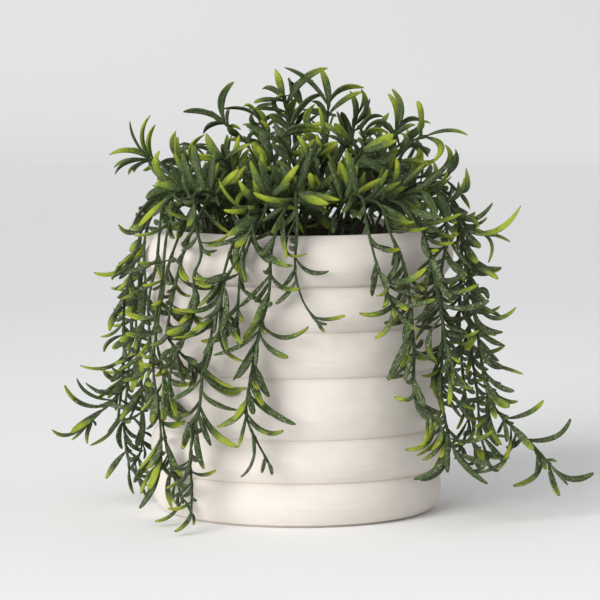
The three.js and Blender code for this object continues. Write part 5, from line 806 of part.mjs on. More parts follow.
    [31.29,8.87,158.18,34.82,14.97,165.01,33.18,24.64,164.52,4.83,2.05,-0.89,-0.08,0.45,0.1]]],
  ["upright_stem_20", [[28,-30,136.66], [27.51,-29.77,143.4], [25.47,-29.1,147.3], [25.91,-29.98,149.15], [32.81,-36.98,155.85], [39.05,-42.51,160.12], [45.99,-47.95,162.74], [53.24,-53.23,163.17]], [
    [45.69,-47.72,162.66,49.59,-48.33,169.44,47.56,-50.27,176.88,4,2.3,0.82,0.58,0,0.88],
    [32.46,-36.63,155.53,43.37,-36.09,152.56,49.96,-37.83,149.22,4.98,2.3,-0.36,-0.44,-0.83,0.56],
    [36.47,-40.31,158.58,39.64,-46.09,165.04,41.26,-51.69,172.19,5.03,2.05,-0.47,-0.75,-0.46,0.6]]],
  ["upright_stem_21", [[30,-6,138.23], [30,-6,142.83], [28.9,-5.78,145.98], [29.24,-6,147.52], [43.19,-11.7,163.85], [55.24,-17.41,181.4], [58.1,-18.44,183.96], [63.54,-20,185.58]], [
    [60.1,-19.04,184.86,61.78,-20.9,198.98,58.56,-21.31,202.42,4,2.3,0.7,0.7,0.15,0.95],
    [61.12,-19.33,185.08,58.01,-15.9,194.67,65.65,-15.34,191.45,3.68,2.18,0.82,-0.56,-0.14,0.92],
    [62.98,-19.85,185.47,75.2,-21.02,190.91,83.51,-20.17,185.83,3.55,1.78,-0.01,-0.92,-0.39,0.55],
    [62.05,-19.59,185.28,76.68,-21.11,182.61,65.94,-22.06,172.52,4.15,2.3,-0.85,-0.51,-0.16,0.91],
    [55.13,-17.36,181.27,62.08,-13.56,181.71,64.47,-10.72,174.79,2.75,1.77,-0.38,-0.69,-0.62,0.13],
    [50.66,-15.3,175.04,56.87,-11.97,183.95,61.51,-10.49,180.88,2.75,1.67,0.05,0.78,-0.63,0.15],
    [46.28,-13.09,168.02,53.21,-7.25,172.36,54.62,1.88,168.44,4.98,2.05,-0.87,0.49,0.01,0.46],
    [53.32,-16.59,179.05,55.11,-12.08,186.25,50.9,-4.5,185.92,4.16,2.05,-0.72,-0.45,0.53,0.79],
    [48.91,-14.38,172.08,57.44,-17.16,175.32,65.73,-18.72,170.89,4.16,2.05,0.26,0.92,0.29,0.81],
    [40.37,-10.5,160.32,44.92,-16.68,164.77,44.93,-25.24,163.45,4.48,2.05,0.63,0.78,-0.06,0.46]]],
  ["upright_stem_22", [[26,28,137.13], [26.07,27.91,144.04], [27.81,27.95,148.25], [37.67,30.14,160.96], [44.66,31.83,168.2], [52.32,33.47,174.77], [57.47,34.43,177.91], [61.48,35.06,178.04], [67.27,36,176.04]], [
    [58.72,34.63,178.15,62.38,39.74,176.23,60.98,45.24,172.91,4.15,2.05,-0.11,0.46,0.88,0.44],
    [51.48,33.3,174.08,55.64,29.54,180.7,58.38,24.26,187.01,4.4,2.05,0.74,-0.29,-0.6,0.1],
    [54.66,33.93,176.44,57.57,37.41,181.72,55.89,42.16,186.52,4.03,2.05,-0.62,-0.57,0.54,0.78],
    [63.07,35.32,177.52,68.07,28.5,174.81,63.62,20.85,175.49,4.26,2.05,-0.65,0.08,-0.76,0.07],
    [44.38,31.76,167.93,48.54,27.11,170.47,46.97,21.21,167.63,3.84,2.05,0.74,0.2,-0.65,0.47],
    [38.19,30.27,161.54,40.94,25.86,166.71,38.64,18.91,166.72,5.24,2.05,0.83,-0.2,-0.52,0.41],
    [47.69,32.5,170.9,47.41,32.73,177.69,44.82,32.52,183.97,3.99,2.05,-0.33,-0.94,-0.07,0.5]]],
  ["upright_stem_23", [[38,-12,136.86], [38,-12,141.46], [36.15,-11.69,146.51], [36.99,-11.97,147.93], [45.66,-14.26,152.24], [53.06,-15.97,154.38], [60.68,-17.47,155.32], [68.35,-18.58,155.2], [75.9,-19.14,153.8]], [
    [51.96,-15.73,154.15,50.9,-15.49,145.66,42.12,-16.98,143.31,3.36,2.12,-0.66,0.21,0.72,0.57],
    [70.08,-18.76,154.98,65.2,-18.76,142.63,60.32,-18.76,143.49,4,2.3,-0.48,-0.78,0.41,0.91],
    [38.97,-12.5,148.91,45.71,-9.79,153.29,47.57,-1.97,155.98,4.35,2.05,-0.34,-0.32,0.89,0.5],
    [73.95,-19.04,154.2,80.2,-15.2,157.24,81.82,-9.71,162.73,4.98,2.05,0.56,-0.76,0.32,0.6],
    [55.83,-16.55,154.81,62.19,-22.26,155.64,59.99,-30.38,155.61,3.88,2.05,-0.26,0.3,-0.92,0.03]]],
  ["upright_stem_24", [[36,6,137.4], [36,6,142], [33.72,6.09,147.08], [34.4,6,148.7], [45.57,4.96,156.9], [55.91,4.07,162.63], [63.5,3.48,164.67], [69.34,3.04,164.18], [74.77,2.59,161.89], [80.34,2,156.4]], [
    [66,3.29,164.71,81.12,4.18,171.91,73.36,3.07,180.11,4,2.3,0.75,0.56,-0.35,0.56],
    [70.02,2.98,163.96,82.53,2.98,168.39,78.31,2.98,178.14,4,1.97,0.42,0.87,-0.25,0.15],
    [78.74,2.18,158.2,86.63,3.78,154.4,83.71,2.19,168.87,4.42,2.3,0.82,0.48,-0.32,0.49],
    [80.34,2,156.4,83.7,4.54,153.39,85.88,2.97,148.15,4,1.97,-0.31,-0.9,-0.31,0.58],
    [43.16,5.18,155.27,45.31,-4.43,159.21,45.18,-10.38,163,4.57,1.95,-0.14,-0.65,-0.75,0.03],
    [62.28,3.57,164.48,68.87,9.36,168.17,65.04,17.66,170.84,4.62,2.05,-0.29,-0.35,0.89,0.06],
    [46.47,4.88,157.48,50.79,-1,161.41,48.91,-6.71,161.86,5.04,2.05,-0.08,-0.65,-0.75,0.53]]],
  ["upright_stem_25", [[-8,36,137.34], [-8.13,36.2,145.3], [-9.17,37.91,156.03], [-10.93,40.76,166.42], [-13.74,45.33,178.38], [-16.08,49.12,185.89], [-18.96,53.8,192.67], [-21.78,58.4,196.28], [-22.91,60.22,196.59], [-24,62,196]], [
    [-8.25,36.41,147.28,-8.98,30.28,152.38,-9.23,24.83,148.1,5.3,2.05,0.8,0.18,0.57,0.53],
    [-9.39,38.26,157.51,-7.68,37.77,164.46,-5.27,36.69,171.12,3.85,2.05,0.68,0.73,-0.12,0.15],
    [-14.48,46.53,180.95,-13.12,53.43,183.15,-10.95,59.69,183.11,5.23,2.05,-0.46,0.06,-0.89,0.9]]],
  ["upright_stem_26", [[12,40,136.53], [12.06,40.21,144.48], [12.61,41.98,155.21], [13.55,45.04,165.62], [14.81,49.14,175.63], [16.08,53.26,183.2], [17.7,58.52,189.92], [18.77,61.99,192.28], [19.39,64.03,192.66], [20,66,192]], [
    [13.39,44.52,164.07,16.26,40.89,170.46,19.39,35.95,175.78,4.1,2.05,0.78,0.62,0.05,0.46],
    [12.46,41.5,152.98,16.15,43.55,159.6,22.03,45.7,164.33,5.3,2.05,-0.24,0.96,-0.15,0.11]]],
  ["upright_stem_27", [[32.9,29.54,136.09], [32.9,29.54,140.69], [34.5,30.4,145.94], [36.46,31.8,154.28], [39.57,33.89,162.12], [43.67,36.38,169.28], [48.73,39.55,175.51], [53.25,42.42,179.13], [58.47,45.75,180.9], [62,48,180]], [
    [35.66,31.24,151.52,35.29,40.37,155.47,32.84,49.51,152.36,4.73,2.05,-0.95,-0.16,0.25,0.04],
    [44.94,37.17,171.07,44.71,48.37,173.74,43.6,57.03,171.77,4.51,2.05,-0.06,-0.44,0.9,0.4],
    [39.34,33.74,161.61,36.28,35.63,169.94,27.54,35.57,172.39,4.97,2.05,-0.55,-0.68,-0.49,0.13],
    [37.28,32.38,156.67,40.59,37.3,161.19,43.46,44.15,160.57,4.91,2.05,-0.63,0.07,0.78,0.11]]],
  ["upright_stem_28", [[-34,30,135.87], [-34.22,30.14,143.88], [-35.3,30.8,150.38], [-37.91,32.41,158.65], [-41.68,34.73,166.28], [-46.56,37.73,172.98], [-51.06,40.5,176.96], [-56.38,43.77,178.95], [-60,46,178]], [
    [-53.42,41.95,178.2,-59.55,45.63,176.87,-62.88,45.51,170.39,3.51,1.79,-0.05,-0.35,-0.94,0.52]]],
  ["upright_stem_29", [[0,24,138.99], [-0.27,24.68,158.11], [-1.38,27.46,184.59], [-2.71,30.77,204.25], [-3.45,32.63,210.6], [-4,34,212]], [
    [-0.2,24.5,155.47,-1.61,32.3,159.21,-3.09,40.88,158.17,5.15,2.05,-0.61,0.02,-0.79,0.22],
    [-1.24,27.09,181.81,3.93,25.85,190.08,11.95,23.08,195.06,3.83,2.05,0.35,0.93,-0.07,0.03],
    [-1.95,28.87,194.16,0.27,33.47,197.36,0.18,34.12,196.09,3.46,1.79,-0.36,-0.7,-0.61,0.08]]],
];

// ---- helpers ------------------------------------------------------------
const V = (x, y, z) => new THREE.Vector3(x, y, z);

// A closed shell from rings of points with the same count; the first and last ring are capped, or a single point closes an end.
function shell(rings) {
  const pos = [];
  const start = rings.map((ring) => {
    const at = pos.length / 3;
    for (const p of ring) pos.push(p.x, p.y, p.z);
    return at;
  });
  const tri = [];
  for (let k = 0; k + 1 < rings.length; k++) {
    const a = start[k],
      b = start[k + 1],
      n = rings[k].length,
      m = rings[k + 1].length;
    if (m === 1) {
      for (let i = 0; i < n; i++) tri.push(a + i, a + ((i + 1) % n), b);
    } else {
      for (let i = 0; i < n; i++) {
        const j = (i + 1) % n;
        tri.push(a + i, a + j, b + j, a + i, b + j, b + i);
      }
    }
  }
  const cap = (at, n, flip) => {
    for (let i = 1; i + 1 < n; i++)
      flip
        ? tri.push(at, at + i + 1, at + i)
        : tri.push(at, at + i, at + i + 1);
  };
  if (rings[0].length > 1) cap(start[0], rings[0].length, true);
  const last = rings.length - 1;
  if (rings[last].length > 1) cap(start[last], rings[last].length, false);
  return solid(new Float32Array(pos), new Uint32Array(tri));
}
function solid(pos, tri) {
  const made = new Manifold(
    new Mesh({ numProp: 3, vertProperties: pos, triVerts: tri }),
  );
  if (made.volume() > 0) return made;
  for (let i = 0; i < tri.length; i += 3)
    [tri[i + 1], tri[i + 2]] = [tri[i + 2], tri[i + 1]];
  return new Manifold(
    new Mesh({ numProp: 3, vertProperties: pos, triVerts: tri }),
  );
}
// A solid of revolution from a profile of [r, z] that starts and ends on the axis.
function revolve(profile, segments) {
  const geo = new THREE.LatheGeometry(
    profile.map(([r, z]) => new THREE.Vector2(r, z)),
    segments,
  );
  geo.rotateX(Math.PI / 2);
  geo.deleteAttribute("normal");
  geo.deleteAttribute("uv");
  const merged = mergeVertices(geo, 1e-4);
  const index = [];
  const src = merged.index.array;
  for (let i = 0; i < src.length; i += 3)
    if (src[i] !== src[i + 1] && src[i + 1] !== src[i + 2] && src[i] !== src[i + 2])
      index.push(src[i], src[i + 1], src[i + 2]);
  return solid(
    new Float32Array(merged.attributes.position.array),
    new Uint32Array(index),
  );
}
function toMesh(made, name, colour, roughness) {
  const m = made.getMesh();
  const n = m.numProp;
  const count = m.vertProperties.length / n;
  const pos = new Float32Array(count * 3);
  for (let i = 0; i < count; i++)
    for (let k = 0; k < 3; k++) pos[i * 3 + k] = m.vertProperties[i * n + k];
  const geo = new THREE.BufferGeometry();
  geo.setAttribute("position", new THREE.BufferAttribute(pos, 3));
  geo.setIndex(new THREE.BufferAttribute(new Uint32Array(m.triVerts), 1));
  const flat = geo.toNonIndexed();
  flat.computeVertexNormals();
  const mesh = new THREE.Mesh(
    flat,
    new THREE.MeshStandardMaterial({
      color: colour,
      roughness,
      metalness: 0,
    }),
  );
  mesh.name = name;
  return mesh;
}

// ---- pot ----------------------------------------------------------------
function potProfile() {
  const top = RING_R.length - 1;
  const p = [[0, 0], [GROOVE_R[0], 0]];
  for (let k = 0; k < top; k++) {
    const z0 = GROOVE_Z[k],
      z1 = GROOVE_Z[k + 1],
      low = GROOVE_R[k],
      high = GROOVE_R[k + 1];
    // each ring bulges out between its two grooves
    for (const t of [0.1, 0.32, 0.68, 0.9]) {
      const arc = Math.pow(Math.sin(Math.PI * t), 0.62);
      p.push([
        low + (high - low) * t + (RING_R[k] + 0.25 - (low + high) / 2) * arc,
        z0 + (z1 - z0) * t,
      ]);
    }
    p.push([high, z1]);
  }
  for (const [z, r] of RIM_RING) p.push([r, z]);
  p.push([GROOVE_R[top + 1], GROOVE_Z[top + 1]]);
  p.push([INNER_R + 0.9, GROOVE_Z[top + 1] - 0.3], [INNER_R, GROOVE_Z[top + 1] - 1.6]);
  p.push([INNER_R, 20], [INNER_R - 2.5, FLOOR_Z + 3], [INNER_R - 6, FLOOR_Z], [0, FLOOR_Z]);
  return p;
}
const pot = revolve(potProfile(), POT_SEGMENTS);

// ---- soil ---------------------------------------------------------------
const GAP = 0.35; // between the soil and the pot
const soilTop = (r) => SOIL_EDGE_Z + SOIL_MOUND * (1 - (r / SOIL_R) ** 2);
let soil = revolve(
  [
    [0, FLOOR_Z + GAP],
    [INNER_R - 6.6, FLOOR_Z + GAP],
    [INNER_R - 2.5 - 0.6, FLOOR_Z + 3 + GAP],
    [SOIL_R, 20.3],
    [SOIL_R, soilTop(SOIL_R) - 1.2],
    [SOIL_R - 1.6, soilTop(SOIL_R) + 0.1],
    ...[0.8, 0.55, 0.28].map((u) => [SOIL_R * u, soilTop(SOIL_R * u)]),
    [0, soilTop(0)],
  ],
  SOIL_SEGMENTS,
);
const sockets = STRANDS.map(([, line]) => {
  const [x, y, z] = line[0];
  const ring = (h) =>
    [0, 1, 2].map((i) => {
      const a = (i * 2 * Math.PI) / 3 + 0.3;
      return V(x + SOCKET_R * Math.cos(a), y + SOCKET_R * Math.sin(a), h);
    });
  return shell([ring(z - (SOCKET_DEPTH - 2.6)), ring(z + 9)]);
});
soil = soil.subtract(Manifold.union(sockets));

// ---- stems and leaves ---------------------------------------------------
const CORNERS = 4;
// The three-sided sections of a leaf beyond its base, and its tip.
function leafRings(row) {
  const [bx, by, bz, cx, cy, cz, tx, ty, tz, width, thick, wx, wy, wz] = row;
  const b = V(bx, by, bz),
    c = V(cx, cy, cz),
    e = V(tx, ty, tz),
    across = V(wx, wy, wz);
  const long = b.distanceTo(c) + c.distanceTo(e) > LONG_LEAF;
  const rings = (long ? LEAF_RINGS_LONG : LEAF_RINGS).map((t) => {
    const at = b
      .clone()
      .multiplyScalar((1 - t) ** 2)
      .addScaledVector(c, 2 * t * (1 - t))
      .addScaledVector(e, t * t);
    const along = c
      .clone()
      .sub(b)
      .multiplyScalar(1 - t)
      .addScaledVector(e.clone().sub(c), t)
      .normalize();
    const w = across.clone().addScaledVector(along, -across.dot(along)).normalize();
    const n = along.clone().cross(w);
    // the flat upper side faces the inside of the leaf's bend
    if (n.dot(b.clone().add(e).multiplyScalar(0.5).sub(c)) < 0) n.negate();
    const full = (Math.pow(t, 0.62) * Math.sqrt(1 - t)) / 0.4775;
    const hw = (width / 2) * full * 1.04,
      th = thick * full;
    const three = [
      at.clone().addScaledVector(w, hw).addScaledVector(n, 0.36 * th),
      at.clone().addScaledVector(w, -hw).addScaledVector(n, 0.36 * th),
      at.clone().addScaledVector(n, -0.66 * th),
    ];
    // every section turns the same way round the leaf
    const turn = three[1].clone().sub(three[0]).cross(three[2].clone().sub(three[0]));
    return turn.dot(along) < 0 ? [three[1], three[0], three[2]] : three;
  });
  return [...rings, [e]];
}
// One closed body: a four-sided stem along its line, each leaf growing out of a small triangle cut in a side of the stem.
function strandSolid(line, leaves) {
  const pts = line.map((p) => V(...p));
  const last = pts.length - 1;
  const pos = [],
    tri = [];
  const put = (p) => (pos.push(p.x, p.y, p.z), pos.length / 3 - 1);
  const at = (i) => V(pos[3 * i], pos[3 * i + 1], pos[3 * i + 2]);
  let side = V(1, 0, 0);
  const rings = pts.map((p, i) => {
    const along = pts[Math.min(last, i + 1)]
      .clone()
      .sub(pts[Math.max(0, i - 1)])
      .normalize();
    side = side.clone().addScaledVector(along, -side.dot(along)).normalize();
    const other = along.clone().cross(side);
    const r = STEM_R + (STEM_TIP_R - STEM_R) * Math.pow(i / last, 3);
    return [0, 1, 2, 3].map((k) => {
      const a = (k * Math.PI) / 2 + Math.PI / 4;
      return put(
        p
          .clone()
          .addScaledVector(side, r * Math.cos(a))
          .addScaledVector(other, r * Math.sin(a)),
      );
    });
  });
  // joins section after section of a leaf, each with the least twist, and closes it at its tip
  const grow = (ring, steps) => {
    for (const next of steps) {
      if (next.length === 1) {
        const tip = put(next[0]);
        for (let q = 0; q < 3; q++) tri.push(ring[q], ring[(q + 1) % 3], tip);
        return;
      }
      let best = 0,
        least = Infinity;
      for (let turn = 0; turn < 3; turn++) {
        const sum = ring.reduce((a, id, q) => a + at(id).distanceTo(next[(q + turn) % 3]), 0);
        if (sum < least) [least, best] = [sum, turn];
      }
      const to = [0, 1, 2].map((q) => put(next[(q + best) % 3]));
      for (let q = 0; q < 3; q++) {
        const r = (q + 1) % 3;
        tri.push(ring[q], ring[r], to[r], ring[q], to[r], to[q]);
      }
      ring = to;
    }
  };
  // where each leaf sits: segment, side of the stem, and the distance along the segment
  const seats = rings.slice(1).map(() => [0, 1, 2, 3].map(() => []));
  const length = pts.slice(1).map((p, i) => p.distanceTo(pts[i]));
  // the leaf that best carries on the line of the stem grows out of its end
  const ahead = pts[last].clone().sub(pts[last - 1]).normalize();
  const onward = (row) =>
    V(row[3], row[4], row[5]).sub(V(row[0], row[1], row[2])).normalize().dot(ahead);
  const endLeaf = leaves
    .filter((row) => V(row[0], row[1], row[2]).distanceTo(pts[last]) < 2.2 && onward(row) > 0.35)
    .sort((a, c) => onward(c) - onward(a))[0];
  for (const row of leaves) {
    if (row === endLeaf) continue;
    const b = V(row[0], row[1], row[2]);
    const out = V(row[3], row[4], row[5]).sub(b).normalize();
    const first = leafRings(row)[0];
    const options = [];
    for (let i = 0; i < last; i++) {
      if (length[i] < 2 * SEAT + 0.5) continue;
      const d = pts[i + 1].clone().sub(pts[i]).divideScalar(length[i]);
      const s = Math.min(
        Math.max(b.clone().sub(pts[i]).dot(d), SEAT + 0.2),
        length[i] - SEAT - 0.2,
      );
      for (let k = 0; k < CORNERS; k++) {
        const mid = [rings[i][k], rings[i][(k + 1) % 4], rings[i + 1][k], rings[i + 1][(k + 1) % 4]]
          .reduce((a, j) => a.add(at(j)), V(0, 0, 0))
          .divideScalar(4);
        const n = mid.sub(pts[i].clone().add(pts[i + 1]).multiplyScalar(0.5));
        n.addScaledVector(d, -n.dot(d)).normalize();
        const facing = n.dot(out);
        if (facing < 0.1) continue;
        // how far the first section of the leaf stands clear of this side
        const clear = Math.min(...first.map((p) => p.clone().sub(mid).dot(n)));
        // the nearest free place on this side
        for (const shift of [0, 0.6, -0.6, 1.2, -1.2, 1.8, -1.8, 2.4, -2.4, 3.4, -3.4, 4.6, -4.6]) {
          const v = s + shift;
          if (v < SEAT + 0.15 || v > length[i] - SEAT - 0.15) continue;
          if (seats[i][k].some((o) => Math.abs(o.v - v) < 2 * SEAT + 0.15)) continue;
          const where = pts[i].clone().addScaledVector(d, v);
          options.push({ i, k, v, clear, n, cost: where.distanceTo(b) - 1.6 * facing + 0.8 * Math.max(0, 0.5 - clear) });
          break;
        }
      }
    }
    options.sort((a, c) => a.cost - c.cost);
    if (!options.length) throw new Error("no place on the stem for a leaf");
    const { i, k, v, n, clear } = options[0];
    seats[i][k].push({ v, row, n, clear });
  }
  for (let i = 0; i < last; i++)
    for (let k = 0; k < CORNERS; k++) {
      const quad = [rings[i][k], rings[i][(k + 1) % 4], rings[i + 1][(k + 1) % 4], rings[i + 1][k]];
      const P = quad.map(at);
      const wide = P[0].distanceTo(P[1]);
      const L = length[i];
      // u across the side 0..1, v along it in mm
      const on = (u, v) =>
        P[0]
          .clone()
          .lerp(P[1], u)
          .lerp(P[3].clone().lerp(P[2], u), v / L);
      const flat = [new THREE.Vector2(0, 0), new THREE.Vector2(wide, 0), new THREE.Vector2(wide, L), new THREE.Vector2(0, L)];
      const ids = [...quad];
      const holes = [];
      for (const { v, row, n, clear } of seats[i][k]) {
        const corner = [
          [0.5 - SEAT_ACROSS, v - SEAT],
          [0.5 + SEAT_ACROSS, v - SEAT],
          [0.5, v + SEAT],
        ];
        let ring = corner.map(([u, w]) => put(on(u, w)));
        holes.push(corner.map(([u, w]) => new THREE.Vector2(u * wide, w)));
        ids.push(...ring);
        const steps = leafRings(row);
        if (clear < COLLAR_BELOW) {
          // a short stalk lifts a leaf that lies close along the stem
          const foot = ring.map(at);
          const mid = foot[0].clone().add(foot[1]).add(foot[2]).divideScalar(3);
          const lift = steps[0][0].clone().sub(mid).normalize().multiplyScalar(0.3).addScaledVector(n, COLLAR);
          steps.unshift(foot.map((p) => p.sub(mid).multiplyScalar(0.7).add(mid).add(lift)));
        }
        grow(ring, steps);
      }
      const all = [...flat, ...holes.flat()];
      for (const [a, b, c] of THREE.ShapeUtils.triangulateShape([...flat], holes.map((h) => [...h]))) {
        const area =
          (all[b].x - all[a].x) * (all[c].y - all[a].y) -
          (all[b].y - all[a].y) * (all[c].x - all[a].x);
        area > 0 ? tri.push(ids[a], ids[b], ids[c]) : tri.push(ids[a], ids[c], ids[b]);
      }
    }
  const cap = (ring, flip) => {
    for (let k = 1; k < 3; k++)
      flip ? tri.push(ring[0], ring[k + 1], ring[k]) : tri.push(ring[0], ring[k], ring[k + 1]);
  };
  cap(rings[0], true);
  if (endLeaf) {
    // four corners of the stem's end to the three of the leaf's first section, two of them to one
    const [first, ...rest] = leafRings(endLeaf);
    const end = rings[last];
    let pick = [0, 0],
      least = Infinity;
    for (let s = 0; s < 4; s++)
      for (let t = 0; t < 3; t++) {
        const sum = [0, 1, 2, 2].reduce(
          (a, m, q) => a + at(end[(q + s) % 4]).distanceTo(first[(m + t) % 3]),
          0,
        );
        if (sum < least) [least, pick] = [sum, [s, t]];
      }
    const q = [0, 1, 2, 3].map((k) => end[(k + pick[0]) % 4]);
    const f = [0, 1, 2].map((k) => put(first[(k + pick[1]) % 3]));
    tri.push(q[0], q[1], f[1], q[0], f[1], f[0], q[1], q[2], f[2], q[1], f[2], f[1]);
    tri.push(q[2], q[3], f[2], q[3], q[0], f[0], q[3], f[0], f[2]);
    grow(f, rest);
  } else cap(rings[last], false);
  return solid(new Float32Array(pos), new Uint32Array(tri));
}

const group = new THREE.Group();
group.name = "potted_trailing_plant";
group.add(toMesh(pot, "pot", 0xe6e0d8, 0.75));
group.add(toMesh(soil, "soil", 0x1d1814, 0.95));
for (const [name, line, leaves] of STRANDS) {
  group.add(toMesh(strandSolid(line, leaves), name, name.startsWith("trailing") ? 0x5c7a34 : 0x51702f, 0.5));
}

export default group;
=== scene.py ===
import math

import bpy
import numpy as np
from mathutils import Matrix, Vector


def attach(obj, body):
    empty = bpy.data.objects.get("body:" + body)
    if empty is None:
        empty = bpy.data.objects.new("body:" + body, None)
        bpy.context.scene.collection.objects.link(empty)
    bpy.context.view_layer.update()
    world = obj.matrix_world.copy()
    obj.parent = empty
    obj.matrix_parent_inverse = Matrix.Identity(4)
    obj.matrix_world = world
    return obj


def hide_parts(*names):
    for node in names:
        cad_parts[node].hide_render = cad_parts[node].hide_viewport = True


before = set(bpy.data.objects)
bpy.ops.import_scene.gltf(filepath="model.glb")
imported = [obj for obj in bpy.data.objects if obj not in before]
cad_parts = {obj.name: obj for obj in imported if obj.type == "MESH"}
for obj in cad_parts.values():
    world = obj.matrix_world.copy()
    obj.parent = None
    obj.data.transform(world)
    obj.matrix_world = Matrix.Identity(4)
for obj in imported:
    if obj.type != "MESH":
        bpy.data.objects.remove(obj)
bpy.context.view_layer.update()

# Potted trailing plant: fleshy hooked leaves on thin stems over the rim of a pale pot of stacked rounded rings.
# Metres, +Z up, origin at the centre of the pot's underside, front towards -Y. The tables below are in millimetres.

MM = 0.001
scene = bpy.context.scene

# ---- dimensions ---------------------------------------------------------
GROOVE_Z = [0, 21.2, 42.1, 71.8, 94.0, 115.8, 140.4]
RING_R = [71.9, 72.5, 72.8, 73.4, 74.8, 77.6]
GROOVE_R = [66.8, 68.8, 69.2, 69.5, 70.3, 71.5, 68.6]
INNER_R = 65.9
FLOOR_Z = 6.0
SOIL_R = 65.4
SOIL_EDGE_Z = 133.8
SOIL_MOUND = 9.0
STEM_R = 0.7
STEM_TIP_R = 0.5

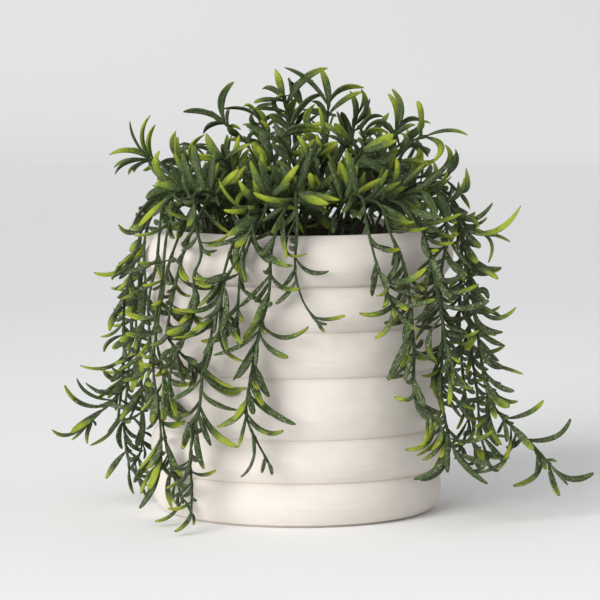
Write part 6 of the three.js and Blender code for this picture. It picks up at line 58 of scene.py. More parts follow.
# Each strand: name, the centre line of its stem from the soil to the tip, and its leaves.
# A leaf: base x y z, control x y z, tip x y z, width, thickness, direction of its width x y z, shade 0 dark .. 1 yellow-green.
STRANDS = [
  ["trailing_stem_01", [[-46,-4,135.71], [-46.57,-3.79,144.3], [-49,-3.01,149.79], [-51.4,-2.36,152.98], [-54.42,-1.72,155.59], [-58.12,-1.29,157.1], [-60.13,-1.27,157.09], [-62,-1.46,156.39], [-66.24,-2.71,152.33], [-69.98,-5.61,148.02], [-70.91,-7.45,146.45], [-72.32,-12.91,143.25], [-73.53,-24.71,138.48], [-73.81,-26.47,136.69], [-74.17,-28.95,131.04], [-73.92,-29.9,123.32], [-73.57,-31.3,117.58], [-73.42,-31.72,111.76], [-73.58,-31.37,107.82], [-75.24,-27.2,91.79], [-77.88,-19.89,79.4], [-78.85,-18.26,75.36], [-79.89,-17.63,71.45], [-82.12,-18.1,66.01], [-86.53,-19.39,59.65], [-101.93,-22,44.83]], [
    [-93.05,-20.38,53.4,-108.31,-20.38,50.62,-113.95,-20.38,63.42,4,2.17,0.15,0.93,0.32,0.44],
    [-94.44,-20.6,52.35,-102.84,-16.88,46,-110.69,-16.55,40.63,4,2.17,-0.45,-0.82,0.35,0.54],
    [-101.93,-22,44.83,-113.73,-19.7,34.38,-119.84,-25.22,42.05,2.87,1.56,-0.23,-0.64,0.73,0.42],
    [-101.93,-22,44.83,-107.1,-24.58,39.5,-110.69,-20.53,36.22,2.34,1.52,-0.34,-0.93,0.18,0.53],
    [-100.77,-21.77,46.07,-102.91,-23.12,40.65,-102.88,-19.08,34.14,4,2.3,0.13,0.12,0.98,0.51],
    [-101,-21.81,45.83,-99.02,-23.1,45.21,-98.7,-22.85,43.46,1.42,1.56,-0.1,-0.94,0.31,0.19],
    [-58.3,-1.29,157.1,-63.53,0.37,162.69,-62.59,2.53,170.15,3.88,2.05,0.02,0.96,-0.27,0.11],
    [-73.01,-18.04,140.98,-69.24,-28.22,139.94,-64.9,-37.26,141.2,3.96,1.95,-0.37,-0.32,0.87,0.18],
    [-79.71,-17.7,72.11,-85.68,-13.14,66.14,-91.37,-6.85,70.63,4.26,2.05,0.66,0.67,-0.34,0.12],
    [-73.49,-31.52,115.66,-74.27,-38.2,109.44,-75.45,-46.54,105.83,4.31,2.05,-0.99,0.03,0.16,0.13],
    [-75.12,-27.53,92.72,-74.7,-18.71,89.38,-73.86,-9.39,88.09,3.97,2.05,1,-0.07,0,0.05],
    [-74.11,-30.13,102.33,-75.85,-25.08,97.73,-78.01,-18.37,97.78,3.75,2.05,0.95,0.22,-0.23,0.25],
    [-74.64,-28.8,97.02,-76.04,-32.91,91.48,-76.81,-39.66,92.16,4.07,2.05,-0.96,0.25,-0.1,0.36],
    [-73.72,-31.06,106.21,-75.29,-35.03,101.06,-76.55,-41.48,102.3,3.62,2.05,-0.89,0.35,-0.28,0.34],
    [-81.02,-17.76,68.33,-85.09,-24.5,65.28,-88.78,-32.01,64.12,4.82,2.05,-0.89,0.45,0.1,0.08],
    [-88.88,-19.76,57,-95.55,-15.79,51.09,-96.55,-6.13,52.07,5.11,2.05,0.88,0.43,-0.18,0.21],
    [-65.67,-2.51,152.91,-70.19,-6.98,148.91,-69.46,-14.08,151.25,3.82,2.05,-0.59,0.08,0.81,0.2],
    [-85.64,-19.2,60.77,-92.41,-22.89,60.16,-98.9,-26.92,61.33,5.32,2.05,-0.5,0.86,0.09,0.07],
    [-98.53,-21.33,48.44,-104.55,-25.11,44.3,-110.47,-29.78,41.02,3.93,2.05,-0.67,0.68,0.3,0.83],
    [-78.6,-18.61,76.36,-78.78,-24.51,68.94,-76.85,-32.67,70.42,4.19,2.05,-0.67,0.29,-0.69,0.31],
    [-83.32,-18.53,63.97,-88.17,-24.14,58.97,-88.73,-32.02,63.13,3.42,2.05,-0.93,0.37,0.04,0.26],
    [-75.94,-25.21,87.81,-77.4,-17.29,86.59,-78.71,-9.27,86.94,4,2.05,0.97,0.18,0.15,0.25],
    [-77.55,-20.67,80.79,-79.84,-14.11,77.63,-81.8,-7.43,80.76,3.86,2.05,0.9,0.29,-0.33,0.25],
    [-73.43,-31.69,111.16,-75.08,-26.21,106.01,-77.25,-18.84,106.3,3.78,2.05,0.96,0.28,0,0.02],
    [-89.87,-19.91,56.01,-104.82,-17.99,56.69,-107.8,-20.2,66.86,3.55,1.78,0.3,-0.83,0.47,0.05],
    [-80.52,-17.64,69.56,-86.95,-19.61,63.31,-92.82,-17.29,56.6,4,1.97,-0.27,0.92,0.28,0.47],
    [-54.2,-1.77,155.42,-53.34,1.75,165.41,-48.92,5.15,174.47,3.91,1.95,-0.1,0.94,-0.32,0.57],
    [-63.29,-1.76,155.36,-58.79,-2.22,145.77,-50.87,-1.87,138.73,3.81,1.95,-0.67,-0.55,-0.5,0.48],
    [-74.95,-28.01,94.13,-80.37,-30.47,89.25,-86.41,-34.25,86.33,4.39,1.95,-0.66,0.48,0.58,0.43],
    [-74.2,-29.28,128.43,-81.89,-29.47,122.05,-90.49,-29.48,116.94,4.72,1.95,-0.12,0.98,0.15,0.15],
    [-74.03,-27.87,134.23,-80.28,-31.01,128.1,-87.39,-33.82,122.8,3.75,1.95,-0.14,0.94,-0.32,0.59],
    [-51.94,-2.23,153.51,-63.35,-4.13,154.83,-74.7,-6.69,154.65,3.93,1.95,0.19,-0.98,-0.05,0.05],
    [-50,-2.72,151.27,-45.26,-1.68,157.65,-37.54,-1.49,159.81,4.62,1.95,-0.03,0.99,-0.1,0.05],
    [-48.17,-3.26,148.33,-49.68,-4.34,159.01,-49.7,-6.45,169.65,3.77,1.95,0.28,0.95,0.16,0.04],
    [-77.96,-19.74,79.07,-83.42,-19.72,75.61,-89.54,-21,73.97,4.23,1.95,-0.18,0.97,0.18,0.49],
    [-67.66,-3.42,150.86,-61.93,-5.4,143.39,-54.18,-6.29,137.75,4.13,1.95,0.21,-0.89,0.41,0.41],
    [-75.39,-26.8,90.88,-81.63,-27.59,86.21,-88.54,-29.56,83.09,3.45,1.95,-0.48,0.65,0.58,0.13],
    [-73.47,-31.6,109.66,-70.53,-33.69,103.29,-67.08,-36.21,97.35,4.73,1.95,-0.74,-0.65,-0.14,0.08]]],
  ["trailing_stem_02", [[-44,-14,135.71], [-44.46,-14.39,144.17], [-46.57,-16.01,149.39], [-48.69,-17.48,152.33], [-51.37,-19.1,154.7], [-56.43,-21.42,156.45], [-60.11,-22.27,155.55], [-67.86,-22.33,149.54], [-72.12,-22.49,145.49], [-75.33,-22.56,140.56], [-79.13,-20.63,125.11], [-84.13,-19.15,105.85], [-84.99,-17.36,77.92], [-85.89,-16.05,63.86], [-88.03,-16,46.02]], [
    [-75.43,-22.54,140.32,-82.39,-23.49,135.38,-86.92,-22.14,142.51,3.55,1.78,-0.35,-0.81,-0.47,0.47],
    [-78.08,-21.15,129.86,-86.42,-23.69,123.82,-90.26,-21.99,115.3,3.55,1.78,-0.31,-0.9,0.31,0.53],
    [-79.31,-20.57,124.44,-88.59,-18.84,115.42,-99.15,-20.23,118.83,4,2.17,-0.16,-0.84,0.52,0.92],
    [-79.49,-20.5,123.75,-76.79,-26.34,128.47,-73.73,-26.37,132.4,3.62,2.17,0.52,-0.64,-0.57,0.84],
    [-80.23,-20.25,121.09,-82.58,-17.04,119.51,-87.03,-18.36,115.48,3.16,1.6,0.83,-0.39,-0.41,0.11],
    [-82.05,-19.75,114.95,-82.63,-14.61,107.82,-86.05,-10.76,102.43,4,2.3,-0.66,-0.69,-0.28,0.13],
    [-84.5,-18.93,102.23,-91.27,-22.07,97.87,-91.8,-19.02,89.92,4,1.97,0.72,-0.11,-0.69,0.56],
    [-84.74,-18.52,95.3,-88.74,-18.58,87.54,-96.27,-18.29,87.13,3.16,1.6,-0.21,0.93,0.32,0.53],
    [-84.75,-18.03,87.35,-87.04,-14.68,82.67,-90.64,-14.42,80.78,4.42,2.3,-0.77,-0.46,0.44,0.55],
    [-84.98,-17.39,78.39,-90.68,-17.32,68.11,-106.56,-17.08,72.82,3.55,1.78,-0.55,-0.7,0.45,0.53],
    [-85.53,-16.5,68.4,-90.68,-14.42,63.44,-94.74,-16.84,69.92,4,2.3,0.14,-0.74,0.66,0.14],
    [-85.72,-16.24,65.87,-92.78,-15.29,59.83,-98.24,-17.21,56.1,4,1.97,-0.25,-0.88,0.41,0.54],
    [-86.29,-15.91,59.39,-95.94,-12.8,55.83,-104.22,-12.52,63.69,2.61,1.46,0.45,-0.47,0.76,0.05],
    [-86.02,-15.97,62.35,-89.58,-12.03,56.3,-89.18,-10.71,49.44,4,2.3,0.19,-0.87,-0.46,0.47],
    [-87.95,-16,46.5,-90.08,-16,37.45,-101.9,-16,32.85,3.16,1.6,-0.26,0.93,0.27,0.52],
    [-84.73,-18.33,92.21,-84.23,-13.7,87.74,-83.56,-7.86,88.33,4.48,2.05,0.96,0.24,0.17,0.25],
    [-83.16,-19.48,111.03,-85.32,-25.59,106.75,-86.27,-33.17,108.11,4.48,2.05,-0.98,0.21,0.07,0.22],
    [-87.42,-16,49.97,-84.77,-23.04,44.38,-81.01,-26.54,46.29,2.64,1.7,-0.43,0.4,-0.81,0.42],
    [-84.72,-18.66,97.69,-87.65,-10.52,93.49,-90.9,-1.52,94.55,3.76,2.05,0.65,0.36,0.67,0.25],
    [-85.19,-17.01,73.78,-87.61,-22.15,67.82,-90.53,-29.73,66.46,3.84,2.05,-0.92,0.18,0.36,0.09],
    [-60.46,-22.29,155.33,-61.1,-26.82,147.37,-55.22,-28.36,143.88,4.71,2.05,-0.45,-0.89,0.01,0.14],
    [-84.85,-17.72,82.74,-84.29,-20.98,77.33,-83.2,-27.28,78.68,4.26,2.05,-0.31,0.17,-0.93,0.15],
    [-74,-22.6,142.93,-78.98,-16.04,139.63,-82.29,-7.86,140.07,4.09,2.05,0.83,-0.3,-0.47,0.9],
    [-84.75,-18.06,87.82,-94.3,-14.53,84.76,-94.67,-17.06,79.34,4,1.97,-0.35,-0.88,0.31,0.49],
    [-83.68,-19.32,108.6,-86.61,-21.23,102.84,-90.2,-24.19,97.97,4.45,1.95,-0.6,0.8,0,0.13],
    [-47.64,-16.77,151.02,-46.57,-19.81,162.26,-38.9,-20.27,171.09,4.93,1.95,0,0.99,0.17,0.56],
    [-45.95,-15.55,148.21,-53.73,-18.4,152.54,-62.77,-20.6,153.33,3.85,1.95,0.27,-0.96,-0.06,0.92],
    [-51.55,-19.2,154.8,-61.25,-16.85,158.29,-70.67,-12.96,161.12,3.5,1.95,-0.42,-0.66,-0.63,0.54],
    [-86.66,-15.95,55.91,-80.51,-16.2,51.14,-72.79,-16.43,50.16,4.44,1.95,-0.16,-0.93,-0.32,0.14],
    [-54.89,-20.82,156.23,-64.48,-20.88,163.19,-72.6,-18.93,171.6,4.15,1.95,-0.49,0.59,-0.64,0.41],
    [-81.23,-19.97,117.73,-81.19,-21.38,111.9,-79.8,-24.07,106.73,4.34,1.95,-0.8,-0.59,0.12,0.56],
    [-49.45,-17.95,153.08,-49.02,-16.55,162.62,-45.35,-12.92,170.78,3.81,1.95,-0.51,0.85,-0.12,0.42]]],
  ["trailing_stem_03", [[-44,16,135.59], [-44.1,16.12,142.23], [-45.36,17.47,148.06], [-49.01,20.72,154.58], [-53.26,23.53,157.95], [-56.88,25.12,158.9], [-60.8,25.95,158.28], [-69.58,25.68,153.43], [-72.17,25.52,150.41], [-74.66,25.3,142.82], [-75.61,25.83,128.74], [-77.01,24.28,116.89], [-81.93,23.32,97.44], [-83.35,22.92,87.5], [-85.14,21.78,59.39], [-87.12,20.97,39.35], [-84.4,20,15.32]], [
    [-80.37,23.57,103.28,-83.71,20.24,106.46,-93.43,23.51,107.22,3.16,1.6,0.15,-0.86,0.49,0.56],
    [-82.05,23.3,96.85,-88.88,25.4,93.65,-92.14,21.87,97.02,3.16,1.6,0.13,-0.85,0.51,0.57],
    [-87.11,20.96,39.09,-84.55,23.24,31.14,-79.38,21.4,32.02,3.68,1.87,0.05,0.56,-0.82,0.09],
    [-87.09,21.02,40.61,-91.82,18.59,33.11,-87.83,17.6,26.39,4.07,2.18,-0.79,-0.57,0.24,0.17],
    [-86.62,20.66,31.46,-83.04,19.14,26.91,-77.77,24.56,24.33,4,1.97,0.46,-0.78,0.43,0.12],
    [-85.69,20.39,24.92,-92.45,20.39,18.83,-96.31,20.39,10.67,4.42,2.3,-0.66,0.56,0.49,0.46],
    [-85.75,20.41,25.34,-81.39,23.2,21.59,-78.04,21.96,18.3,3.16,1.6,-0.28,0.95,-0.13,0.57],
    [-84.46,20.02,15.81,-84.87,17.08,9.39,-82.21,20.35,3.03,3.55,1.78,-0.35,-0.93,-0.09,0.42],
    [-83.84,22.69,81.87,-85.8,28.3,75.19,-87.55,36.6,77.99,4.22,2.05,0.97,0.24,-0.06,0.04],
    [-86.14,21.4,50.02,-85.47,25.6,43.14,-83.21,32.97,45.28,3.43,2.05,0.75,-0.15,0.65,0.25],
    [-53.55,23.68,158.06,-54.03,31.23,157.81,-53,38.85,157.34,4.25,2.05,0.2,-0.79,-0.58,0.25],
    [-85.59,21.61,54.98,-84.05,29.12,50.04,-81.85,37.81,48.34,3.75,2.05,0.98,-0.18,0.11,0.25],
    [-76.15,24.87,122.44,-80.82,24.49,114.99,-87.48,24.67,109.25,4.11,2.05,0.48,0.77,-0.42,0.56],
    [-65.82,25.85,155.69,-71.25,29.95,154.45,-70.19,36.13,157.36,3.77,2.05,0.3,0.27,-0.91,0.25],
    [-84.37,22.37,73.9,-84,26.13,67.81,-82.66,32.98,69.43,3.27,2.05,0.97,-0.05,0.26,0.1],
    [-70.01,25.65,153.02,-74.85,20.06,150.77,-73.91,13.24,154.27,3.42,2.05,-0.7,0.29,0.65,0.14],
    [-57.61,25.33,158.87,-62.46,30.04,159.76,-60.66,36.04,161.84,4.52,2.05,0.44,0.02,-0.9,0.2],
    [-78.92,23.81,108.79,-81.88,16.69,104.43,-82.26,10.91,111.7,3.45,2.05,-0.95,0.28,0.16,0.12],
    [-61.4,25.97,158.01,-68.56,18.83,157.79,-69.08,9.33,161.17,4.57,2.05,-0.36,0.33,0.87,0.28],
    [-82.89,23.09,91.8,-87.97,24.75,88.11,-94.01,27.1,88.05,5.35,2.05,0.34,0.94,0,0.83],
    [-47.68,19.63,152.77,-51.86,17.43,158.53,-55.84,14.13,163.89,4.35,2.05,0.84,-0.24,0.5,0.47],
    [-85.14,21.79,59.45,-84.4,28.77,53.75,-83.14,38.45,53.92,3.74,2.05,-0.01,-0.88,-0.47,0.25],
    [-87,20.84,36.1,-85.09,15.81,29.24,-82.68,7.81,31.72,3.43,2.05,-0.94,-0.34,0.07,0.17],
    [-85.37,20.3,22.74,-83.13,13.95,19.65,-81.86,7.83,23.64,4.16,2.05,-0.71,-0.25,-0.66,0.12],
    [-86.74,21.2,45.07,-90.31,15.75,39.68,-94.3,9.3,35.93,4.45,2.05,-0.8,0.59,-0.11,0.17],
    [-49.31,20.95,154.89,-59.38,21.25,159.95,-69.93,18.37,162.64,4.83,1.95,0.36,-0.07,0.93,0.81],
    [-73.4,25.41,147.58,-78.98,25.51,141.23,-85.25,25.72,135.55,4.34,1.95,0.3,0.92,-0.27,0.52],
    [-45.43,17.54,148.23,-40.74,16.52,157.21,-34.51,14.47,165,3.45,1.95,0.52,0.83,-0.19,0.08],
    [-68,25.75,154.49,-71.88,16.47,154.38,-72.12,6.67,156.68,2.96,1.95,-0.63,0.22,0.74,0.12],
    [-78.16,23.95,111.68,-76.9,25.22,104.69,-72.9,27.85,99.29,4.61,1.95,0.75,-0.65,0.11,0.45],
    [-75.57,25.8,129.83,-79.51,20.05,124.08,-83.92,13.41,119.82,3.45,1.95,-0.88,0.31,0.36,0.17],
    [-86.27,20.54,28.66,-85.05,23.35,23.44,-84.29,29.26,24.45,3.48,1.95,0.97,-0.24,-0.05,0.25],
    [-84.68,22.13,67.92,-91.5,26.45,62.45,-99.21,31.93,64.83,4.42,1.95,0.58,0.78,-0.25,0.94],
    [-84.82,21.99,64.43,-89.96,23.26,59.95,-95.56,24.69,56.1,4.87,1.95,0.28,0.96,-0.05,0.79],
    [-77.37,24.15,115.08,-83.93,20.64,109.42,-91.82,16.18,107.08,4.14,1.95,-0.59,0.73,0.34,0.19],
    [-83.27,22.95,88.33,-79.73,21.74,82.44,-73.12,20.08,80.98,4.84,1.95,-0.25,-0.97,0.03,0.42],
    [-75.68,25.58,127.35,-74.02,27.53,117.9,-71.5,30.95,109.06,4.43,1.95,0.62,-0.78,-0.09,0.4],
    [-84.78,20.12,18.28,-80.14,23.11,9.63,-72.99,30.2,11.63,3.67,1.95,0.7,-0.67,0.23,0.12],
    [-75.12,25.35,137.79,-81.71,20.17,133.67,-87.92,14.59,137.85,4.83,1.95,-0.64,0.76,-0.14,0.12],
    [-80.99,23.48,101.08,-84.67,21.23,95.94,-89.17,17.98,92.16,3.9,1.95,-0.66,0.74,0.15,0.84]]],
  ["trailing_stem_04", [[-50,6,134.86], [-50.18,6.19,143.35], [-51.53,7.3,150.93], [-53.88,8.57,156.1], [-56.87,9.52,158.26], [-60.54,10,157.4], [-72.23,10.64,149.68], [-75.43,11.28,144.59], [-77.34,12.66,138.77], [-78.24,14.72,132.65], [-78.43,14.81,130.64], [-78.76,13.82,122.69], [-78.79,13.89,112.63], [-79.01,13.38,108.66], [-79.96,12.84,100.72], [-80.39,13.02,90.64], [-79.41,14.04,78.47], [-78,18.17,59.87], [-77.49,19.89,35.26], [-77.62,19.4,31.26], [-79.18,17.04,23.64], [-83.43,16,16.92]], [
    [-80.38,12.91,93.63,-82.87,16.82,89.44,-90.02,15.35,94.89,3.16,1.6,-0.14,-0.83,0.55,0.07],
    [-77.49,19.89,35.18,-74.68,19.05,33.79,-72.96,19.59,32.14,2.1,1.56,0.2,0.98,0.1,0.14],
    [-77.67,19.18,30.67,-74.47,21.15,26.87,-71.46,19.36,25.58,3.16,1.6,0.2,0.18,-0.96,0.16],
    [-77.81,18.66,29.22,-75.73,18.28,23.25,-76.88,11.25,22.5,2.05,1.46,0.3,0.84,-0.46,0.07],
    [-78.52,17.58,25.74,-79.15,20.73,22.17,-83.16,18.14,20.28,2.17,1.23,-0.63,0.34,0.7,0.2],
    [-78.07,17.64,62.84,-79.67,23.99,55.41,-83.22,32.47,59.07,3.75,2.05,0.85,0.39,0.36,0.08],
    [-80.01,13.34,84.78,-80.62,10.71,76.06,-84,2.54,73.77,3.87,2.05,-0.76,0.58,-0.3,0.89],
    [-78.63,15.52,71.56,-80.06,12.62,63.51,-82.59,7.3,57.14,4.23,2.05,-0.95,0.31,0.08,0.86],
    [-54.45,8.78,156.7,-56.71,5.39,161.76,-58.37,1.26,166.5,5.16,2.05,0.93,-0.34,0.11,0.53],
    [-79.68,12.96,103.72,-82.7,9.83,99.14,-86.55,5.22,101.1,5.27,2.05,-0.76,0.62,0.17,0.03],
    [-72.89,10.72,148.88,-77.14,4.8,146.78,-77.81,-2.32,149.3,4.44,2.05,-0.6,0.25,0.76,0.19],
    [-77.92,18.84,53.94,-76.78,26.76,48.75,-75.53,35.42,52.41,4.4,2.05,0.25,-0.83,0.5,0.25],
    [-79.78,16.75,22.23,-78.3,19.06,14.34,-71.9,24.08,12.44,4.23,2.05,0.29,-0.86,-0.42,0.84],
    [-78.58,14.48,128.05,-82.45,9.65,121.9,-88.34,3.21,121.51,5.09,2.05,-0.75,0.66,-0.03,0.03],
    [-78.82,13.74,118.6,-79.84,10.88,112.67,-81.98,4.68,113.83,4.54,2.05,-0.95,0.28,0.09,0.41],
    [-77.97,18.44,57.91,-79.81,12.81,53.68,-81.9,5.98,55.09,4.51,2.05,-0.93,0.33,-0.16,0.28],
    [-58.33,9.77,158.21,-67.17,7.51,161.76,-66.47,1.66,169.59,4.24,2.05,-0.05,0.83,0.55,0.54],
    [-75.2,11.2,145.08,-78.9,6.79,142.47,-79.17,2.09,146.68,3.5,2.05,-0.77,0.42,0.48,0.08],
    [-82.52,16.12,18.11,-80.75,17.01,11.56,-75.28,18.58,7.75,4.71,2.05,0.25,-0.97,-0.06,0.03],
    [-79.63,13.71,80.82,-75.76,22.11,76.31,-72.25,30.33,76.92,4.65,2.05,0.36,-0.57,0.74,0.1],
    [-69.97,10.47,151.58,-76.08,16.96,147.57,-76.1,26.86,148.3,4.41,2.05,0.99,-0.11,0.01,0.18],
    [-78.29,16.52,67.71,-76.87,23.23,65.19,-75.42,30.35,65.97,3.42,2.05,0.89,-0.13,0.43,0.03],
    [-78.66,14.18,126.08,-83.98,11.47,120.83,-89.76,8.64,116.17,3.48,1.95,-0.1,0.91,-0.4,0.52],
    [-81.31,16.32,19.69,-79.41,14.32,10.25,-74.56,12.3,1.93,3.73,1.95,-0.02,-0.98,0.21,0.1],
    [-61.05,10.02,157.08,-69.37,13.22,164.47,-75.34,16.43,173.85,3.64,1.95,0.39,0.92,-0.02,0.08],
    [-78.81,13.79,116.61,-84.06,14.04,111.4,-90.01,14.26,107.01,4.92,1.95,-0.24,0.92,0.32,0.6],
    [-51.59,7.34,151.12,-59.77,6.83,149.65,-67.73,6.15,147.31,4.83,1.95,0.1,-0.99,-0.13,0.94],
    [-52.82,8.06,154.31,-60.64,6.69,156.02,-68.41,4.4,155.34,3.48,1.95,0.19,-0.6,0.77,0.47],
    [-50.79,6.74,147.77,-46.97,6.79,158,-41.65,6.36,167.53,3.73,1.95,0.28,0.95,-0.11,0.5],
    [-65.77,10.25,154.27,-72.18,7.74,147.7,-77.15,3.8,140.62,4.45,1.95,-0.44,-0.62,0.66,0.47],
    [-77.94,19.38,45.46,-83.93,23.32,39.42,-91.93,28.13,40.24,4.68,1.95,0.54,0.84,-0.02,0.14],
    [-77.64,19.73,38.98,-78.52,14.7,33.27,-79.8,8.46,29.01,4.66,1.95,-0.98,0.22,-0.04,0.15],
    [-77.89,18.98,51.94,-74.02,20.78,47.2,-69.21,22.86,43.59,4.52,1.95,0.11,-0.94,-0.32,0.59],
    [-79.92,12.85,101.24,-83.49,11.42,96.16,-89.25,9.04,94.89,4.74,1.95,-0.44,0.89,0.11,0.85],
    [-80.25,12.83,96.75,-77.09,17.08,92.06,-73.29,21.99,88.67,4.59,1.95,0.83,-0.17,0.53,0.47],
    [-77.88,19.2,48.45,-77.6,15.89,40.15,-77.2,11.34,32.46,3.81,1.95,-1,0.05,-0.07,0.15],
    [-78.2,14.6,132.99,-80.92,19.84,128.75,-83.9,25.53,125.35,4.48,1.95,0.82,0.03,-0.57,0.9],
    [-79.34,14.14,77.87,-78.09,9.73,69.01,-76.98,1.85,63,4.39,1.95,-0.99,-0.16,-0.03,0.93],
    [-79.27,13.17,106.68,-81.81,8.88,103.33,-84.6,3.67,102.21,4.05,1.95,-0.89,0.43,0.16,0.06],
    [-78.47,14.74,130.03,-78.74,8.72,124.33,-78.65,0.52,123.13,2.98,1.95,-0.96,-0.12,0.26,0.34],
    [-80.19,13.21,86.77,-82.53,14.25,81.34,-85.47,15.41,76.23,4.14,1.95,0.29,0.96,0.06,0.49]]],
  ["trailing_stem_05", [[-41,-29.02,134.89], [-41.08,-29.17,141.46], [-41.62,-30.13,145.25], [-43.16,-32.73,150.33], [-45.38,-36.15,154.63], [-48.23,-40.03,158.08], [-51.87,-44.07,160.39], [-54.92,-46.52,160.73], [-58.26,-47.92,159.35], [-63.58,-47.59,153.76], [-64.75,-47.31,150.13], [-67.49,-45.52,125.22], [-70.51,-44.55,112.01], [-71.58,-43.86,102.37], [-70.6,-42.48,82.98], [-71.1,-41.93,75.2], [-73.55,-41.24,65.75], [-80.84,-40,49.68]], [
    [-67.23,-45.65,127.07,-71.7,-46.23,123.49,-83.03,-46.7,120.88,4,2.17,-0.21,0.9,0.38,0.1],
    [-69.82,-44.79,115.31,-74.38,-45.75,111.89,-85.07,-45.68,108.22,4,2.17,-0.19,-0.84,0.51,0.47],
    [-74.43,-41.07,63.5,-80.34,-44.37,56.59,-85.58,-42.11,48.98,4.42,2.3,-0.67,-0.5,0.55,0.49],
    [-70.95,-42.01,76.34,-75.14,-40.55,68.28,-83.98,-43,68.61,3.79,1.9,-0.24,0.93,0.28,0.43],
    [-70.96,-42.95,89.5,-71.22,-38.7,85.42,-78.25,-40.51,79.03,4,1.97,-0.46,-0.88,0.12,0.94],
    [-71.28,-44.1,105.65,-69.06,-42.48,102.09,-63.95,-44.27,104.7,3.22,2.3,-0.38,-0.59,-0.72,0.87],
    [-80.38,-40.08,50.68,-76.71,-37.49,47.42,-75.13,-38.72,43.97,2.56,1.4,0.42,0.91,0.03,0.04],
    [-63.35,-47.61,154.07,-60.8,-53.17,147.96,-53.91,-49.02,148.43,2.82,1.58,0.25,0.11,0.96,0.82],
    [-71.97,-41.61,70.8,-71.92,-43.89,64.82,-69.95,-47.73,60.38,5.19,2.05,-0.77,0.2,0.6,0.11],
    [-45.65,-36.53,155.01,-44.48,-42.42,160.21,-38.91,-47,163.53,4.63,2.05,0.44,0.72,0.53,0.41],
    [-56.89,-47.51,160.14,-59.01,-52.93,157.31,-55.13,-58.05,156.51,4.08,2.05,-0.57,-0.35,0.74,0.14],
    [-76.82,-40.67,58.26,-74.94,-34.81,53.35,-69.96,-28.75,53.9,3.84,2.05,0.86,-0.51,-0.03,0.03],
    [-68.1,-45.26,121.64,-70.84,-40.34,117.27,-72.5,-34.42,116.44,4.84,1.95,0.85,0.35,0.39,0.57],
    [-71.35,-43.2,93.1,-69.65,-35.83,88.25,-69.13,-29.13,94.22,4.43,2.05,0.82,-0.17,0.55,0.1],
    [-71.52,-43.91,103.05,-71.17,-39.51,95.78,-69.02,-31.53,97.79,3.87,2.05,0.98,-0.22,-0.05,0.15],
    [-73.28,-41.3,66.51,-71.74,-39.15,59.51,-69.96,-36.89,52.03,5.07,2.05,-0.54,-0.15,0.83,0.06],
    [-64.79,-47.29,149.86,-61.94,-45.1,144.06,-56.12,-43.9,142.38,4.79,2.05,-0.66,-0.53,-0.54,0.46],
    [-66.73,-45.94,131.01,-66.05,-48.02,124.26,-64.82,-51.6,118.47,4.24,2.05,-0.8,-0.24,0.55,0.53],
    [-70.68,-42.64,85.15,-69.22,-45.75,78.23,-66.82,-53.04,77.4,4.8,2.05,-0.74,0.2,-0.64,0.05],
    [-44.42,-34.7,152.98,-42.53,-37.88,163.68,-37.49,-38.47,173.78,4.64,1.95,-0.78,0.52,0.35,0.02],
    [-53.55,-45.52,160.73,-61,-46.71,168.27,-67.36,-46.32,176.81,4.45,1.95,-0.1,0.99,-0.04,0.18],
    [-47.29,-38.8,157.12,-54.45,-38.86,163.48,-61.66,-37.89,169.72,4,1.95,-0.65,0.1,-0.75,0.11],
    [-49.17,-41.17,158.87,-54.72,-42.28,168.72,-59.04,-40.57,179.09,3.8,1.95,-0.87,0.23,-0.43,0.46],
    [-70.6,-42.39,81.66,-65.76,-45.69,75.54,-60.45,-49.42,70.1,4.08,1.95,-0.74,-0.62,-0.27,0.54],
    [-78.52,-40.39,54.65,-86.04,-39.51,54.69,-93.19,-38.73,57.05,4.34,1.95,0.17,0.9,0.41,0.13],
    [-72.35,-41.51,69.35,-68.26,-42.38,59.94,-59.51,-44.37,54.89,4.14,1.95,-0.24,-0.97,-0.02,0.42],
    [-43.02,-32.5,149.96,-36.47,-34.86,158.67,-28.54,-36.27,166.39,4.57,1.95,-0.67,0.33,0.67,0.11],
    [-51.03,-43.22,160.01,-59.54,-45.1,162.56,-67.87,-41.75,163.89,4.27,1.95,-0.23,-0.15,-0.96,0.53],
    [-42.17,-31.09,147.45,-36.85,-32.58,153.19,-29.79,-32.86,156.89,4.1,1.95,-0.07,0.96,0.28,0.58],
    [-70.63,-42.53,83.65,-78.08,-46.4,77.91,-86.33,-50.82,73.93,4.08,1.95,-0.56,0.8,0.22,0.46]]],
  ["trailing_stem_06", [[-33.58,-38.76,134.67], [-33.58,-38.76,139.27], [-34.04,-39.45,143.18], [-35.16,-41.1,146.66], [-37.63,-44.63,150.87], [-40.73,-48.79,153.93], [-44.43,-53.25,155.53], [-47.24,-56.06,155.16], [-49.85,-57.8,152.8], [-60.27,-57.7,128.22], [-64.76,-57.51,107.72], [-68.46,-57.03,83.11], [-68.59,-56.78,73.53], [-66.39,-56.49,58.33], [-65.04,-56.19,41.06], [-65.44,-56,29.49]], [
    [-68.81,-56.89,77.99,-69.76,-61.06,76.93,-75.54,-60.57,78.87,3.3,1.87,0.26,-0.66,0.7,0.94],
    [-68.36,-57.05,83.73,-71.8,-58.55,79.18,-74.48,-57.81,83.88,3.07,1.97,-0.11,0.94,0.32,0.9],
    [-64.31,-57.55,109.92,-65.43,-60.55,106.91,-69.49,-59.89,106.7,2.74,1.6,0.81,0.51,-0.3,0.96],
    [-66.53,-56.51,59.59,-55.82,-56.95,61.36,-53.06,-56.63,52.28,4,1.97,-0.16,0.63,-0.76,0.13],
    [-66.37,-56.48,58.08,-66.79,-52.44,48.93,-72.4,-54.77,46.3,3.55,1.78,-0.45,-0.88,0.1,0.2],
    [-65.05,-56.2,41.17,-66.19,-59.09,32.36,-72.34,-58.31,27.35,4.42,2.3,-0.83,0.51,0.24,0.43],
    [-65.2,-56.05,32.39,-74.17,-53.05,29.34,-78.07,-55.64,20.37,4.42,2.3,-0.6,-0.47,0.65,0.19],
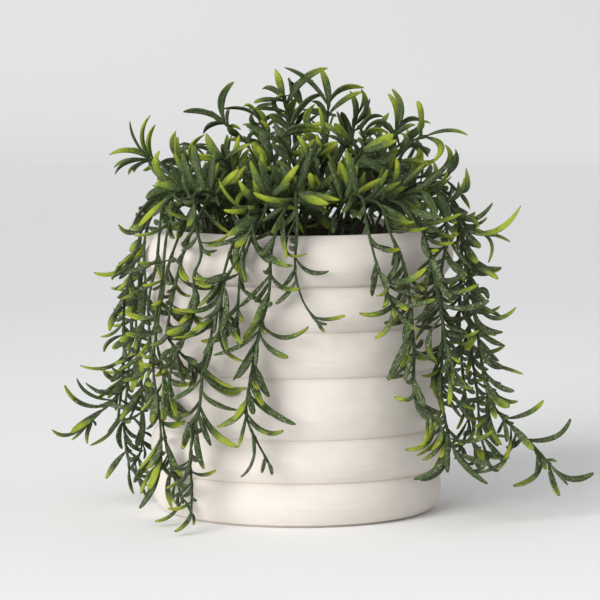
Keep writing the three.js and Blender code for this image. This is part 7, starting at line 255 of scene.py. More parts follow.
    [-65.36,-56.02,30.46,-71.85,-56.49,23.76,-74.73,-58.97,15.41,6.08,2.3,-0.14,0.91,-0.4,0.55],
    [-65.44,-56,29.49,-67.54,-57.99,17.97,-75.59,-58.58,8.24,4.15,2.3,-0.74,0.57,0.34,0.05],
    [-65.36,-56.02,30.48,-62.53,-55,25.21,-58.82,-59.78,23.75,4,1.97,-0.46,-0.89,0.05,0.13],
    [-64.93,-56.13,37.46,-65.06,-47.55,31.26,-64.1,-38.93,33.25,2.69,1.58,0.96,-0.19,0.23,0.22],
    [-61.65,-57.66,121.97,-61.78,-61.37,116.33,-59.68,-67.57,117.97,3.75,2.05,-0.88,-0.32,0.35,0.28],
    [-66.04,-57.33,98.43,-66.03,-61.88,93.77,-64.94,-68.14,95.21,4.13,2.05,-0.99,-0.08,-0.09,0.17],
    [-59.36,-57.72,131.17,-59.96,-63.4,126.53,-57.54,-69.36,130.09,4.1,2.05,-0.97,-0.17,0.18,0.12],
    [-52.21,-57.95,147.66,-55.62,-63.66,140.4,-56.4,-73.47,140,3.81,2.05,-0.63,-0.2,0.75,0.41],
    [-68.22,-56.71,70.21,-68.6,-54.26,65.5,-72.58,-50.46,68.49,3.92,1.79,0.84,0.44,0.33,0.83],
    [-68.74,-56.83,75.68,-71.68,-55.16,72.69,-72.1,-50.78,70.72,3.23,1.58,-0.32,0.68,0.66,0.8],
    [-41.45,-49.7,154.39,-40.99,-50.67,165.05,-37.21,-47.59,174.59,4.76,1.95,-0.68,0.73,0.06,0.42],
    [-61.12,-57.67,124.41,-59.44,-58.46,116.73,-53.88,-60.08,111.36,3.66,1.95,-0.5,-0.86,-0.12,0.47],
    [-39.78,-47.55,153.16,-37.32,-44.53,162.29,-33.5,-39.72,170.09,3.72,1.95,-0.02,0.91,-0.41,0.53],
    [-62.25,-57.65,119.04,-67.8,-57.19,116.32,-73.96,-56.65,115.85,3.69,1.95,0.13,0.97,-0.19,0.79],
    [-67.17,-56.59,64.32,-67.58,-58.97,56.75,-69.52,-63.33,50.4,4.72,1.95,-0.95,0.32,0.01,0.46],
    [-65.16,-56.23,42.95,-69.05,-56.44,33.88,-76.06,-56.93,26.94,4.08,1.95,-0.22,0.97,0.11,0.87],
    [-65.08,-56.08,33.97,-67.47,-59.23,25.3,-70.91,-64.57,18.2,4.77,1.95,-0.91,0.41,0.11,0.93],
    [-36.44,-42.96,149.12,-33.17,-46.92,159.49,-26.39,-48.44,168.77,4.69,1.95,-0.21,0.91,0.36,0.81],
    [-66.87,-57.27,93,-74.54,-57.02,90.49,-82.24,-56.8,92.95,4.3,1.95,0.03,0.93,0.36,0.44],
    [-47.72,-56.44,154.85,-53.42,-59.07,160.55,-54.26,-57.79,168.88,4.12,1.95,-0.4,0.91,-0.1,0.14],
    [-60.25,-57.7,128.31,-67.93,-60.96,126.44,-75.6,-64.59,127.55,4.84,1.95,-0.41,0.91,0.01,0.53]]],
  ["trailing_stem_07", [[-24,-48,134.14], [-24.17,-48.18,140.73], [-25.25,-49.28,144.42], [-27.88,-51.97,149.1], [-31.05,-55.25,153.02], [-37,-61.42,158.19], [-42.15,-66.84,161.08], [-46.18,-71.21,161.74], [-47.44,-72.65,161.18], [-48.25,-73.69,159.75], [-48.35,-74,157.8], [-46.8,-73.67,142.81], [-44.89,-73.47,133.62], [-45.97,-73.35,128.07], [-47.67,-73.27,124.69], [-48.47,-73.18,121], [-48.38,-72.86,105.9], [-50.94,-72.65,96.77], [-58.26,-72.29,81.33], [-59.79,-72.16,75.82], [-60.8,-72,68.26]], [
    [-56.01,-72.41,86.82,-63.02,-70.66,86.8,-63.77,-73.43,81.33,4,2.3,-0.49,0.66,0.57,0.07],
    [-57.85,-72.31,82.54,-61.36,-70.51,77.79,-67.12,-73.67,78.35,4,1.97,-0.1,-0.95,0.29,0.11],
    [-59.75,-72.17,75.97,-54.93,-71.29,72.87,-49.85,-74.83,73.96,4,1.97,0.81,0.14,-0.57,0.15],
    [-60.55,-72.05,70.66,-58.08,-74.68,69.9,-51.95,-73.69,69.18,3.55,1.78,-0.23,-0.93,-0.28,0.55],
    [-60.65,-72.03,69.68,-63.18,-71.36,61.01,-62.93,-73.71,52.69,5.53,2.3,-0.84,-0.51,0.16,0.56],
    [-44.99,-73.5,135.06,-43.63,-76.16,132.11,-37.38,-74.79,134.25,3.16,1.6,-0.04,0.87,-0.48,0.14],
    [-44.92,-73.48,134.12,-43.11,-70.33,133.32,-40.58,-69.77,130.85,2.59,1.78,-0.44,0.37,-0.82,0.55],
    [-48.72,-73.09,116.52,-46.27,-76.14,112.82,-48.37,-76.77,105.97,4,2.3,-0.92,-0.1,0.37,0.1],
    [-48.62,-72.83,104.57,-48.23,-74.98,99.48,-43.34,-73.69,98.27,4,1.97,0.01,0.67,0.75,0.55],
    [-49.04,-72.79,102.7,-51.05,-76.55,95.71,-61.73,-75.8,94.92,5.53,2.3,-0.4,-0.42,0.81,0.57],
    [-29.08,-53.22,150.71,-32.19,-53.64,158.74,-33.04,-50,166.51,5.18,2.05,-0.91,0.31,-0.29,0.55],
    [-48.19,-73.97,156.43,-48.63,-76.5,149.51,-50.93,-82.38,145.79,5.19,2.05,-0.85,0.48,-0.22,0.48],
    [-50.76,-72.66,97.26,-55.66,-72.42,92.38,-58.62,-67.26,92.84,2.69,1.7,0.11,0.97,0.19,0.14],
    [-47.14,-73.75,146.49,-50.08,-70.7,141.41,-54.22,-68.39,136.98,4.36,2.05,0.07,0.97,0.24,0.17],
    [-46.63,-73.65,141.52,-49.28,-71.58,135.8,-54.64,-68.43,133.55,4.89,2.05,-0.13,0.91,0.39,0.2],
    [-45.81,-73.57,138.12,-37.09,-73.99,136.18,-31.26,-74.6,142.92,4.67,2.05,-0.11,-0.99,0.12,0.75],
    [-48.19,-72.98,111.4,-45.12,-69.82,107.98,-46.24,-65.29,107.08,2.89,1.38,0.91,-0.11,-0.4,0.43],
    [-48.41,-73.19,121.35,-44.95,-76.78,116.47,-39.8,-81.25,117.89,4.67,2.05,-0.71,-0.65,-0.27,0.93],
    [-36.89,-61.31,158.12,-38.45,-73.69,159.59,-36,-76.76,154.82,3.41,1.79,-0.01,0.29,-0.96,0.12],
    [-47.62,-73.86,151.46,-46.22,-70.16,144.5,-45.16,-64.35,141.87,4.03,2.05,0.08,-0.9,0.44,0.49],
    [-47.98,-73.34,160.23,-49.3,-81.6,159.4,-49.76,-89.87,160.83,3.81,2.05,-0.99,0.11,0.13,0.12],
    [-52.54,-72.57,93.13,-56.15,-78.11,87.92,-58.91,-85.53,85.06,4.75,2.05,-0.85,0.09,0.52,0.12],
    [-45.36,-70.32,161.77,-47.36,-78.31,162.42,-43.96,-85.73,163.76,3.33,2.05,0.19,0.14,0.97,0.12],
    [-48.19,-72.89,107.41,-51.11,-74.04,102.21,-55.92,-76.37,99.33,4.45,1.95,-0.59,0.77,0.24,0.94],
    [-50.09,-72.71,99.15,-55.76,-71.19,96.62,-61.88,-69.36,96.42,3.47,1.95,0.34,0.82,-0.46,0.09],
    [-48.58,-73.04,114.38,-50.1,-75.28,107.95,-52.52,-78.38,102.19,3.88,1.95,-0.63,0.77,-0.13,0.22],
    [-39.1,-63.62,159.54,-33.91,-67.8,166.24,-27.09,-70.48,172.2,4.91,1.95,-0.15,0.8,0.58,0.77],
    [-60.38,-72.09,72.24,-58.99,-74.84,63.27,-56.62,-78.69,54.93,4.43,1.95,-0.74,-0.67,0.1,0.54],
    [-43.35,-68.13,161.48,-47.78,-68.67,172.59,-48.97,-65.2,184,4.67,1.95,-0.87,0.42,-0.27,0.21],
    [-26.2,-50.25,146.38,-26.22,-52.02,157.14,-22.68,-51.15,167.42,4.54,1.95,-0.5,0.86,0.12,0.15],
    [-30.7,-54.88,152.62,-25.43,-55.59,159.44,-17.59,-52.9,161.9,4.34,1.95,-0.54,0.52,0.66,0.47],
    [-41.03,-65.66,160.58,-40.73,-64.02,170.51,-38.82,-60.66,179.8,4.71,1.95,-0.74,0.67,-0.09,0.2],
    [-47.78,-73.26,124.28,-44.44,-73.16,119.01,-38.23,-73.17,118.39,3.84,1.95,0.17,-0.95,0.26,0.05],
    [-56.8,-72.37,85.21,-55.61,-75.58,77.73,-52.9,-79.65,71.12,4.29,1.95,-0.41,-0.85,0.33,0.15]]],
  ["trailing_stem_08", [[-36.42,-33.22,135.09], [-36.49,-33.4,141.69], [-37.05,-34.59,145.47], [-38.66,-37.82,150.28], [-40.93,-41.98,154], [-43.76,-46.57,156.67], [-47.27,-51.26,158.06], [-50.12,-54.06,157.83], [-51.68,-55.13,157.19], [-54.67,-56,154.73], [-58.31,-55.84,150.29], [-61.65,-55.56,141.32], [-62.88,-55.31,133.74], [-64.12,-54.74,118.39], [-67.4,-54.26,101.34], [-67.89,-54.08,95.57], [-67.07,-53.86,87.88], [-63.86,-53.6,70.8], [-64.77,-53.17,53.39], [-61.91,-52.86,34.2], [-59.58,-54.02,24.95], [-55.4,-57.71,14.62], [-54.6,-58.47,10.94]], [
    [-62.61,-52.85,40.18,-60.98,-56.44,32,-55.11,-56.4,23.24,4.42,2.3,-0.79,0.44,-0.44,0.51],
    [-60.02,-53.7,26.38,-63.9,-53.7,16.93,-60.08,-53.7,7.74,4,2.3,-0.71,0.7,0,0.52],
    [-54.88,-58.21,12.39,-59.2,-60.95,3.3,-67.9,-62.65,2.88,3.55,1.78,-0.4,0.91,0.12,0.55],
    [-59.98,-53.73,26.26,-57.25,-51.06,21.87,-54.66,-52.44,20.13,3.25,1.97,-0.75,0.63,0.18,0.04],
    [-57.87,-55.49,20.26,-61.01,-56.15,13.45,-57.75,-64.02,11.82,3.55,1.78,-0.4,-0.65,0.65,0.51],
    [-55.6,-57.51,15.15,-58.32,-55.83,12.29,-56.1,-57.13,8.24,2.92,1.97,0.25,-0.96,0.11,0.1],
    [-55.08,-58.02,13.29,-51.31,-56.46,8.67,-51.23,-58.88,6.63,3.14,1.6,-0.33,-0.94,-0.07,0.17],
    [-64.7,-53.3,58.26,-60.32,-57.72,52.61,-54.29,-63.56,52.93,5.19,2.05,-0.66,-0.32,-0.67,0.15],
    [-60.51,-55.68,145.23,-60.71,-60.46,138.87,-57.56,-67.74,139.62,3.85,2.05,-0.77,-0.41,0.48,0.34],
    [-55.51,-55.96,153.78,-59.93,-61.49,152.4,-58.94,-66.98,156.98,4.39,2.05,-0.8,0.38,0.46,0.07],
    [-64.7,-53.72,76.65,-64.19,-48.64,71.86,-68.14,-46.75,71.35,3.82,1.79,0.91,0.41,-0.1,0.84],
    [-64.02,-53.63,72.2,-56.67,-57.02,67.76,-48.65,-61.26,69.47,3.85,2.05,-0.41,-0.89,0.19,0.44],
    [-65.98,-54.45,108.72,-60.71,-57.09,102.22,-55.13,-56.03,101.56,4.25,1.79,-0.47,-0.73,-0.49,0.58],
    [-58.32,-55.83,150.27,-60.02,-63.26,144.3,-56.09,-71.53,147.46,3.63,2.05,-0.7,-0.22,0.68,0.12],
    [-61.48,-52.96,32.03,-62.82,-49.72,26.38,-66.92,-44.78,25.76,5.09,2.05,0.37,0.86,0.35,0.83],
    [-51.89,-55.22,157.04,-54.18,-63.24,154.92,-49.28,-70.08,156.74,4.28,2.05,-0.69,-0.13,0.71,0.12],
    [-58.77,-54.69,22.58,-54.92,-60.13,17.68,-51.8,-67.12,20.83,4.16,2.05,-0.82,-0.4,-0.42,0.35],
    [-63.73,-53.54,68.21,-62.02,-50.25,60.55,-59.87,-46.32,53.4,4.96,2.05,-0.26,-0.5,-0.83,0.41],
    [-65.14,-54.54,112.63,-63.65,-50.58,108.19,-60.21,-45.65,110.73,3.84,2.05,0.93,-0.36,-0.08,0.45],
    [-64.42,-53.06,49.27,-58.78,-55.46,46.42,-53.52,-57.68,50.75,4.87,2.05,-0.62,-0.41,-0.67,0.77],
    [-65.83,-53.8,82.04,-58.25,-56.42,76.94,-50.5,-57.93,73.96,4.15,2.05,0.2,-0.27,-0.94,0.17],
    [-63.34,-52.94,44.39,-62.75,-44.17,39.27,-65.85,-37.9,39.75,3.04,1.89,0.98,0.16,0.12,0.1],
    [-66.75,-54.36,104.79,-63.85,-50.61,100.5,-59.29,-46.53,102.3,4.8,2.05,0.66,-0.43,0.62,0.06],
    [-64.31,-54.69,117.05,-67.37,-46.73,113.2,-69.71,-35.23,112.21,2.79,1.95,0.79,-0.27,0.54,0.1],
    [-67.47,-54.25,100.85,-75.28,-52.24,98.05,-82.35,-50.34,102.42,4.53,2.05,0.27,0.81,0.52,0.79],
    [-64.78,-53.19,54.26,-67.23,-46.18,48.7,-69.19,-39.57,51.26,3.84,1.95,-0.5,-0.37,-0.78,0.25],
    [-64.23,-53.66,73.74,-61.89,-56.49,63.47,-64.27,-64.54,51.96,4.42,2.3,-0.83,-0.5,0.25,0.81],
    [-64.96,-53.74,78.13,-59.33,-53.76,74.86,-53.03,-53.87,76.46,3.71,1.95,0.04,-0.93,0.37,0.19],
    [-44.2,-47.21,156.92,-51.08,-49.5,156.8,-57.75,-47.74,154.52,4.55,1.95,0.17,-0.45,-0.88,0.16],
    [-64.06,-53.44,63.73,-59.53,-52.39,56.96,-52.24,-51.05,53.44,4.83,1.95,-0.26,-0.83,-0.49,0.08],
    [-48.84,-52.91,158.05,-45.65,-58.06,167.41,-39.79,-60.26,176.62,4.69,1.95,-0.75,0.39,0.52,0.19],
    [-61.95,-52.85,34.49,-64.81,-52.65,26.93,-70.98,-52.09,21.73,4.94,1.95,0.11,0.99,-0.01,0.55],
    [-42.43,-44.49,155.59,-53.04,-44.46,155.27,-62.64,-40.69,152.8,4.47,1.95,-0.03,-0.69,-0.72,0.02],
    [-64.47,-53.36,60.75,-61.05,-52.46,52.83,-53.96,-51.11,48.03,4.13,1.95,0.22,-0.98,0.01,0.48],
    [-46.5,-50.32,157.89,-52.34,-50.03,168.28,-55.04,-45.13,178.82,4.27,1.95,-0.72,0.55,-0.43,0.21],
    [-40.86,-41.86,153.9,-35,-42.63,158.38,-28.17,-40.47,160.28,4.92,1.95,-0.39,0.67,0.63,0.2],
    [-63.82,-53.59,70.21,-67.86,-53.79,61.5,-75.04,-54.29,55.15,4.17,1.95,-0.18,0.98,0.08,0.53],
    [-59.81,-55.73,147.1,-67.38,-55.24,139.65,-77.99,-54.63,139.81,3.62,1.95,0.1,0.99,-0.1,0.55],
    [-37.6,-35.72,147.5,-32.14,-36.96,153.25,-24.51,-35.55,155.35,3.77,1.95,-0.14,0.97,0.21,0.59]]],
  ["trailing_stem_09", [[-17,-50,134.33], [-16.99,-50.22,140.89], [-17.02,-51.67,144.57], [-17.04,-54.05,147.73], [-17.19,-58.56,151.57], [-17.49,-65.59,155.14], [-18.04,-71.31,156.43], [-19,-75.08,156.13], [-19.8,-76.68,155.35], [-20.82,-77.65,154], [-27.61,-78,142.59], [-33.43,-78,126.53], [-40.09,-78,94.87], [-43.76,-78,82.03], [-45.79,-78,61.1], [-50.24,-78,38.53], [-49.59,-78,19.33], [-50.1,-78,9.72]], [
    [-44.83,-78,74.21,-49.85,-78.01,67.1,-58.91,-78.21,63.78,4,2.17,-0.26,0.91,0.33,0.15],
    [-49.96,-78,11.64,-49.4,-84.48,5.9,-57.42,-90.99,2.51,3.68,2.06,-0.76,0.63,-0.17,0.47],
    [-50.1,-78,9.75,-48.17,-79.27,7.27,-49.15,-78.49,3.56,2.52,1.6,-0.38,-0.93,0.02,0.49],
    [-50.09,-78,29.84,-44.58,-77.52,25.46,-38.18,-78.23,29.88,3.55,1.78,-0.02,-0.96,-0.29,0.51],
    [-49.63,-78,17.87,-48.79,-80.77,15.67,-47.14,-81.1,15.96,1.79,1.6,-0.62,-0.71,0.34,0.12],
    [-49.84,-78,41.78,-49.27,-83.26,34.51,-54.82,-80.34,23.58,4,2.3,0.07,-0.98,0.17,0.06],
    [-46.53,-78,57.43,-52.91,-76.86,48.74,-53.5,-76.46,40.88,4.03,2.01,-0.82,0.56,0.09,0.08],
    [-47.27,-78,54.14,-48.61,-82.22,41,-43.7,-83.8,31.18,4.15,2.3,-0.84,0.48,-0.25,0.18],
    [-45.76,-78,61.38,-42.32,-75.74,45.53,-27.94,-79.38,41.05,4,2.3,0.38,0.02,0.93,0.55],
    [-45.18,-78,68.55,-42.52,-80.97,61.02,-27.7,-78.2,58.54,4,2.17,-0.29,0.81,-0.51,0.06],
    [-44.51,-78,77.18,-36.58,-75.94,65.61,-23.42,-78.36,69.04,4,2.3,-0.09,0.81,0.58,0.47],
    [-44.78,-78,74.77,-40.81,-80.85,71.77,-37.93,-83.39,71.84,2.56,1.4,-0.73,-0.68,0.05,0.08],
    [-40,-78,95.28,-40.22,-83.69,87.27,-43.85,-82.46,76.53,4.42,2.3,0.1,-0.96,0.25,0.18],
    [-49.43,-78,44.26,-50.33,-82.69,50.04,-51.12,-85.51,53.79,4,1.97,0.58,-0.69,-0.44,0.15],
    [-36.25,-78,114.53,-39.52,-80.11,102.51,-59.12,-80.83,107.29,4,2.3,-0.27,0.78,0.56,0.46],
    [-38.21,-78,104.16,-42.59,-79.99,92.75,-58.67,-81.42,93.62,3.16,1.6,-0.57,-0.82,0.02,0.46],
    [-50.27,-78,32.7,-53.74,-72.86,27.69,-58.25,-66.86,30.39,4.16,2.05,0.79,0.59,0.13,0.12],
    [-42.36,-78,86.97,-43.87,-72.25,79.49,-42.32,-62.84,79.13,3.29,2.05,-0.45,-0.84,0.29,0.25],
    [-18.51,-73.53,156.41,-23.14,-79.7,160.19,-27.38,-78.23,167.55,4.31,2.05,0.01,0.44,-0.9,0.57],
    [-23.53,-77.99,149.89,-27.52,-73.39,145.02,-28.44,-65.8,145.7,5.3,2.05,0.74,0.52,-0.41,0.43],
    [-37.16,-78,109.88,-32.98,-76.95,103.92,-27.37,-75.67,99.33,4.97,2.05,0.22,-0.98,-0.01,0.47],
    [-38.88,-78,100.53,-41.92,-70.78,94.97,-43.22,-62.54,99.73,4,2.05,0.6,0.79,0.17,0.04],
    [-48.1,-78,50.51,-47.19,-71.87,46.28,-44.66,-65.1,47.81,3.37,1.95,0.34,0.48,0.81,0.25],
    [-45.43,-78,64.25,-48.95,-74.78,56.26,-55.17,-68.03,54.74,4.6,2.05,0.51,0.8,0.31,0.54],
    [-35.31,-78,119.2,-38.76,-73.59,113.18,-42.45,-68.38,107.99,5.21,2.05,0.77,0.63,0.05,0.03],
    [-43.62,-78,82.65,-46.23,-82.97,79.3,-47.81,-88.72,82,3.65,2.05,-0.75,0.33,-0.57,0.26],
    [-49.68,-78,22.71,-51.01,-83.2,18.58,-52.95,-89.65,19.29,3.47,2.05,-0.96,0.28,-0.05,0.12],
    [-31.16,-78,133.09,-28.85,-72.2,126.58,-24.49,-74.83,121.21,4.71,2.05,0.76,-0.43,0.49,0.91],
    [-50.29,-78,37.7,-48.66,-69.05,32.96,-46.04,-64.64,32.82,3.91,1.95,0.81,-0.03,0.58,0.25],
    [-46.53,-78,57.43,-44.07,-79.25,48.72,-40.5,-79.02,41.47,4,2.3,-0.71,-0.67,-0.22,0.1],
    [-46.28,-78,58.61,-50.83,-72.09,47.88,-54.47,-72.56,39.12,4.42,2.3,-0.72,0.53,0.45,0.57],
    [-44.24,-78,79.2,-38.11,-79.92,71.83,-28.93,-82.45,69.63,3.78,1.95,-0.26,-0.97,0.04,0.81],
    [-20.27,-77.13,154.73,-27.03,-79.48,151.49,-34.47,-77.81,153.39,4.87,1.95,0.01,0.85,-0.53,0.83],
    [-17.27,-60.32,152.68,-22.31,-64.67,148.94,-26.43,-63.24,142.67,4.73,1.95,0.68,-0.58,-0.45,0.53],
    [-49.76,-78,15.21,-54.58,-78.16,10.69,-61.13,-78.39,11.52,3.79,1.95,0.02,0.98,-0.17,0.82],
    [-17.52,-66.23,155.34,-18.77,-69.68,163.13,-20,-66.75,171.13,4.01,1.95,-0.92,0.37,-0.13,0.93],
    [-45.28,-78,66.74,-40.02,-76.24,62.51,-33.85,-74.23,59.92,4.12,1.95,0.32,-0.95,0,0.83],
    [-34.78,-78,121.65,-39.66,-80.26,114.28,-45.81,-83.69,108.48,4.16,1.95,-0.48,0.87,0.03,0.43],
    [-37.89,-78,105.94,-43.98,-78.13,97.6,-53.61,-78.38,93.86,3.62,1.95,-0.17,0.97,0.19,0.41],
    [-50,-78,28.2,-55.72,-76.32,23.9,-62.11,-74.47,20.78,3.92,1.95,0.27,0.96,0.01,0.53],
    [-49.77,-78,24.21,-54.13,-78.34,19.35,-60.07,-78.79,16.65,4.15,1.95,-0.02,1,-0.07,0.19],
    [-50.36,-78,34.7,-55.01,-77.6,30.67,-61.15,-77.07,30.53,4.26,1.95,0.08,1,0.01,0.12],
    [-38.51,-78,102.5,-43.74,-81.22,99.33,-49.17,-84.65,96.79,4.11,1.95,-0.63,0.68,0.38,0.79],
    [-17.75,-69.12,156.1,-8.57,-72.97,155.35,1.03,-70.99,153.49,3.75,1.95,0.17,0.53,0.83,0.53],
    [-29.72,-78,137.36,-28.44,-76.82,131.42,-24.65,-74.93,126.92,4.89,1.95,0.38,-0.92,-0.08,0.45],
    [-21.89,-77.99,152.4,-32.37,-74.64,157.14,-36.81,-71.15,167.7,3.87,1.95,0.31,0.94,-0.12,0.93],
    [-17.38,-62.98,154.06,-20.38,-68,149.43,-23.2,-68.1,142.52,4.91,1.95,0.91,-0.14,-0.4,0.18],
    [-17.16,-57.82,151.02,-22.6,-59.4,158.36,-29.19,-57.29,164.52,4.16,1.95,-0.75,-0.01,-0.67,0.45],
    [-17.07,-55.12,148.8,-23.44,-58.21,151.54,-31.02,-58.59,151.68,4.65,1.95,-0.04,-0.54,-0.84,0.18]]],
  ["trailing_stem_10", [[-30,-44,134.23], [-30.1,-44.2,140.79], [-30.78,-45.48,144.45], [-31.91,-47.56,147.61], [-34.15,-51.52,151.39], [-36.88,-56.05,154.05], [-40.11,-60.83,155.32], [-42.57,-63.84,154.78], [-44.91,-65.75,152.38], [-54.39,-66,129.72], [-61.64,-66,94.55], [-61.54,-66,92.66], [-59.73,-66,89.38], [-45.53,-66,74.24]], [
    [-56.33,-66,85.87,-57.21,-67.45,77.94,-49.19,-68.66,71.14,4,2.3,-0.5,0.27,-0.82,0.55],
    [-56.18,-66,121.61,-48.06,-67.6,112.43,-34.87,-69.53,117.62,4,2.17,0.03,0.81,-0.58,0.11],
    [-57.06,-66,116.35,-54.12,-65.93,111.73,-50.31,-68.01,111.9,2.91,1.6,-0.38,-0.89,-0.24,0.48],
    [-60.75,-66,99.56,-60.44,-58.27,93.53,-58.15,-48.88,95.21,4.39,2.05,0.97,-0.09,0.23,0.19],
    [-61.63,-66,94.64,-60.88,-59.3,89.29,-59.57,-51.21,91.88,4.12,2.05,0.98,-0.11,0.14,0.08],
    [-47.79,-66,145.59,-49.89,-60.54,141.67,-50.69,-56.93,143.43,3.96,1.95,0.91,0.4,-0.11,0.25],
    [-53.87,-66,83.56,-49.18,-71.41,80.66,-47.43,-78.93,81.08,4.23,2.05,-0.72,-0.23,-0.66,0.34],
    [-56.65,-66,118.63,-58.97,-70.66,112.93,-60.65,-77.8,115.38,4.48,2.05,-0.7,-0.04,-0.71,0.15],
    [-54.88,-66,127.97,-54.84,-68.64,121.25,-51.22,-74.67,119.63,4.4,2.05,-0.92,-0.4,0.02,0.83],
    [-59.71,-66,104.45,-56.18,-60.73,98.31,-50.11,-57.27,101.3,4.99,2.05,0.35,0.25,-0.9,0.08],
    [-57.61,-66,113.72,-60.36,-72.55,106.41,-60.97,-81.75,110.77,3.97,2.05,-0.98,0.19,0.11,0.05],
    [-53.31,-66,132.71,-56.12,-71.25,126.9,-55.78,-79.08,129.68,3.65,2.05,-0.9,0.07,0.42,0.12],
    [-31.77,-47.3,147.26,-29.96,-52.91,149.53,-28.47,-63.45,147.51,3.29,1.79,0.06,-0.22,-0.97,0.12],
    [-47.82,-66,76.89,-47.48,-57.34,72.07,-49.58,-59.33,68.98,3.25,1.95,0.68,0.28,0.68,0.04],
    [-50.77,-66,80.3,-49.12,-71.8,76.66,-51.41,-78.43,77.31,3.86,2.05,-0.94,0.13,-0.32,0.09],
    [-46.13,-66,149.78,-53.81,-64.65,146.96,-60.35,-62.86,151.74,4.94,2.05,0.24,0.95,0.22,0.59],
    [-51.38,-66,137.33,-54.02,-61.53,133.62,-53.93,-55.96,136.74,3.88,2.05,0.96,0.24,-0.15,0.25],
    [-45.53,-66,74.24,-31.93,-68.35,60.62,-26.93,-67.63,67.73,4,2.3,-0.22,-0.88,-0.41,0.85],
    [-61.48,-66,95.78,-61.2,-71.86,89.98,-69.53,-71.31,88.72,4,2.3,-0.63,0.76,0.14,0.44],
    [-59.05,-66,107.38,-52.51,-63.34,101.82,-44.23,-60.37,100.03,4.41,1.95,0.42,-0.9,0.16,0.88],
    [-36.73,-55.8,153.93,-31.65,-56.87,164.63,-23.97,-53.57,173.09,4.84,1.95,-0.59,0.74,0.31,0.77],
    [-35.3,-53.47,152.69,-41.68,-55.18,159.45,-47.59,-51.61,165.9,4.5,1.95,-0.72,0.13,-0.69,0.51],
    [-60.95,-66,91.25,-54.09,-66.98,90.97,-48.12,-68.09,94.31,3.71,1.95,-0.2,-0.96,0.17,0.44],
    [-52.45,-66,82.16,-44.56,-69.75,76.32,-36.72,-74.36,71.09,3.9,1.95,-0.6,-0.75,-0.29,0.56],
    [-59.22,-66,88.82,-59.18,-67.65,80.88,-64.09,-70.07,74.91,4.11,1.95,-0.56,0.83,-0.05,0.47],
    [-44.01,-65.16,153.58,-38.81,-68.67,146.36,-30.73,-70.46,141.57,4.26,1.95,-0.08,-0.94,0.33,0.59],
    [-49.79,-66,79.16,-48.96,-65.02,71.83,-52.35,-63.42,65.41,3.5,1.95,-0.1,0.97,0.2,0.45]]],
  ["trailing_stem_11", [[-12,-42,136.19], [-12,-42,140.79], [-12.09,-43.13,144.49], [-12.46,-47.42,148.4], [-12.99,-52.78,150.73], [-13.81,-60.41,152.42], [-15.54,-70.2,152.99], [-17.39,-78.18,151.92], [-19.25,-84.03,149.44], [-20.85,-85.21,146.31], [-26.77,-84.22,132.57], [-33.87,-84.02,119.44], [-35.35,-84,110.24], [-36.23,-84,93.42]], [
    [-34.1,-84.02,118.66,-30.96,-85.71,109.07,-35.36,-90.19,96.44,4,2.3,-0.77,-0.61,0.21,0.1],
    [-34.84,-84.01,115.1,-39.1,-79.98,105.56,-38.57,-86.54,95.86,4,2.17,-0.47,0.88,0.05,0.18],
    [-36.18,-84,94.36,-34.77,-82.74,85,-25.19,-84.31,82.57,3.55,1.78,-0.27,-0.94,-0.22,0.54],
    [-19.84,-84.76,148.36,-21.69,-92.29,148.46,-21.88,-99.08,152.21,4.27,2.05,-0.58,0.29,0.76,0.12],
    [-31.5,-84.06,124.18,-37.03,-86.9,121.84,-42.63,-90.1,120.27,5.32,2.05,-0.54,0.7,0.46,0.09],
    [-17.18,-77.34,152.1,-19.59,-83.79,153.23,-22.39,-89.34,156.4,4.57,2.05,-0.85,0.19,-0.5,0.33],
    [-35.33,-84,110.39,-38.42,-87.55,103.98,-43.03,-94.02,104.29,4.24,2.05,-0.8,0.6,0.02,0.19],
    [-35.87,-84,100.41,-34.93,-76.24,97.23,-30.74,-70.35,96.48,3.52,1.95,0.18,-0.68,-0.71,0.52],
    [-21.88,-84.92,143.89,-25.57,-87.61,138.26,-28.58,-94.13,137.3,4.51,2.05,-0.86,0.47,0.22,0.79],
    [-23.75,-84.55,139.52,-26.63,-88.87,129.31,-23.22,-85.81,120.03,4,2.17,-0.47,-0.88,0.04,0.5],
    [-20.7,-85.17,146.63,-19,-85.62,138.05,-15.28,-86.07,130.14,3.88,1.95,0,-1,0.05,0.2],
    [-36.02,-84,97.41,-39.43,-86.4,91.6,-43.48,-89.32,86.48,3.53,1.95,-0.74,0.64,0.2,0.04],
    [-15.42,-69.61,152.99,-20.98,-71.25,147.36,-26.54,-71.9,141.52,4.81,1.95,0.72,-0.03,-0.69,0.04],
    [-18.29,-81.52,150.87,-24.93,-86.03,146.26,-33,-86.74,141.76,4.7,1.95,0.57,-0.21,-0.8,0.42],
    [-35.55,-84,106.9,-31.7,-86.65,97.84,-25.24,-90.84,91.16,4.2,1.95,-0.84,-0.36,-0.4,0.46],
    [-12.82,-51.13,150.15,-13.56,-55.5,144.06,-13.74,-54.5,136.6,4.78,1.95,0.92,-0.38,0.03,0.49],
    [-16.16,-73.02,152.79,-23.57,-71.92,153.29,-30.72,-69.73,153.9,4.11,1.95,-0.1,-0.12,-0.99,0.09],
    [-12.36,-46.28,147.63,-17.87,-49.38,157.33,-25.08,-46.39,165.88,3.51,1.95,-0.82,0.02,-0.57,0.54],
    [-35.71,-84,103.4,-34.43,-87.16,95.35,-32.46,-91.55,88.04,3.86,1.95,-0.86,-0.5,0.07,0.43]]],
  ["trailing_stem_12", [[-9,-52,134.34], [-9.02,-52.19,140.89], [-9.14,-53.47,144.59], [-9.49,-56.81,149.42], [-9.98,-61.16,153.42], [-10.87,-67.96,157.55], [-11.79,-73.74,159.46], [-12.66,-77.83,159.54], [-13.22,-79.73,158.79], [-13.81,-81.01,157.29], [-15.19,-81.82,151.84], [-22.05,-80.3,138.43], [-25.95,-80.05,125.87], [-26.95,-80.01,118.42], [-28.06,-80,97.73]], [
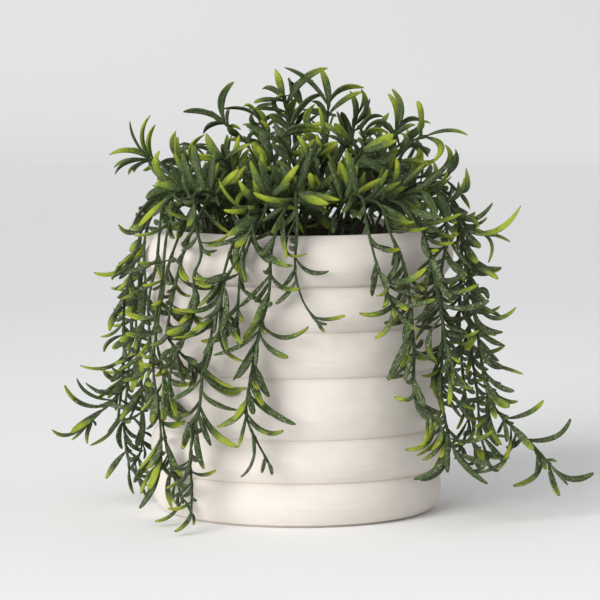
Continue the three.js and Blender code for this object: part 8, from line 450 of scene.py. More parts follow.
    [-27.98,-80,100.09,-32.91,-76.65,90.74,-45.23,-74.31,90.95,4,2.3,-0.53,-0.52,0.67,0.56],
    [-26.28,-80.04,124.18,-36.37,-82.47,118.58,-48.73,-80.2,121.89,4,2.3,-0.06,0.87,0.5,0.45],
    [-17.86,-80.87,146.2,-31.2,-84.13,137.07,-43.01,-81.23,136.61,4,1.97,-0.16,-0.88,0.46,0.45],
    [-19.35,-80.6,143.53,-32.21,-80.6,137.5,-27.53,-80.6,125.23,4,2.3,-0.71,0.63,0.32,0.45],
    [-23.33,-80.17,134.24,-27.19,-84.76,127.9,-24.67,-83.62,119.36,4,2.3,-0.77,-0.61,0.21,0.12],
    [-27.43,-80,110.53,-29.24,-83.15,104.09,-35.54,-82.14,103.4,4,1.97,-0.38,0.91,0.16,0.5],
    [-27.65,-80,107.21,-26.77,-83.94,103.35,-25.15,-84.27,101.02,3.07,1.97,0.52,-0.29,0.81,0.53],
    [-27.03,-80.01,117.17,-21.42,-77.31,112.27,-14.62,-79.08,109.26,4,2.17,-0.28,-0.9,-0.33,0.05],
    [-28.02,-80,99.15,-27.24,-81.71,94.36,-27.83,-80.7,90.22,4,1.97,-0.41,-0.91,0.06,0.47],
    [-21.77,-80.33,139.06,-13.18,-84.94,130.11,-3.5,-90.97,127.76,4.7,2.3,-0.02,0.06,-1,0.46],
    [-26.72,-80.02,120.73,-25.48,-75.43,117.82,-24.62,-78.34,114.81,2.41,1.38,0.8,-0.6,0.07,0.11],
    [-14.11,-81.37,156.19,-16.21,-76.26,150.01,-15.35,-73.87,143.56,3.38,1.79,0.47,0.43,0.77,0.47],
    [-12.09,-75.26,159.63,-8.57,-79.68,162.86,-3.13,-78.38,166.17,4.09,2.05,-0.49,0.3,0.82,0.43],
    [-20.65,-80.45,141.28,-18.71,-79.28,133.88,-13.19,-77.96,128.62,4.64,1.95,0.26,-0.96,-0.04,0.6],
    [-10.9,-68.16,157.63,-5.84,-74.4,166.15,1.29,-77.6,174.86,4.1,1.95,-0.53,0.53,0.66,0.82],
    [-27.85,-80,103.74,-30.2,-82.44,98.5,-33.34,-85.84,94.32,4.73,1.95,-0.7,0.71,-0.03,0.02],
    [-9.78,-59.41,151.97,-13.31,-63.93,161.29,-19.44,-59.87,169.39,4.67,1.95,-0.68,-0.62,-0.39,0.44],
    [-13.16,-79.5,158.88,-18.65,-83.36,167.14,-21.76,-81.94,177.21,3.91,1.95,-0.88,0.29,-0.37,0.55],
    [-11.32,-70.93,158.71,-14.5,-74.51,167.52,-17.72,-74,177.01,4.78,1.95,-0.77,-0.52,-0.36,0.22],
    [-10.31,-63.79,155.25,-15.23,-66.61,162.63,-21.47,-64.13,169.07,4.18,1.95,-0.57,-0.66,-0.48,0.14],
    [-16.08,-81.48,149.55,-21.57,-80.59,144.57,-28.46,-80.15,141.72,3.89,1.95,-0.11,0.94,0.33,0.04],
    [-9.27,-54.77,146.77,-6.95,-54.62,155.06,-4.05,-53.16,163.04,4.67,1.95,-0.95,-0.06,0.31,0.06]]],
  ["trailing_stem_13", [[-4,-46,135.71], [-3.98,-46.26,142.29], [-3.87,-47.98,145.87], [-3.65,-52.28,150.02], [-3.45,-57.48,152.99], [-3.34,-65.01,155.64], [-3.59,-72.91,156.74], [-4.34,-78.76,155.89], [-5.54,-81.57,153.49], [-9.26,-82,144.84], [-11.14,-82,137.6], [-12.21,-82,130.18], [-13.06,-82,113.33], [-17.26,-82,96.94], [-23.79,-82,59.76], [-23.59,-82,56], [-21.91,-82,50.59], [-13.25,-82,33.78]], [
    [-12.21,-82,122.99,-18.87,-85.37,115.25,-26.87,-82.05,108.04,3.68,2.18,-0.43,-0.79,0.43,0.07],
    [-12.33,-82,120.15,-15.62,-80.07,113.61,-19.5,-84.43,110.47,4,2.17,-0.32,-0.83,0.45,0.16],
    [-12.22,-82,124.88,-9.31,-84.1,114.58,1.96,-85.41,116.96,4,2.17,-0.36,-0.86,-0.36,0.5],
    [-16.47,-82,100.36,-7.33,-81.59,87.8,5.64,-83.96,98.85,4,2.3,-0.11,-0.87,-0.47,0.46],
    [-17.24,-82,97,-14.48,-81.58,86.4,-3.77,-84.2,84.21,4,2.3,0.37,-0.55,-0.75,0.44],
    [-17.08,-82,97.77,-25.07,-88.65,88.73,-39.24,-87.83,85.73,4,1.97,-0.05,-0.83,0.55,0.17],
    [-17.73,-82,94.09,-22.3,-81.66,84.69,-30.02,-79.94,72.8,4.15,2.3,-0.16,-0.71,0.69,0.15],
    [-18.02,-82,92.17,-18.22,-85.95,87.06,-19.11,-86.99,80.39,3.68,2.18,0.33,-0.91,0.27,0.11],
    [-19.64,-82,82.79,-18.03,-82.93,71.67,-12.71,-84.7,65.56,4.58,2.18,-0.74,0.48,-0.47,0.05],
    [-21.55,-82,71.48,-16.03,-81.77,57.17,-0.25,-82.41,52.18,4.15,2.3,-0.53,-0.62,-0.57,0.12],
    [-21.9,-82,69.48,-21.71,-83.92,63.56,-20.4,-92.09,58.44,4.15,2.3,-0.86,-0.43,0.27,0.1],
    [-23.18,-82,62.84,-25.86,-81.15,54.39,-37.55,-82.21,50.97,4.15,2.3,-0.51,0.61,0.6,0.49],
    [-23.81,-82,58.56,-15.78,-81.03,44,-6.13,-82.37,49.43,4,2.17,-0.21,-0.93,-0.31,0.54],
    [-23.73,-82,57.14,-25.01,-83.71,49.06,-27.7,-83.45,41.18,3.27,1.69,-0.33,0.83,0.46,0.43],
    [-13.71,-82,34.61,-12.41,-85.11,32.86,-11.58,-84.82,28.47,2.84,1.97,-0.47,-0.85,0.23,0.17],
    [-14.83,-82,36.68,-15.2,-80.57,31.64,-16.31,-83.56,29.24,3.14,1.97,-0.4,-0.88,0.26,0.08],
    [-6.34,-82,151.73,-7.39,-83.2,140.62,-4.43,-88.05,131.32,3.36,2.12,-0.77,0.64,0.06,0.49],
    [-5.91,-81.77,152.67,-8.34,-84.05,146.58,-11.75,-91.75,143.41,4,2.3,-0.42,-0.6,0.68,0.54],
    [-10.12,-82,141.99,-13.32,-85.05,135.07,-16.95,-92.2,133.25,4.6,2.05,-0.88,0.25,0.4,0.22],
    [-20.76,-82,76.1,-19.6,-86.83,72.19,-17.85,-92.48,69.97,4,2.05,-0.96,-0.27,0,0.58],
    [-12.28,-82,127.2,-13.61,-86.63,123.18,-15.25,-91.96,126.05,3.31,2.05,-0.95,0.29,-0.08,0.17],
    [-15.81,-82,102.61,-16.5,-85.79,96.03,-13.73,-92.76,97.4,3.55,2.05,-0.9,-0.32,0.3,0.37],
    [-14.58,-82,106.93,-19.43,-78.61,98.62,-25.01,-74.16,91.45,4.27,2.05,0.69,-0.16,-0.7,0.84],
    [-18.64,-82,88.41,-22.71,-86.78,81.14,-28.08,-92.88,75.53,4.16,1.95,-0.79,0.51,0.32,0.14],
    [-22.3,-82,67.23,-17.19,-79.6,59.7,-9.53,-76.46,55.21,4.65,2.05,0.11,-0.94,-0.31,0.1],
    [-3.47,-56.95,152.73,-5.45,-61.01,158.58,-8.29,-63.26,165.02,4.65,2.05,-0.84,-0.27,-0.47,0.49],
    [-3.75,-50.28,148.38,0.4,-56.32,147.02,3.41,-55.77,140.04,4.99,2.05,0.43,0.87,-0.24,0.79],
    [-13.38,-82,111.78,-13.52,-88.2,107.73,-11.95,-94.38,111.51,3.85,2.05,-0.99,-0.11,-0.08,0.12],
    [-20.11,-82,80.04,-18.58,-77.26,75.04,-16.11,-70.28,71.34,4.38,2.05,0.94,-0.06,0.33,0.9],
    [-19.25,-82,45.41,-19.23,-82,32.25,-26.5,-82,27.09,2.84,1.6,-0.27,0.96,0.11,0.18],
    [-23.34,-82,54.93,-18.76,-84.08,50.38,-13.07,-87.18,48.37,4.26,1.95,-0.27,-0.92,0.3,0.5],
    [-22.76,-82,64.77,-25.93,-84.71,59.31,-29.76,-88.64,55.17,4.36,1.95,-0.82,0.53,0.23,0.94],
    [-4.32,-78.68,155.91,-9.81,-81.84,152.07,-16.12,-82.93,148.36,3.52,1.95,0.41,0.36,-0.84,0.11],
    [-12.12,-82,131.19,-7.67,-81.89,127.15,-1.68,-81.74,127.58,3.74,1.95,0.12,-0.95,0.28,0.5],
    [-21.09,-82,74.12,-18.68,-84.24,67.59,-15.72,-86.79,61.41,4.75,1.95,-0.81,-0.57,-0.13,0.54],
    [-9.08,-82,145.33,-15.25,-79.68,141.28,-21.99,-76.81,138.77,3.61,1.95,0.42,0.9,-0.12,0.1],
    [-12.71,-82,115.72,-16.27,-85.87,107.85,-20.21,-90.42,100.55,3.56,1.95,-0.92,0.22,0.33,0.44],
    [-19.25,-82,84.96,-23.75,-82.91,79.77,-28.91,-84.03,75.28,3.7,1.95,0.02,0.97,-0.23,0.41],
    [-3.34,-63.96,155.35,-7.72,-67.19,165.09,-12.37,-69.21,175.02,4.41,1.95,-0.91,0.09,-0.4,0.18],
    [-3.43,-69.83,156.51,4.5,-73.52,157.79,13.25,-74.15,158.78,4.41,1.95,-0.09,0.18,0.98,0.18],
    [-21.08,-82,48.86,-20.35,-84.25,42.89,-20.11,-86.9,37.05,4.48,1.95,-0.07,0.92,-0.39,0.11],
    [-15.24,-82,104.52,-19.47,-82.88,99.18,-24.29,-84,94.42,3.45,1.95,-0.06,0.99,-0.14,0.42]]],
  ["trailing_stem_14", [[4,-50,134.91], [4,-50,139.51], [3.87,-50.77,143.42], [3.34,-53.76,148.58], [2.64,-57.91,152.86], [1.58,-64.36,157.49], [0.76,-69.72,160.07], [-0.03,-75.49,161.49], [-0.4,-79.33,160.74], [-0.39,-80.59,159.24], [-0.24,-81,157.3], [0.4,-81,148], [-0.66,-81,127.47], [0.08,-81,120.03], [3.67,-81,109.41], [10.12,-81,100.2]], [
    [-0.53,-81,131.89,4.37,-81,121.24,15.28,-81,124.79,4,1.97,-0.15,-0.93,-0.32,0.2],
    [7.33,-81,104.02,12.69,-81,100.31,22.84,-81,103.76,3.55,1.78,-0.01,-0.94,-0.34,0.52],
    [8.33,-81,102.64,10.76,-84.33,100.51,14.32,-85.39,100.18,2.76,1.6,-0.58,-0.81,0.04,0.13],
    [9.34,-81,101.27,10.85,-83.24,98.25,13.17,-82.55,96.1,2.6,1.78,-0.44,-0.9,-0.05,0.45],
    [0.38,-81,150.25,-12.22,-83.74,127.73,5.49,-84.76,133.43,3.55,1.78,-0.05,0.98,-0.21,0.57],
    [-0.04,-81,155.42,-0.11,-78.8,149.39,-12.01,-78.18,142.5,4,2.3,-0.3,0.84,0.46,0.45],
    [1.26,-66.41,158.59,-2.52,-71.63,166.44,-7.62,-68.36,174.61,4.47,2.05,-0.81,-0.34,-0.49,0.11],
    [-0.18,-81,137.47,-1.65,-86.54,133.73,-3.05,-89.64,137.46,3.24,1.95,-0.96,0.28,-0.07,0.12],
    [0.18,-81,141.95,-1.52,-89.07,136.43,-2.39,-96.59,142.85,3.79,2.05,-0.95,0.17,0.26,0.12],
    [0.37,-81,146.44,-1.1,-74.84,143.45,-1.58,-65.81,142.65,3.02,1.79,0.18,0.49,-0.85,0.25],
    [2.34,-59.73,154.34,7.95,-65,155.18,14.59,-64.19,151.27,4.21,2.05,0.38,0.54,0.75,0.22],
    [-0.62,-81,126.48,-2.67,-80.67,120.85,-7.18,-79.98,116.95,4.72,1.95,0.45,0.86,-0.22,0.02],
    [0.12,-74.33,161.32,9.99,-78.74,159.97,20.53,-80.83,158.19,3.89,1.95,0.2,0.17,0.96,0.51],
    [-0.32,-78.24,161.14,7.06,-81.49,158.27,15.4,-81.36,156.36,4.54,1.95,0.29,-0.03,0.96,0.8],
    [0.58,-70.97,160.5,3.4,-74.45,171.63,7.75,-71.5,182.42,3.96,1.95,-0.95,0.09,0.31,0.09],
    [0,-81,120.52,-3.44,-80.99,113.61,-9.86,-80.98,109.31,4.12,1.95,-0.33,0.9,0.29,0.08],
    [1.88,-62.55,156.36,-1.77,-64.76,163.3,-5.68,-66.04,170.33,4.92,1.95,-0.85,-0.18,-0.5,0.51],
    [-0.36,-80.67,158.87,-10.78,-84.8,155.83,-20.49,-85.05,162.19,4.57,1.95,-0.26,0.7,-0.66,0.9],
    [3.51,-52.82,147.27,8.83,-52.4,153.74,15.13,-50.44,158.9,4.6,1.95,-0.46,0.84,0.29,0.06],
    [3.19,-54.65,149.62,2.85,-55.98,157.41,2.85,-55.06,165.26,3.56,1.95,-0.99,0.12,-0.02,0.6]]],
  ["trailing_stem_15", [[16,-48,134.81], [16,-48,139.41], [16.36,-48.78,143.33], [17.76,-51.79,148.35], [19.68,-55.88,152.36], [22.63,-62.08,156.56], [25.94,-68.85,159.4], [28.66,-74.17,160.18], [30.55,-77.53,159.16], [31.29,-78.61,157.67], [31.73,-79,155.76], [32.76,-79,148.3], [37.75,-79,128.14], [44.58,-79,110.51], [48.8,-79,104.27]], [
    [34.35,-79,142.04,39.48,-82.13,132.13,49.05,-79.14,135.48,4,2.3,-0.03,0.93,-0.37,0.46],
    [38.65,-79,125.68,35.93,-77.95,118.56,35.46,-84.25,113.29,4,2.3,-0.63,-0.64,0.44,0.13],
    [39.05,-79,124.7,46.84,-84.93,115.9,37.34,-84.2,113.28,4,2.3,-0.69,0.69,-0.21,0.52],
    [40.74,-79,120.84,51.12,-79.12,115.64,61.48,-78.38,126.45,4,2.3,-0.29,-0.09,-0.95,0.51],
    [45.23,-79,109.11,46.07,-80.73,97.28,36.96,-82.4,93.25,4,2.3,-0.53,0.85,0.09,0.58],
    [47.97,-79,105.31,50.52,-80.81,99.63,57.56,-83.25,97.08,3.58,2.01,-0.53,-0.49,-0.7,0.44],
    [45.46,-79,108.67,45.91,-83.31,106.02,46.18,-87.84,103.44,3.24,1.72,-0.63,-0.52,0.58,0.8],
    [31.66,-78.94,156.05,30.99,-84.88,151.18,28.62,-92.18,151.89,3.72,2.05,-0.95,0.26,-0.14,0.25],
    [42.62,-79,116.13,43.36,-81.94,110.14,40.76,-87.92,108.56,4.58,2.05,-0.72,0.53,-0.45,0.53],
    [33.03,-79,147.15,33.33,-74.46,141.54,31.63,-67.46,142.02,4.05,2.05,0.9,0.27,0.36,0.11],
    [37.44,-79,129.15,37.56,-74.21,123.6,35.97,-69.42,118.55,4,1.95,0.91,0.42,0.07,0.22],
    [25.82,-68.61,159.33,26.66,-79.07,157.7,21.5,-85.43,152.21,3.7,1.95,0.24,0.18,-0.95,0.34],
    [35.29,-79,137.9,40.2,-73.66,134.73,45.21,-67.59,133.88,4.24,2.05,0.64,-0.31,0.7,0.07],
    [17.59,-51.42,147.85,18.22,-59.4,147.02,17.24,-64.95,141.29,3.87,2.05,0.96,0.11,-0.27,0.04],
    [43.66,-79,113.31,47.88,-81.38,109.47,52.46,-84.3,106.52,3.89,1.95,-0.69,-0.58,-0.44,0.55],
    [22.94,-62.71,156.88,26.58,-61.93,165.53,28.9,-57.33,173.41,4.22,1.95,-0.93,0.3,0.24,0.42],
    [24.14,-65.2,158.07,33.14,-62.77,162.93,41.74,-58.63,167.32,3.46,1.95,-0.41,-0.17,0.9,0.89],
    [46.62,-79,107.01,56.3,-81.57,108.37,65.36,-84.38,111.87,3.56,1.95,-0.02,-0.72,-0.7,0.4],
    [28.28,-73.45,160.16,26.6,-75.84,170.91,23.2,-74.9,181.49,4.75,1.95,-0.92,-0.32,-0.24,0.42],
    [21.59,-59.9,155.27,20.02,-62.94,165.89,14.9,-60.38,175.46,3.68,1.95,-0.88,-0.37,-0.3,0.2],
    [20.49,-57.6,153.7,18.02,-60.51,160.58,14.02,-61.84,167.24,3.68,1.95,-0.47,-0.75,-0.46,0.17],
    [41.33,-79,119.39,49.23,-79.07,113.74,58.92,-79.18,113.17,4.11,1.95,-0.12,-0.95,-0.3,0.21]]],
  ["trailing_stem_16", [[38,-36,134.43], [38.13,-36.18,141.03], [39,-37.38,144.76], [42.14,-41.53,150.85], [46.24,-46.65,155.52], [51.01,-52.15,158.94], [56.53,-57.65,160.87], [61.32,-61.13,160.31], [64.38,-62.02,157.98], [68.93,-61.75,151.8], [70.4,-61.61,148.24], [71.54,-61.41,142.59], [71.53,-61.22,136.83], [68.66,-60.62,119.75], [69.95,-59.9,98.52], [69.33,-58.92,69.39], [70.08,-58.52,57.72], [73.14,-58,42.38]], [
    [69.35,-59.12,75.36,66.74,-62.79,66.17,70.52,-61.92,54.5,4.42,2.3,-0.87,-0.49,0.02,0.47],
    [69.42,-59.31,81.16,63.11,-55.82,73.04,67.68,-60.35,62.01,4,2.3,-0.76,0.65,0.03,0.51],
    [73.14,-58,42.38,85.54,-59.95,38.3,94.17,-59.17,46.41,4,2.17,0.02,-0.93,-0.36,0.56],
    [70.44,-61.61,148.1,74.18,-66.83,140.89,76.27,-76.18,142.04,3.59,2.05,-0.92,-0.39,0.07,0.41],
    [59.81,-60.23,160.78,64.29,-67.14,156.07,65.89,-73.38,150.06,5.09,2.05,-0.3,0.1,-0.95,0.15],
    [72,-58.18,47.76,75.89,-55.7,42.84,80.12,-52.87,38.4,5.26,2.05,0.48,-0.87,-0.07,0.52],
    [69.32,-58.97,71.05,71.45,-51.09,66.6,73.41,-44.04,72.33,4.26,2.05,0.67,-0.12,-0.74,0.25],
    [40.16,-38.93,147.52,39.92,-45.37,150.29,39.03,-51.56,150.61,3.19,2.05,0.16,-0.91,-0.37,0.12],
    [68.89,-60.34,111.49,72.16,-56.35,107.25,74.68,-52.47,108.15,4.27,1.95,0.86,-0.35,-0.36,0.77],
    [70.36,-61.01,130.84,74.81,-62.07,124.63,81.25,-63.74,120.65,4.84,2.05,-0.98,-0.18,-0.03,0.18],
    [69.46,-58.79,65.55,71.27,-54.7,60.92,73.69,-48.4,61.34,3.91,2.05,0.73,-0.6,-0.33,0.2],
    [69.55,-60.17,106.54,72.57,-54.65,98.54,76.26,-47.01,92.9,4.95,2.05,0.88,-0.48,-0.03,0.22],
    [71.16,-58.32,51.67,70.43,-49.84,46.88,68,-40.62,49.02,4.21,2.05,0.97,0.15,-0.17,0.25],
    [69.67,-58.67,62.06,71.18,-52.71,56.25,73.27,-44.4,59.13,3.19,1.95,0.47,-0.87,-0.14,0.25],
    [71.66,-61.31,139.72,69.57,-58.03,136.13,69.71,-51.2,138.6,3.02,1.89,0.91,0.06,-0.42,0.25],
    [68.6,-60.51,116.48,65.39,-57.26,107.85,60.43,-50,100.67,4.04,2.05,0.15,0.33,-0.93,0.41],
    [70.17,-58.5,57.08,67.82,-52.96,50.76,64.18,-45.95,47.03,4.8,2.05,0.8,0.56,0.23,0.92],
    [69.47,-59.4,83.55,72.91,-54.35,77,78.12,-47.55,79.61,5.02,2.05,0.8,-0.6,-0.03,0.52],
    [66.06,-61.93,155.89,66.74,-64.64,149.71,61,-66.95,145.61,3.62,1.95,-0.77,0.63,0.07,0.11],
    [42.07,-41.43,150.74,42.48,-48.32,155.85,37.64,-55.03,158.12,3.64,2.05,0.07,-0.49,-0.87,0.14],
    [69.89,-59.72,93.05,75.08,-53.58,88.63,81.16,-46.94,90.41,4.71,2.05,0.75,-0.66,0,0.07],
    [68.67,-61.77,152.23,73.35,-67.62,146.83,75.58,-76.58,147.23,3.41,2.05,-0.81,-0.2,-0.55,0.42],
    [71.69,-58.23,49.23,68.17,-57.29,41.92,63.11,-56.2,35.59,3.88,1.95,0.39,0.91,-0.11,0.06],
    [72.83,-58.05,43.85,70.3,-59.66,33.89,63.91,-62.77,26.31,4.47,1.95,-0.25,0.96,-0.13,0.51],
    [68.64,-60.6,118.98,63.04,-55.37,115.53,56.9,-49.64,115.23,3.61,1.95,0.43,0.67,0.61,0.13],
    [46.96,-47.51,156.13,49.71,-50.89,150.05,51.86,-53.58,143.41,4.91,1.95,0.55,0.81,-0.17,0.43],
    [62.69,-61.7,159.51,59.23,-61.02,150.92,54.39,-59.9,143.07,3.74,1.95,-0.12,0.98,0.17,0.12],
    [69.76,-59.63,90.55,68.31,-62.23,83.58,66.16,-66.9,78,3.57,1.95,-0.88,0.47,-0.02,0.06],
    [71.33,-61.47,144.21,66.98,-59.03,137.55,59.37,-56.05,139.13,3.9,1.95,0.3,0.92,0.26,0.06],
    [68.91,-60.73,122.97,70.36,-58.59,116.78,72.62,-55.8,111.11,3.97,1.95,0.8,-0.59,0,0.17],
    [69.3,-60.24,108.52,66.59,-60.28,102.63,61.25,-60.55,98.94,4.2,1.95,0.23,0.95,-0.22,0.03],
    [69.51,-59.45,85.05,63.89,-64.2,80.83,57.65,-69.83,82.03,4.09,1.95,-0.67,0.72,0.16,0.56],
    [68.7,-60.41,113.48,62.38,-59.72,108.12,54.46,-59.21,110.61,4.85,1.95,0.11,0.98,-0.14,0.9],
    [69.38,-59.23,78.55,67.34,-54.69,71.11,64.58,-48.57,65.18,3.66,1.95,0.86,0.51,0.1,0.49],
    [69.56,-59.5,86.55,60.85,-60.61,82.9,51.43,-61.98,83.1,3.49,1.95,-0.05,0.92,-0.4,0.04],
    [54.5,-55.76,160.41,61.05,-55.84,151.68,64.28,-52.58,141.77,4.01,1.95,0.71,0.53,0.46,0.84],
    [69.36,-59.18,77.05,65.65,-60.35,72.34,59.99,-62.44,73.24,4.07,1.95,-0.36,0.93,0.09,0.87],
    [69.37,-60.84,125.94,65.08,-63.05,120.63,59.59,-66.56,117.63,4.63,1.95,-0.69,0.14,0.71,0.44],
    [69.93,-58.57,59.07,78.04,-53.59,55.3,85.63,-48.67,60.09,3.55,1.95,0.52,-0.84,0.14,0.06],
    [43.51,-43.27,152.62,51.17,-44.22,149.01,56.73,-42.48,142.79,3.67,1.95,0.18,0.93,0.31,0.83],
    [69.34,-58.91,69.05,73.26,-60.97,60.02,79.28,-64.44,52.74,4.09,1.95,-0.39,-0.92,0.07,0.03],
    [71.19,-61.14,134.75,65.04,-62.77,132.57,59.32,-64.74,135.5,4.61,1.95,-0.28,0.95,0.09,0.14],
    [69.86,-60,101.55,73.07,-57.14,96.91,77.55,-53.13,94.98,3.77,1.95,0.61,-0.78,-0.1,0.14],
    [69.97,-60.94,128.88,63.91,-61.09,124.12,56.95,-61.36,120.82,4.56,1.95,-0.41,0.66,0.63,0.78],
    [72.41,-58.12,45.8,65.62,-61.57,39.29,57.46,-65.5,35.02,3.48,1.95,-0.42,0.91,-0.04,0.53],
    [69.95,-59.89,98.05,63.95,-54.85,93.97,57.23,-49.5,96.06,4.4,1.95,0.64,0.73,-0.25,0.11],
    [71.06,-61.52,145.68,65.73,-63.12,140.43,58.87,-65.08,137.65,4.38,1.95,-0.45,0.84,0.31,0.55],
    [70.66,-58.4,54.12,66.74,-57.37,48.38,61.22,-56.18,44.21,3.89,1.95,-0.01,0.97,0.23,0.77],
    [69.77,-60.07,103.54,64.55,-56.57,97.13,57.06,-52.33,99.69,3.98,1.95,0.47,0.86,0.19,0.49],
    [69.95,-59.78,95.05,75.16,-57.73,86.91,84.51,-54.66,87.82,3.61,1.95,0.37,-0.92,0.1,0.55],
    [69.39,-58.84,67.05,76.12,-58.31,59.31,85.91,-57.81,56.28,4.18,1.95,0.3,-0.88,0.37,0.51],
    [49.01,-49.9,157.68,53.85,-53.63,152.89,56.64,-54.8,145.74,3.93,1.95,0.74,0.64,0.21,0.4],
    [45.05,-45.19,154.35,51.79,-48.6,149.04,55.29,-48.06,140.52,4.15,1.95,0.62,0.72,0.31,0.06],
    [57.44,-58.42,160.93,65.96,-58.17,167.56,73.87,-56.69,174.77,3.55,1.95,-0.57,-0.38,0.73,0.11],
    [52.13,-53.35,159.51,60.19,-55.7,158.14,67.09,-53.67,153.59,3.96,1.95,0.14,0.94,0.3,0.12],
    [70.88,-61.09,133.29,75.11,-58.95,125.17,80.43,-56.55,117.8,4.69,1.95,0.32,-0.94,-0.08,0.9],
    [69.33,-59.02,72.55,73.33,-56.11,68.13,78.75,-52.37,67.35,3.6,1.95,0.65,-0.72,0.26,0.76],
    [71.43,-61.19,136.23,64.78,-61.06,129.49,57.46,-60.95,123.47,4.12,1.95,0.06,1,-0.05,0.18],
    [71.62,-61.37,141.22,76.09,-59.8,131.38,83.71,-57.33,123.96,4.93,1.95,0.01,-0.98,-0.22,0.21],
    [69.63,-59.55,88.05,61.37,-57.14,82.55,51.99,-54.47,79.56,4.79,1.95,0.1,0.93,0.35,0.95]]],
  ["trailing_stem_17", [[27,-38,135.63], [27.08,-38.22,142.21], [27.62,-39.74,145.83], [29.76,-45.15,151.2], [32.73,-51.66,154.71], [36.46,-58.35,156.89], [41.31,-64.6,157.68], [46.22,-67.73,156.73], [51.36,-67.92,154.09], [58.64,-67.68,145.2], [61.39,-67.52,138.05], [69.59,-66.68,98.34], [73.63,-66,65.61]], [
    [60.16,-67.61,142.09,65.49,-69.05,134.64,75.11,-68.04,137.71,4,2.17,-0.13,0.84,-0.52,0.56],
    [60.3,-67.6,141.77,59.39,-70.72,135.13,63.12,-72.41,130.45,4.42,2.3,-0.83,0.55,-0.09,0.12],
    [62.64,-67.4,132.63,64.31,-70.1,133.45,67.53,-71.35,133.94,2.48,2.3,0.5,-0.19,-0.85,0.81],
    [63.37,-67.33,128.86,61.77,-67.14,120.04,60.57,-70.98,112.85,3.36,2.01,0.6,-0.8,-0.09,0.17],
    [64.32,-67.23,124.46,69.66,-69.93,114.85,79.94,-67.8,122.7,4,2.3,-0.1,-0.78,-0.61,0.13],
    [65.39,-67.12,119.25,71.65,-67.33,108.87,86.63,-67.38,117.43,4,2.3,-0.05,0.77,-0.64,0.47],
    [66.16,-67.03,114.99,60.19,-60.76,110.98,55.91,-54.46,113.97,3.24,2,0.96,-0.29,0,0.52],
    [67.35,-66.91,109.3,63.82,-62.55,102.61,59.37,-65.15,96.71,2.75,1.77,-0.54,-0.76,0.36,0.15],
    [68.72,-66.78,103.06,58.29,-60.39,94.45,57.11,-59.59,89.8,2.75,1.77,-0.55,-0.82,0.16,0.46],
    [67.57,-66.89,108.29,78.81,-65.27,102.29,91.47,-66.68,109.63,4.42,2.3,0.3,0.56,-0.78,0.13],
    [69.1,-66.74,101.13,57.33,-70.18,90.31,66.96,-69.04,79.29,3.68,2.17,0.42,0.03,0.91,0.52],
    [71.26,-66.44,86.77,74.99,-71.63,78.07,74.45,-66.15,68.56,2.75,1.77,-0.31,0.25,-0.92,0.55],
    [73.57,-66.02,66.56,77.98,-66.02,58.88,82.27,-66.02,53.11,4,2.17,-0.39,-0.89,-0.25,0.14],
    [68.14,-66.84,105.71,71.57,-63.32,99.62,75.41,-56.61,100.79,4.9,2.05,0.74,-0.63,-0.23,0.2],
    [37.01,-59.18,157.06,44.85,-60.14,159.98,51.97,-56.66,162.79,4.76,2.05,-0.28,-0.35,0.89,0.42],
    [73.08,-66.15,73.09,75.89,-60.32,69.15,78.39,-53.72,71.89,3.47,2.05,0.92,-0.38,0.12,0.25],
    [69.83,-66.65,96.87,72.49,-62.93,91.99,74.93,-57.49,94.93,4.54,2.05,0.86,-0.3,-0.41,0.21],
    [52.26,-67.89,153.23,60.64,-70.99,149.71,68.44,-77.6,149.95,4.05,2.05,-0.56,0.32,-0.76,0.09],
    [73.41,-66.07,69.1,77.06,-58.24,64.77,80.73,-48.9,63.27,4.37,2.05,1,-0.07,0.03,0.11],
    [70.57,-66.55,91.92,73.12,-61.15,88,75.76,-55.06,85.34,5.09,2.05,0.79,-0.53,-0.3,0.08],
    [58.49,-67.69,145.43,62.16,-73.05,143.3,64.91,-79.31,143.31,3.32,2.05,-0.77,-0.33,-0.54,0.13],
    [72.53,-66.25,77.55,75.71,-60.59,74.63,78.71,-54.25,75.83,4.22,2.05,0.83,-0.37,0.43,0.21],
    [71.85,-66.35,82.51,71.11,-73.03,75.53,68.57,-82.11,77.76,4.63,2.05,-0.88,0.3,-0.38,0.24],
    [39.97,-63.16,157.65,41.91,-69.84,159.42,39.35,-75.79,162.51,4.39,2.05,-0.13,-0.35,-0.93,0.13],
    [29.75,-45.12,151.18,26.84,-46.05,158.55,22.99,-45.77,165.54,5.32,2.05,0.17,-0.83,-0.53,0.78],
    [65.71,-67.08,117.46,61.99,-66.14,111.2,55.5,-64.88,108,4.25,1.95,0.01,0.98,0.21,0.49],
    [70.06,-66.62,95.39,78.56,-64.83,89.71,87.16,-62.88,95.15,4.33,1.95,0.21,-0.93,0.3,0.5],
    [66.96,-66.95,111.08,61.94,-71.56,104.58,55.11,-77.08,101.19,4.09,1.95,-0.49,0.83,-0.26,0.12],
    [73.22,-66.12,71.59,73.31,-68.88,64.44,72.43,-75.43,60.56,3.56,1.95,-0.82,0.47,-0.34,0.91],
    [70.9,-66.49,89.45,73.46,-68.72,82.62,77.88,-74.65,80.74,4.02,1.95,-0.77,-0.63,-0.03,0.45],
    [72.85,-66.2,75.07,77.37,-69.55,67.65,83.91,-76.08,68.84,3.89,1.95,-0.71,-0.67,-0.19,0.46],
    [48.57,-67.99,155.74,53.77,-70.17,150.56,56.86,-73.71,144.51,4.24,1.95,-0.21,0.8,-0.56,0.05],
    [71.51,-66.4,84.99,74.74,-65.02,79.12,80.8,-61.86,79.04,4.37,1.95,0.19,-0.9,-0.39,0.19],
    [66.65,-66.98,112.55,63.42,-67.08,104.25,56.57,-67.41,98.57,3.73,1.95,-0.16,0.98,0.09,0.21],
    [72.19,-66.3,80.03,76.13,-65.79,74.19,80.76,-65.19,68.89,3.67,1.95,-0.11,-0.98,-0.18,0.53],
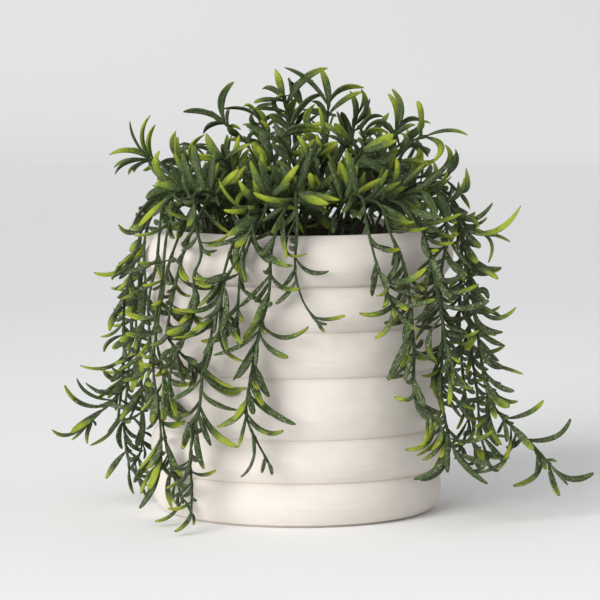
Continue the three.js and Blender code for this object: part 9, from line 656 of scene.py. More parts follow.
    [64.88,-67.18,121.89,68.68,-70.82,115.86,73.04,-75.78,111.36,4.22,1.95,-0.86,-0.34,-0.39,0.14],
    [62.1,-67.46,135.1,65.19,-71.73,126.36,68.35,-79.87,121.07,3.91,1.95,-0.8,0.23,-0.56,0.09],
    [63.81,-67.28,126.77,58.58,-66.47,119.43,49.68,-65.56,118.04,3.93,1.95,0.1,0.99,0.04,0.45],
    [55.6,-67.79,149.51,64.08,-69.46,144.22,73.01,-71.7,139.96,3.83,1.95,-0.28,-0.95,-0.12,0.42],
    [69.5,-66.69,98.84,75.08,-66.4,95.23,81.6,-66.1,93.98,3.68,1.95,-0.02,-0.99,-0.16,0.14],
    [32.73,-51.64,154.7,30.06,-54.68,162.9,24.42,-52.76,169.84,4.06,1.95,-0.58,-0.73,-0.37,0.13],
    [59.46,-67.64,143.68,67.46,-66.35,140.15,76.13,-64.67,139.98,4.64,1.95,0.01,-0.79,-0.61,0.54],
    [28.83,-42.88,149.41,31.16,-46.27,159.28,32.64,-46.18,169.87,3.85,1.95,-0.96,-0.25,0.14,0.45],
    [57.68,-67.72,146.69,68.72,-71.51,146.61,78.08,-76.09,151.89,4.24,1.95,-0.43,-0.81,0.39,0.82],
    [28.16,-41.18,147.71,29.49,-42.76,156.82,29.73,-40.37,165.85,4.71,1.95,-0.83,-0.55,0.1,0.04]]],
  ["trailing_stem_18", [[22,-44,135.11], [22.11,-44.22,141.66], [22.81,-45.7,145.22], [24.61,-49.39,149.44], [26.86,-53.85,152.57], [31.13,-61.99,156.05], [35.01,-68.73,157.18], [38.25,-73.56,156.37], [40.41,-75.73,154.02], [44.58,-75.51,141.47], [49.43,-75.01,131.24], [52.11,-74.52,120.23], [55.71,-73.12,88.16], [55.5,-72.38,71.01], [56.13,-72.14,65.33], [58.93,-71.89,60.37], [66.78,-71.4,52.02], [73.93,-70.82,40.68], [86.01,-70,25.77]], [
    [52.5,-74.4,117.59,43.5,-78.38,100.41,29.48,-78.44,104.69,4,2.3,-0.22,-0.75,0.62,0.47],
    [52.56,-74.38,117.09,55.29,-76.36,115.64,58.81,-75.24,114.81,2.64,1.78,-0.24,-0.92,-0.3,0.05],
    [52.76,-74.3,115.19,51.44,-77.25,111.53,48.03,-78.21,106.9,3.68,2.18,-0.67,-0.61,0.42,0.14],
    [53.01,-74.18,112.32,54.31,-78.9,107.11,54.51,-77.81,101.3,4,1.97,-0.36,0.87,-0.34,0.15],
    [54.81,-73.47,96.12,50.85,-73.47,87.28,43.38,-73.47,71.78,4.98,2.3,-0.74,0.57,0.35,0.15],
    [55.85,-72.97,84.61,52.67,-77.42,79,51.12,-76.57,72.54,4.42,2.3,-0.42,0.9,0.12,0.15],
    [55.54,-72.35,70.22,57.48,-77.79,60.24,46.41,-75.64,64.48,2.98,1.9,-0.99,0.1,0.09,0.45],
    [56.12,-72.14,65.38,57.34,-73.66,55.3,63.7,-75.1,53.84,4,2.3,-0.71,-0.63,-0.31,0.19],
    [64.02,-71.57,54.91,68.15,-72.69,38.96,51.56,-72.74,38.9,4,2.3,-0.4,0.88,0.25,0.57],
    [69.73,-71.17,47.6,68.97,-70.86,37.18,59.71,-71.43,33.67,4,2.3,-0.39,0.88,0.26,0.43],
    [72.58,-70.93,42.75,70.53,-76.31,27.55,55.46,-73.79,24.8,3.55,1.78,-0.99,0.13,0,0.09],
    [73.75,-70.84,40.95,71.32,-70.84,25.09,58.82,-70.84,23.97,4,1.97,-0.23,0.95,0.2,0.15],
    [72.04,-70.97,43.68,70.84,-78.5,36.45,71.54,-79.78,28.76,4.42,2.3,-0.87,-0.42,0.27,0.08],
    [74.13,-70.81,40.41,76.59,-75.47,31.81,91.21,-71.15,22.09,4,2.3,-0.55,-0.66,-0.5,0.08],
    [55.81,-73.05,86.53,60.48,-75.94,84.23,66.6,-73.03,80.33,3.16,1.6,-0.25,0.87,-0.43,0.17],
    [55.58,-72.55,74.89,54.46,-68.28,68.6,52.97,-61.07,70.8,4.06,2.05,0.95,0.27,0.17,0.11],
    [67.78,-71.33,50.69,67.82,-66.49,44.95,62.53,-61.22,45.76,4.64,2.05,0.65,0.58,0.49,0.06],
    [58.43,-71.93,61.06,63.4,-65.5,55.17,68.54,-58.82,55,4.67,2.05,0.74,-0.03,0.67,0.43],
    [41.27,-75.99,152.11,48.24,-79.57,147.15,55.77,-84.87,148.26,4.9,2.05,-0.5,-0.86,0.08,0.55],
    [43.71,-75.64,144.5,49.56,-77.53,142.07,54.61,-80,145.56,4.04,2.05,-0.38,-0.92,0.13,0.15],
    [47.35,-75.23,135.78,47.51,-76.89,128.55,45.4,-79.7,122.01,4.11,2.05,-0.34,0.91,-0.25,0.16],
    [80.9,-70.34,31.91,85.02,-64.59,29.91,85.04,-58.13,33.4,3.53,2.05,0.79,-0.33,0.52,0.19],
    [55.59,-73.17,89.35,58.22,-65.06,85.4,60.09,-57.01,89.9,3.76,2.05,0.95,-0.27,0.18,0.25],
    [55.14,-73.35,93.32,53.01,-67.99,84.44,49.61,-62.79,75.64,4.02,1.79,0.6,0.76,-0.26,0.89],
    [83.45,-70.17,28.83,87.78,-65.33,27.59,90.31,-59.58,29.49,4.82,2.05,0.85,-0.35,0.4,0.77],
    [78.05,-70.53,35.38,81.56,-63.47,33.15,79.26,-57.27,38,3.59,2.05,0.7,-0.2,0.68,0.08],
    [50.46,-74.86,127.91,48.68,-75.07,121.18,42.58,-74.99,118.95,5.06,2.05,-0.52,0.85,0.11,0.22],
    [42.55,-75.82,148.32,48.45,-73.66,146.26,55.42,-68.42,145.74,4.66,1.95,0.96,0.15,-0.22,0.94],
    [55.75,-72.77,79.88,52.07,-74.83,76.5,49.24,-68.63,77.94,2.24,1.45,0.37,0.15,0.92,0.15],
    [53.62,-73.91,106.21,53.41,-69.27,101.85,52.37,-63.06,102.79,3.91,2.05,0.99,0.07,-0.15,0.17],
    [51.39,-74.69,124.03,51.19,-67.94,117.27,47.36,-65.24,113.81,3.72,1.7,0.92,0.21,-0.32,0.47],
    [54,-73.76,102.73,48.34,-73.04,98.6,41.39,-72.79,99.54,4.58,2.05,-0.79,0.51,0.33,0.18],
    [25.56,-51.29,150.9,28.12,-59.39,152.37,27.82,-65.41,148.77,4.29,2.05,0.96,-0.08,0.25,0.12],
    [33.7,-66.54,157.01,40.02,-68.02,164.29,43.33,-62.9,171.9,4.16,2.05,-0.52,-0.69,0.5,0.53],
    [70.93,-71.07,45.6,71.39,-72.01,39.54,67.86,-74.26,35.03,4.61,1.95,-0.55,0.83,-0.09,0.89],
    [62.05,-71.69,56.94,62.26,-76.52,49.92,60.51,-82.22,43.83,3.51,1.95,-0.22,0.77,-0.59,0.51],
    [53.78,-73.84,104.72,52.42,-76.88,97.62,50.63,-80.56,90.93,4.59,1.95,-0.97,0.21,0.12,0.15],
    [68.87,-71.24,49.02,68.54,-75.27,42.08,63.63,-81.17,39.68,4.26,1.95,-0.85,0.53,-0.08,0.9],
    [52.21,-74.49,119.61,49.45,-74.3,113.11,45.05,-74.18,107.59,3.96,1.95,-0.24,0.96,0.17,0.07],
    [65.19,-71.5,53.73,64.62,-74.33,45.39,57.99,-78.24,41.04,3.69,1.95,-0.4,0.88,-0.24,0.94],
    [85.05,-70.06,26.92,93.88,-67.06,27.67,100.57,-63.7,33.29,3.52,1.95,0.1,-0.82,0.57,0.11],
    [76.81,-70.62,36.94,84.46,-72.49,33.51,92.45,-75.15,31.78,4.84,1.95,-0.38,-0.8,-0.46,0.15],
    [55.67,-72.64,76.88,49.57,-70.63,73.44,42.64,-68.45,72.91,4.64,1.95,0.31,0.95,-0.02,0.05],
    [54.48,-73.58,98.77,53.26,-76.49,91.37,51.28,-80.42,84.64,4.14,1.95,-0.97,-0.01,0.23,0.18],
    [53.36,-74.02,108.69,49.56,-75.42,104.06,45.26,-77.01,99.97,4.82,1.95,-0.32,0.95,-0.03,0.58],
    [51.69,-74.62,122.56,55.89,-73.87,118.27,61.01,-72.98,115.16,4.3,1.95,0.1,-0.99,-0.09,0.46],
    [28.38,-56.81,154.12,24.96,-57.53,165.02,20.54,-56.59,175.54,4.6,1.95,-0.9,-0.3,-0.32,0.83],
    [38.85,-74.24,155.87,46.18,-75.51,150.96,53.47,-72.3,146.93,4.12,1.95,0.53,-0.18,0.83,0.56],
    [55.84,-72.89,82.87,50.4,-74.22,77.84,44.35,-75.76,73.64,4.43,1.95,-0.06,0.97,-0.22,0.18],
    [46.2,-75.34,138,46.76,-74.28,132.04,45.02,-72.62,126.45,3.71,1.95,0.33,0.92,0.18,0.13],
    [55.53,-72.49,73.39,57.32,-75.14,66.15,60.47,-79.81,60.6,4.38,1.95,-0.95,-0.23,-0.24,0.09],
    [43.16,-75.73,146.42,52.46,-75.42,141.71,62.26,-75.45,145.28,3.59,1.95,0.04,-0.92,0.38,0.8],
    [49.24,-75.04,131.71,46.98,-74.54,125.19,42.45,-74.03,119.99,3.44,1.95,-0.54,0.75,0.38,0.13],
    [29.91,-59.73,155.3,39.8,-62.76,160.68,50.04,-60.55,165.8,3.83,1.95,-0.46,0.09,0.88,0.56],
    [23.5,-47.12,147.14,27.12,-48.7,155.84,30.8,-49.22,164.64,3.76,1.95,-0.9,0.16,0.4,0.2]]],
  ["trailing_stem_19", [[47,10,135.34], [47.39,10.01,143.83], [50.07,10.07,151.14], [54.91,10.13,157.23], [59.89,10.15,160.28], [63.72,10.12,160.99], [69.28,10,159.39], [75.82,9.77,154.87], [78.38,9.66,151.81], [80.23,9.54,148.29], [82,9.26,138.5], [81.14,8,94.52], [81.57,7.6,80.49], [85.84,6.51,42.55], [87.83,6.23,32.68], [90.15,6,24.96]], [
    [85.5,6.59,45.04,90.89,2.06,38.07,84.61,2.02,32.53,4.07,2.3,0.03,-0.98,-0.18,0.5],
    [82.07,9.03,130.67,81.66,14.29,126.24,81.07,20.38,129.4,4.2,2.05,0.99,0.09,0.06,0.12],
    [85.14,6.68,48.38,87.66,13.73,43.61,88.93,20.46,49.25,4.01,2.05,0.91,-0.27,0.33,0.2],
    [65.81,10.09,160.76,73.16,16.84,159.83,74.34,26.78,160.47,3.95,2.05,0.33,-0.15,0.93,0.14],
    [81.64,7.58,79.69,80.02,15.08,73.38,77.32,24.55,74.74,4.03,2.05,0.96,0.26,0.05,0.25],
    [51.52,10.09,153.39,51.87,8.57,160.18,48.6,6.04,165.79,4.7,2.05,0.57,-0.81,-0.13,0.18],
    [82,8.78,121.67,80.75,13.61,117.43,79.81,18.93,121.13,4.08,2.05,0.84,0.15,-0.52,0.18],
    [82.5,7.35,71.74,85.23,14.19,66.96,87.45,22.38,69.26,3.61,2.05,0.95,-0.32,-0.06,0.25],
    [81.14,7.98,93.68,80.06,11,85.3,77.78,18.02,80.19,4.98,2.05,0.98,0.13,-0.15,0.13],
    [61.35,10.14,160.68,63.67,9.25,168.42,58.76,9.64,174.64,4.39,1.95,0.15,-0.98,-0.09,0.86],
    [86.54,6.4,38.48,86.16,12.45,33.18,84.18,20.12,34.57,4.51,2.05,0.68,0.31,0.66,0.25],
    [79.75,9.58,149.38,83.31,12.91,144.02,84.73,19.84,145.61,5.02,2.05,0.86,-0.25,0.45,0.21],
    [82.08,7.45,75.21,84.31,13.75,71.06,86.19,21.26,72.5,3.6,2.05,0.95,-0.3,-0.09,0.25],
    [81.44,8.39,108.18,78.69,0.78,102.85,75.57,-8.07,105.31,4.51,2.05,-0.92,0.36,-0.17,0.19],
    [83.07,7.21,66.77,85.4,-0.67,62.47,86.25,-9.59,69.15,3.57,2.05,-0.58,0.6,0.55,0.12],
    [84.6,6.82,53.35,89.83,10.15,50.61,94.63,13.81,53.7,5.19,2.05,0.51,-0.7,-0.5,0.16],
    [82.03,9.16,135.17,79.27,14.89,128.7,75.55,22.86,130.93,4.17,2.05,0.86,0.47,0.19,0.21],
    [88.82,6.13,29.26,90.41,9.3,22.78,91.84,13.07,16.58,3.98,2.05,0.94,0.15,0.3,0.2],
    [81.3,8.23,102.68,81.62,5.24,97.87,84.32,-1.46,96.91,2.81,1.58,-0.89,-0.34,-0.3,0.22],
    [77.65,9.69,152.77,78.37,17.1,146.17,75.64,26.09,142.9,3.85,2.05,0.95,0.24,0.2,0.14],
    [57.66,10.15,159.18,58,10.41,166.7,55.82,10.71,173.89,4.53,2.05,-0.39,-0.92,-0.01,0.47],
    [84.15,6.94,57.33,83.35,-0.98,52.31,81.59,-10.13,53.58,4.39,2.05,-0.94,0.2,-0.29,0.04],
    [81.31,7.72,84.68,82.14,5.28,75.46,85.89,-8.49,77.02,3.31,2.05,-0.81,-0.24,-0.53,0.09],
    [83.58,7.08,62.3,86.28,12.1,56.87,89.33,18.92,54.36,4.38,2.05,0.93,-0.33,0.18,0.21],
    [81.18,8.09,97.68,79.54,3.89,92.08,76.99,-2.74,93.19,3.78,2.05,-0.94,0.32,0.12,0.14],
    [69.93,9.98,159,75.93,2.55,158,73.52,-7.87,160.09,3.43,1.79,0.06,0.91,-0.4,0.12],
    [87.72,6.24,33.11,89.03,0.57,28.01,90.62,-12.25,31.66,3.63,2.05,-0.73,-0.68,-0.01,0.12],
    [81.74,8.65,117.18,78.24,13.2,109.25,73.19,21.39,111.07,4.44,2.05,0.85,0.42,-0.31,0.78],
    [54.1,10.13,156.44,64.01,12.96,157.67,73.35,15.19,154.71,4.61,2.05,-0.84,0.32,0.44,0.75],
    [81.17,7.83,88.68,88.5,5.15,83.46,96.81,2.31,86.79,3.99,2.05,-0.32,-0.94,0.12,0.45],
    [74.15,9.84,156.33,78.71,14.34,155.26,77.7,19.7,158.78,3.41,2.05,0.3,-0.33,0.9,0.25],
    [81.54,8.52,112.68,82.65,12.52,105.84,85.04,20.13,106.51,4.91,2.05,0.96,-0.27,0.05,0.42],
    [81.24,9.43,144.62,80.21,16.23,137.42,76.7,25.51,138.31,4.38,2.05,0.83,0.39,0.4,0.25],
    [82.11,8.92,126.67,81.9,4.37,120.7,81.56,-3.06,121.77,4.37,2.05,-1,0.04,0.02,0.26],
    [81.3,8.23,102.61,91.47,8.23,92.08,101.35,8.23,99.6,4,1.97,-0.05,-0.94,-0.34,0.52],
    [84.94,6.74,50.37,82.88,5.5,44.07,79.8,3.91,38.29,4.84,1.95,-0.15,0.98,-0.16,0.52],
    [85.72,6.54,43.41,82.25,5.7,36.24,77.05,4.67,30.22,3.74,1.95,0.16,0.96,-0.24,0.44],
    [83.36,7.14,64.29,90.07,7.97,60.89,96.73,9.11,64.31,4.71,1.95,0.13,-0.92,0.38,0.77],
    [86.1,6.47,40.94,83.07,4.15,31.79,78.49,1.23,23.48,4.34,1.95,-0.02,0.96,-0.28,0.18],
    [88.11,6.2,31.66,91.23,2.75,26.41,94.55,-1.48,21.9,4.55,1.95,-0.85,-0.05,-0.52,0.78],
    [81.36,8.29,104.68,78.04,10.66,99.96,73.43,14.15,97.6,4.64,1.95,0.48,0.86,0.18,0.42],
    [87.37,6.28,34.57,83.29,7.65,28.89,76.44,9.6,28.99,3.69,1.95,0.04,0.89,0.46,0.49],
    [89.41,6.07,27.35,97.83,5,25.19,106.41,3.89,23.87,4.76,1.95,-0.21,-0.84,-0.51,0.54],
    [82.1,8.96,128.17,88.19,10.61,121.22,96.7,13.12,118.13,3.9,1.95,0.52,-0.72,0.46,0.18],
    [81.22,8.15,99.68,84.66,11.61,92.58,89.28,16.28,87.01,3.93,1.95,0.68,-0.73,-0.04,0.58],
    [81.25,7.76,86.18,86.33,6.69,80.87,92.6,5.43,77.08,4.05,1.95,-0.26,-0.96,-0.08,0.82],
    [81.52,7.62,81.19,85.3,3.88,76.29,89.38,-0.21,71.95,3.8,1.95,-0.83,-0.24,-0.5,0.45],
    [81.14,7.92,91.68,77.62,6.91,82.84,72.85,5.64,74.65,4.07,1.95,-0.29,0.96,0.01,0.19],
    [84.43,6.87,54.85,86.35,1.01,47.75,88.34,-5.77,41.56,4.19,1.95,-0.9,-0.41,0.12,0.03],
    [81.99,9.26,138.67,86.19,9.6,133.92,91.6,10.12,130.64,3.78,1.95,0.04,-1,-0.06,0.49],
    [81.86,7.51,77.2,78.41,2.88,70.1,73.37,-3.11,65.33,3.47,1.95,-0.83,0.55,0.1,0.43],
    [48.66,10.04,148.14,48.73,12.91,157.74,47.34,16.75,166.9,4.43,1.95,-0.62,-0.75,0.23,0.1],
    [83.87,7.01,59.81,78.67,9.79,55.39,73.42,12.34,59.9,3.77,1.95,0.44,0.87,-0.2,0.05],
    [81.83,8.69,118.68,89.96,11.58,113.06,98.78,14.79,117.29,3.91,1.95,0.34,-0.84,0.42,0.9],
    [81.66,9.36,142.16,89.63,6.87,137.4,98.44,4.06,134.76,3.65,1.95,-0.36,-0.92,-0.16,0.78],
    [81.4,8.33,106.18,87.11,9.36,102.73,93.74,10.64,102.55,4.5,1.95,0.23,-0.96,0.18,0.06],
    [81.66,8.6,115.68,85.29,7.6,107.03,93.85,5.87,103.43,3.59,1.95,-0.06,-0.99,0.16,0.09],
    [81.47,8.43,109.68,78.66,10.1,104.03,73.78,13.28,101.1,3.8,1.95,0.15,0.91,0.38,0.21],
    [82.9,7.25,68.26,92.24,5.81,63.9,102.23,4.31,61.37,4.4,1.95,-0.13,-0.99,0.06,0.03],
    [82.06,8.82,123.17,84.58,6.8,117.99,88.92,3.63,115.09,4.1,1.95,-0.75,-0.62,-0.24,0.78],
    [82.04,9.09,132.67,86.1,6.43,125.32,91.31,3.09,119.05,4.91,1.95,-0.26,-0.94,0.24,0.86]]],
  ["trailing_stem_20", [[47,-6,135.48], [47.38,-6.42,144.03], [49.09,-8.27,149.46], [50.82,-10.04,152.61], [54.1,-13.15,156.57], [59.63,-17.7,160.15], [64.71,-20.82,160.8], [68.27,-22.09,159.55], [75.62,-22.53,153.18], [80.09,-22.52,146.83], [82.14,-22.51,141.38], [83.46,-22.54,133.72], [83.77,-22.86,104.53], [85.71,-23.23,79.23], [88.42,-23.51,59.85], [89.72,-23.74,44.22], [91.46,-23.89,34.57], [94.39,-24,27.29]], [
    [90.91,-23.85,36.67,97.54,-30.2,41.75,105.89,-18.85,36.04,2.23,1.54,0.58,-0.51,-0.63,0.56],
    [90.35,-23.81,39.62,97.12,-23.81,30.98,102.76,-23.81,25.28,4,2.3,-0.62,0.58,-0.53,0.14],
    [91.92,-23.91,33.22,93.72,-29.48,22.18,99.08,-28.74,22.42,3.68,2.06,-0.22,0.92,-0.32,0.16],
    [93.09,-23.95,30.33,94.08,-21.45,28.27,99.16,-19.36,26.64,3.16,1.6,-0.67,0.68,-0.3,0.48],
    [84.98,-23.1,88.23,83.39,-27.95,83.57,80.81,-34,85.01,3.74,2.05,-0.45,-0.13,-0.88,0.17],
    [50.76,-9.98,152.51,58.62,-13.28,152.07,66.49,-16.18,150.51,5,2.05,0.34,0.63,0.69,0.17],
    [53.71,-12.8,156.18,61.8,-10.54,158.41,69.12,-12.45,158.08,4.31,1.95,0.69,0.02,0.72,0.55],
    [84.37,-22.96,97.71,85.22,-29.38,92.66,85.64,-37.53,93.64,4.07,2.05,-0.93,0.02,-0.37,0.12],
    [84.7,-23.02,93.22,81.61,-25.15,85.71,74.4,-29.33,84.67,4.45,2.05,-0.55,0.84,0.04,0.46],
    [89.33,-23.67,49.02,92.75,-17.22,43.02,96.67,-9.12,40.12,4.88,2.05,0.92,-0.35,0.18,0.52],
    [83.66,-22.65,120.66,85.21,-30.62,115.87,86.81,-37.47,122.14,3.4,2.05,-0.91,-0.16,0.38,0.12],
    [87.22,-23.39,68.38,86.14,-29.36,63.57,83.67,-35.53,67.54,3.84,2.05,-0.95,0.29,-0.1,0.12],
    [88.97,-23.61,53.5,91.81,-18.66,48.82,94.73,-12.32,51.2,3.75,2.05,0.62,-0.45,-0.64,0.21],
    [60.67,-18.42,160.45,66.42,-18.8,164.1,68.22,-13.76,168.33,5.35,2.05,-0.55,-0.37,0.75,0.15],
    [77.81,-22.54,150.46,78.61,-27.78,145.32,74.49,-32.81,144.77,3.85,2.05,-0.63,0.75,0.17,0.16],
    [86.48,-23.32,73.32,88.64,-28.05,68.18,90.31,-34.78,70.5,4.12,2.05,-0.9,-0.36,0.25,0.3],
    [83.66,-22.83,106.67,82.66,-15.34,102.11,81.3,-6.71,101.52,3.96,2.05,0.68,-0.69,-0.25,0.03],
    [87.95,-23.46,63.44,90.08,-30.29,59.57,91.57,-38,61.69,3.78,2.05,-0.96,-0.25,0.09,0.19],
    [82.88,-22.52,138.1,85.19,-28.11,133.21,87.01,-35.65,133.72,3.41,2.05,-0.91,-0.36,0.22,0.33],
    [71.58,-22.39,156.91,73.23,-29.23,148.69,65.41,-28.49,143.12,3.17,1.79,0.64,0.61,0.46,0.09],
    [89.69,-23.74,44.53,90.47,-18.01,37.33,88.64,-12.5,37.59,4.19,1.95,0.93,-0.22,-0.3,0.84],
    [88.55,-23.53,58.48,90.66,-20.25,52.69,93.45,-13.96,53.85,4.14,2.05,0.88,-0.25,0.42,0.9],
    [79.94,-22.52,147.09,84.8,-18.66,144.71,87.53,-13.75,148.25,3.91,2.05,0.75,-0.61,-0.26,0.57],
    [83.52,-22.77,111.16,82.52,-27.42,106.05,80.94,-33.65,108.4,3.93,2.05,0.09,0.65,-0.75,0.18],
    [85.34,-23.17,83.25,86.55,-18.05,77.62,87.27,-11.12,80.89,3.66,2.05,0.99,-0.16,0,0.25],
    [85.82,-23.24,78.27,89.27,-29.96,71.83,92.84,-39.08,73.41,3.9,2.05,-0.91,-0.32,-0.28,0.4],
    [81.81,-22.51,142.46,86.25,-27.56,139.16,87.93,-32.61,144.54,4.56,2.05,-0.14,-0.66,-0.73,0.37],
    [48.88,-8.04,148.93,57.32,-5.57,151.67,63.16,0.19,147.45,3.88,2.05,-0.33,0.69,0.65,0.21],
    [64.95,-20.92,160.74,69.76,-24.77,165.94,66.42,-25.07,173.28,4.54,2.05,-0.5,-0.84,-0.22,0.48],
    [83.69,-22.56,130.15,87.56,-21.21,121.67,95.99,-17.89,119.09,4.89,2.05,0.56,-0.77,0.29,0.19],
    [83.95,-22.89,102.18,85.41,-17.4,96.98,86.55,-10.06,99.07,3.99,2.05,0.96,-0.13,0.25,0.18],
    [85.32,-23.17,83.51,92.63,-24.48,76.71,101.89,-24.33,83.6,4,1.97,-0.06,-0.94,-0.32,0.52],
    [89.48,-23.7,47.02,93.74,-23.27,39.89,99.05,-22.67,33.51,4.04,1.95,0.67,-0.61,0.42,0.21],
    [83.59,-22.68,118.16,79.45,-23.84,112.34,72.87,-25.67,109.95,4.15,1.95,0.06,0.91,-0.41,0.13],
    [88.73,-23.56,56.49,95.31,-21.27,53.1,101.75,-18.71,56.58,3.73,1.95,0.34,-0.91,-0.22,0.21],
    [87.59,-23.43,65.91,92.37,-21.43,62.03,98.14,-18.71,60.92,4.16,1.95,0.43,-0.9,0.06,0.11],
    [83.5,-22.72,114.66,87.49,-20.7,109.02,92.75,-18.02,104.9,3.94,1.95,0.59,-0.79,0.18,0.88],
    [85.61,-23.21,80.26,84.64,-26.49,74.54,82.79,-31.31,70.31,3.97,1.95,-0.68,0.65,-0.33,0.6],
    [84.54,-22.99,95.71,88.51,-22.86,88.01,96.92,-22.3,85.99,3.93,1.95,0.06,-1,0.01,0.16],
    [83.74,-22.59,125.65,88.25,-26.22,122.2,93.49,-30.39,121.5,3.45,1.95,-0.57,-0.8,0.18,0.47],
    [80.59,-22.52,145.74,88.81,-24.56,144.27,93.57,-26.69,151.1,4.86,1.95,-0.25,-0.96,-0.13,0.19],
    [75.61,-22.53,153.18,81.24,-20.31,157.92,81.75,-18.61,165.39,3.79,1.95,0.28,-0.95,0.16,0.54],
    [84.18,-22.93,99.7,80.38,-23.14,93.97,73.62,-23.32,95.21,4.34,1.95,0.07,0.96,-0.25,0.04],
    [83.58,-22.8,108.67,90.68,-21.88,101.4,100.07,-20.55,97.66,4.45,1.95,-0.1,-0.93,-0.34,0.11],
    [83.71,-22.62,123.15,79.78,-25.22,116.83,74.25,-28.88,112.56,3.88,1.95,-0.41,0.9,-0.16,0.54],
    [83.73,-22.57,128.65,80.71,-20.2,123.66,75.75,-16.37,123.05,3.46,1.95,0.65,0.75,-0.1,0.08],
    [83.31,-22.53,135.13,84.61,-27.35,127.27,85.87,-34.63,121.62,4.13,1.95,-0.84,-0.47,0.27,0.5],
    [56.92,-15.6,158.78,65.82,-15,155.01,73.77,-13,149.88,4.47,1.95,0.21,0.76,0.62,0.42],
    [85.15,-23.13,85.74,82.12,-26.31,79.68,76.7,-31.25,78.17,4.41,1.95,-0.53,0.8,-0.27,0.06],
    [84.89,-23.07,89.73,81.11,-23.61,81.76,72.55,-24.49,79.78,4.82,1.95,0.05,0.98,-0.2,0.41],
    [83.83,-22.87,103.68,91.28,-18.45,99.91,99.24,-13.58,98.42,4.71,1.95,0.44,-0.87,-0.23,0.52]]],
  ["trailing_stem_21", [[43,-22,135.29], [43.09,-22.16,141.85], [43.71,-23.23,145.59], [44.76,-24.97,148.96], [47.7,-29.54,154.65], [52.53,-36.19,160.06], [57.51,-41.67,162.7], [62.21,-45.12,162.68], [65.49,-46,160.81], [71.18,-45.9,155.67], [76.78,-45.78,147.91], [80.18,-45.63,136.91], [90.64,-44.77,70.12], [92.89,-44.64,60.69], [94.57,-44.59,57.19], [97.97,-44.52,52.47], [116.17,-44.2,34.94], [122.62,-44.07,27.65]], [
    [100.58,-44.47,49.78,113.8,-45.62,51.15,119.33,-45.19,59.14,4,2.3,0.23,-0.82,-0.52,0.5],
    [112.29,-44.27,38.77,127.78,-44.27,37.55,132.53,-44.27,50,4,2.17,0.17,-0.94,-0.3,0.06],
    [118.38,-44.16,32.65,120.37,-44.74,20.51,104.86,-45.06,17.13,4,2.3,-0.45,0.82,0.34,0.54],
    [122.4,-44.08,27.93,131.8,-44.36,15.67,144.15,-43.56,23.35,3.68,2.17,-0.69,-0.07,-0.72,0.12],
    [122.21,-44.08,28.17,123.77,-41.51,18.93,127.06,-47.61,12.71,4.58,2.18,-0.87,-0.49,-0.02,0.47],
    [121.11,-44.1,29.54,123.9,-43.22,30.17,126.16,-44.11,28.74,2.03,1.6,0.14,0.22,-0.97,0.57],
    [122.21,-44.08,28.17,127.16,-47.93,23.47,131.26,-48.05,18.08,3.16,1.6,-0.18,0.85,-0.49,0.08],
    [100.95,-44.46,49.43,103.26,-47.1,48.36,104.98,-47.65,48.26,2.03,1.6,-0.62,-0.79,0.01,0.06],
    [100.69,-44.47,49.67,98.45,-40.77,43.81,97.39,-42.37,42.71,2.91,1.52,-0.47,0.88,0.06,0.11],
    [92,-44.68,63.57,91.34,-46.03,44.57,99.32,-46.52,37.38,4.15,2.3,-0.79,0.56,-0.26,0.54],
    [78.71,-45.71,142.6,97.1,-52.25,134.46,107.86,-46.94,153.79,4,2.3,0.71,-0.65,-0.27,0.83],
    [78.86,-45.7,142.06,99.34,-43.62,140.76,92.09,-47.4,125.84,2.53,1.77,-0.53,-0.85,0.03,0.54],
    [81.11,-45.56,131.82,85.46,-48.15,120.91,98.71,-48.13,123.65,4,2.3,-0.36,-0.76,-0.54,0.1],
    [81.61,-45.52,128.51,85.94,-44.22,115.78,96.91,-44.33,122.86,3.68,2.06,-0.23,-0.93,-0.27,0.44],
    [82.34,-45.44,122.68,90.33,-53.2,123.85,96.39,-55.07,118.72,4,2.3,-0.59,-0.72,-0.36,0.52],
    [76.08,-45.8,149.23,85.8,-45.03,141.76,94.1,-48.66,154.93,3.24,2.01,0.5,0.64,-0.59,0.06],
    [76.87,-45.78,147.71,85.07,-51.26,148.95,87.29,-52.87,143.02,4,2.3,0.13,0.67,-0.73,0.57],
    [78.88,-45.7,141.98,83.89,-48.09,137.59,88.24,-48.48,133.17,4.58,2.18,-0.68,0.29,-0.67,0.46],
    [78.72,-45.7,142.55,88.89,-45.7,143.95,91.51,-45.7,147.8,2.76,1.6,0.08,-0.98,-0.19,0.43],
    [79.41,-45.67,140.06,95.36,-39.16,140.83,102.8,-43.2,135.56,3.16,1.6,0.02,-0.93,-0.38,0.51],
    [84.52,-45.27,109.15,90.89,-43.82,116.31,92.31,-45.77,108.22,4,2.3,-0.19,-0.32,-0.93,0.06],
    [84.94,-45.24,106.71,94.84,-48.06,92.73,105.6,-47.5,104.52,4,2.17,-0.14,-0.91,-0.39,0.45],
    [85.5,-45.19,103.33,86.04,-50.14,91.98,99.42,-47.46,92.42,4.42,2.3,-0.57,-0.56,-0.6,0.07],
    [86.9,-45.08,94.58,92.01,-47.93,87.63,99.97,-46.98,86.07,4,2.3,-0.48,-0.65,-0.59,0.08],
    [87.72,-45.01,89.24,92.23,-41.8,81.87,97.71,-45.28,78.1,4,2.3,-0.81,-0.33,0.49,0.15],
    [88.98,-44.91,81.47,94.87,-42.06,72.81,100.87,-43.76,75.33,3.24,1.9,0.07,-0.97,-0.22,0.17],
    [89.59,-44.86,77.59,102.4,-50.85,75.36,109.12,-48.42,72.17,3.55,1.78,0,0.84,-0.54,0.52],
    [89.87,-44.84,75.61,94.62,-43.98,64.21,105.22,-45.77,63.58,3.68,2.18,0.44,-0.35,-0.83,0.15],
    [90.32,-44.79,72.2,92.76,-50.92,58.66,102.82,-50.29,56.87,5.53,2.3,-0.75,-0.5,-0.43,0.56],
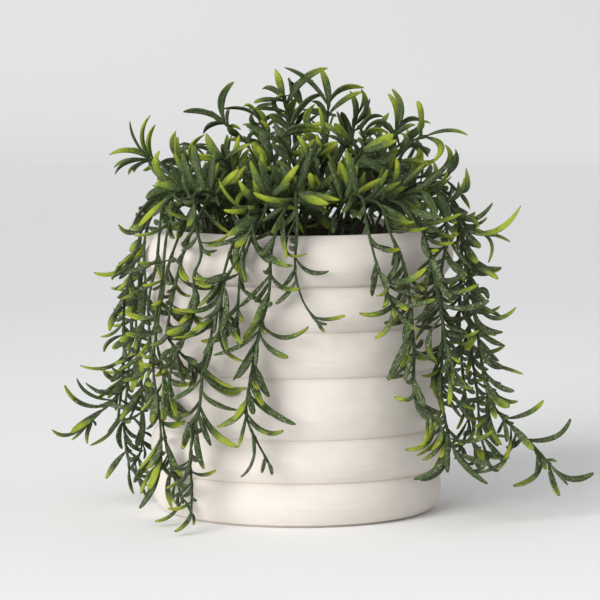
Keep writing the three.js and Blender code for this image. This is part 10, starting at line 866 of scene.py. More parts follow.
    [91.36,-44.72,66.35,99.4,-44.72,56.66,107.04,-44.72,58.59,4,2.3,-0.28,0.77,-0.57,0.42],
    [80.51,-45.61,135.25,83.4,-50.51,129.77,86.45,-56.98,126.41,4.62,2.05,-0.89,-0.13,-0.43,0.55],
    [67.01,-45.97,159.46,70.86,-50.18,153.49,73.1,-55.93,148,5.07,2.05,-0.79,0.19,-0.58,0.08],
    [55.4,-39.52,161.87,57.7,-45.14,166.63,55.95,-49.35,172.85,4.98,2.05,-0.5,-0.66,-0.57,0.04],
    [45.96,-26.89,151.66,52.12,-32.68,150.72,57.85,-36.98,146.12,4.89,2.05,0.62,0.78,-0.09,0.53],
    [83.93,-45.31,112.54,86.97,-40.05,107.69,89.99,-32.89,107.93,5.1,2.05,0.9,-0.44,0,0.47],
    [81.93,-45.49,125.87,81.15,-50.84,121.12,79.26,-57.5,123.09,3.41,2.05,-0.96,0.24,-0.13,0.16],
    [88.32,-44.96,85.42,88.57,-39.51,78.22,86.93,-30.64,78.78,4.56,2.05,1,0.1,0,0.25],
    [102.63,-44.44,47.86,109.34,-48.47,41.31,113.9,-56.02,36.17,4.4,2.05,-0.71,0.03,-0.71,0.44],
    [86.16,-45.14,99.24,88.59,-39.78,93.26,91,-32.07,92.5,4.03,2.05,0.84,-0.51,-0.19,0.56],
    [49.81,-32.58,157.42,57.6,-36.91,155,63.31,-36.95,147.74,5.34,2.05,0.62,0.3,0.73,0.59],
    [63.04,-45.44,162.32,69.69,-48.04,163.36,72.41,-49.15,169.95,3.92,2.05,-0.42,-0.9,0.08,0.51],
    [52.4,-36.02,159.95,49.72,-40.31,167.19,41.71,-37.69,169.86,4.86,2.05,-0.58,-0.42,-0.7,0.04],
    [96.73,-44.54,53.95,101.14,-50.58,50.22,101.18,-58.54,52.74,3.32,2.05,-0.63,-0.14,-0.76,0.24],
    [58.89,-42.89,162.97,60.09,-50.35,162.68,57.68,-57.43,161.82,4.58,2.05,0.54,-0.69,-0.49,0.12],
    [81.56,-45.53,128.93,87.54,-45.91,118.66,98.37,-45.93,122.74,4,1.97,-0.15,-0.93,-0.34,0.48],
    [103.8,-44.42,46.83,104.39,-46.93,33.54,97.54,-45.2,24.98,4,1.97,-0.33,0.94,0.06,0.83],
    [108.87,-44.33,42.11,107.94,-41.11,35.94,101.67,-38.05,35.09,3.95,1.95,0.01,0.75,0.66,0.22],
    [116.35,-44.19,34.75,116.89,-45.9,28.56,115.09,-48.23,22.81,3.58,1.95,0,0.95,-0.32,0.1],
    [83.2,-45.37,116.97,76.46,-44.99,112.01,68.19,-44.66,113.38,3.91,1.95,0.15,0.88,-0.45,0.53],
    [92.5,-44.66,61.84,94.44,-47.37,55.8,95.98,-52,50.91,4.38,1.95,-0.95,0.03,-0.32,0.42],
    [95.31,-44.57,56.01,90.89,-41.03,47.45,81.37,-38.4,50.23,4.15,1.95,0.38,0.92,0.06,0.75],
    [113.87,-44.24,37.22,118.25,-41.04,30.58,121.59,-36.63,24.04,3.66,1.95,0.64,0.44,0.63,0.46],
    [86.55,-45.11,96.77,90.84,-44.01,92.23,96.67,-42.37,90.36,4.25,1.95,0.31,-0.94,0.09,0.85],
    [82.67,-45.42,120.43,85.26,-47.96,115.63,88.13,-51.02,111.3,4.41,1.95,-0.71,-0.7,0.01,0.14],
    [93.82,-44.61,58.61,92.76,-48.38,49.29,85,-54.45,46.97,4.32,1.95,-0.07,0.79,-0.61,0.49],
    [88.08,-44.98,86.9,90.58,-51.26,81.36,93.09,-58.4,76.98,3.91,1.95,-0.96,-0.21,-0.2,0.06],
    [99.39,-44.49,50.98,101.72,-46.4,45.05,101.42,-49.74,39.3,4.5,1.95,-0.36,0.82,-0.43,0.12],
    [88.65,-44.94,83.45,93.58,-50.45,78.62,98.93,-57.26,76.93,3.7,1.95,-0.75,-0.66,0.08,0.15],
    [84.18,-45.29,111.06,88.62,-43.83,104.49,95.35,-41.22,100.88,3.89,1.95,0.26,-0.96,-0.1,0.57],
    [87.24,-45.05,92.33,84.33,-49.23,87.88,80.93,-53.85,84.31,4.06,1.95,-0.87,0.23,0.43,0.83],
    [69.64,-45.93,157.16,65.24,-40.85,148.96,58.36,-35.69,142.75,4.25,1.95,0.03,0.83,0.56,0.19],
    [44.34,-24.27,147.74,54.75,-28.22,151.7,66.37,-30.36,151.32,4.62,1.95,0.13,0.82,0.56,0.59],
    [106.34,-44.37,44.53,105.38,-43.15,36.64,100.23,-41.72,30.62,3.45,1.95,-0.17,0.95,0.26,0.15],
    [77.47,-45.76,146.31,75.69,-50.24,140.07,72.76,-55.49,134.96,3.87,1.95,-0.6,0.71,-0.36,0.78],
    [73.99,-45.85,152.35,71.58,-44.55,145.46,64.41,-43.25,144.02,4.6,1.95,0.23,0.97,0.04,0.79],
    [91,-44.74,68.15,94.59,-40.71,62.49,98.59,-35.67,58.03,3.86,1.95,0.85,-0.13,0.52,0.15],
    [85.76,-45.17,101.7,81.96,-42.19,98.14,76.97,-38.86,98.21,3.64,1.95,0.63,0.71,-0.32,0.17],
    [80.11,-45.63,137.21,84.2,-42.6,133.83,88.8,-38.58,133.41,4.91,1.95,0.65,-0.76,0.07,0.07],
    [47.54,-29.31,154.41,54.92,-32.31,159.7,63.95,-29.77,161.51,4.81,1.95,-0.33,0.51,0.79,0.51],
    [78.14,-45.73,144.43,77.93,-40.92,136.97,77.17,-35.44,130.01,4.03,1.95,0.4,0.76,0.52,0.51],
    [72.08,-45.88,154.66,77.43,-50.29,158.19,77.26,-53.53,165.26,3.85,1.95,-0.18,-0.84,-0.52,0.07],
    [111.02,-44.29,40.02,120.15,-39.8,38.02,127.35,-33.15,41.43,4.42,1.95,0.51,-0.79,0.33,0.02]]],
  ["trailing_stem_22", [[21.6,40.62,135.75], [21.6,40.62,144.35], [24.26,45.63,153.66], [26.55,49.94,157.92], [29.41,55.31,160.28], [31.44,59.13,160.71], [32.44,61.02,160.31], [34.13,64.19,157.93], [35.96,67.63,152.69], [37.81,71.11,144.91], [38.67,72.06,138.53], [38.4,72.22,132], [34.41,74.68,119.81], [33.76,75.35,111.16], [35.04,75.07,102.55], [39.74,73.19,90.49], [44.17,71.22,76]], [
    [35.33,74.14,122.72,38.93,76.77,114.98,45,79.17,109.12,4.7,2.05,0.38,-0.86,-0.35,0.79],
    [33.19,62.41,159.54,33.27,69.8,157.44,31.54,77.25,156.67,4.57,2.05,0.92,0.17,0.36,0.25],
    [41.78,72.3,84.07,44.73,75.45,78.88,47.36,81.54,77.64,5.39,2.05,0.84,-0.13,0.53,0.91],
    [33.76,75.34,111.51,39.44,72.89,105.8,46.41,68.77,102.4,4.22,2.05,0.28,-0.8,0.52,0.53],
    [40.15,73.01,89.27,44.8,68.6,87.21,48.87,63.84,89.72,4.35,2.05,-0.72,-0.69,-0.09,0.58],
    [35,65.83,155.7,36.91,74.74,155.07,37.31,82.33,160.13,3.77,2.05,0.84,-0.25,0.49,0.25],
    [33.99,74.98,117.47,37.39,77.08,109.46,45.59,82.83,107.7,4.84,1.95,0.69,-0.7,0.17,0.53],
    [30.71,57.76,160.66,32.1,62.65,168.67,29.86,61.17,177.78,4.96,2.05,0.97,-0.24,0.1,0.21],
    [37.64,70.79,145.72,38.68,77.59,138.3,37.07,87.67,140.7,4.35,2.05,0.81,0.57,0.15,0.05],
    [23.6,44.38,151.49,22.9,52.88,156.54,19.41,61.81,155.98,3.47,2.05,-0.69,-0.42,0.59,0.25],
    [35.96,74.72,99.81,45.12,72.32,98.48,53.92,70.22,101.59,4.18,2.05,-0.26,-0.93,0.25,0.49],
    [34.49,75.24,105.07,41.29,78.17,98.14,48.81,81.71,92.33,5.08,2.05,0.68,-0.54,0.49,0.18],
    [25.34,47.67,156.14,26.51,51.47,164.75,22.92,48.4,172.97,5.08,2.05,0.34,-0.94,0.09,0.8],
    [38.59,72.03,139.46,43.17,74.65,132.08,48.95,78.02,125.95,4.7,1.95,0.43,-0.9,-0.07,0.79],
    [34.72,74.5,120.85,35.24,71.32,111.46,38.34,65,104.47,3.94,1.95,-0.85,-0.52,0.12,0.1],
    [40.91,72.68,86.91,49.42,73.13,84.59,58.14,73.78,83.35,3.72,1.95,0,-0.96,-0.29,0.86],
    [38.45,72.18,132.49,31.92,75,130.51,25.15,77.77,131.47,3.47,1.95,0.36,0.9,0.26,0.11],
    [38.72,72.03,136.47,42.22,69.83,127.31,48.53,65.93,120.53,3.64,1.95,-0.78,-0.56,-0.27,0.43],
    [39.15,73.44,92.05,37.96,80.13,85.18,33.11,87.42,89.25,3.38,1.95,0.79,0.43,0.44,0.25],
    [37.85,72.65,129.6,43.77,74.26,124.15,51.21,74.08,127.59,4.39,1.95,0.15,-0.93,0.33,0.48],
    [38.17,71.66,142.9,43.79,71.95,134.15,50.98,71.29,126.66,3.69,1.95,-0.7,-0.48,-0.54,0.55]]],
  ["trailing_stem_23", [[5.02,47.74,135.35], [5.02,47.74,143.95], [5.8,55.16,157.44], [6.33,60.18,161.66], [6.75,64.18,163.43], [7.2,68.5,163.48], [7.4,70.4,162.41], [7.7,73.29,159.11], [8.05,76.61,153.4], [8.43,80.15,145.34], [8.75,81.15,141.06], [8.6,81.34,132.29], [2.98,82.14,120.39], [1.91,82.36,116.13], [1.67,82.54,111.73], [2.53,82.73,105.19], [3.93,82.78,101.01], [9.2,82.74,91.33], [14.79,82.35,79.35], [15.75,82.35,75.06], [15.8,82.52,70.66], [13.98,83.13,62.07], [6.8,84.5,48.5], [1.58,85.29,34]], [
    [1.71,82.57,110.98,-2.71,85.38,102.51,-8.9,89.02,95.6,4.28,2.05,0.55,0.84,-0.03,0.09],
    [6.79,64.59,163.5,5.16,70.67,169.17,1.07,68.77,176.34,5.36,2.05,0.91,0.23,0.33,0.76],
    [14.78,82.35,79.36,22.29,87.28,77.04,25.15,91.47,84.78,5.04,2.05,0.64,0.07,-0.76,0.81],
    [15.84,82.4,73.48,19.86,81.49,65.75,28.2,78.85,65.42,5.25,2.05,-0.4,-0.89,-0.22,0.43],
    [8.11,77.19,152.21,11.13,78.68,144.77,17.72,75.18,141.42,4.56,2.05,0.18,-0.82,-0.54,0.94],
    [2.36,82.71,106.03,-0.27,88.6,100.14,-5.28,95.56,101.82,4.84,2.05,0.86,0.4,-0.32,0.47],
    [10.16,82.7,89.33,17.49,78.5,84.56,24.18,72.01,87.29,5.2,2.05,-0.6,-0.72,-0.34,0.53],
    [7.81,74.34,157.49,5.94,84.13,155.27,2.81,91.08,162.05,4.45,2.05,0.92,0.33,-0.2,0.25],
    [5.47,52,152.28,1.39,49.88,159.37,-3.94,43.4,160.34,4.07,2.05,0.67,-0.75,-0.02,0.4],
    [7.12,81.64,128.28,-0.23,86.57,123.57,-7.86,92.45,120.76,4.78,2.05,0.57,0.82,0.04,0.04],
    [13.84,83.16,61.73,13.81,80.79,56.5,19.03,74.92,52.29,2.72,1.58,-0.61,-0.63,0.47,0.86],
    [2.23,82.27,117.93,-5.32,83.6,115.66,-13.2,84.95,116.16,4.24,2.05,0.15,0.97,0.17,0.17],
    [7.98,84.3,50.77,-1.44,83.37,46.92,-11.37,81.96,45.02,3.85,1.95,-0.05,0.97,-0.23,0.45],
    [2.55,85.15,36.84,-4.03,89.48,30.05,-11.41,95.12,25.37,4.25,1.95,0.25,0.86,0.44,0.08],
    [8.33,79.24,147.66,4.23,80.71,138.82,-3.2,79.63,132.43,3.52,1.95,-0.28,0.93,0.24,0.06],
    [4.45,84.88,42.52,0.23,81.94,34.63,-4.45,75.55,29.54,3.73,1.95,-0.86,0.12,0.5,0.57],
    [5.73,54.54,156.57,14.22,56.9,161.24,23.96,55.03,160.22,3.72,1.95,-0.01,1,-0.09,0.05],
    [8.22,78.25,149.95,11.79,78.98,140.42,16.47,78.22,131.38,3.75,1.95,-0.86,-0.35,-0.38,0.58],
    [15.18,82.79,66.54,18.5,80.25,58.17,22.55,77.29,50.27,4.76,1.95,-0.51,-0.86,0.06,0.55],
    [15.61,82.34,75.96,22.85,82.77,69.34,32.38,83.31,67.07,4.75,1.95,-0.1,-0.95,-0.3,0.53],
    [6.18,58.79,160.72,1.72,66.49,168.12,-8.17,68.88,173.64,4.66,1.95,0.26,-0.6,0.76,0.15],
    [6.87,82.78,95.51,9.79,86.42,86.58,8.77,94.2,80.25,4.85,1.95,0.47,0.68,0.57,0.79],
    [5.37,51.1,150.49,7.61,51.69,162.12,10.18,51.2,173.69,4.52,1.95,0.84,0.51,-0.18,0.07],
    [6.49,61.79,162.5,13.89,58.54,170.81,21.13,53.43,178.29,4.85,1.95,0.58,0.81,-0.11,0.57],
    [12.82,82.51,83.96,20.6,82.33,84.04,25.18,82.42,90.32,4.3,1.95,0.21,-0.89,-0.41,0.55]]],
  ["trailing_stem_24", [[-10.89,43.66,135.94], [-10.89,43.66,144.54], [-12.35,49.51,153.71], [-13.16,52.77,156.51], [-15.16,60.79,159.4], [-16.73,67.12,159.27], [-17.62,70.69,156.96], [-18.6,74.59,151.75], [-19.57,78.43,143.92], [-20.07,79.23,139.64], [-20.21,79.23,135.25], [-19.49,79.5,130.94], [-13.94,81.06,119.11], [-13.21,81.55,110.41], [-15.06,81.47,101.85], [-21.16,80.56,90.2], [-26.95,79.35,76]], [
    [-13.19,81.41,114.09,-16.58,83.74,104.77,-23.44,87.53,98.26,4.02,2.05,0.59,0.8,-0.07,0.5],
    [-15.28,81.45,101.36,-22.72,83.15,94.6,-31.97,86.72,92.22,5.01,2.05,0.49,0.73,-0.48,0.12],
    [-15.81,63.41,159.67,-21.37,69.32,163.27,-27.85,67.26,168.98,4.66,2.05,0.62,0.05,0.78,0.47],
    [-21.52,80.49,89.41,-23.07,82.89,80.37,-23.77,86.28,71.53,3.98,2.05,0.97,-0.19,-0.18,0.09],
    [-26.02,79.55,78.32,-27.28,83.02,70.16,-26.27,89.77,64.28,5.06,2.05,-0.33,-0.85,-0.42,0.19],
    [-18.52,80.99,95.17,-26,79.73,93.84,-32.85,78.54,97.15,4.85,2.05,-0.11,0.94,0.33,0.04],
    [-20.21,79.24,135.61,-16.64,79.96,128.64,-10.92,81.16,123.36,4.38,1.95,0.54,-0.8,0.28,0.47],
    [-16.29,65.35,159.62,-16.1,67.92,169.14,-15.52,68.97,178.93,4.85,1.95,0.74,0.65,-0.15,0.42],
    [-14.28,81.55,104.19,-13.23,79.09,97.07,-9.02,74.82,92.4,3.72,1.95,-0.86,-0.51,-0.09,0.22],
    [-19.79,78.91,142.08,-25.06,78.3,131.87,-32.7,75.51,123.74,4.39,1.95,-0.41,0.9,0.12,0.5],
    [-13.71,81.15,118.05,-15.46,88.85,112.25,-19.67,97.18,115.21,3.48,1.95,0.94,0.35,0.03,0.16],
    [-24.56,79.87,82.03,-20.85,82.04,74.38,-13.87,85.31,70.18,3.81,1.95,0.51,-0.85,0.07,0.49],
    [-13.2,81.54,110.59,-11.07,85.79,105.61,-7.94,91.39,103.1,4.6,1.95,0.87,-0.49,-0.03,0.1],
    [-11.46,45.97,148.19,-5.88,49.19,157.79,0.57,51.9,167,4.6,1.95,0.52,0.67,-0.54,0.57],
    [-17.1,68.57,158.57,-22.96,73.13,164.37,-27.31,72.45,172.7,4.67,1.95,0.74,0.54,0.39,0.05],
    [-18.85,79.71,129.32,-17.85,83.67,123.38,-17.83,88.8,118.33,4.53,1.95,0.83,0.39,0.4,0.44],
    [-20.44,80.68,91.66,-18.62,78.76,83.07,-11.45,76.49,78.13,3.8,1.95,0,-0.96,0.3,0.14],
    [-12.33,49.44,153.62,-17,53.98,159.04,-25.47,54.03,158.96,4.81,1.95,-0.11,-0.87,0.48,0.05],
    [-18.14,72.76,154.47,-11.43,76.09,155.29,-4.94,76.82,159.03,3.96,1.95,0.4,-0.34,-0.85,0.81],
    [-19.15,76.8,147.65,-22.2,77.96,141.12,-27.5,75.97,136.51,4.13,1.95,-0.46,0.84,0.28,0.17],
    [-13.82,55.41,157.77,-18.9,61,165.32,-24.76,57.03,173.31,3.71,1.95,0.82,0.04,0.57,0.5],
    [-13.06,52.37,156.22,-11.55,59.32,163.19,-3.59,59.22,169.16,3.99,1.95,0.47,0.59,-0.66,0.46],
    [-17.67,70.87,156.76,-25.07,67.9,151.13,-32.49,63.67,146.43,4.8,1.95,-0.65,0.44,0.62,0.48]]],
  ["trailing_stem_25", [[-26.84,39.79,135.35], [-26.84,39.79,143.95], [-31.17,46.21,157.15], [-34.1,50.55,161.06], [-36.39,53.95,162.58], [-38.79,57.51,162.26], [-39.83,59.04,161.12], [-42.08,62.39,155.96], [-43.83,64.99,150.18], [-45.24,67.11,144.13], [-45.45,67.93,139.85], [-45.35,68.04,135.47], [-45.97,67.71,131.16], [-50.85,64.63,119.38], [-51.77,64.36,110.72], [-50.56,65.63,102.16], [-42,72.3,80.68], [-41.01,73.06,76.49], [-40.84,73.36,72.13], [-41.34,73.27,67.78], [-42.93,72.56,61.45], [-49.31,68.99,48]], [
    [-27.76,41.16,146.88,-27.15,49.06,152.82,-21.78,56.24,148.62,4.06,2.05,-0.51,0.3,-0.8,0.07],
    [-43.17,71.48,83.85,-43.48,74.35,76.87,-46.61,77.69,70.86,4.41,2.05,0.18,0.9,0.38,0.46],
    [-46.69,67.32,129.07,-54.43,66.07,124.78,-62.18,66.66,129.2,5.38,2.05,-0.04,0.99,-0.14,0.92],
    [-49.58,66.47,99.35,-46.38,72.54,95.18,-44.69,79.92,97.86,4.4,2.05,0.87,-0.27,0.42,0.25],
    [-51.19,64.45,117.82,-53.7,66.01,112.26,-56.62,71.4,109.39,4.05,2.05,0.85,0.5,-0.2,0.42],
    [-29.06,43.08,151.31,-32.22,42.07,157.23,-38.77,38.76,157.48,3.6,1.89,-0.23,-0.66,-0.71,0.59],
    [-33.61,49.82,160.54,-35.64,49.87,167.35,-35.09,45.25,172.72,4.17,2.05,0.7,0.64,0.32,0.2],
    [-48.02,69.72,50.61,-45.13,68.32,44.98,-39.14,67.78,42.52,4.91,2.05,0.51,-0.45,0.74,0.85],
    [-44.63,66.16,147.05,-44.04,65.18,140.72,-40.93,64.7,135.4,3.95,2.05,-1,-0.01,0.06,0.04],
    [-51.77,64.33,111.36,-54.38,67.75,106.8,-58.06,72.36,104.66,4.86,2.05,0.83,0.53,-0.15,0.54],
    [-41.25,72.86,77.8,-36.74,75.04,71.92,-29.59,78.51,72.03,3.83,2.05,0.52,-0.83,-0.19,0.08],
    [-44.93,71.48,56.64,-40.42,67.49,49.97,-31.8,65.91,52,4.65,1.95,-0.19,-0.85,0.48,0.43],
    [-35.1,52.04,161.88,-36.52,53.43,172.61,-35.34,50.84,183.14,3.48,1.95,0.98,0.19,0.02,0.4],
    [-41.11,73.33,69.37,-43.41,78.82,66.21,-44.77,84.37,69.79,3.2,1.95,0.9,0.31,-0.31,0.25],
    [-51.65,64.27,114.35,-56.79,60.56,109.71,-62.98,55.88,108.46,3.94,1.95,-0.67,0.67,0.33,0.13],
    [-31.59,46.83,157.86,-31.76,45.33,167.93,-31.27,42.67,177.73,4.55,1.95,0.8,0.58,0.11,0.03],
    [-41.13,60.98,158.43,-34.69,70.05,160.55,-27.65,70.8,169.38,4.25,1.95,0.72,-0.58,-0.37,0.53],
    [-30.5,45.21,155.6,-37.09,46.91,163.42,-45.67,44.57,168.77,4.42,1.95,0.64,0.16,0.75,0.5],
    [-41.72,73.12,65.93,-48.55,73.51,58.15,-57.28,74.63,52.7,4.3,1.95,-0.17,0.94,0.3,0.17],
    [-46.23,70.74,54.04,-52.74,69.1,49.06,-60.77,69.38,51.35,4.59,1.95,-0.1,0.99,0.04,0.59],
    [-43.55,72.24,59.76,-47.44,74.51,52.46,-51.44,78.23,45.85,4.47,1.95,0.89,0.2,-0.42,0.57],
    [-45.47,67.95,133.86,-46.18,70.93,126.91,-46.49,77.81,123.7,4.59,1.95,0.95,0.27,0.17,0.1]]],
  ["trailing_stem_26", [[38.63,31.96,134.91], [38.63,31.96,139.51], [37.54,31.5,143.75], [42.92,36.02,157.38], [46.44,38.97,162.05], [49.34,41.4,164.23], [52.63,44.16,164.57], [54.08,45.38,163.51], [56.26,47.21,160.2], [59.49,49.92,152.52], [62,52.05,144.39], [62.45,52.71,140.09], [62.78,52.49,131.36], [65.58,49.52,121.2], [66.34,48.78,116.95], [66.64,48.92,108.21], [66.01,50.1,101.78], [61.24,56.9,81.49], [60.45,58.21,72.9], [61.81,57.32,62.09], [66.13,53.08,48]], [
    [66.54,48.66,114.67,64.27,51.02,107.72,58.67,56.19,108.62,3.86,2.05,0.7,0.72,-0.01,0.58],
    [58.48,49.07,155.18,67.59,49.51,150.54,77.4,49.15,147.69,3.87,2.05,-0.17,-0.88,-0.44,0.86],
    [40.58,34.05,151.8,48.18,32.73,157.73,54.24,27.25,152.69,4.51,2.05,0.65,-0.03,-0.76,0.85],
    [60.44,50.72,149.75,59.46,56.74,147,56.2,60.97,151.04,3.93,2.05,0.85,0.3,0.43,0.14],
    [56.38,47.31,159.95,60.9,51.81,157.18,65.48,56.87,158.53,4.03,2.05,0.72,-0.69,-0.02,0.51],
    [66.08,49.97,102.3,68.2,53.66,95.35,72.76,58.13,90.29,4.46,2.05,0.52,-0.81,-0.27,0.07],
    [62.32,55.48,86.11,63.7,60.2,78.39,66.67,65.56,71.59,5.39,2.05,0.68,-0.68,-0.27,0.57],
    [65.72,49.38,120.56,66.08,53.07,111.08,63.09,62.77,111.84,4.27,2.05,0.73,0.47,0.5,0.55],
    [61.89,57.25,61.77,68.22,52.52,59.8,74.01,48.39,63.75,4.87,2.05,-0.59,-0.81,0.01,0.18],
    [60.88,57.39,79.53,55.06,54.45,70.1,49.68,57.53,65.57,4.89,2.05,-0.54,0.76,-0.36,0.52],
    [62.35,52.51,141.69,67.46,53.86,132.8,77.79,54.18,132.76,4.35,1.95,-0.01,-0.98,-0.2,0.1],
    [62.46,52.75,134.2,70.25,51.91,129.84,78.43,51.07,126.27,3.84,1.95,0.11,-0.9,0.41,0.84],
    [45.01,37.77,160.49,54.19,36.8,167.91,63.19,31.28,173.25,4.48,1.95,0.51,-0.22,-0.83,0.42],
    [62.97,54.59,88.91,64.48,49.09,81.51,66.36,42.86,74.82,4.9,1.95,-0.98,-0.02,-0.22,0.07],
    [43.46,36.47,158.28,49.91,38.98,162.17,56.15,37.86,157.39,4.29,1.95,-0.13,0.91,-0.4,0.12],
    [66.67,48.68,111.67,63.15,56.56,105.76,58.68,66.02,105.61,3.68,1.95,0.71,0.5,0.5,0.51],
    [52.5,44.06,164.58,58.83,45.18,173.42,62.15,43.62,183.72,4.1,1.95,0.23,-0.96,-0.14,0.5],
    [63.72,53.52,92.16,61.66,59.49,90.98,60.84,63.93,95.53,4.39,1.95,0.8,0.37,-0.48,0.56],
    [49.86,41.84,164.4,60.38,40.92,167.74,69.97,36.16,170.56,4.58,1.95,0.28,-0.03,-0.96,0.87],
    [38.93,32.66,147.29,47.86,38.61,151.34,57.52,44.76,151.99,3.48,1.95,-0.55,0.83,0.03,0.04],
    [64.44,50.8,125.18,69.82,54.14,117.03,75.44,58.88,109.78,4.52,1.95,0.84,-0.32,0.43,0.21],
    [64.53,52.34,95.35,59.53,52.57,87.53,53.97,52.04,80.11,4.45,1.95,-0.62,0.66,0.42,0.19],
    [54.71,45.91,162.68,63.24,44.92,166.73,71.09,43.3,171.82,4.72,1.95,0.17,-0.82,-0.55,0.45],
    [64.17,55.04,53.89,63.31,52.22,45.86,54.94,51.44,44.3,3.57,1.95,-0.33,0.94,-0.04,0.45],
    [62.43,52.84,137.7,64.85,54.68,131.78,68.28,57.18,126.64,4.21,1.95,0.57,-0.82,-0.02,0.07]]],
  ["trailing_stem_27", [[-38.96,26.28,135.55], [-38.96,26.28,144.15], [-43.72,29.49,153.58], [-47.74,32.2,157.99], [-52.82,35.63,160.42], [-56.45,38.07,160.58], [-59.64,40.23,158.59], [-63.07,42.54,153.45], [-66.5,44.85,145.65], [-67.62,45.94,139.27], [-68.09,45.48,130.51], [-70.93,41.72,118.17], [-71.41,41.57,109.38], [-70.73,43.24,100.77], [-68.66,47.12,90.65], [-66.21,51.37,76]], [
    [-63.57,42.88,152.46,-69.86,43.36,151.27,-75.74,42.63,153.71,3.94,2.05,-0.02,1,0.04,0.18],
    [-69.32,43.89,125.52,-67.34,46.53,115.92,-62.66,52.07,108.54,5.34,2.05,0.45,-0.54,0.71,0.08],
    [-68.17,45.38,130.15,-73.11,47.81,121.58,-78.59,51.44,113.8,3.86,2.05,0.74,0.62,-0.24,0.76],
    [-65.92,44.46,147.17,-65.2,50.63,141.88,-64.78,54.44,134.56,3.23,1.89,0.26,-0.96,-0.13,0.1],
    [-40.43,27.27,146.99,-43.44,35.19,148.78,-42.89,41.4,142.77,4.56,2.05,-0.97,-0.21,-0.12,0.25],
    [-68.76,46.93,91.15,-67.16,52.17,86.62,-66.18,58.72,89.21,4,2.05,0.9,-0.13,0.41,0.1],
    [-67.59,46.02,136.06,-70.78,41.71,130.51,-75.2,36.05,133.31,3.91,2.05,-0.79,0.61,-0.02,0.13],
    [-51.68,34.86,160.04,-56.84,39.06,165.34,-61.35,43.02,171.37,3.89,2.05,0.35,0.88,-0.33,0.13],
    [-70.02,44.61,97.09,-64.3,46.05,92.56,-56.91,45.67,92.36,3.9,2.05,0.26,-0.94,-0.21,0.92],
    [-71.29,41.99,106.09,-65.21,47.34,102.76,-58.66,52.38,105.59,4.92,1.95,0.64,-0.77,0.06,0.53],
    [-58.16,39.23,159.9,-66.01,40.6,159.77,-69.77,36.48,165.47,4.12,1.95,0.06,0.84,0.54,0.53],
    [-71.05,42.56,103.16,-78.09,40.67,97.49,-85.56,38.45,92.56,4.51,1.95,-0.62,0.25,0.75,0.42],
    [-68.09,48.14,87.4,-62.77,49.41,83.36,-55.97,49.44,83.51,4.66,1.95,0.1,-0.99,-0.03,0.54],
    [-43.17,29.12,152.58,-49.8,32.46,152.43,-54.82,34.54,147.37,4.53,1.95,-0.43,-0.9,0.01,0.15],
    [-45.23,30.51,155.7,-43.77,27.15,166.11,-41.37,23.02,176.05,4.85,1.95,0.8,0.59,0.06,0.04],
    [-67.71,45.85,133.07,-73.87,48.36,126.18,-82.08,53.26,126.73,4.63,1.95,0.14,0.79,0.6,0.17],
    [-71.39,41.66,108.57,-72.05,35.98,104.83,-72.81,29.57,102.58,3.29,1.95,-0.95,0.22,-0.23,0.37],
    [-48.62,32.79,158.53,-54.87,27.71,162.77,-59.92,20.99,166.29,4.62,1.95,0.32,0.29,0.9,0.14],
    [-67.46,49.24,83.61,-68.11,53.86,79,-71.08,59.1,81.6,3.64,1.95,0.82,0.39,0.43,0.06],
    [-66.99,50.04,80.75,-61.45,53.27,72.66,-51.56,55.91,71.27,4.3,1.95,-0.16,-0.7,-0.7,0.85],
    [-68.84,44.54,127.35,-65.96,44.11,118.93,-59.36,46.06,113.27,3.45,1.95,0.36,-0.92,0.14,0.45],
    [-67.62,45.95,139.06,-70.21,53.26,134.9,-72.85,60.42,139.29,3.81,1.95,0.93,0.33,0.14,0.25]]],
  ["upright_stem_01", [[-36,-8,137.34], [-36,-8,141.94], [-35.39,-7.96,143.95], [-31.22,-7.79,148.73], [-31.82,-8,150.61], [-40.44,-9.5,158.44], [-49.8,-11,165.3], [-71.31,-14,173.57]], [
    [-71.05,-13.96,173.47,-79.7,-13.96,186.1,-71.21,-13.96,195.58,4,2.17,0.44,0.9,0,0.95],
    [-69.88,-13.8,172.99,-75.36,-17.7,183.01,-68.85,-14.51,191,4,2.17,0.47,0.88,-0.02,0.93],
    [-71.31,-14,173.57,-77.23,-9.77,178.31,-81.11,-11.42,179.41,3.55,1.78,0.35,0.91,0.22,0.95],
    [-70.39,-13.87,173.2,-84.58,-19.31,175.84,-88.71,-18.33,166.52,3.24,2.01,0.1,-0.7,0.71,0.12],
    [-70.55,-13.89,173.26,-80.24,-8.86,171.94,-79.76,-10.88,167.16,2.32,1.36,0.94,0.26,-0.22,0.83],
    [-68.71,-13.63,172.51,-72.7,-12.58,168.63,-75.25,-13.77,168.66,2.76,1.6,0.8,0.6,-0.06,0.84],
    [-52.68,-11.42,166.75,-58.49,-11.42,175.55,-67.02,-11.42,171.96,4.15,2.3,0.3,-0.49,0.82,0.05],
    [-44.78,-10.21,161.89,-44.92,-13.14,168.37,-38.6,-15.38,170.75,4.65,2.05,0.31,0.9,0.31,0.09],
    [-48.84,-10.85,164.7,-52.09,-20.01,166.28,-52.47,-29.72,166.01,4.47,2.05,-0.25,0.52,0.82,0.12],
    [-61.1,-12.59,169.85,-66.55,-20.34,170.2,-62.24,-28.37,167.3,4.63,2.05,-0.45,0.59,0.67,0.12],
    [-65.8,-13.23,171.37,-71.31,-21.33,172.19,-68.21,-29.69,168.07,3.89,1.95,-0.17,0.85,0.5,0.12],
    [-71.31,-14,173.57,-81.57,-13.49,181.62,-91.73,-16.09,176.12,4,2.3,-0.02,0.85,0.53,0.8],
    [-71.31,-14,173.57,-80.69,-16.25,182.73,-81.48,-14.14,192.65,2.6,1.56,0.04,1,0.03,0.15],
    [-71.31,-14,173.57,-84.73,-14.44,175.55,-89.38,-14.99,169.7,3.16,1.6,-0.13,0.92,0.37,0.57],
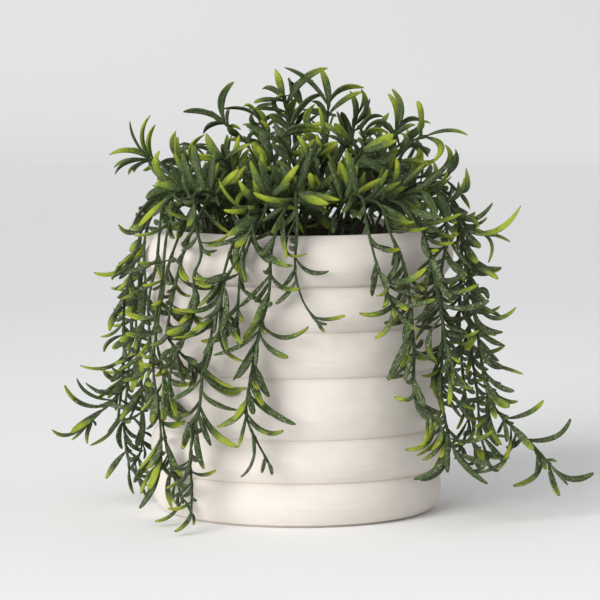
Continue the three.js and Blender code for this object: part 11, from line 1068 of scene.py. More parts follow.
    [-71.31,-14,173.57,-82.67,-12.4,170.3,-82.12,-13.95,166.22,3.16,1.6,-0.23,0.91,0.34,0.45],
    [-33.56,-8.3,152.21,-30.9,-5.62,163.42,-23.46,-1.83,171.81,3.96,1.95,-0.24,0.95,-0.19,0.59],
    [-41.29,-9.64,159.13,-38.07,-12.4,169.9,-29.91,-14.61,177.79,3.67,1.95,0.35,0.94,0.03,0.14],
    [-38.28,-9.13,156.57,-33.64,-8.65,167.26,-26.99,-7.83,176.8,3.89,1.95,0.23,0.95,-0.19,0.03],
    [-31.48,-7.88,149.57,-29.96,-9.07,157.51,-24.54,-10.35,163.5,4.13,1.95,-0.17,0.95,0.25,0.44],
    [-57.81,-12.14,168.78,-59.09,-14.93,177.59,-59.04,-17.72,186.5,4.87,1.95,-0.1,0.95,0.29,0.83],
    [-36.09,-8.75,154.57,-31.22,-10,160.8,-25.72,-11.16,166.49,4.24,1.95,-0.14,0.94,0.31,0.51],
    [-32.5,-7.79,147.06,-24.41,-6.63,146.69,-17.22,-5.28,143.02,3.56,1.95,-0.15,0.99,0.06,0.92]]],
  ["upright_stem_02", [[-42,-20,135.65], [-42,-20,140.25], [-41.42,-19.82,142.26], [-39,-19.32,145.71], [-39.39,-20,147.49], [-55.25,-30.77,159.32], [-57.04,-31.85,159.98], [-60.3,-34,158.14]], [
    [-56.83,-31.72,159.9,-73.24,-31.93,170.88,-66.05,-33.25,178.92,4.42,2.3,0.81,-0.47,0.35,0.91],
    [-57.04,-31.85,159.98,-61.19,-38.48,166.62,-67.09,-33.87,161.61,2.75,1.77,-0.99,-0.11,-0.08,0.8],
    [-58.54,-32.79,159.32,-67.65,-32.79,161.8,-72.7,-32.79,156.13,4.7,2.3,-0.18,0.56,0.81,0.17],
    [-59.45,-33.41,158.74,-71.47,-28.39,158.79,-80.33,-31.21,141.13,3.68,2.18,-0.48,-0.73,0.49,0.13],
    [-59.99,-33.78,158.36,-68.77,-32.52,151.39,-76.82,-34.07,142.14,4,2.3,-0.47,0.74,0.48,0.93],
    [-60.3,-34,158.14,-64.72,-38.68,151.43,-70.33,-37.89,147.26,3.55,1.78,-0.47,0.88,0.12,0.09],
    [-49,-26.5,154.63,-48.34,-28.39,159.31,-49.88,-26.34,165.45,4,2.3,0.66,0.75,0.04,0.53],
    [-53.2,-29.34,157.71,-54.99,-35.48,157.73,-55.09,-41.62,155.95,3.76,2.05,0.68,-0.21,0.7,0.12],
    [-39.01,-19.34,145.75,-34.53,-18.42,151.58,-29.17,-16.72,156.4,4.74,1.95,-0.34,0.93,0.09,0.42],
    [-51.15,-27.91,156.06,-56.83,-27.33,164.51,-61.97,-25.73,173.16,4.68,1.95,-0.47,0.79,-0.4,0.09],
    [-42.16,-21.94,149.8,-41.23,-21.94,158.33,-36.68,-19.49,165.17,4.17,1.95,-0.3,0.95,-0.04,0.51],
    [-40.14,-20.52,148.11,-49.02,-19.53,146.09,-56.5,-16.61,141.66,3.94,1.95,0.24,-0.44,-0.87,0.54]]],
  ["upright_stem_03", [[-38,8,137.03], [-37.49,7.98,143.43], [-33.84,7.9,147.75], [-34.15,8,149.56], [-40.68,8.8,159.74], [-44.55,9.2,164.37], [-49.5,9.6,167.85], [-55.02,10,170.34]], [
    [-47.44,9.44,166.57,-54.96,5.88,169.46,-62.45,8.33,164.45,4,2.3,0.76,0.33,0.56,0.12],
    [-55.02,10,170.34,-66.17,12.55,178.57,-59.84,15.47,186.77,3.68,2.18,0.65,-0.63,0.43,0.47],
    [-54.42,9.96,170.09,-61.61,7.11,176.99,-58.93,9.15,183.98,4,2.17,0.79,-0.6,-0.13,0.87],
    [-52.98,9.85,169.48,-55.84,5.45,174.19,-55.47,11.16,178.33,3.55,1.78,0.28,0.93,0.24,0.53],
    [-49.19,9.58,167.66,-58.16,10.05,178.28,-45.55,10.39,184.98,4,2.3,0.65,0.74,-0.17,0.88],
    [-36.46,8.29,153.33,-37.68,7.49,161.29,-35.46,5.43,168.78,4.97,2.05,0.36,0.92,0.15,0.56],
    [-40.85,8.82,159.96,-40.62,9.92,166.13,-35.44,11.17,169.45,4.94,2.05,-0.16,0.98,-0.15,0.46],
    [-38.31,8.52,156.28,-44.34,13.61,161.18,-49.55,21.23,162.22,4.02,2.05,-0.69,-0.3,-0.66,0.95],
    [-43.65,9.11,163.44,-46.1,16.57,168.76,-45.35,23.58,170.29,4.78,1.95,0.04,0.7,-0.72,0.77],
    [-34.53,7.9,146.77,-27.96,6.85,149.96,-21.02,5.49,152.02,4.14,1.95,0.17,0.99,0.01,0.91],
    [-34.14,8,149.51,-28.09,10.27,157.72,-21.15,12.61,165.17,4.78,1.95,-0.22,0.97,-0.11,0.44]]],
  ["upright_stem_04", [[-26,26,137.36], [-26,26,141.96], [-25.09,25.76,146.26], [-25.5,26,148.37], [-34.3,30.21,166.77], [-42.34,32.74,176.05], [-45.74,34,181.18]], [
    [-38.07,31.43,171.33,-46.45,30.5,181.17,-58.13,28.99,176.28,3.68,1.87,0.69,-0.7,0.21,0.11],
    [-32.75,29.48,163.61,-32.08,32.7,172.2,-26.2,36.56,178.15,4.02,2.05,-0.65,0.76,-0.08,0.5],
    [-34.52,30.29,167.08,-35.53,30.99,175.51,-32.63,30.47,183.51,3.99,2.05,0.26,0.96,-0.04,0.08],
    [-30.91,28.48,159.09,-27.41,31.63,168.14,-20.04,34.59,174.56,3.88,2.05,-0.08,0.94,-0.32,0.54],
    [-28.76,27.47,154.7,-28.64,34.47,157.86,-26.64,40.45,159.79,4.47,1.95,-0.19,0.56,-0.81,0.15],
    [-40.99,32.3,174.38,-44.85,40.1,176.37,-45.18,48.61,173.66,4.56,2.05,-0.66,-0.2,-0.73,0.25],
    [-26.97,26.66,151.23,-25.82,28.36,159.51,-22.39,29.84,167.19,3.83,1.95,-0.41,0.91,-0.07,0.88],
    [-44.16,33.4,178.71,-52.17,33.46,178.79,-59.11,32.55,174.87,3.66,1.95,0.04,-1,0.08,0.04],
    [-25.46,25.98,148.17,-22.98,26.95,158.82,-16.74,27.27,167.84,3.98,1.95,-0.01,1,-0.06,0.44]]],
  ["upright_stem_05", [[-26,-20,137.94], [-26,-20,142.54], [-26.68,-19.4,146.08], [-27.29,-19.32,147.8], [-27.67,-20,149.45], [-29.6,-30.67,165.33], [-33.39,-36,172.19], [-36.88,-40,176.84]], [
    [-32.55,-34.93,170.86,-40.02,-36.57,175.5,-43.62,-34.5,187.57,6.07,2.18,0.97,-0.18,-0.15,0.52],
    [-36.65,-39.74,176.54,-43.86,-36.78,175.09,-49.31,-41.07,177.63,4,2.3,0.02,-0.48,0.88,0.86],
    [-29.96,-31.27,166.14,-50.41,-34.12,161.75,-42.51,-31.4,173.89,4.15,2.3,0.36,0.89,0.27,0.9],
    [-29.56,-30.55,165.16,-32.67,-30.56,175.18,-36.08,-32.59,182.27,5.25,2.3,0.84,-0.46,0.27,0.09],
    [-28.3,-23.43,154.6,-43.7,-26.74,157.92,-35.24,-31.4,139.03,4,2.3,-0.62,-0.55,0.56,0.47],
    [-31.03,-32.9,168.31,-30.15,-36.19,177.75,-27.47,-38.28,187.2,4.13,2.05,-0.75,0.58,0.31,0.9],
    [-28.64,-25.62,157.87,-30.25,-32.87,159.46,-31.75,-40.6,157.07,3.32,1.95,0.73,-0.33,-0.6,0.05],
    [-27.89,-21.18,151.22,-24.12,-20.37,157.82,-18.83,-15,159.06,4.21,2.05,-0.74,0.49,0.46,0.87],
    [-35.1,-38.01,174.55,-29.44,-41.01,180.18,-21.41,-41.56,183.02,4.55,1.95,-0.13,0.82,0.56,0.59],
    [-28.86,-28.13,161.63,-33.73,-30.09,169.13,-41.11,-28.42,174.29,3.52,1.95,-0.71,0.13,-0.69,0.51],
    [-27.49,-19.67,148.66,-26.68,-21.01,159.66,-23.6,-20.03,170.3,3.64,1.95,-0.51,0.86,0.1,0.14]]],
  ["upright_stem_06", [[-20,6,139.28], [-20,6,143.88], [-17.23,6,147.7], [-17.67,5.5,159.86], [-19.74,5.08,169.76], [-21.88,4.83,175.43], [-24.86,4.58,180.69], [-28.81,4.33,185.26], [-34.96,4,190.45]], [
    [-34.96,4,190.45,-41.39,5.15,203.75,-30.97,4.23,211.18,4,2.3,0.85,0.19,-0.48,0.18],
    [-34.42,4.03,190.02,-44.36,4.03,199.07,-56.21,4.03,196.38,4,2.3,0.23,-0.58,0.78,0.12],
    [-34.96,4,190.45,-40.19,5.83,193.14,-42.83,12.97,196.75,3.55,1.78,-0.07,-0.16,0.99,0.11],
    [-33.34,4.09,189.14,-35.46,7.18,194.4,-33.28,3.71,198.02,3.16,1.6,0.51,-0.86,0.02,0.11],
    [-32.8,4.11,188.71,-31.65,2.17,190.87,-27.48,-0.12,187.7,2.86,1.6,0.38,0.46,-0.8,0.83],
    [-34.96,4,190.45,-43.81,1.1,192.23,-46.15,2.56,185.49,4,2.3,-0.15,-0.84,0.52,0.15],
    [-28.07,4.38,184.49,-30.69,0.45,185.42,-34.34,-1.97,189.21,4,2.17,0.89,0.2,0.4,0.19],
    [-18.68,5.26,165.71,-23.91,7.86,171.51,-30.48,12.67,171.22,4.24,1.79,-0.54,-0.66,-0.52,0.16],
    [-17.32,5.81,152.35,-22.55,3.06,160.16,-30.95,-0.82,156.94,4.63,2.05,0.4,-0.91,-0.11,0.03],
    [-17.46,5.6,157.33,-22.64,3.27,165.38,-30.85,-0.46,169.4,5.33,2.05,-0.13,-0.97,0.18,0.56],
    [-23.86,4.66,179.13,-24.8,9.43,186.58,-19.22,16.23,185.38,3.94,2.05,-0.75,0.51,-0.42,0.48],
    [-21.37,4.89,174.25,-20.57,8.97,179.92,-18.13,14.31,183.79,4.27,2.05,-0.46,0.71,-0.54,0.42],
    [-19.69,5.09,169.56,-20.2,9.96,174.7,-18.55,16.8,173.77,3.77,2.05,-0.81,0.27,-0.53,0.25],
    [-17.87,5.44,161.29,-17.14,12.91,166.1,-15.2,21.05,163.02,4.18,2.05,-0.97,0.14,0.19,0.14],
    [-17.27,5.93,149.36,-21.93,6.6,160.36,-29.79,8.18,169.25,4.43,1.95,-0.73,-0.55,-0.4,0.87]]],
  ["upright_stem_07", [[-14,18,139.11], [-14.37,18,145.9], [-13.24,18,164.06], [-13.75,18,178.18], [-15.62,18,185.99], [-20.31,18,194.87]], [
    [-17.84,18,190.87,-23.65,22.65,200.02,-37.74,15.06,197.27,2.62,1.76,0.27,-0.77,0.58,0.14],
    [-19.93,18,194.29,-23.2,16.26,201.44,-26.77,16.92,198.39,3.55,1.78,0.34,-0.88,0.34,0.82],
    [-17.33,18,189.88,-23.57,14.73,188.56,-22.51,14.68,195.48,2.75,1.77,0.48,-0.03,0.88,0.09],
    [-15.02,18,184.33,-16.25,20.68,197.8,-21.85,21.39,195.24,4,2.3,0.28,0.42,0.86,0.81],
    [-14.58,18,182.83,-12.98,14.17,188.87,-18.24,15.61,191.68,3.68,2.18,0.07,-0.92,-0.38,0.88],
    [-13.29,18,170.42,-9.79,23.17,175.19,-5.3,29.57,175.97,4.13,2.05,-0.82,0.57,0,0.45],
    [-13.45,18,157.47,-9.91,22.91,162.17,-5.79,28.87,164.7,4.04,2.05,-0.83,0.55,0.06,0.44],
    [-13.78,18,153,-20.7,16.45,158.91,-28.18,14.8,164.06,4.43,2.05,0.39,-0.89,0.25,0.81],
    [-13.29,18,161.45,-10.28,13.84,168.16,-6.54,8.56,173.6,4.91,2.05,0.69,0.71,0.17,0.43],
    [-13.46,18,174.4,-10.83,21.27,183.08,-5.67,27.01,188.87,4.25,2.05,-0.56,0.8,-0.2,0.78],
    [-13.23,18,166.43,-16.03,22.52,170.89,-19.5,28.15,168.76,4.25,2.05,-0.84,-0.53,0.05,0.82],
    [-13.9,18,179.36,-24.34,17.99,183.26,-35.44,17.99,182.15,4.41,1.95,0.04,-0.95,0.31,0.57],
    [-14.03,18,150.02,-2.58,19.86,150.13,7.78,21.62,145.19,4.53,1.95,-0.09,0.95,0.29,0.51]]],
  ["upright_stem_08", [[-6,-40,136.76], [-6,-40,141.36], [-5.8,-39.06,147.18], [-6.08,-40,148.86], [-7.19,-44,152.71], [-9,-48,156.22], [-11.59,-52,159.14], [-20.22,-62,162.74]], [
    [-15.47,-56.64,161.15,-4.11,-56.27,158.25,-0.27,-56.62,168.14,5.53,2.3,0.78,-0.16,-0.61,0.9],
    [-8.34,-46.73,155.16,-4.18,-44.89,159.03,-1.72,-47.35,160.41,3.37,2.3,0.57,0.49,-0.66,0.86],
    [-19.22,-60.89,162.44,-35.28,-58.93,166.72,-44.52,-60.39,154.54,4.42,2.3,-0.27,-0.48,0.83,0.1],
    [-19.67,-61.39,162.58,-30.42,-61.25,160.04,-27.39,-61.86,152.68,4,2.3,-0.54,0.75,0.39,0.9],
    [-10.2,-49.99,157.76,-7.82,-50.71,165.33,-2.61,-47.33,170.34,4.05,1.95,-0.76,-0.37,0.54,0.16],
    [-6.97,-43.22,151.97,-15.69,-43.28,153.75,-24.3,-41.08,153.46,4.89,1.95,-0.15,-0.79,-0.59,0.86],
    [-11.99,-52.51,159.4,-15.88,-56.32,168.69,-16.76,-55.66,179.4,4.13,1.95,-0.95,0.25,-0.19,0.46],
    [-6.38,-41.1,149.92,-7.27,-44.18,158.88,-6.69,-41.88,168.1,4.69,1.95,-0.99,0.1,-0.01,0.09],
    [-5.87,-39.3,147.61,-11.73,-39.57,153.87,-19.73,-37.04,155.66,4.08,1.95,0.03,-0.95,0.32,0.16]]],
  ["upright_stem_09", [[-14,-26,138.37], [-14,-26,142.97], [-14.74,-25.72,145.09], [-16.22,-25.4,146.84], [-16.85,-26,148.88], [-15.03,-33.88,162.65], [-12.63,-39.5,172.16], [-11.8,-44,179.92]], [
    [-14.78,-34.65,163.99,-32.41,-36.21,170.13,-22.02,-34.97,180.93,6.6,2.3,0.83,-0.44,0.35,0.49],
    [-13.33,-37.64,169,-15.95,-37.81,176.24,-21.48,-38.46,183.51,6.6,2.3,0.74,0.5,0.45,0.51],
    [-15.11,-33.52,162.03,-27.05,-30.13,170.98,-30.82,-30.05,178.27,4.7,2.3,-0.59,-0.8,0.09,0.5],
    [-16.01,-29.29,154.63,-19.02,-30.36,164.07,-26.34,-23.96,166.22,4.87,2.05,-0.61,-0.76,-0.2,0.08],
    [-16.51,-27.31,151.17,-18.96,-34.56,157.01,-24.1,-42.37,159.31,4.25,2.05,0.69,-0.58,-0.44,0.42],
    [-15.48,-31.76,158.96,-10.69,-30.73,167.64,-4.95,-27.24,175,4.92,2.05,-0.73,0.6,0.31,0.11],
    [-12.71,-39.24,171.71,-14.65,-41.83,177.35,-19.54,-42.91,181.5,4.6,2.05,-0.58,-0.54,-0.61,0.8],
    [-12.19,-41.74,176.03,-14.33,-40.69,182.66,-17.46,-37.38,188.04,5.15,2.05,-0.82,-0.56,-0.16,0.15],
    [-16.75,-25.91,148.55,-12.28,-25.1,155.08,-7.26,-23.83,161.11,4.25,1.95,-0.52,0.81,0.26,0.42]]],
  ["upright_stem_10", [[5.21,-13.6,139.75], [5.21,-13.6,144.35], [3.6,-14,148.06], [3.01,-17.2,156.28], [1.87,-19.6,162.31], [-4.49,-26.8,179.44], [-6.4,-28.4,182.98], [-9.01,-30,186.02]], [
    [-7.84,-29.3,184.74,2.26,-29.3,193.88,15.69,-29.3,186.96,5.81,2.3,0.08,0.45,-0.89,0.57],
    [-4.39,-26.7,179.21,-0.24,-22.88,174.78,5.16,-18.81,180.22,3.81,2.12,0.08,0.45,-0.89,0.92],
    [2.17,-19.13,161.14,-1.55,-17.76,171.56,5.55,-16.95,177.14,4.7,2.3,0.83,0.5,-0.24,0.58],
    [-1.63,-23.92,172.75,-6.92,-20.92,178.47,-12.07,-15.01,181.36,5.32,2.05,-0.75,-0.34,-0.56,0.18],
    [1.11,-20.64,164.85,2.54,-26.76,171.98,7.43,-33.8,176.09,4.11,2.05,0.26,0.7,0.67,0.13],
    [-0.2,-22.28,168.82,2.69,-25.42,177.74,9.25,-27.53,184.85,4.26,2.05,-0.44,0.74,0.5,0.6],
    [-3.23,-25.57,176.61,-7.27,-20.96,185,-11.16,-15.62,192.6,4.33,2.05,-0.9,0.01,-0.44,0.07],
    [2.96,-17.36,156.7,4.79,-23.05,163.22,3.93,-31.2,161.64,2.81,1.79,0.01,0.91,-0.42,0.12],
    [-5.61,-27.78,181.64,-14.72,-28.53,187.14,-24.66,-28.01,190.99,3.46,1.95,-0.42,-0.31,-0.86,0.05],
    [3.44,-14.83,150.2,10.98,-13.52,151.96,18.52,-11.4,151.55,4.59,1.95,-0.23,0.97,0.12,0.11],
    [3.27,-15.92,152.99,-6.35,-17.57,154.13,-16.08,-18.87,154.29,4.62,1.95,0.13,-0.96,-0.25,0.2]]],
  ["upright_stem_11", [[-4,10,139.96], [-4,10,144.56], [-6.32,10,147.43], [-3.87,8.57,167.43], [-3.4,7.43,183.47], [-4.06,6.86,191.45], [-6.28,6,203.23]], [
    [-6.08,6.07,202.28,-15.76,4.48,202.76,-21.12,5.97,201.25,4,1.97,-0.02,-0.89,0.45,0.56],
    [-6.18,6.03,202.75,-8.53,2.53,212.2,-10.73,6.88,217.53,4.7,2.3,0.82,-0.5,0.28,0.9],
    [-6.28,6,203.23,-13.02,7.87,210.61,-17.25,9.36,207.29,3.24,1.9,0.77,0.13,0.62,0.04],
    [-4.2,6.79,192.34,-19.17,8.82,203.19,-2.61,8.86,204.41,4,2.3,0.59,-0.8,0.08,0.43],
    [-5.47,6.29,199.23,1.23,9.4,215.5,15.49,6.16,218.03,4,2.3,0.66,-0.14,-0.74,0.43],
    [-3.73,7.08,188.35,4.07,7.73,205.89,14.04,9.92,204.59,4,2.3,0.49,0.59,-0.64,0.18],
    [-3.82,7.01,189.38,-5.06,11.94,197.8,0.65,11.22,203.55,5.25,2.3,0.79,0.48,-0.39,0.56],
    [-4.42,8.99,161.52,-0.13,11.69,167.64,5.68,16.2,170.64,4.41,2.05,-0.48,0.87,-0.16,0.45],
    [-3.36,7.96,175.98,0.82,7.39,182.65,8.45,7.07,184.68,4.41,2.05,-0.22,0.9,0.39,0.09],
    [-3.61,8.32,170.98,2.88,12.27,177.64,11.03,18.03,179.27,4.15,2.05,-0.48,0.86,-0.15,0.86],
    [-3.54,7.25,185.97,-7.44,8.88,193.12,-14.41,12.65,194.53,4.04,2.05,-0.02,-0.27,-0.96,0.51],
    [-3.95,8.64,166.5,-3.57,4.32,170.41,-3.27,0.12,168,3.16,1.58,0.76,-0.34,-0.55,0.12],
    [-3.33,7.61,180.97,-6.95,11.83,188.11,-12.34,19.09,188.37,4.9,2.05,-0.83,-0.52,-0.21,0.07],
    [-5.52,9.6,153.1,-2.9,4.2,156.35,-1.41,-0.81,151.72,3.93,2.05,0.67,-0.01,-0.74,0.2],
    [-5.85,6.15,201.14,-15.62,0.85,204.14,-21.02,-1.72,201.02,4,1.97,-0.43,0.82,0.39,0.54],
    [-5.62,6.24,199.99,-5.85,2.05,206.94,-9.71,1.23,203.38,3.44,1.97,0.76,-0.65,-0.03,0.39],
    [-4.83,6.54,195.87,-13.75,4.48,198.75,-23.09,2.44,197.82,4.44,1.95,0.19,-0.96,-0.21,0.46],
    [-5.95,9.81,150.13,-14.05,9.79,155.42,-23.7,10.22,154.96,3.8,1.95,-0.18,-0.79,-0.58,0.56],
    [-5.04,9.35,156.56,0.11,8.85,164.15,7.51,8.54,169.57,4.54,1.95,-0.29,0.9,0.33,0.06]]],
  ["upright_stem_12", [[0,-30,138.31], [0,-30,142.91], [-1.89,-29.51,146.35], [-2.24,-30,148.17], [4.11,-40.53,167.41], [10.03,-46.84,177.82], [14.07,-50,182.13]], [
    [13.59,-49.63,181.64,10.74,-50.98,183.2,9.72,-50.6,187.93,2.95,2.3,0.12,0.97,0.21,0.92],
    [9.1,-45.91,176.32,12.49,-43.57,180.57,19.83,-46.96,183.81,4.7,2.3,-0.03,0.25,-0.97,0.94],
    [8.12,-44.82,174.51,10.07,-54.88,176.42,9.93,-64.25,173.98,4.25,2.05,0.41,-0.66,-0.63,0.12],
    [5.91,-42.49,170.67,6.49,-44.31,180.44,0.13,-40.12,186.86,3.86,2.05,-0.91,-0.3,-0.28,0.57],
    [-1.29,-31.6,151.13,-1.38,-39.12,154.62,-3.5,-47.07,153.71,4.11,2.05,0.7,-0.21,-0.68,0.12],
    [11.56,-48.11,179.64,14.46,-51.7,190.38,10.31,-51.14,201.3,3.76,1.95,-0.51,-0.85,-0.15,0.59],
    [4.4,-40.85,167.96,8.01,-41.26,176.98,10.22,-36.46,185.13,3.95,1.95,-0.83,-0.41,0.39,0.13],
    [3.14,-39.23,165.12,-6.88,-41.43,170.38,-18.32,-41.49,171.8,4.53,1.95,-0.08,-0.85,-0.53,0.53],
    [2.29,-37.84,162.6,-2.82,-36.44,169.35,-9.19,-33.6,174.36,3.62,1.95,-0.6,-0.74,-0.32,0.5],
    [1.4,-36.22,159.61,-5.23,-36.14,164.43,-12.34,-35.55,168.43,4.5,1.95,-0.34,-0.82,-0.47,0.17],
    [0.34,-34.37,156.22,-5.88,-37.43,159.77,-13.54,-38.79,160.1,4.34,1.95,0.16,-0.89,-0.44,0.59],
    [-2.11,-30.22,148.59,-5.68,-31.3,155.45,-10.46,-31.57,161.62,4.79,1.95,0.09,-1,-0.05,0.54]]],
  ["upright_stem_13", [[8,2,140.06], [8,2,144.66], [6.59,2,146.98], [10.55,0.5,160.5], [13.3,-1,174.28], [15.9,-4,202.08]], [
    [15.51,-3.73,199.61,7.49,-3.73,214.72,-6.22,-3.73,218.51,4,2.17,0.33,-0.87,0.38,0.2],
    [15.82,-3.95,201.6,15.7,-3.4,210.65,11.46,-5.61,218.8,4.7,2.3,0.84,-0.51,0.16,0.49],
    [15.55,-3.79,200.13,20.24,-5.03,211.67,33.13,-2.77,208.43,4,2.3,0.27,0.71,-0.66,0.49],
    [15.12,-2.77,190.72,12.85,-5.23,203.11,7.05,-3.63,201.58,4,2.3,0.59,-0.72,0.38,0.08],
    [14.77,-2.24,185.77,-1.72,-0.74,190.15,9.03,-0.94,200.51,4,2.3,0.89,0.15,0.44,0.55],
    [15.28,-3.25,195.18,22.88,-1.97,204.22,32.14,-3.12,206.47,4,2.3,0.37,-0.75,-0.54,0.57],
    [9.68,0.86,157.21,9.79,6.05,164.51,8.14,13.99,168.29,3.95,2.05,-0.98,-0.2,0.1,0.9],
    [10.8,0.38,161.56,10.91,5.66,167.58,9.84,13.15,170.22,5.1,2.05,-0.75,-0.41,0.52,0.49],
    [12.7,-0.63,170.85,10.93,-5.15,176.28,7.02,-10.75,177.77,3.96,2.05,0.84,0.54,-0.03,0.48],
    [14.23,-1.7,180.71,7.59,-3.2,185.38,0,-4.61,188.31,4.79,2.05,-0.02,-0.92,-0.39,0.55],
    [11.76,-0.1,165.95,14.56,-5.9,173.27,18.31,-11.39,178.71,4.78,2.05,0.96,0.28,-0.03,0.46],
    [13.54,-1.16,175.77,8.8,0.18,182.43,1.51,2.61,185.52,4.02,2.05,0.07,-0.9,0.44,0.56],
    [7.67,1.61,150.52,15.34,0.71,151.87,22.4,0.25,148.48,4.1,1.95,0.09,1,-0.02,0.13],
    [8.7,1.23,153.86,-1.29,-2.25,159.09,-11.98,-5.62,162.79,4.03,1.95,0.02,-0.81,-0.58,0.17]]],
  ["upright_stem_14", [[4,-38,137.13], [3.59,-37.73,143.66], [1.68,-36.99,147.1], [1.64,-38,148.72], [5.61,-47.45,156.01], [6.75,-49.82,157.71], [8.47,-52.18,158.62], [17.78,-64,157.63]], [
    [7.27,-50.54,157.99,15.79,-53.34,164.96,21.25,-51.22,170.23,5.25,2.3,0.91,0.23,0.33,0.57],
    [6.57,-49.44,157.44,8.5,-53.03,164.7,5.95,-50.52,169.23,4.42,2.3,0.85,-0.53,0,0.89],
    [12.13,-56.74,158.6,8.31,-58.25,159.41,4.5,-57.34,161.03,3.1,2.3,0.3,-0.48,0.83,0.93],
    [16.35,-62.15,157.91,18,-66.43,162.57,11.11,-67.33,157.37,3.8,2.3,-0.5,0.43,0.75,0.37],
    [5.32,-46.75,155.47,10.62,-44.81,147.79,16.54,-45.66,142.02,4.98,2.3,-0.62,-0.54,-0.56,0.49],
    [4.09,-43.85,153.25,18.02,-39.8,140.97,1.16,-43.7,143.33,4,2.3,-0.63,0.78,0.01,0.47],
    [3.03,-41.33,151.31,12.29,-43.23,154.52,22.08,-43.09,156.43,3.94,1.95,-0.16,0.58,0.8,0.91],
    [1.67,-37.18,147.41,-6.93,-36.68,151.38,-16.08,-35.16,153.34,4.03,1.95,-0.2,-0.94,-0.29,0.45],
    [2.09,-39.09,149.57,9.74,-40.05,150.25,17.48,-39.94,150.09,4.03,1.95,0.02,0.78,0.62,0.88]]],
  ["upright_stem_15", [[10.79,-16.4,139.39], [10.79,-16.4,143.99], [9.83,-16.15,145.59], [8.19,-15.81,146.6], [7.52,-16,148.2], [13.09,-20.67,160.67], [23.03,-28,179.45], [23.95,-28.67,181.13], [26.83,-30,183.6]], [
    [24.42,-28.9,181.61,14.5,-25.61,195.53,7.47,-24.33,190.14,4,2.3,0.45,0.73,0.51,0.82],
    [26.28,-29.76,183.21,22.71,-32.02,187.51,18,-39.71,192.22,4.7,2.3,0.39,0.42,0.82,0.93],
    [20.55,-25.99,174.21,21.09,-25.7,184.12,27.38,-26.26,179.55,4,2.3,0.52,0.58,-0.63,0.49],
    [17.54,-23.86,168.81,20.38,-21.75,174.95,13.77,-20.57,175.38,4,2.17,0.27,-0.83,0.49,0.2],
    [14.41,-21.63,163.15,16.58,-20.4,169.18,15.3,-14.17,170.65,4.7,2.05,-0.82,-0.35,0.45,0.18],
    [22.85,-27.85,179.05,21.51,-33.62,185.14,15.44,-39.44,186.32,4.77,2.05,0.7,-0.64,-0.31,0.11],
    [8.97,-17.24,151.55,16.04,-19.97,154.07,22.71,-20.93,149.79,4.74,2.05,0.2,0.92,-0.35,0.53],
    [19.01,-24.9,171.44,20.3,-23.78,178.19,18.43,-18.89,182.77,4.43,2.05,-0.62,-0.71,0.34,0.49],
    [12.65,-20.33,159.78,15.59,-27.36,163.94,15.45,-34.55,160.25,3.81,2.05,0.17,0.69,-0.71,0.12],
    [15.78,-22.61,165.64,21.34,-22.1,171.59,27.16,-20.85,177.18,3.61,1.95,-0.63,0.56,0.54,0.6],
    [11.43,-19.35,157.21,8.91,-19.79,168.93,3.65,-18.71,179.66,4.48,1.95,-0.54,-0.82,-0.16,0.42],
    [10.28,-18.38,154.61,17.87,-18.92,162.2,27.05,-17.24,167.54,3.95,1.95,-0.13,0.99,0.08,0.04]]],
  ["upright_stem_16", [[14,16,139.25], [14,16,143.85], [14.63,16,146.03], [21.18,16,160.97], [25.79,16,174.45], [27.99,16,184.37], [28.54,16,192.46]], [
    [28.62,16,190.48,31.45,13.75,198.5,26.52,15.4,206.4,4,2.3,0.79,0.61,0.13,0.44],
    [28.53,16,188.97,38.76,16.14,197.68,32,15.64,207.39,4,2.17,0.45,-0.89,-0.1,0.44],
    [28.56,16,189.47,34.42,11.52,195.86,36.38,10.56,203.08,3.16,1.6,0.19,-0.87,-0.46,0.1],
    [28.22,16,185.96,38.48,18.21,192.88,35.07,19.22,199.81,4,2.3,0.57,0.69,-0.44,0.91],
    [27.74,16,182.96,24.27,19.56,192.34,22.07,16.36,195.93,4,2.3,0.84,0.2,0.51,0.07],
    [21.14,16,160.89,26.31,19.17,167.7,31.39,26.53,165.95,4.95,2.05,-0.7,0.71,-0.07,0.12],
    [24.23,16,169.38,28.01,21.18,175.47,31.36,29.14,177.43,5.01,2.05,-0.85,0.52,-0.1,0.18],
    [19.62,16,157.17,18.3,9.01,161.39,14.73,5.1,156.97,3.05,1.79,0.36,-0.63,0.69,0.2],
    [22.74,16,165.11,25.68,12.58,169.74,28.59,7.67,172.79,4.23,2.05,0.84,0.11,-0.53,0.44],
    [17.59,16,152.58,20.61,23.23,156.78,20.54,31.59,153.74,3.94,2.05,-0.77,0.1,0.63,0.2],
    [26.82,16,178.55,29.09,20.99,182.91,30.01,27.29,179.99,3.88,2.05,-0.96,0.27,-0.02,0.17],
    [28.58,16,191.51,29.86,21.42,197.71,28.17,24.56,204.12,4,1.97,0.46,0.74,-0.49,0.05],
    [28.54,16,192.46,35.58,19.52,201.29,32.05,18.38,206.81,3.16,1.6,0.4,0.88,-0.24,0.81],
    [25.98,16,175.14,24.4,15.88,186.18,19.91,15.69,196.38,3.65,1.95,-0.58,-0.79,-0.18,0.45],
    [25.15,16,172.25,31.93,13.74,177.44,39.4,10.99,181.26,3.8,1.95,0.53,0.72,-0.44,0.16],
    [16.34,16,149.84,24.91,14.3,152.33,33.68,12.45,153.88,4.91,1.95,0.12,0.94,0.32,0.19]]],
  ["upright_stem_17", [[20,-4,139.32], [20.39,-4,146.4], [29.89,-9.83,164.04], [33.55,-13.33,175.4], [33.93,-14.5,179.36], [33.33,-15.67,183.28], [31.19,-17.42,188.84], [29.94,-18,190.37]], [
    [31.41,-17.27,188.38,34.6,-16.17,197.37,42.69,-14.71,194.63,4,2.17,0.11,0.84,-0.54,0.16],
    [32.29,-16.62,186.37,40.26,-16.62,196.92,46.08,-16.62,188.85,4,2.17,0.09,0.85,-0.51,0.13],
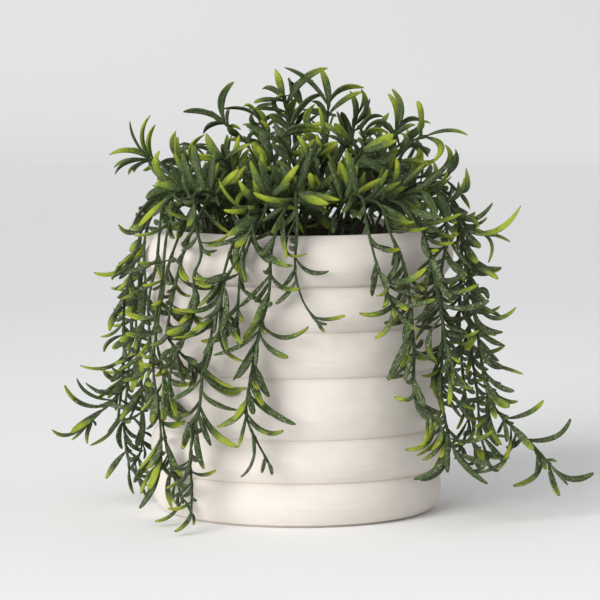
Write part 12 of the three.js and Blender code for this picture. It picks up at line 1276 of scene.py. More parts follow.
    [32.96,-16.02,184.44,42.57,-11,191.67,45.18,-10.56,196.68,4,2.3,0.6,-0.75,-0.3,0.52],
    [32.45,-16.48,185.93,37.67,-20.2,190.45,45.08,-17.71,186.94,4,2.3,0.46,0.67,-0.57,0.83],
    [23.71,-5.92,152.14,23.87,-7.38,159.97,16.98,-6.21,163.78,5.15,2.05,-0.11,-0.99,-0.09,0.06],
    [28.04,-8.58,160.16,30.35,-16.04,161.27,29.41,-21.56,155.72,3.93,2.05,0.91,0.21,-0.34,0.21],
    [33.69,-13.63,176.41,32.46,-7.41,184.1,29.8,2.08,182.18,5.16,2.05,-0.21,-0.11,0.97,0.58],
    [33.77,-15.04,181.19,35.15,-22.73,185.77,37.77,-27.47,181.69,3.93,2.05,0.7,-0.46,0.55,0.13],
    [31.2,-10.82,167.16,24.5,-11.71,170.29,17.21,-12.08,171.76,4.04,1.95,0.03,-0.99,-0.16,0.1],
    [32.29,-11.81,170.34,26.72,-14.92,180.15,16.55,-16.76,185.64,4.89,1.95,0.05,-0.96,-0.26,0.92],
    [33.17,-12.79,173.58,27.07,-11.52,183.64,18.31,-8.38,190.96,4.34,1.95,-0.34,-0.94,-0.06,0.44],
    [29.3,-9.42,162.76,22.75,-11.09,166.16,15.21,-11.54,165.94,4.48,1.95,0.15,-0.99,0,0.81],
    [25.37,-6.9,155.06,17.07,-9.41,160.14,7.45,-11.01,162.54,4.87,1.95,-0.04,-0.83,-0.56,0.95],
    [22.26,-5.09,149.64,18.87,-2.1,159.76,14.44,1.57,169.21,4.32,1.95,-0.48,-0.87,0.1,0.53]]],
  ["upright_stem_18", [[16,-26,138.24], [16,-26,142.84], [15.03,-25.54,146.25], [15.27,-26,147.9], [24.57,-36,163.49], [28.48,-42.67,174.84], [31.37,-46,180.02]], [
    [23.65,-34.89,161.72,21.6,-41.95,167.49,20.63,-42.32,174.07,4.98,2.3,0.9,-0.44,-0.04,0.87],
    [28.57,-42.79,175.05,38.05,-45.53,174.75,45.06,-40.44,165.62,5.34,2.01,-0.56,-0.28,-0.78,0.1],
    [29.87,-44.4,177.6,39.91,-44.21,182.98,46.72,-43.61,187.57,6.6,2.3,0.27,-0.12,-0.96,0.93],
    [30.44,-45.01,178.53,42.55,-49.07,182.32,47.97,-51.61,185.07,4.15,2.3,0.1,-0.55,-0.83,0.5],
    [27.37,-40.53,171.16,46.59,-39.05,173.38,47.9,-38.24,181.57,5.25,2.3,0.43,-0.55,-0.72,0.46],
    [17.23,-27.99,150.96,16.94,-34.49,154.69,15,-41.33,157.09,3.4,2.05,0.46,-0.43,-0.77,0.22],
    [25.98,-37.93,166.69,32.48,-37.16,175.27,39.61,-33.46,182.48,4.74,1.95,-0.77,0.21,0.61,0.09],
    [18.89,-29.68,153.55,11.87,-32.94,160.94,1.56,-33.18,163.77,4.16,1.95,-0.13,-0.85,-0.51,0.02],
    [22.05,-33.07,158.84,19.42,-33.57,168.9,14.86,-32.54,178.2,4.54,1.95,-0.62,-0.75,-0.21,0.41],
    [24.93,-36.47,164.27,33.93,-35.1,171.01,43.42,-31.29,175.89,3.66,1.95,-0.5,-0.12,0.86,0.14],
    [20.51,-31.38,156.18,27.1,-33.25,160.67,34.8,-33.46,163.44,3.97,1.95,-0.28,0.62,0.73,0.11],
    [15.8,-26.54,148.74,13.36,-29.04,158.54,8.56,-30.26,167.69,4.43,1.95,-0.37,-0.87,-0.31,0.87]]],
  ["upright_stem_19", [[22,10,138.97], [22.51,10.04,145.12], [45.15,6.8,179.65], [49.68,6,188.39]], [
    [49.49,6.04,187.99,55.08,3.21,198.81,47.05,4.68,207.76,4,2.3,0.74,-0.67,0.03,0.5],
    [48.93,6.14,186.79,50.79,7.83,200.62,45.19,6.6,205.14,4,2.3,-0.33,-0.82,-0.46,0.89],
    [47.31,6.45,183.38,54.21,10.12,195.8,61.14,8.04,192.02,4,2.3,0.26,0.79,-0.56,0.06],
    [46.79,6.54,182.4,54.15,1.66,190.92,58.79,2.08,189.97,3.24,2.01,0.35,-0.63,-0.69,0.52],
    [44.26,6.93,178.3,42.5,4.05,184.54,36.3,1.07,186.23,5.1,2.05,0.23,-0.88,-0.42,0.16],
    [41.74,7.29,174.58,42.44,12.76,178.71,39.11,18.37,176.55,4.13,2.05,-0.79,-0.28,0.55,0.11],
    [39.03,7.7,170.4,39.56,3.58,175.41,35.48,-1.41,174.82,3.81,2.05,0.05,-0.31,-0.95,0.28],
    [33.99,8.46,162.38,37.64,2.33,166.46,37.59,-5.53,164,3.58,2.05,0.78,0.13,-0.61,0.12],
    [31.29,8.87,158.18,34.82,14.97,165.01,33.18,24.64,164.52,4.83,2.05,-0.89,-0.08,0.45,0.1],
    [35.59,8.22,164.91,36.93,6.18,175.67,36.22,3.77,186.42,4.26,1.95,0.3,-0.93,-0.2,0.07],
    [26.9,9.51,151.52,34.32,8.06,155.01,42.26,6.43,156.9,4.39,1.95,0.21,0.98,-0.04,0.11],
    [37.44,7.94,167.86,44.9,8.75,173.64,53.02,10.15,178.3,3.88,1.95,0.17,0.88,-0.44,0.17],
    [28.82,9.23,154.43,24.88,8.29,163.48,18.2,7.5,170.76,4.76,1.95,-0.05,-0.99,-0.14,0.19],
    [25.25,9.75,149.02,24.31,11.41,157.11,20.85,13.9,164.24,4.88,1.95,-0.1,-0.97,0.23,0.44]]],
  ["upright_stem_20", [[28,-30,136.66], [27.51,-29.77,143.4], [25.47,-29.1,147.3], [25.91,-29.98,149.15], [32.81,-36.98,155.85], [39.05,-42.51,160.12], [45.99,-47.95,162.74], [53.24,-53.23,163.17]], [
    [45.69,-47.72,162.66,49.59,-48.33,169.44,47.56,-50.27,176.88,4,2.3,0.82,0.58,0,0.88],
    [32.46,-36.63,155.53,43.37,-36.09,152.56,49.96,-37.83,149.22,4.98,2.3,-0.36,-0.44,-0.83,0.56],
    [36.47,-40.31,158.58,39.64,-46.09,165.04,41.26,-51.69,172.19,5.03,2.05,-0.47,-0.75,-0.46,0.6],
    [50.01,-50.9,163.14,56.15,-52.15,168.07,61.43,-52.07,174.05,3.75,1.95,-0.67,-0.31,0.67,0.53],
    [39.6,-42.96,160.39,50.18,-42.91,155.74,60.22,-41.8,150.11,4.83,1.95,0.22,0.81,0.54,0.55],
    [29.98,-34.14,153.19,38.87,-32.87,157.16,47.72,-30.09,160.4,3.54,1.95,-0.42,0.49,0.76,0.13],
    [42.17,-45.02,161.55,50.53,-43.55,165.25,58.39,-40.21,168.83,4.49,1.95,-0.4,-0.05,0.92,0.22],
    [34.49,-38.54,157.2,43.08,-38.85,159.73,51.49,-35.88,160.51,3.52,1.95,-0.24,0.69,0.69,0.54],
    [26.26,-30.33,149.49,34.07,-31.46,154.23,42.31,-27.69,155.93,4.28,1.95,-0.4,0.32,0.86,0.2]]],
  ["upright_stem_21", [[30,-6,138.23], [30,-6,142.83], [28.9,-5.78,145.98], [29.24,-6,147.52], [43.19,-11.7,163.85], [55.24,-17.41,181.4], [58.1,-18.44,183.96], [63.54,-20,185.58]], [
    [60.1,-19.04,184.86,61.78,-20.9,198.98,58.56,-21.31,202.42,4,2.3,0.7,0.7,0.15,0.95],
    [61.12,-19.33,185.08,58.01,-15.9,194.67,65.65,-15.34,191.45,3.68,2.18,0.82,-0.56,-0.14,0.92],
    [62.98,-19.85,185.47,75.2,-21.02,190.91,83.51,-20.17,185.83,3.55,1.78,-0.01,-0.92,-0.39,0.55],
    [62.05,-19.59,185.28,76.68,-21.11,182.61,65.94,-22.06,172.52,4.15,2.3,-0.85,-0.51,-0.16,0.91],
    [55.13,-17.36,181.27,62.08,-13.56,181.71,64.47,-10.72,174.79,2.75,1.77,-0.38,-0.69,-0.62,0.13],
    [50.66,-15.3,175.04,56.87,-11.97,183.95,61.51,-10.49,180.88,2.75,1.67,0.05,0.78,-0.63,0.15],
    [46.28,-13.09,168.02,53.21,-7.25,172.36,54.62,1.88,168.44,4.98,2.05,-0.87,0.49,0.01,0.46],
    [53.32,-16.59,179.05,55.11,-12.08,186.25,50.9,-4.5,185.92,4.16,2.05,-0.72,-0.45,0.53,0.79],
    [48.91,-14.38,172.08,57.44,-17.16,175.32,65.73,-18.72,170.89,4.16,2.05,0.26,0.92,0.29,0.81],
    [40.37,-10.5,160.32,44.92,-16.68,164.77,44.93,-25.24,163.45,3.85,2.05,0.63,0.78,-0.06,0.16],
    [42.2,-11.28,162.59,41.2,-11.63,173.36,36.47,-10.62,183.03,3.82,1.95,-0.41,-0.91,-0.08,0.18],
    [44.56,-12.31,165.67,43.98,-12.1,176.93,38.64,-9.8,186.6,4.73,1.95,-0.73,-0.67,-0.12,0.46],
    [36.63,-8.95,155.86,42.82,-6.44,165.51,48.36,-2.43,175.03,4.8,1.95,-0.82,-0.14,0.55,0.79],
    [34.71,-8.18,153.68,35.87,-7.31,165.14,35.99,-5.87,176.6,4.25,1.95,-0.49,-0.87,0.11,0.45],
    [32.13,-7.15,150.78,40.91,-9.28,149.51,47.76,-10.33,143.58,3.48,1.95,0.2,0.98,-0.01,0.48],
    [30.19,-6.38,148.6,32.23,-5.96,158.27,32.37,-4.41,168.04,4.8,1.95,-0.29,-0.95,0.13,0.41],
    [38.52,-9.73,158.08,46.01,-9.16,158.97,53.1,-7.35,157.04,3.95,1.95,-0.16,0.99,-0.02,0.51]]],
  ["upright_stem_22", [[26,28,137.13], [26.07,27.91,144.04], [27.81,27.95,148.25], [37.67,30.14,160.96], [44.66,31.83,168.2], [52.32,33.47,174.77], [57.47,34.43,177.91], [61.48,35.06,178.04], [67.27,36,176.04]], [
    [58.72,34.63,178.15,62.38,39.74,176.23,60.98,45.24,172.91,3.53,2.05,-0.11,0.46,0.88,0.25],
    [51.48,33.3,174.08,55.64,29.54,180.7,58.38,24.26,187.01,4.4,2.05,0.74,-0.29,-0.6,0.1],
    [54.66,33.93,176.44,57.57,37.41,181.72,55.89,42.16,186.52,4.03,2.05,-0.62,-0.57,0.54,0.78],
    [63.07,35.32,177.52,68.07,28.5,174.81,63.62,20.85,175.49,3.66,2.05,-0.65,0.08,-0.76,0.07],
    [44.38,31.76,167.93,48.54,27.11,170.47,46.97,21.21,167.63,3.3,2.05,0.74,0.2,-0.65,0.12],
    [38.19,30.27,161.54,40.94,25.86,166.71,38.64,18.91,166.72,4.51,2.05,0.83,-0.2,-0.52,0.17],
    [47.69,32.5,170.9,47.41,32.73,177.69,44.82,32.52,183.97,3.99,2.05,-0.33,-0.94,-0.07,0.5],
    [34.71,29.5,157.34,36.56,30.72,168.62,32.12,31.26,179.2,4.36,1.95,0.18,-0.98,0.1,0.94],
    [41.22,31.01,164.81,53.04,31.12,166.74,65,30.58,166.28,4.68,1.95,0.05,0.8,-0.6,0.18],
    [32.9,29.1,154.98,41.74,30.61,153.6,49.95,31.93,149.99,3.89,1.95,-0.1,0.97,0.2,0.06],
    [31.1,28.7,152.6,26.01,28.03,157.77,19.6,27.06,161.13,3.47,1.95,0.39,-0.85,0.36,0.5],
    [27.55,27.91,147.82,35.91,27.6,149.66,44.38,26.85,148.69,4.28,1.95,0.07,0.99,-0.12,0.03],
    [29.01,28.22,149.82,37.89,27.78,154.5,47.68,25.79,155.43,3.74,1.95,0.26,0.83,-0.5,0.17],
    [46.2,32.17,169.6,49.68,30.2,179.28,44.12,24.2,185.82,3.67,1.95,0.44,-0.83,-0.35,0.41]]],
  ["upright_stem_23", [[38,-12,136.86], [38,-12,141.46], [36.15,-11.69,146.51], [36.99,-11.97,147.93], [45.66,-14.26,152.24], [53.06,-15.97,154.38], [60.68,-17.47,155.32], [68.35,-18.58,155.2], [75.9,-19.14,153.8]], [
    [51.96,-15.73,154.15,50.9,-15.49,145.66,42.12,-16.98,143.31,3.36,2.12,-0.66,0.21,0.72,0.57],
    [70.08,-18.76,154.98,65.2,-18.76,142.63,60.32,-18.76,143.49,4,2.3,-0.48,-0.78,0.41,0.91],
    [38.97,-12.5,148.91,45.71,-9.79,153.29,47.57,-1.97,155.98,4.35,2.05,-0.34,-0.32,0.89,0.5],
    [73.95,-19.04,154.2,80.2,-15.2,157.24,81.82,-9.71,162.73,4.98,2.05,0.56,-0.76,0.32,0.6],
    [55.83,-16.55,154.81,62.19,-22.26,155.64,59.99,-30.38,155.61,3.34,2.05,-0.26,0.3,-0.92,0.03],
    [47.75,-14.77,153.03,54.53,-16.92,162.16,57.12,-18.34,173.36,4.36,1.95,0.07,-0.98,-0.2,0.4],
    [64.63,-18.1,155.39,71.62,-14.73,160.44,73.49,-9,167.46,4.82,1.95,0.24,-0.85,0.47,0.44],
    [61.19,-17.55,155.34,69.52,-19.3,159.43,75.72,-20.92,166.37,4.94,1.95,-0.33,-0.93,0.15,0.55],
    [44.6,-13.99,151.75,52.43,-14.09,146.81,57.4,-13.13,139.05,3.51,1.95,0.15,0.96,0.22,0.55],
    [41.98,-13.31,150.48,48.49,-13.77,158.56,51.28,-12.26,168.45,3.72,1.95,-0.63,-0.69,0.36,0.14]]],
  ["upright_stem_24", [[36,6,137.4], [36,6,142], [33.72,6.09,147.08], [34.4,6,148.7], [45.57,4.96,156.9], [55.91,4.07,162.63], [63.5,3.48,164.67], [69.34,3.04,164.18], [74.77,2.59,161.89], [80.34,2,156.4]], [
    [66,3.29,164.71,81.12,4.18,171.91,73.36,3.07,180.11,4,2.3,0.75,0.56,-0.35,0.56],
    [70.02,2.98,163.96,82.53,2.98,168.39,78.31,2.98,178.14,4,1.97,0.42,0.87,-0.25,0.15],
    [78.74,2.18,158.2,86.63,3.78,154.4,83.71,2.19,168.87,4.42,2.3,0.82,0.48,-0.32,0.49],
    [80.34,2,156.4,83.7,4.54,153.39,85.88,2.97,148.15,4,1.97,-0.31,-0.9,-0.31,0.58],
    [43.16,5.18,155.27,45.31,-4.43,159.21,45.18,-10.38,163,3.93,1.95,-0.14,-0.65,-0.75,0.03],
    [62.28,3.57,164.48,68.87,9.36,168.17,65.04,17.66,170.84,4.62,2.05,-0.29,-0.35,0.89,0.06],
    [46.47,4.88,157.48,50.79,-1,161.41,48.91,-6.71,161.86,4.33,2.05,-0.08,-0.65,-0.75,0.17],
    [54.25,4.21,161.91,59.06,1.99,171.37,61.38,-0.52,181.66,4.29,1.95,-0.24,-0.96,-0.14,0.84],
    [76.67,2.41,160.45,75.42,5.49,149.16,68.29,9.75,140.8,3.74,1.95,0.11,0.95,0.31,0.48],
    [49.01,4.66,159.05,52.47,4.07,167.17,51.36,3.72,175.94,4.8,1.95,0.27,-0.96,-0.09,0.07],
    [38.77,5.59,152.01,49.66,4.87,154.5,60.77,4.19,155.84,4.78,1.95,0.08,0.99,-0.11,0.02],
    [58.89,3.84,163.67,62.54,3.31,171.47,61.49,3.08,180.03,4.46,1.95,-0.53,-0.85,0.05,0.92],
    [51.59,4.43,160.54,60.87,5.35,159.39,68.89,7.11,154.82,4.21,1.95,0.19,0.54,0.82,0.45],
    [73.36,2.71,162.63,76.75,-1.02,169.46,78.28,-4.53,177.05,4.6,1.95,0.33,-0.8,-0.51,0.11],
    [36.4,5.81,150.2,47.32,7.38,148.35,57.55,9.42,144.34,3.73,1.95,-0.12,0.98,0.17,0.51],
    [34.02,6.05,147.78,28.46,3.99,157.06,19.69,1.66,163.3,4.17,1.95,-0.02,-0.96,-0.29,0.55]]],
  ["upright_stem_25", [[-8,36,137.34], [-8.13,36.2,145.3], [-9.17,37.91,156.03], [-10.93,40.76,166.42], [-13.74,45.33,178.38], [-16.08,49.12,185.89], [-18.96,53.8,192.67], [-21.78,58.4,196.28], [-22.91,60.22,196.59], [-24,62,196]], [
    [-8.25,36.41,147.28,-8.98,30.28,152.38,-9.23,24.83,148.1,4.56,2.05,0.8,0.18,0.57,0.12],
    [-9.39,38.26,157.51,-7.68,37.77,164.46,-5.27,36.69,171.12,3.85,2.05,0.68,0.73,-0.12,0.15],
    [-14.48,46.53,180.95,-13.12,53.43,183.15,-10.95,59.69,183.11,4.45,2.05,-0.46,0.06,-0.89,0.25],
    [-11.04,40.94,166.97,-9.95,44.95,173.85,-7.97,49.37,180.26,3.79,1.95,-0.68,0.68,-0.27,0.55],
    [-11.62,41.89,169.75,-18.77,40.06,178.82,-27.67,34.02,183.41,4.85,1.95,0.61,-0.73,0.3,0.48],
    [-15.41,48.05,183.94,-20.52,50.49,188.66,-27.85,50.01,188.07,3.53,1.95,-0.07,-0.97,0.25,0.52],
    [-16.28,49.45,186.44,-10.43,50.71,191.47,-3.57,51.07,195.19,3.87,1.95,0.12,0.93,-0.34,0.85],
    [-17.36,51.21,189.25,-12.81,48.9,194.69,-7.84,43.83,192.4,3.92,1.95,0.64,0.65,-0.42,0.17],
    [-21.23,57.5,195.81,-18.36,66.02,198.08,-10.77,71.33,197.93,4.16,1.95,-0.61,0.55,-0.57,0.6],
    [-13.13,44.34,176.1,-17.87,46.15,181.9,-24.52,46.67,185.74,4.35,1.95,-0.32,-0.93,-0.16,0.09],
    [-13.73,45.3,178.32,-24.82,44.75,180.17,-36.01,43.47,180.54,4.24,1.95,0.09,-0.99,0.07,0.58],
    [-8.6,36.98,151.21,0.93,37.37,156.18,11.61,37.11,157.43,3.51,1.95,0.12,0.9,-0.42,0.12]]],
  ["upright_stem_26", [[12,40,136.53], [12.06,40.21,144.48], [12.61,41.98,155.21], [13.55,45.04,165.62], [14.81,49.14,175.63], [16.08,53.26,183.2], [17.7,58.52,189.92], [18.77,61.99,192.28], [19.39,64.03,192.66], [20,66,192]], [
    [13.39,44.52,164.07,16.26,40.89,170.46,19.39,35.95,175.78,4.1,2.05,0.78,0.62,0.05,0.46],
    [12.46,41.5,152.98,16.15,43.55,159.6,22.03,45.7,164.33,5.3,2.05,-0.24,0.96,-0.15,0.11],
    [15.22,50.48,178.31,12.05,52.87,184.83,7.35,54.55,190.61,3.59,1.95,0.09,-0.93,0.36,0.15],
    [19.29,63.71,192.6,12.12,70.38,194.07,2.85,67.08,195.21,4.15,1.95,0.09,-0.29,0.95,0.04]]],
  ["upright_stem_27", [[32.9,29.54,136.09], [32.9,29.54,140.69], [34.5,30.4,145.94], [36.46,31.8,154.28], [39.57,33.89,162.12], [43.67,36.38,169.28], [48.73,39.55,175.51], [53.25,42.42,179.13], [58.47,45.75,180.9], [62,48,180]], [
    [35.66,31.24,151.52,35.29,40.37,155.47,32.84,49.51,152.36,4.02,2.05,-0.95,-0.16,0.25,0.04],
    [44.94,37.17,171.07,44.71,48.37,173.74,43.6,57.03,171.77,3.83,2.05,-0.06,-0.44,0.9,0.25],
    [39.34,33.74,161.61,36.28,35.63,169.94,27.54,35.57,172.39,4.97,2.05,-0.55,-0.68,-0.49,0.13],
    [37.28,32.38,156.67,40.59,37.3,161.19,43.46,44.15,160.57,4.91,2.05,-0.63,0.07,0.78,0.11],
    [42.05,35.39,166.72,43.04,32.58,178.31,41.05,26.69,188.54,4.33,1.95,0.93,-0.35,-0.1,0.87],
    [51.97,41.6,178.27,49.58,43.01,187.02,41.23,40.04,189.4,4.23,1.95,0.55,-0.72,0.43,0.11],
    [49.54,40.06,176.26,48.95,33.35,184.29,46.06,25.17,190.18,3.8,1.95,0.8,-0.5,-0.34,0.44],
    [43.84,36.49,169.53,38.27,41.77,177.65,31.26,46.76,184.78,4.63,1.95,-0.1,-0.86,0.5,0.89],
    [54.22,43.04,179.65,59.66,41.97,184.32,64.51,39.48,189.11,4.29,1.95,0.7,0.3,-0.65,0.11]]],
  ["upright_stem_28", [[-34,30,135.87], [-34.22,30.14,143.88], [-35.3,30.8,150.38], [-37.91,32.41,158.65], [-41.68,34.73,166.28], [-46.56,37.73,172.98], [-51.06,40.5,176.96], [-56.38,43.77,178.95], [-60,46,178]], [
    [-53.42,41.95,178.2,-59.55,45.63,176.87,-62.88,45.51,170.39,3.51,1.79,-0.05,-0.35,-0.94,0.52],
    [-56.73,43.99,178.92,-58.79,47.97,172.68,-57.41,50.28,165.48,4.03,1.95,-0.27,-0.88,-0.4,0.07],
    [-37.2,31.97,156.77,-33.97,33.89,166.3,-26.15,35.04,172.81,3.64,1.95,0.21,0.92,-0.32,0.5],
    [-34.61,30.37,146.78,-32.47,33.31,157.55,-27.63,37.32,167.01,4.39,1.95,-0.51,0.85,-0.12,0.17],
    [-46.38,37.62,172.77,-48.38,45.34,171.66,-49.13,52.86,168.87,3.85,1.95,-0.52,-0.3,-0.8,0.25],
    [-38.45,32.74,159.92,-37.65,35.94,171.34,-27.03,37.69,176.4,3.9,1.95,0.47,0.7,-0.54,0.15],
    [-41.01,34.31,165.09,-39.02,37.5,171.9,-34.48,40.5,177.44,3.87,1.95,-0.15,0.91,-0.38,0.84]]],
  ["upright_stem_29", [[0,24,138.99], [-0.27,24.68,158.11], [-1.38,27.46,184.59], [-2.71,30.77,204.25], [-3.45,32.63,210.6], [-4,34,212]], [
    [-0.2,24.5,155.47,-1.61,32.3,159.21,-3.09,40.88,158.17,4.38,2.05,-0.61,0.02,-0.79,0.22],
    [-1.24,27.09,181.81,3.93,25.85,190.08,11.95,23.08,195.06,3.83,2.05,0.35,0.93,-0.07,0.03],
    [-1.95,28.87,194.16,0.27,33.47,197.36,0.18,34.12,196.09,2.42,1.79,-0.36,-0.7,-0.61,0.08],
    [-1.42,27.55,185.28,0.88,24.21,192.97,5.17,17.44,196.34,3.49,1.95,0.88,0.46,-0.11,0.15],
    [-0.13,24.32,152.48,4.35,25.48,163.31,15.22,27.02,167.59,4.39,1.95,0.47,0.66,-0.59,0.42],
    [-0.08,24.19,149.98,5.83,30.11,157.63,13.99,37.73,159.56,3.71,1.95,-0.71,0.7,0.07,0.42],
    [-2.97,31.41,206.86,1.51,37.45,212.33,8.59,43.22,210.61,3.96,1.95,-0.56,0.69,-0.46,0.02],
    [-3.6,32.99,210.97,-1.19,41.69,207.13,2.51,42.48,198.07,4.85,1.95,-0.93,0.17,-0.32,0.2],
    [-0.93,26.31,175.37,0.22,30.07,182.35,2.46,35.7,187.57,3.67,1.95,-0.98,0.16,0.15,0.06]]],
]

rng = np.random.default_rng(20)


# ---- mesh helpers -------------------------------------------------------
def make_object(name, verts, quads, tris=(), smooth=True, uv=None, floats=None):
    """A mesh object from arrays in millimetres; quads and tris index verts, uv holds one pair for each face corner."""
    quads = np.asarray(quads, np.int32).reshape(-1, 4)
    tris = np.asarray(tris, np.int32).reshape(-1, 3)
    verts = np.asarray(verts, np.float64) * MM
    mesh = bpy.data.meshes.new(name)
    mesh.vertices.add(len(verts))
    mesh.vertices.foreach_set("co", verts.astype(np.float32).ravel())
    corners = np.concatenate([quads.ravel(), tris.ravel()])
    mesh.loops.add(len(corners))
    mesh.loops.foreach_set("vertex_index", corners)
    start = np.concatenate(
        [np.arange(len(quads)) * 4, len(quads) * 4 + np.arange(len(tris)) * 3]
    )
    mesh.polygons.add(len(start))
    mesh.polygons.foreach_set("loop_start", start.astype(np.int32))
    if uv is not None:
        layer = mesh.uv_layers.new(name="OFBake")
        layer.uv.foreach_set("vector", np.asarray(uv, np.float32).ravel())
    for key, value in (floats or {}).items():
        a = mesh.attributes.new(key, "FLOAT", "POINT")
        a.data.foreach_set("value", np.asarray(value, np.float32))
    mesh.update(calc_edges=True)
    mesh.validate()
    if smooth:
        mesh.polygons.foreach_set("use_smooth", np.ones(len(mesh.polygons), bool))
    ob = bpy.data.objects.new(name, mesh)
    scene.collection.objects.link(ob)
    return ob


def smooth_line(points, step):
    """A smooth line through the points (centripetal Catmull-Rom), in even steps."""
    P = np.asarray(points, float)
    P = np.vstack([2 * P[0] - P[1], P, 2 * P[-1] - P[-2]])
    out = []
    for i in range(1, len(P) - 2):
        p0, p1, p2, p3 = P[i - 1 : i + 3]
        t0 = 0.0
        t1 = t0 + np.linalg.norm(p1 - p0) ** 0.5
        t2 = t1 + np.linalg.norm(p2 - p1) ** 0.5
        t3 = t2 + np.linalg.norm(p3 - p2) ** 0.5
        for t in np.linspace(t1, t2, 14, endpoint=False):
            a1 = (t1 - t) / (t1 - t0) * p0 + (t - t0) / (t1 - t0) * p1
            a2 = (t2 - t) / (t2 - t1) * p1 + (t - t1) / (t2 - t1) * p2
            a3 = (t3 - t) / (t3 - t2) * p2 + (t - t2) / (t3 - t2) * p3
            b1 = (t2 - t) / (t2 - t0) * a1 + (t - t0) / (t2 - t0) * a2
            b2 = (t3 - t) / (t3 - t1) * a2 + (t - t1) / (t3 - t1) * a3
            out.append((t2 - t) / (t2 - t1) * b1 + (t - t1) / (t2 - t1) * b2)
    out.append(P[-2])
    out = np.array(out)
    d = np.r_[0, np.cumsum(np.linalg.norm(np.diff(out, axis=0), axis=1))]
    n = max(3, int(round(d[-1] / step)) + 1)
    s = np.linspace(0, d[-1], n)
    return np.stack([np.interp(s, d, out[:, k]) for k in range(3)], 1)


def unit(a):
    return a / np.maximum(np.linalg.norm(a, axis=-1, keepdims=True), 1e-12)


def carried_frames(line):
    """Tangents and two cross directions carried along a line without twist."""
    T = unit(np.gradient(line, axis=0))
    side = np.array([1.0, 0.0, 0.0])
    if abs(T[0] @ side) > 0.9:
        side = np.array([0.0, 1.0, 0.0])
    A = np.zeros_like(T)
    for i, t in enumerate(T):
        side = side - t * (side @ t)
        side = side / np.linalg.norm(side)
        A[i] = side
    return T, A, np.cross(T, A)


def grid_quads(rows, cols, base, wrap=True):
    """Quads between rows of points; each row has cols points and closes on itself."""
    i = np.arange(rows - 1)[:, None]
    j = np.arange(cols if wrap else cols - 1)[None]
    k = (j + 1) % cols
    q = np.stack(
        [i * cols + j, i * cols + k, (i + 1) * cols + k, (i + 1) * cols + j], -1
    )
    return q.reshape(-1, 4) + base


# ---- leaves -------------------------------------------------------------
# Section of a leaf, across and up, in halves of its width and in its thickness: a shallow channel above, a keel below.
SECTION = np.array(
    [
        (1.00, 0.02),
        (0.80, 0.19),
        (0.50, 0.24),
        (0.22, 0.20),
        (0.00, 0.10),
        (-0.22, 0.20),
        (-0.50, 0.24),
        (-0.80, 0.19),
        (-1.00, 0.02),
        (-0.84, -0.24),
        (-0.52, -0.48),
        (-0.20, -0.62),
        (0.00, -0.66),
        (0.20, -0.62),
        (0.52, -0.48),
        (0.84, -0.24),
    ]
)
ROUND = np.array(
    [
        (math.cos(a), math.sin(a))
        for a in np.linspace(0, 2 * math.pi, len(SECTION), endpoint=False)
    ]
)
# where the sections lie along a leaf, closer together near its base and its tip
ALONG = np.array(
    [0.0, 0.035, 0.08, 0.14, 0.21, 0.28, 0.35, 0.42, 0.49, 0.56, 0.63, 0.70, 0.765, 0.825, 0.875, 0.92, 0.955, 0.98, 0.994]
)


def fullness(t, rise, fall):
    """Share of the full width: a narrow stalk that widens to about the middle, then tapers to the tip."""
    most = rise / (rise + fall)
    top = most**rise * (1 - most) ** fall
    return np.power(t, rise) * np.power(np.maximum(1 - t, 0), fall) / top


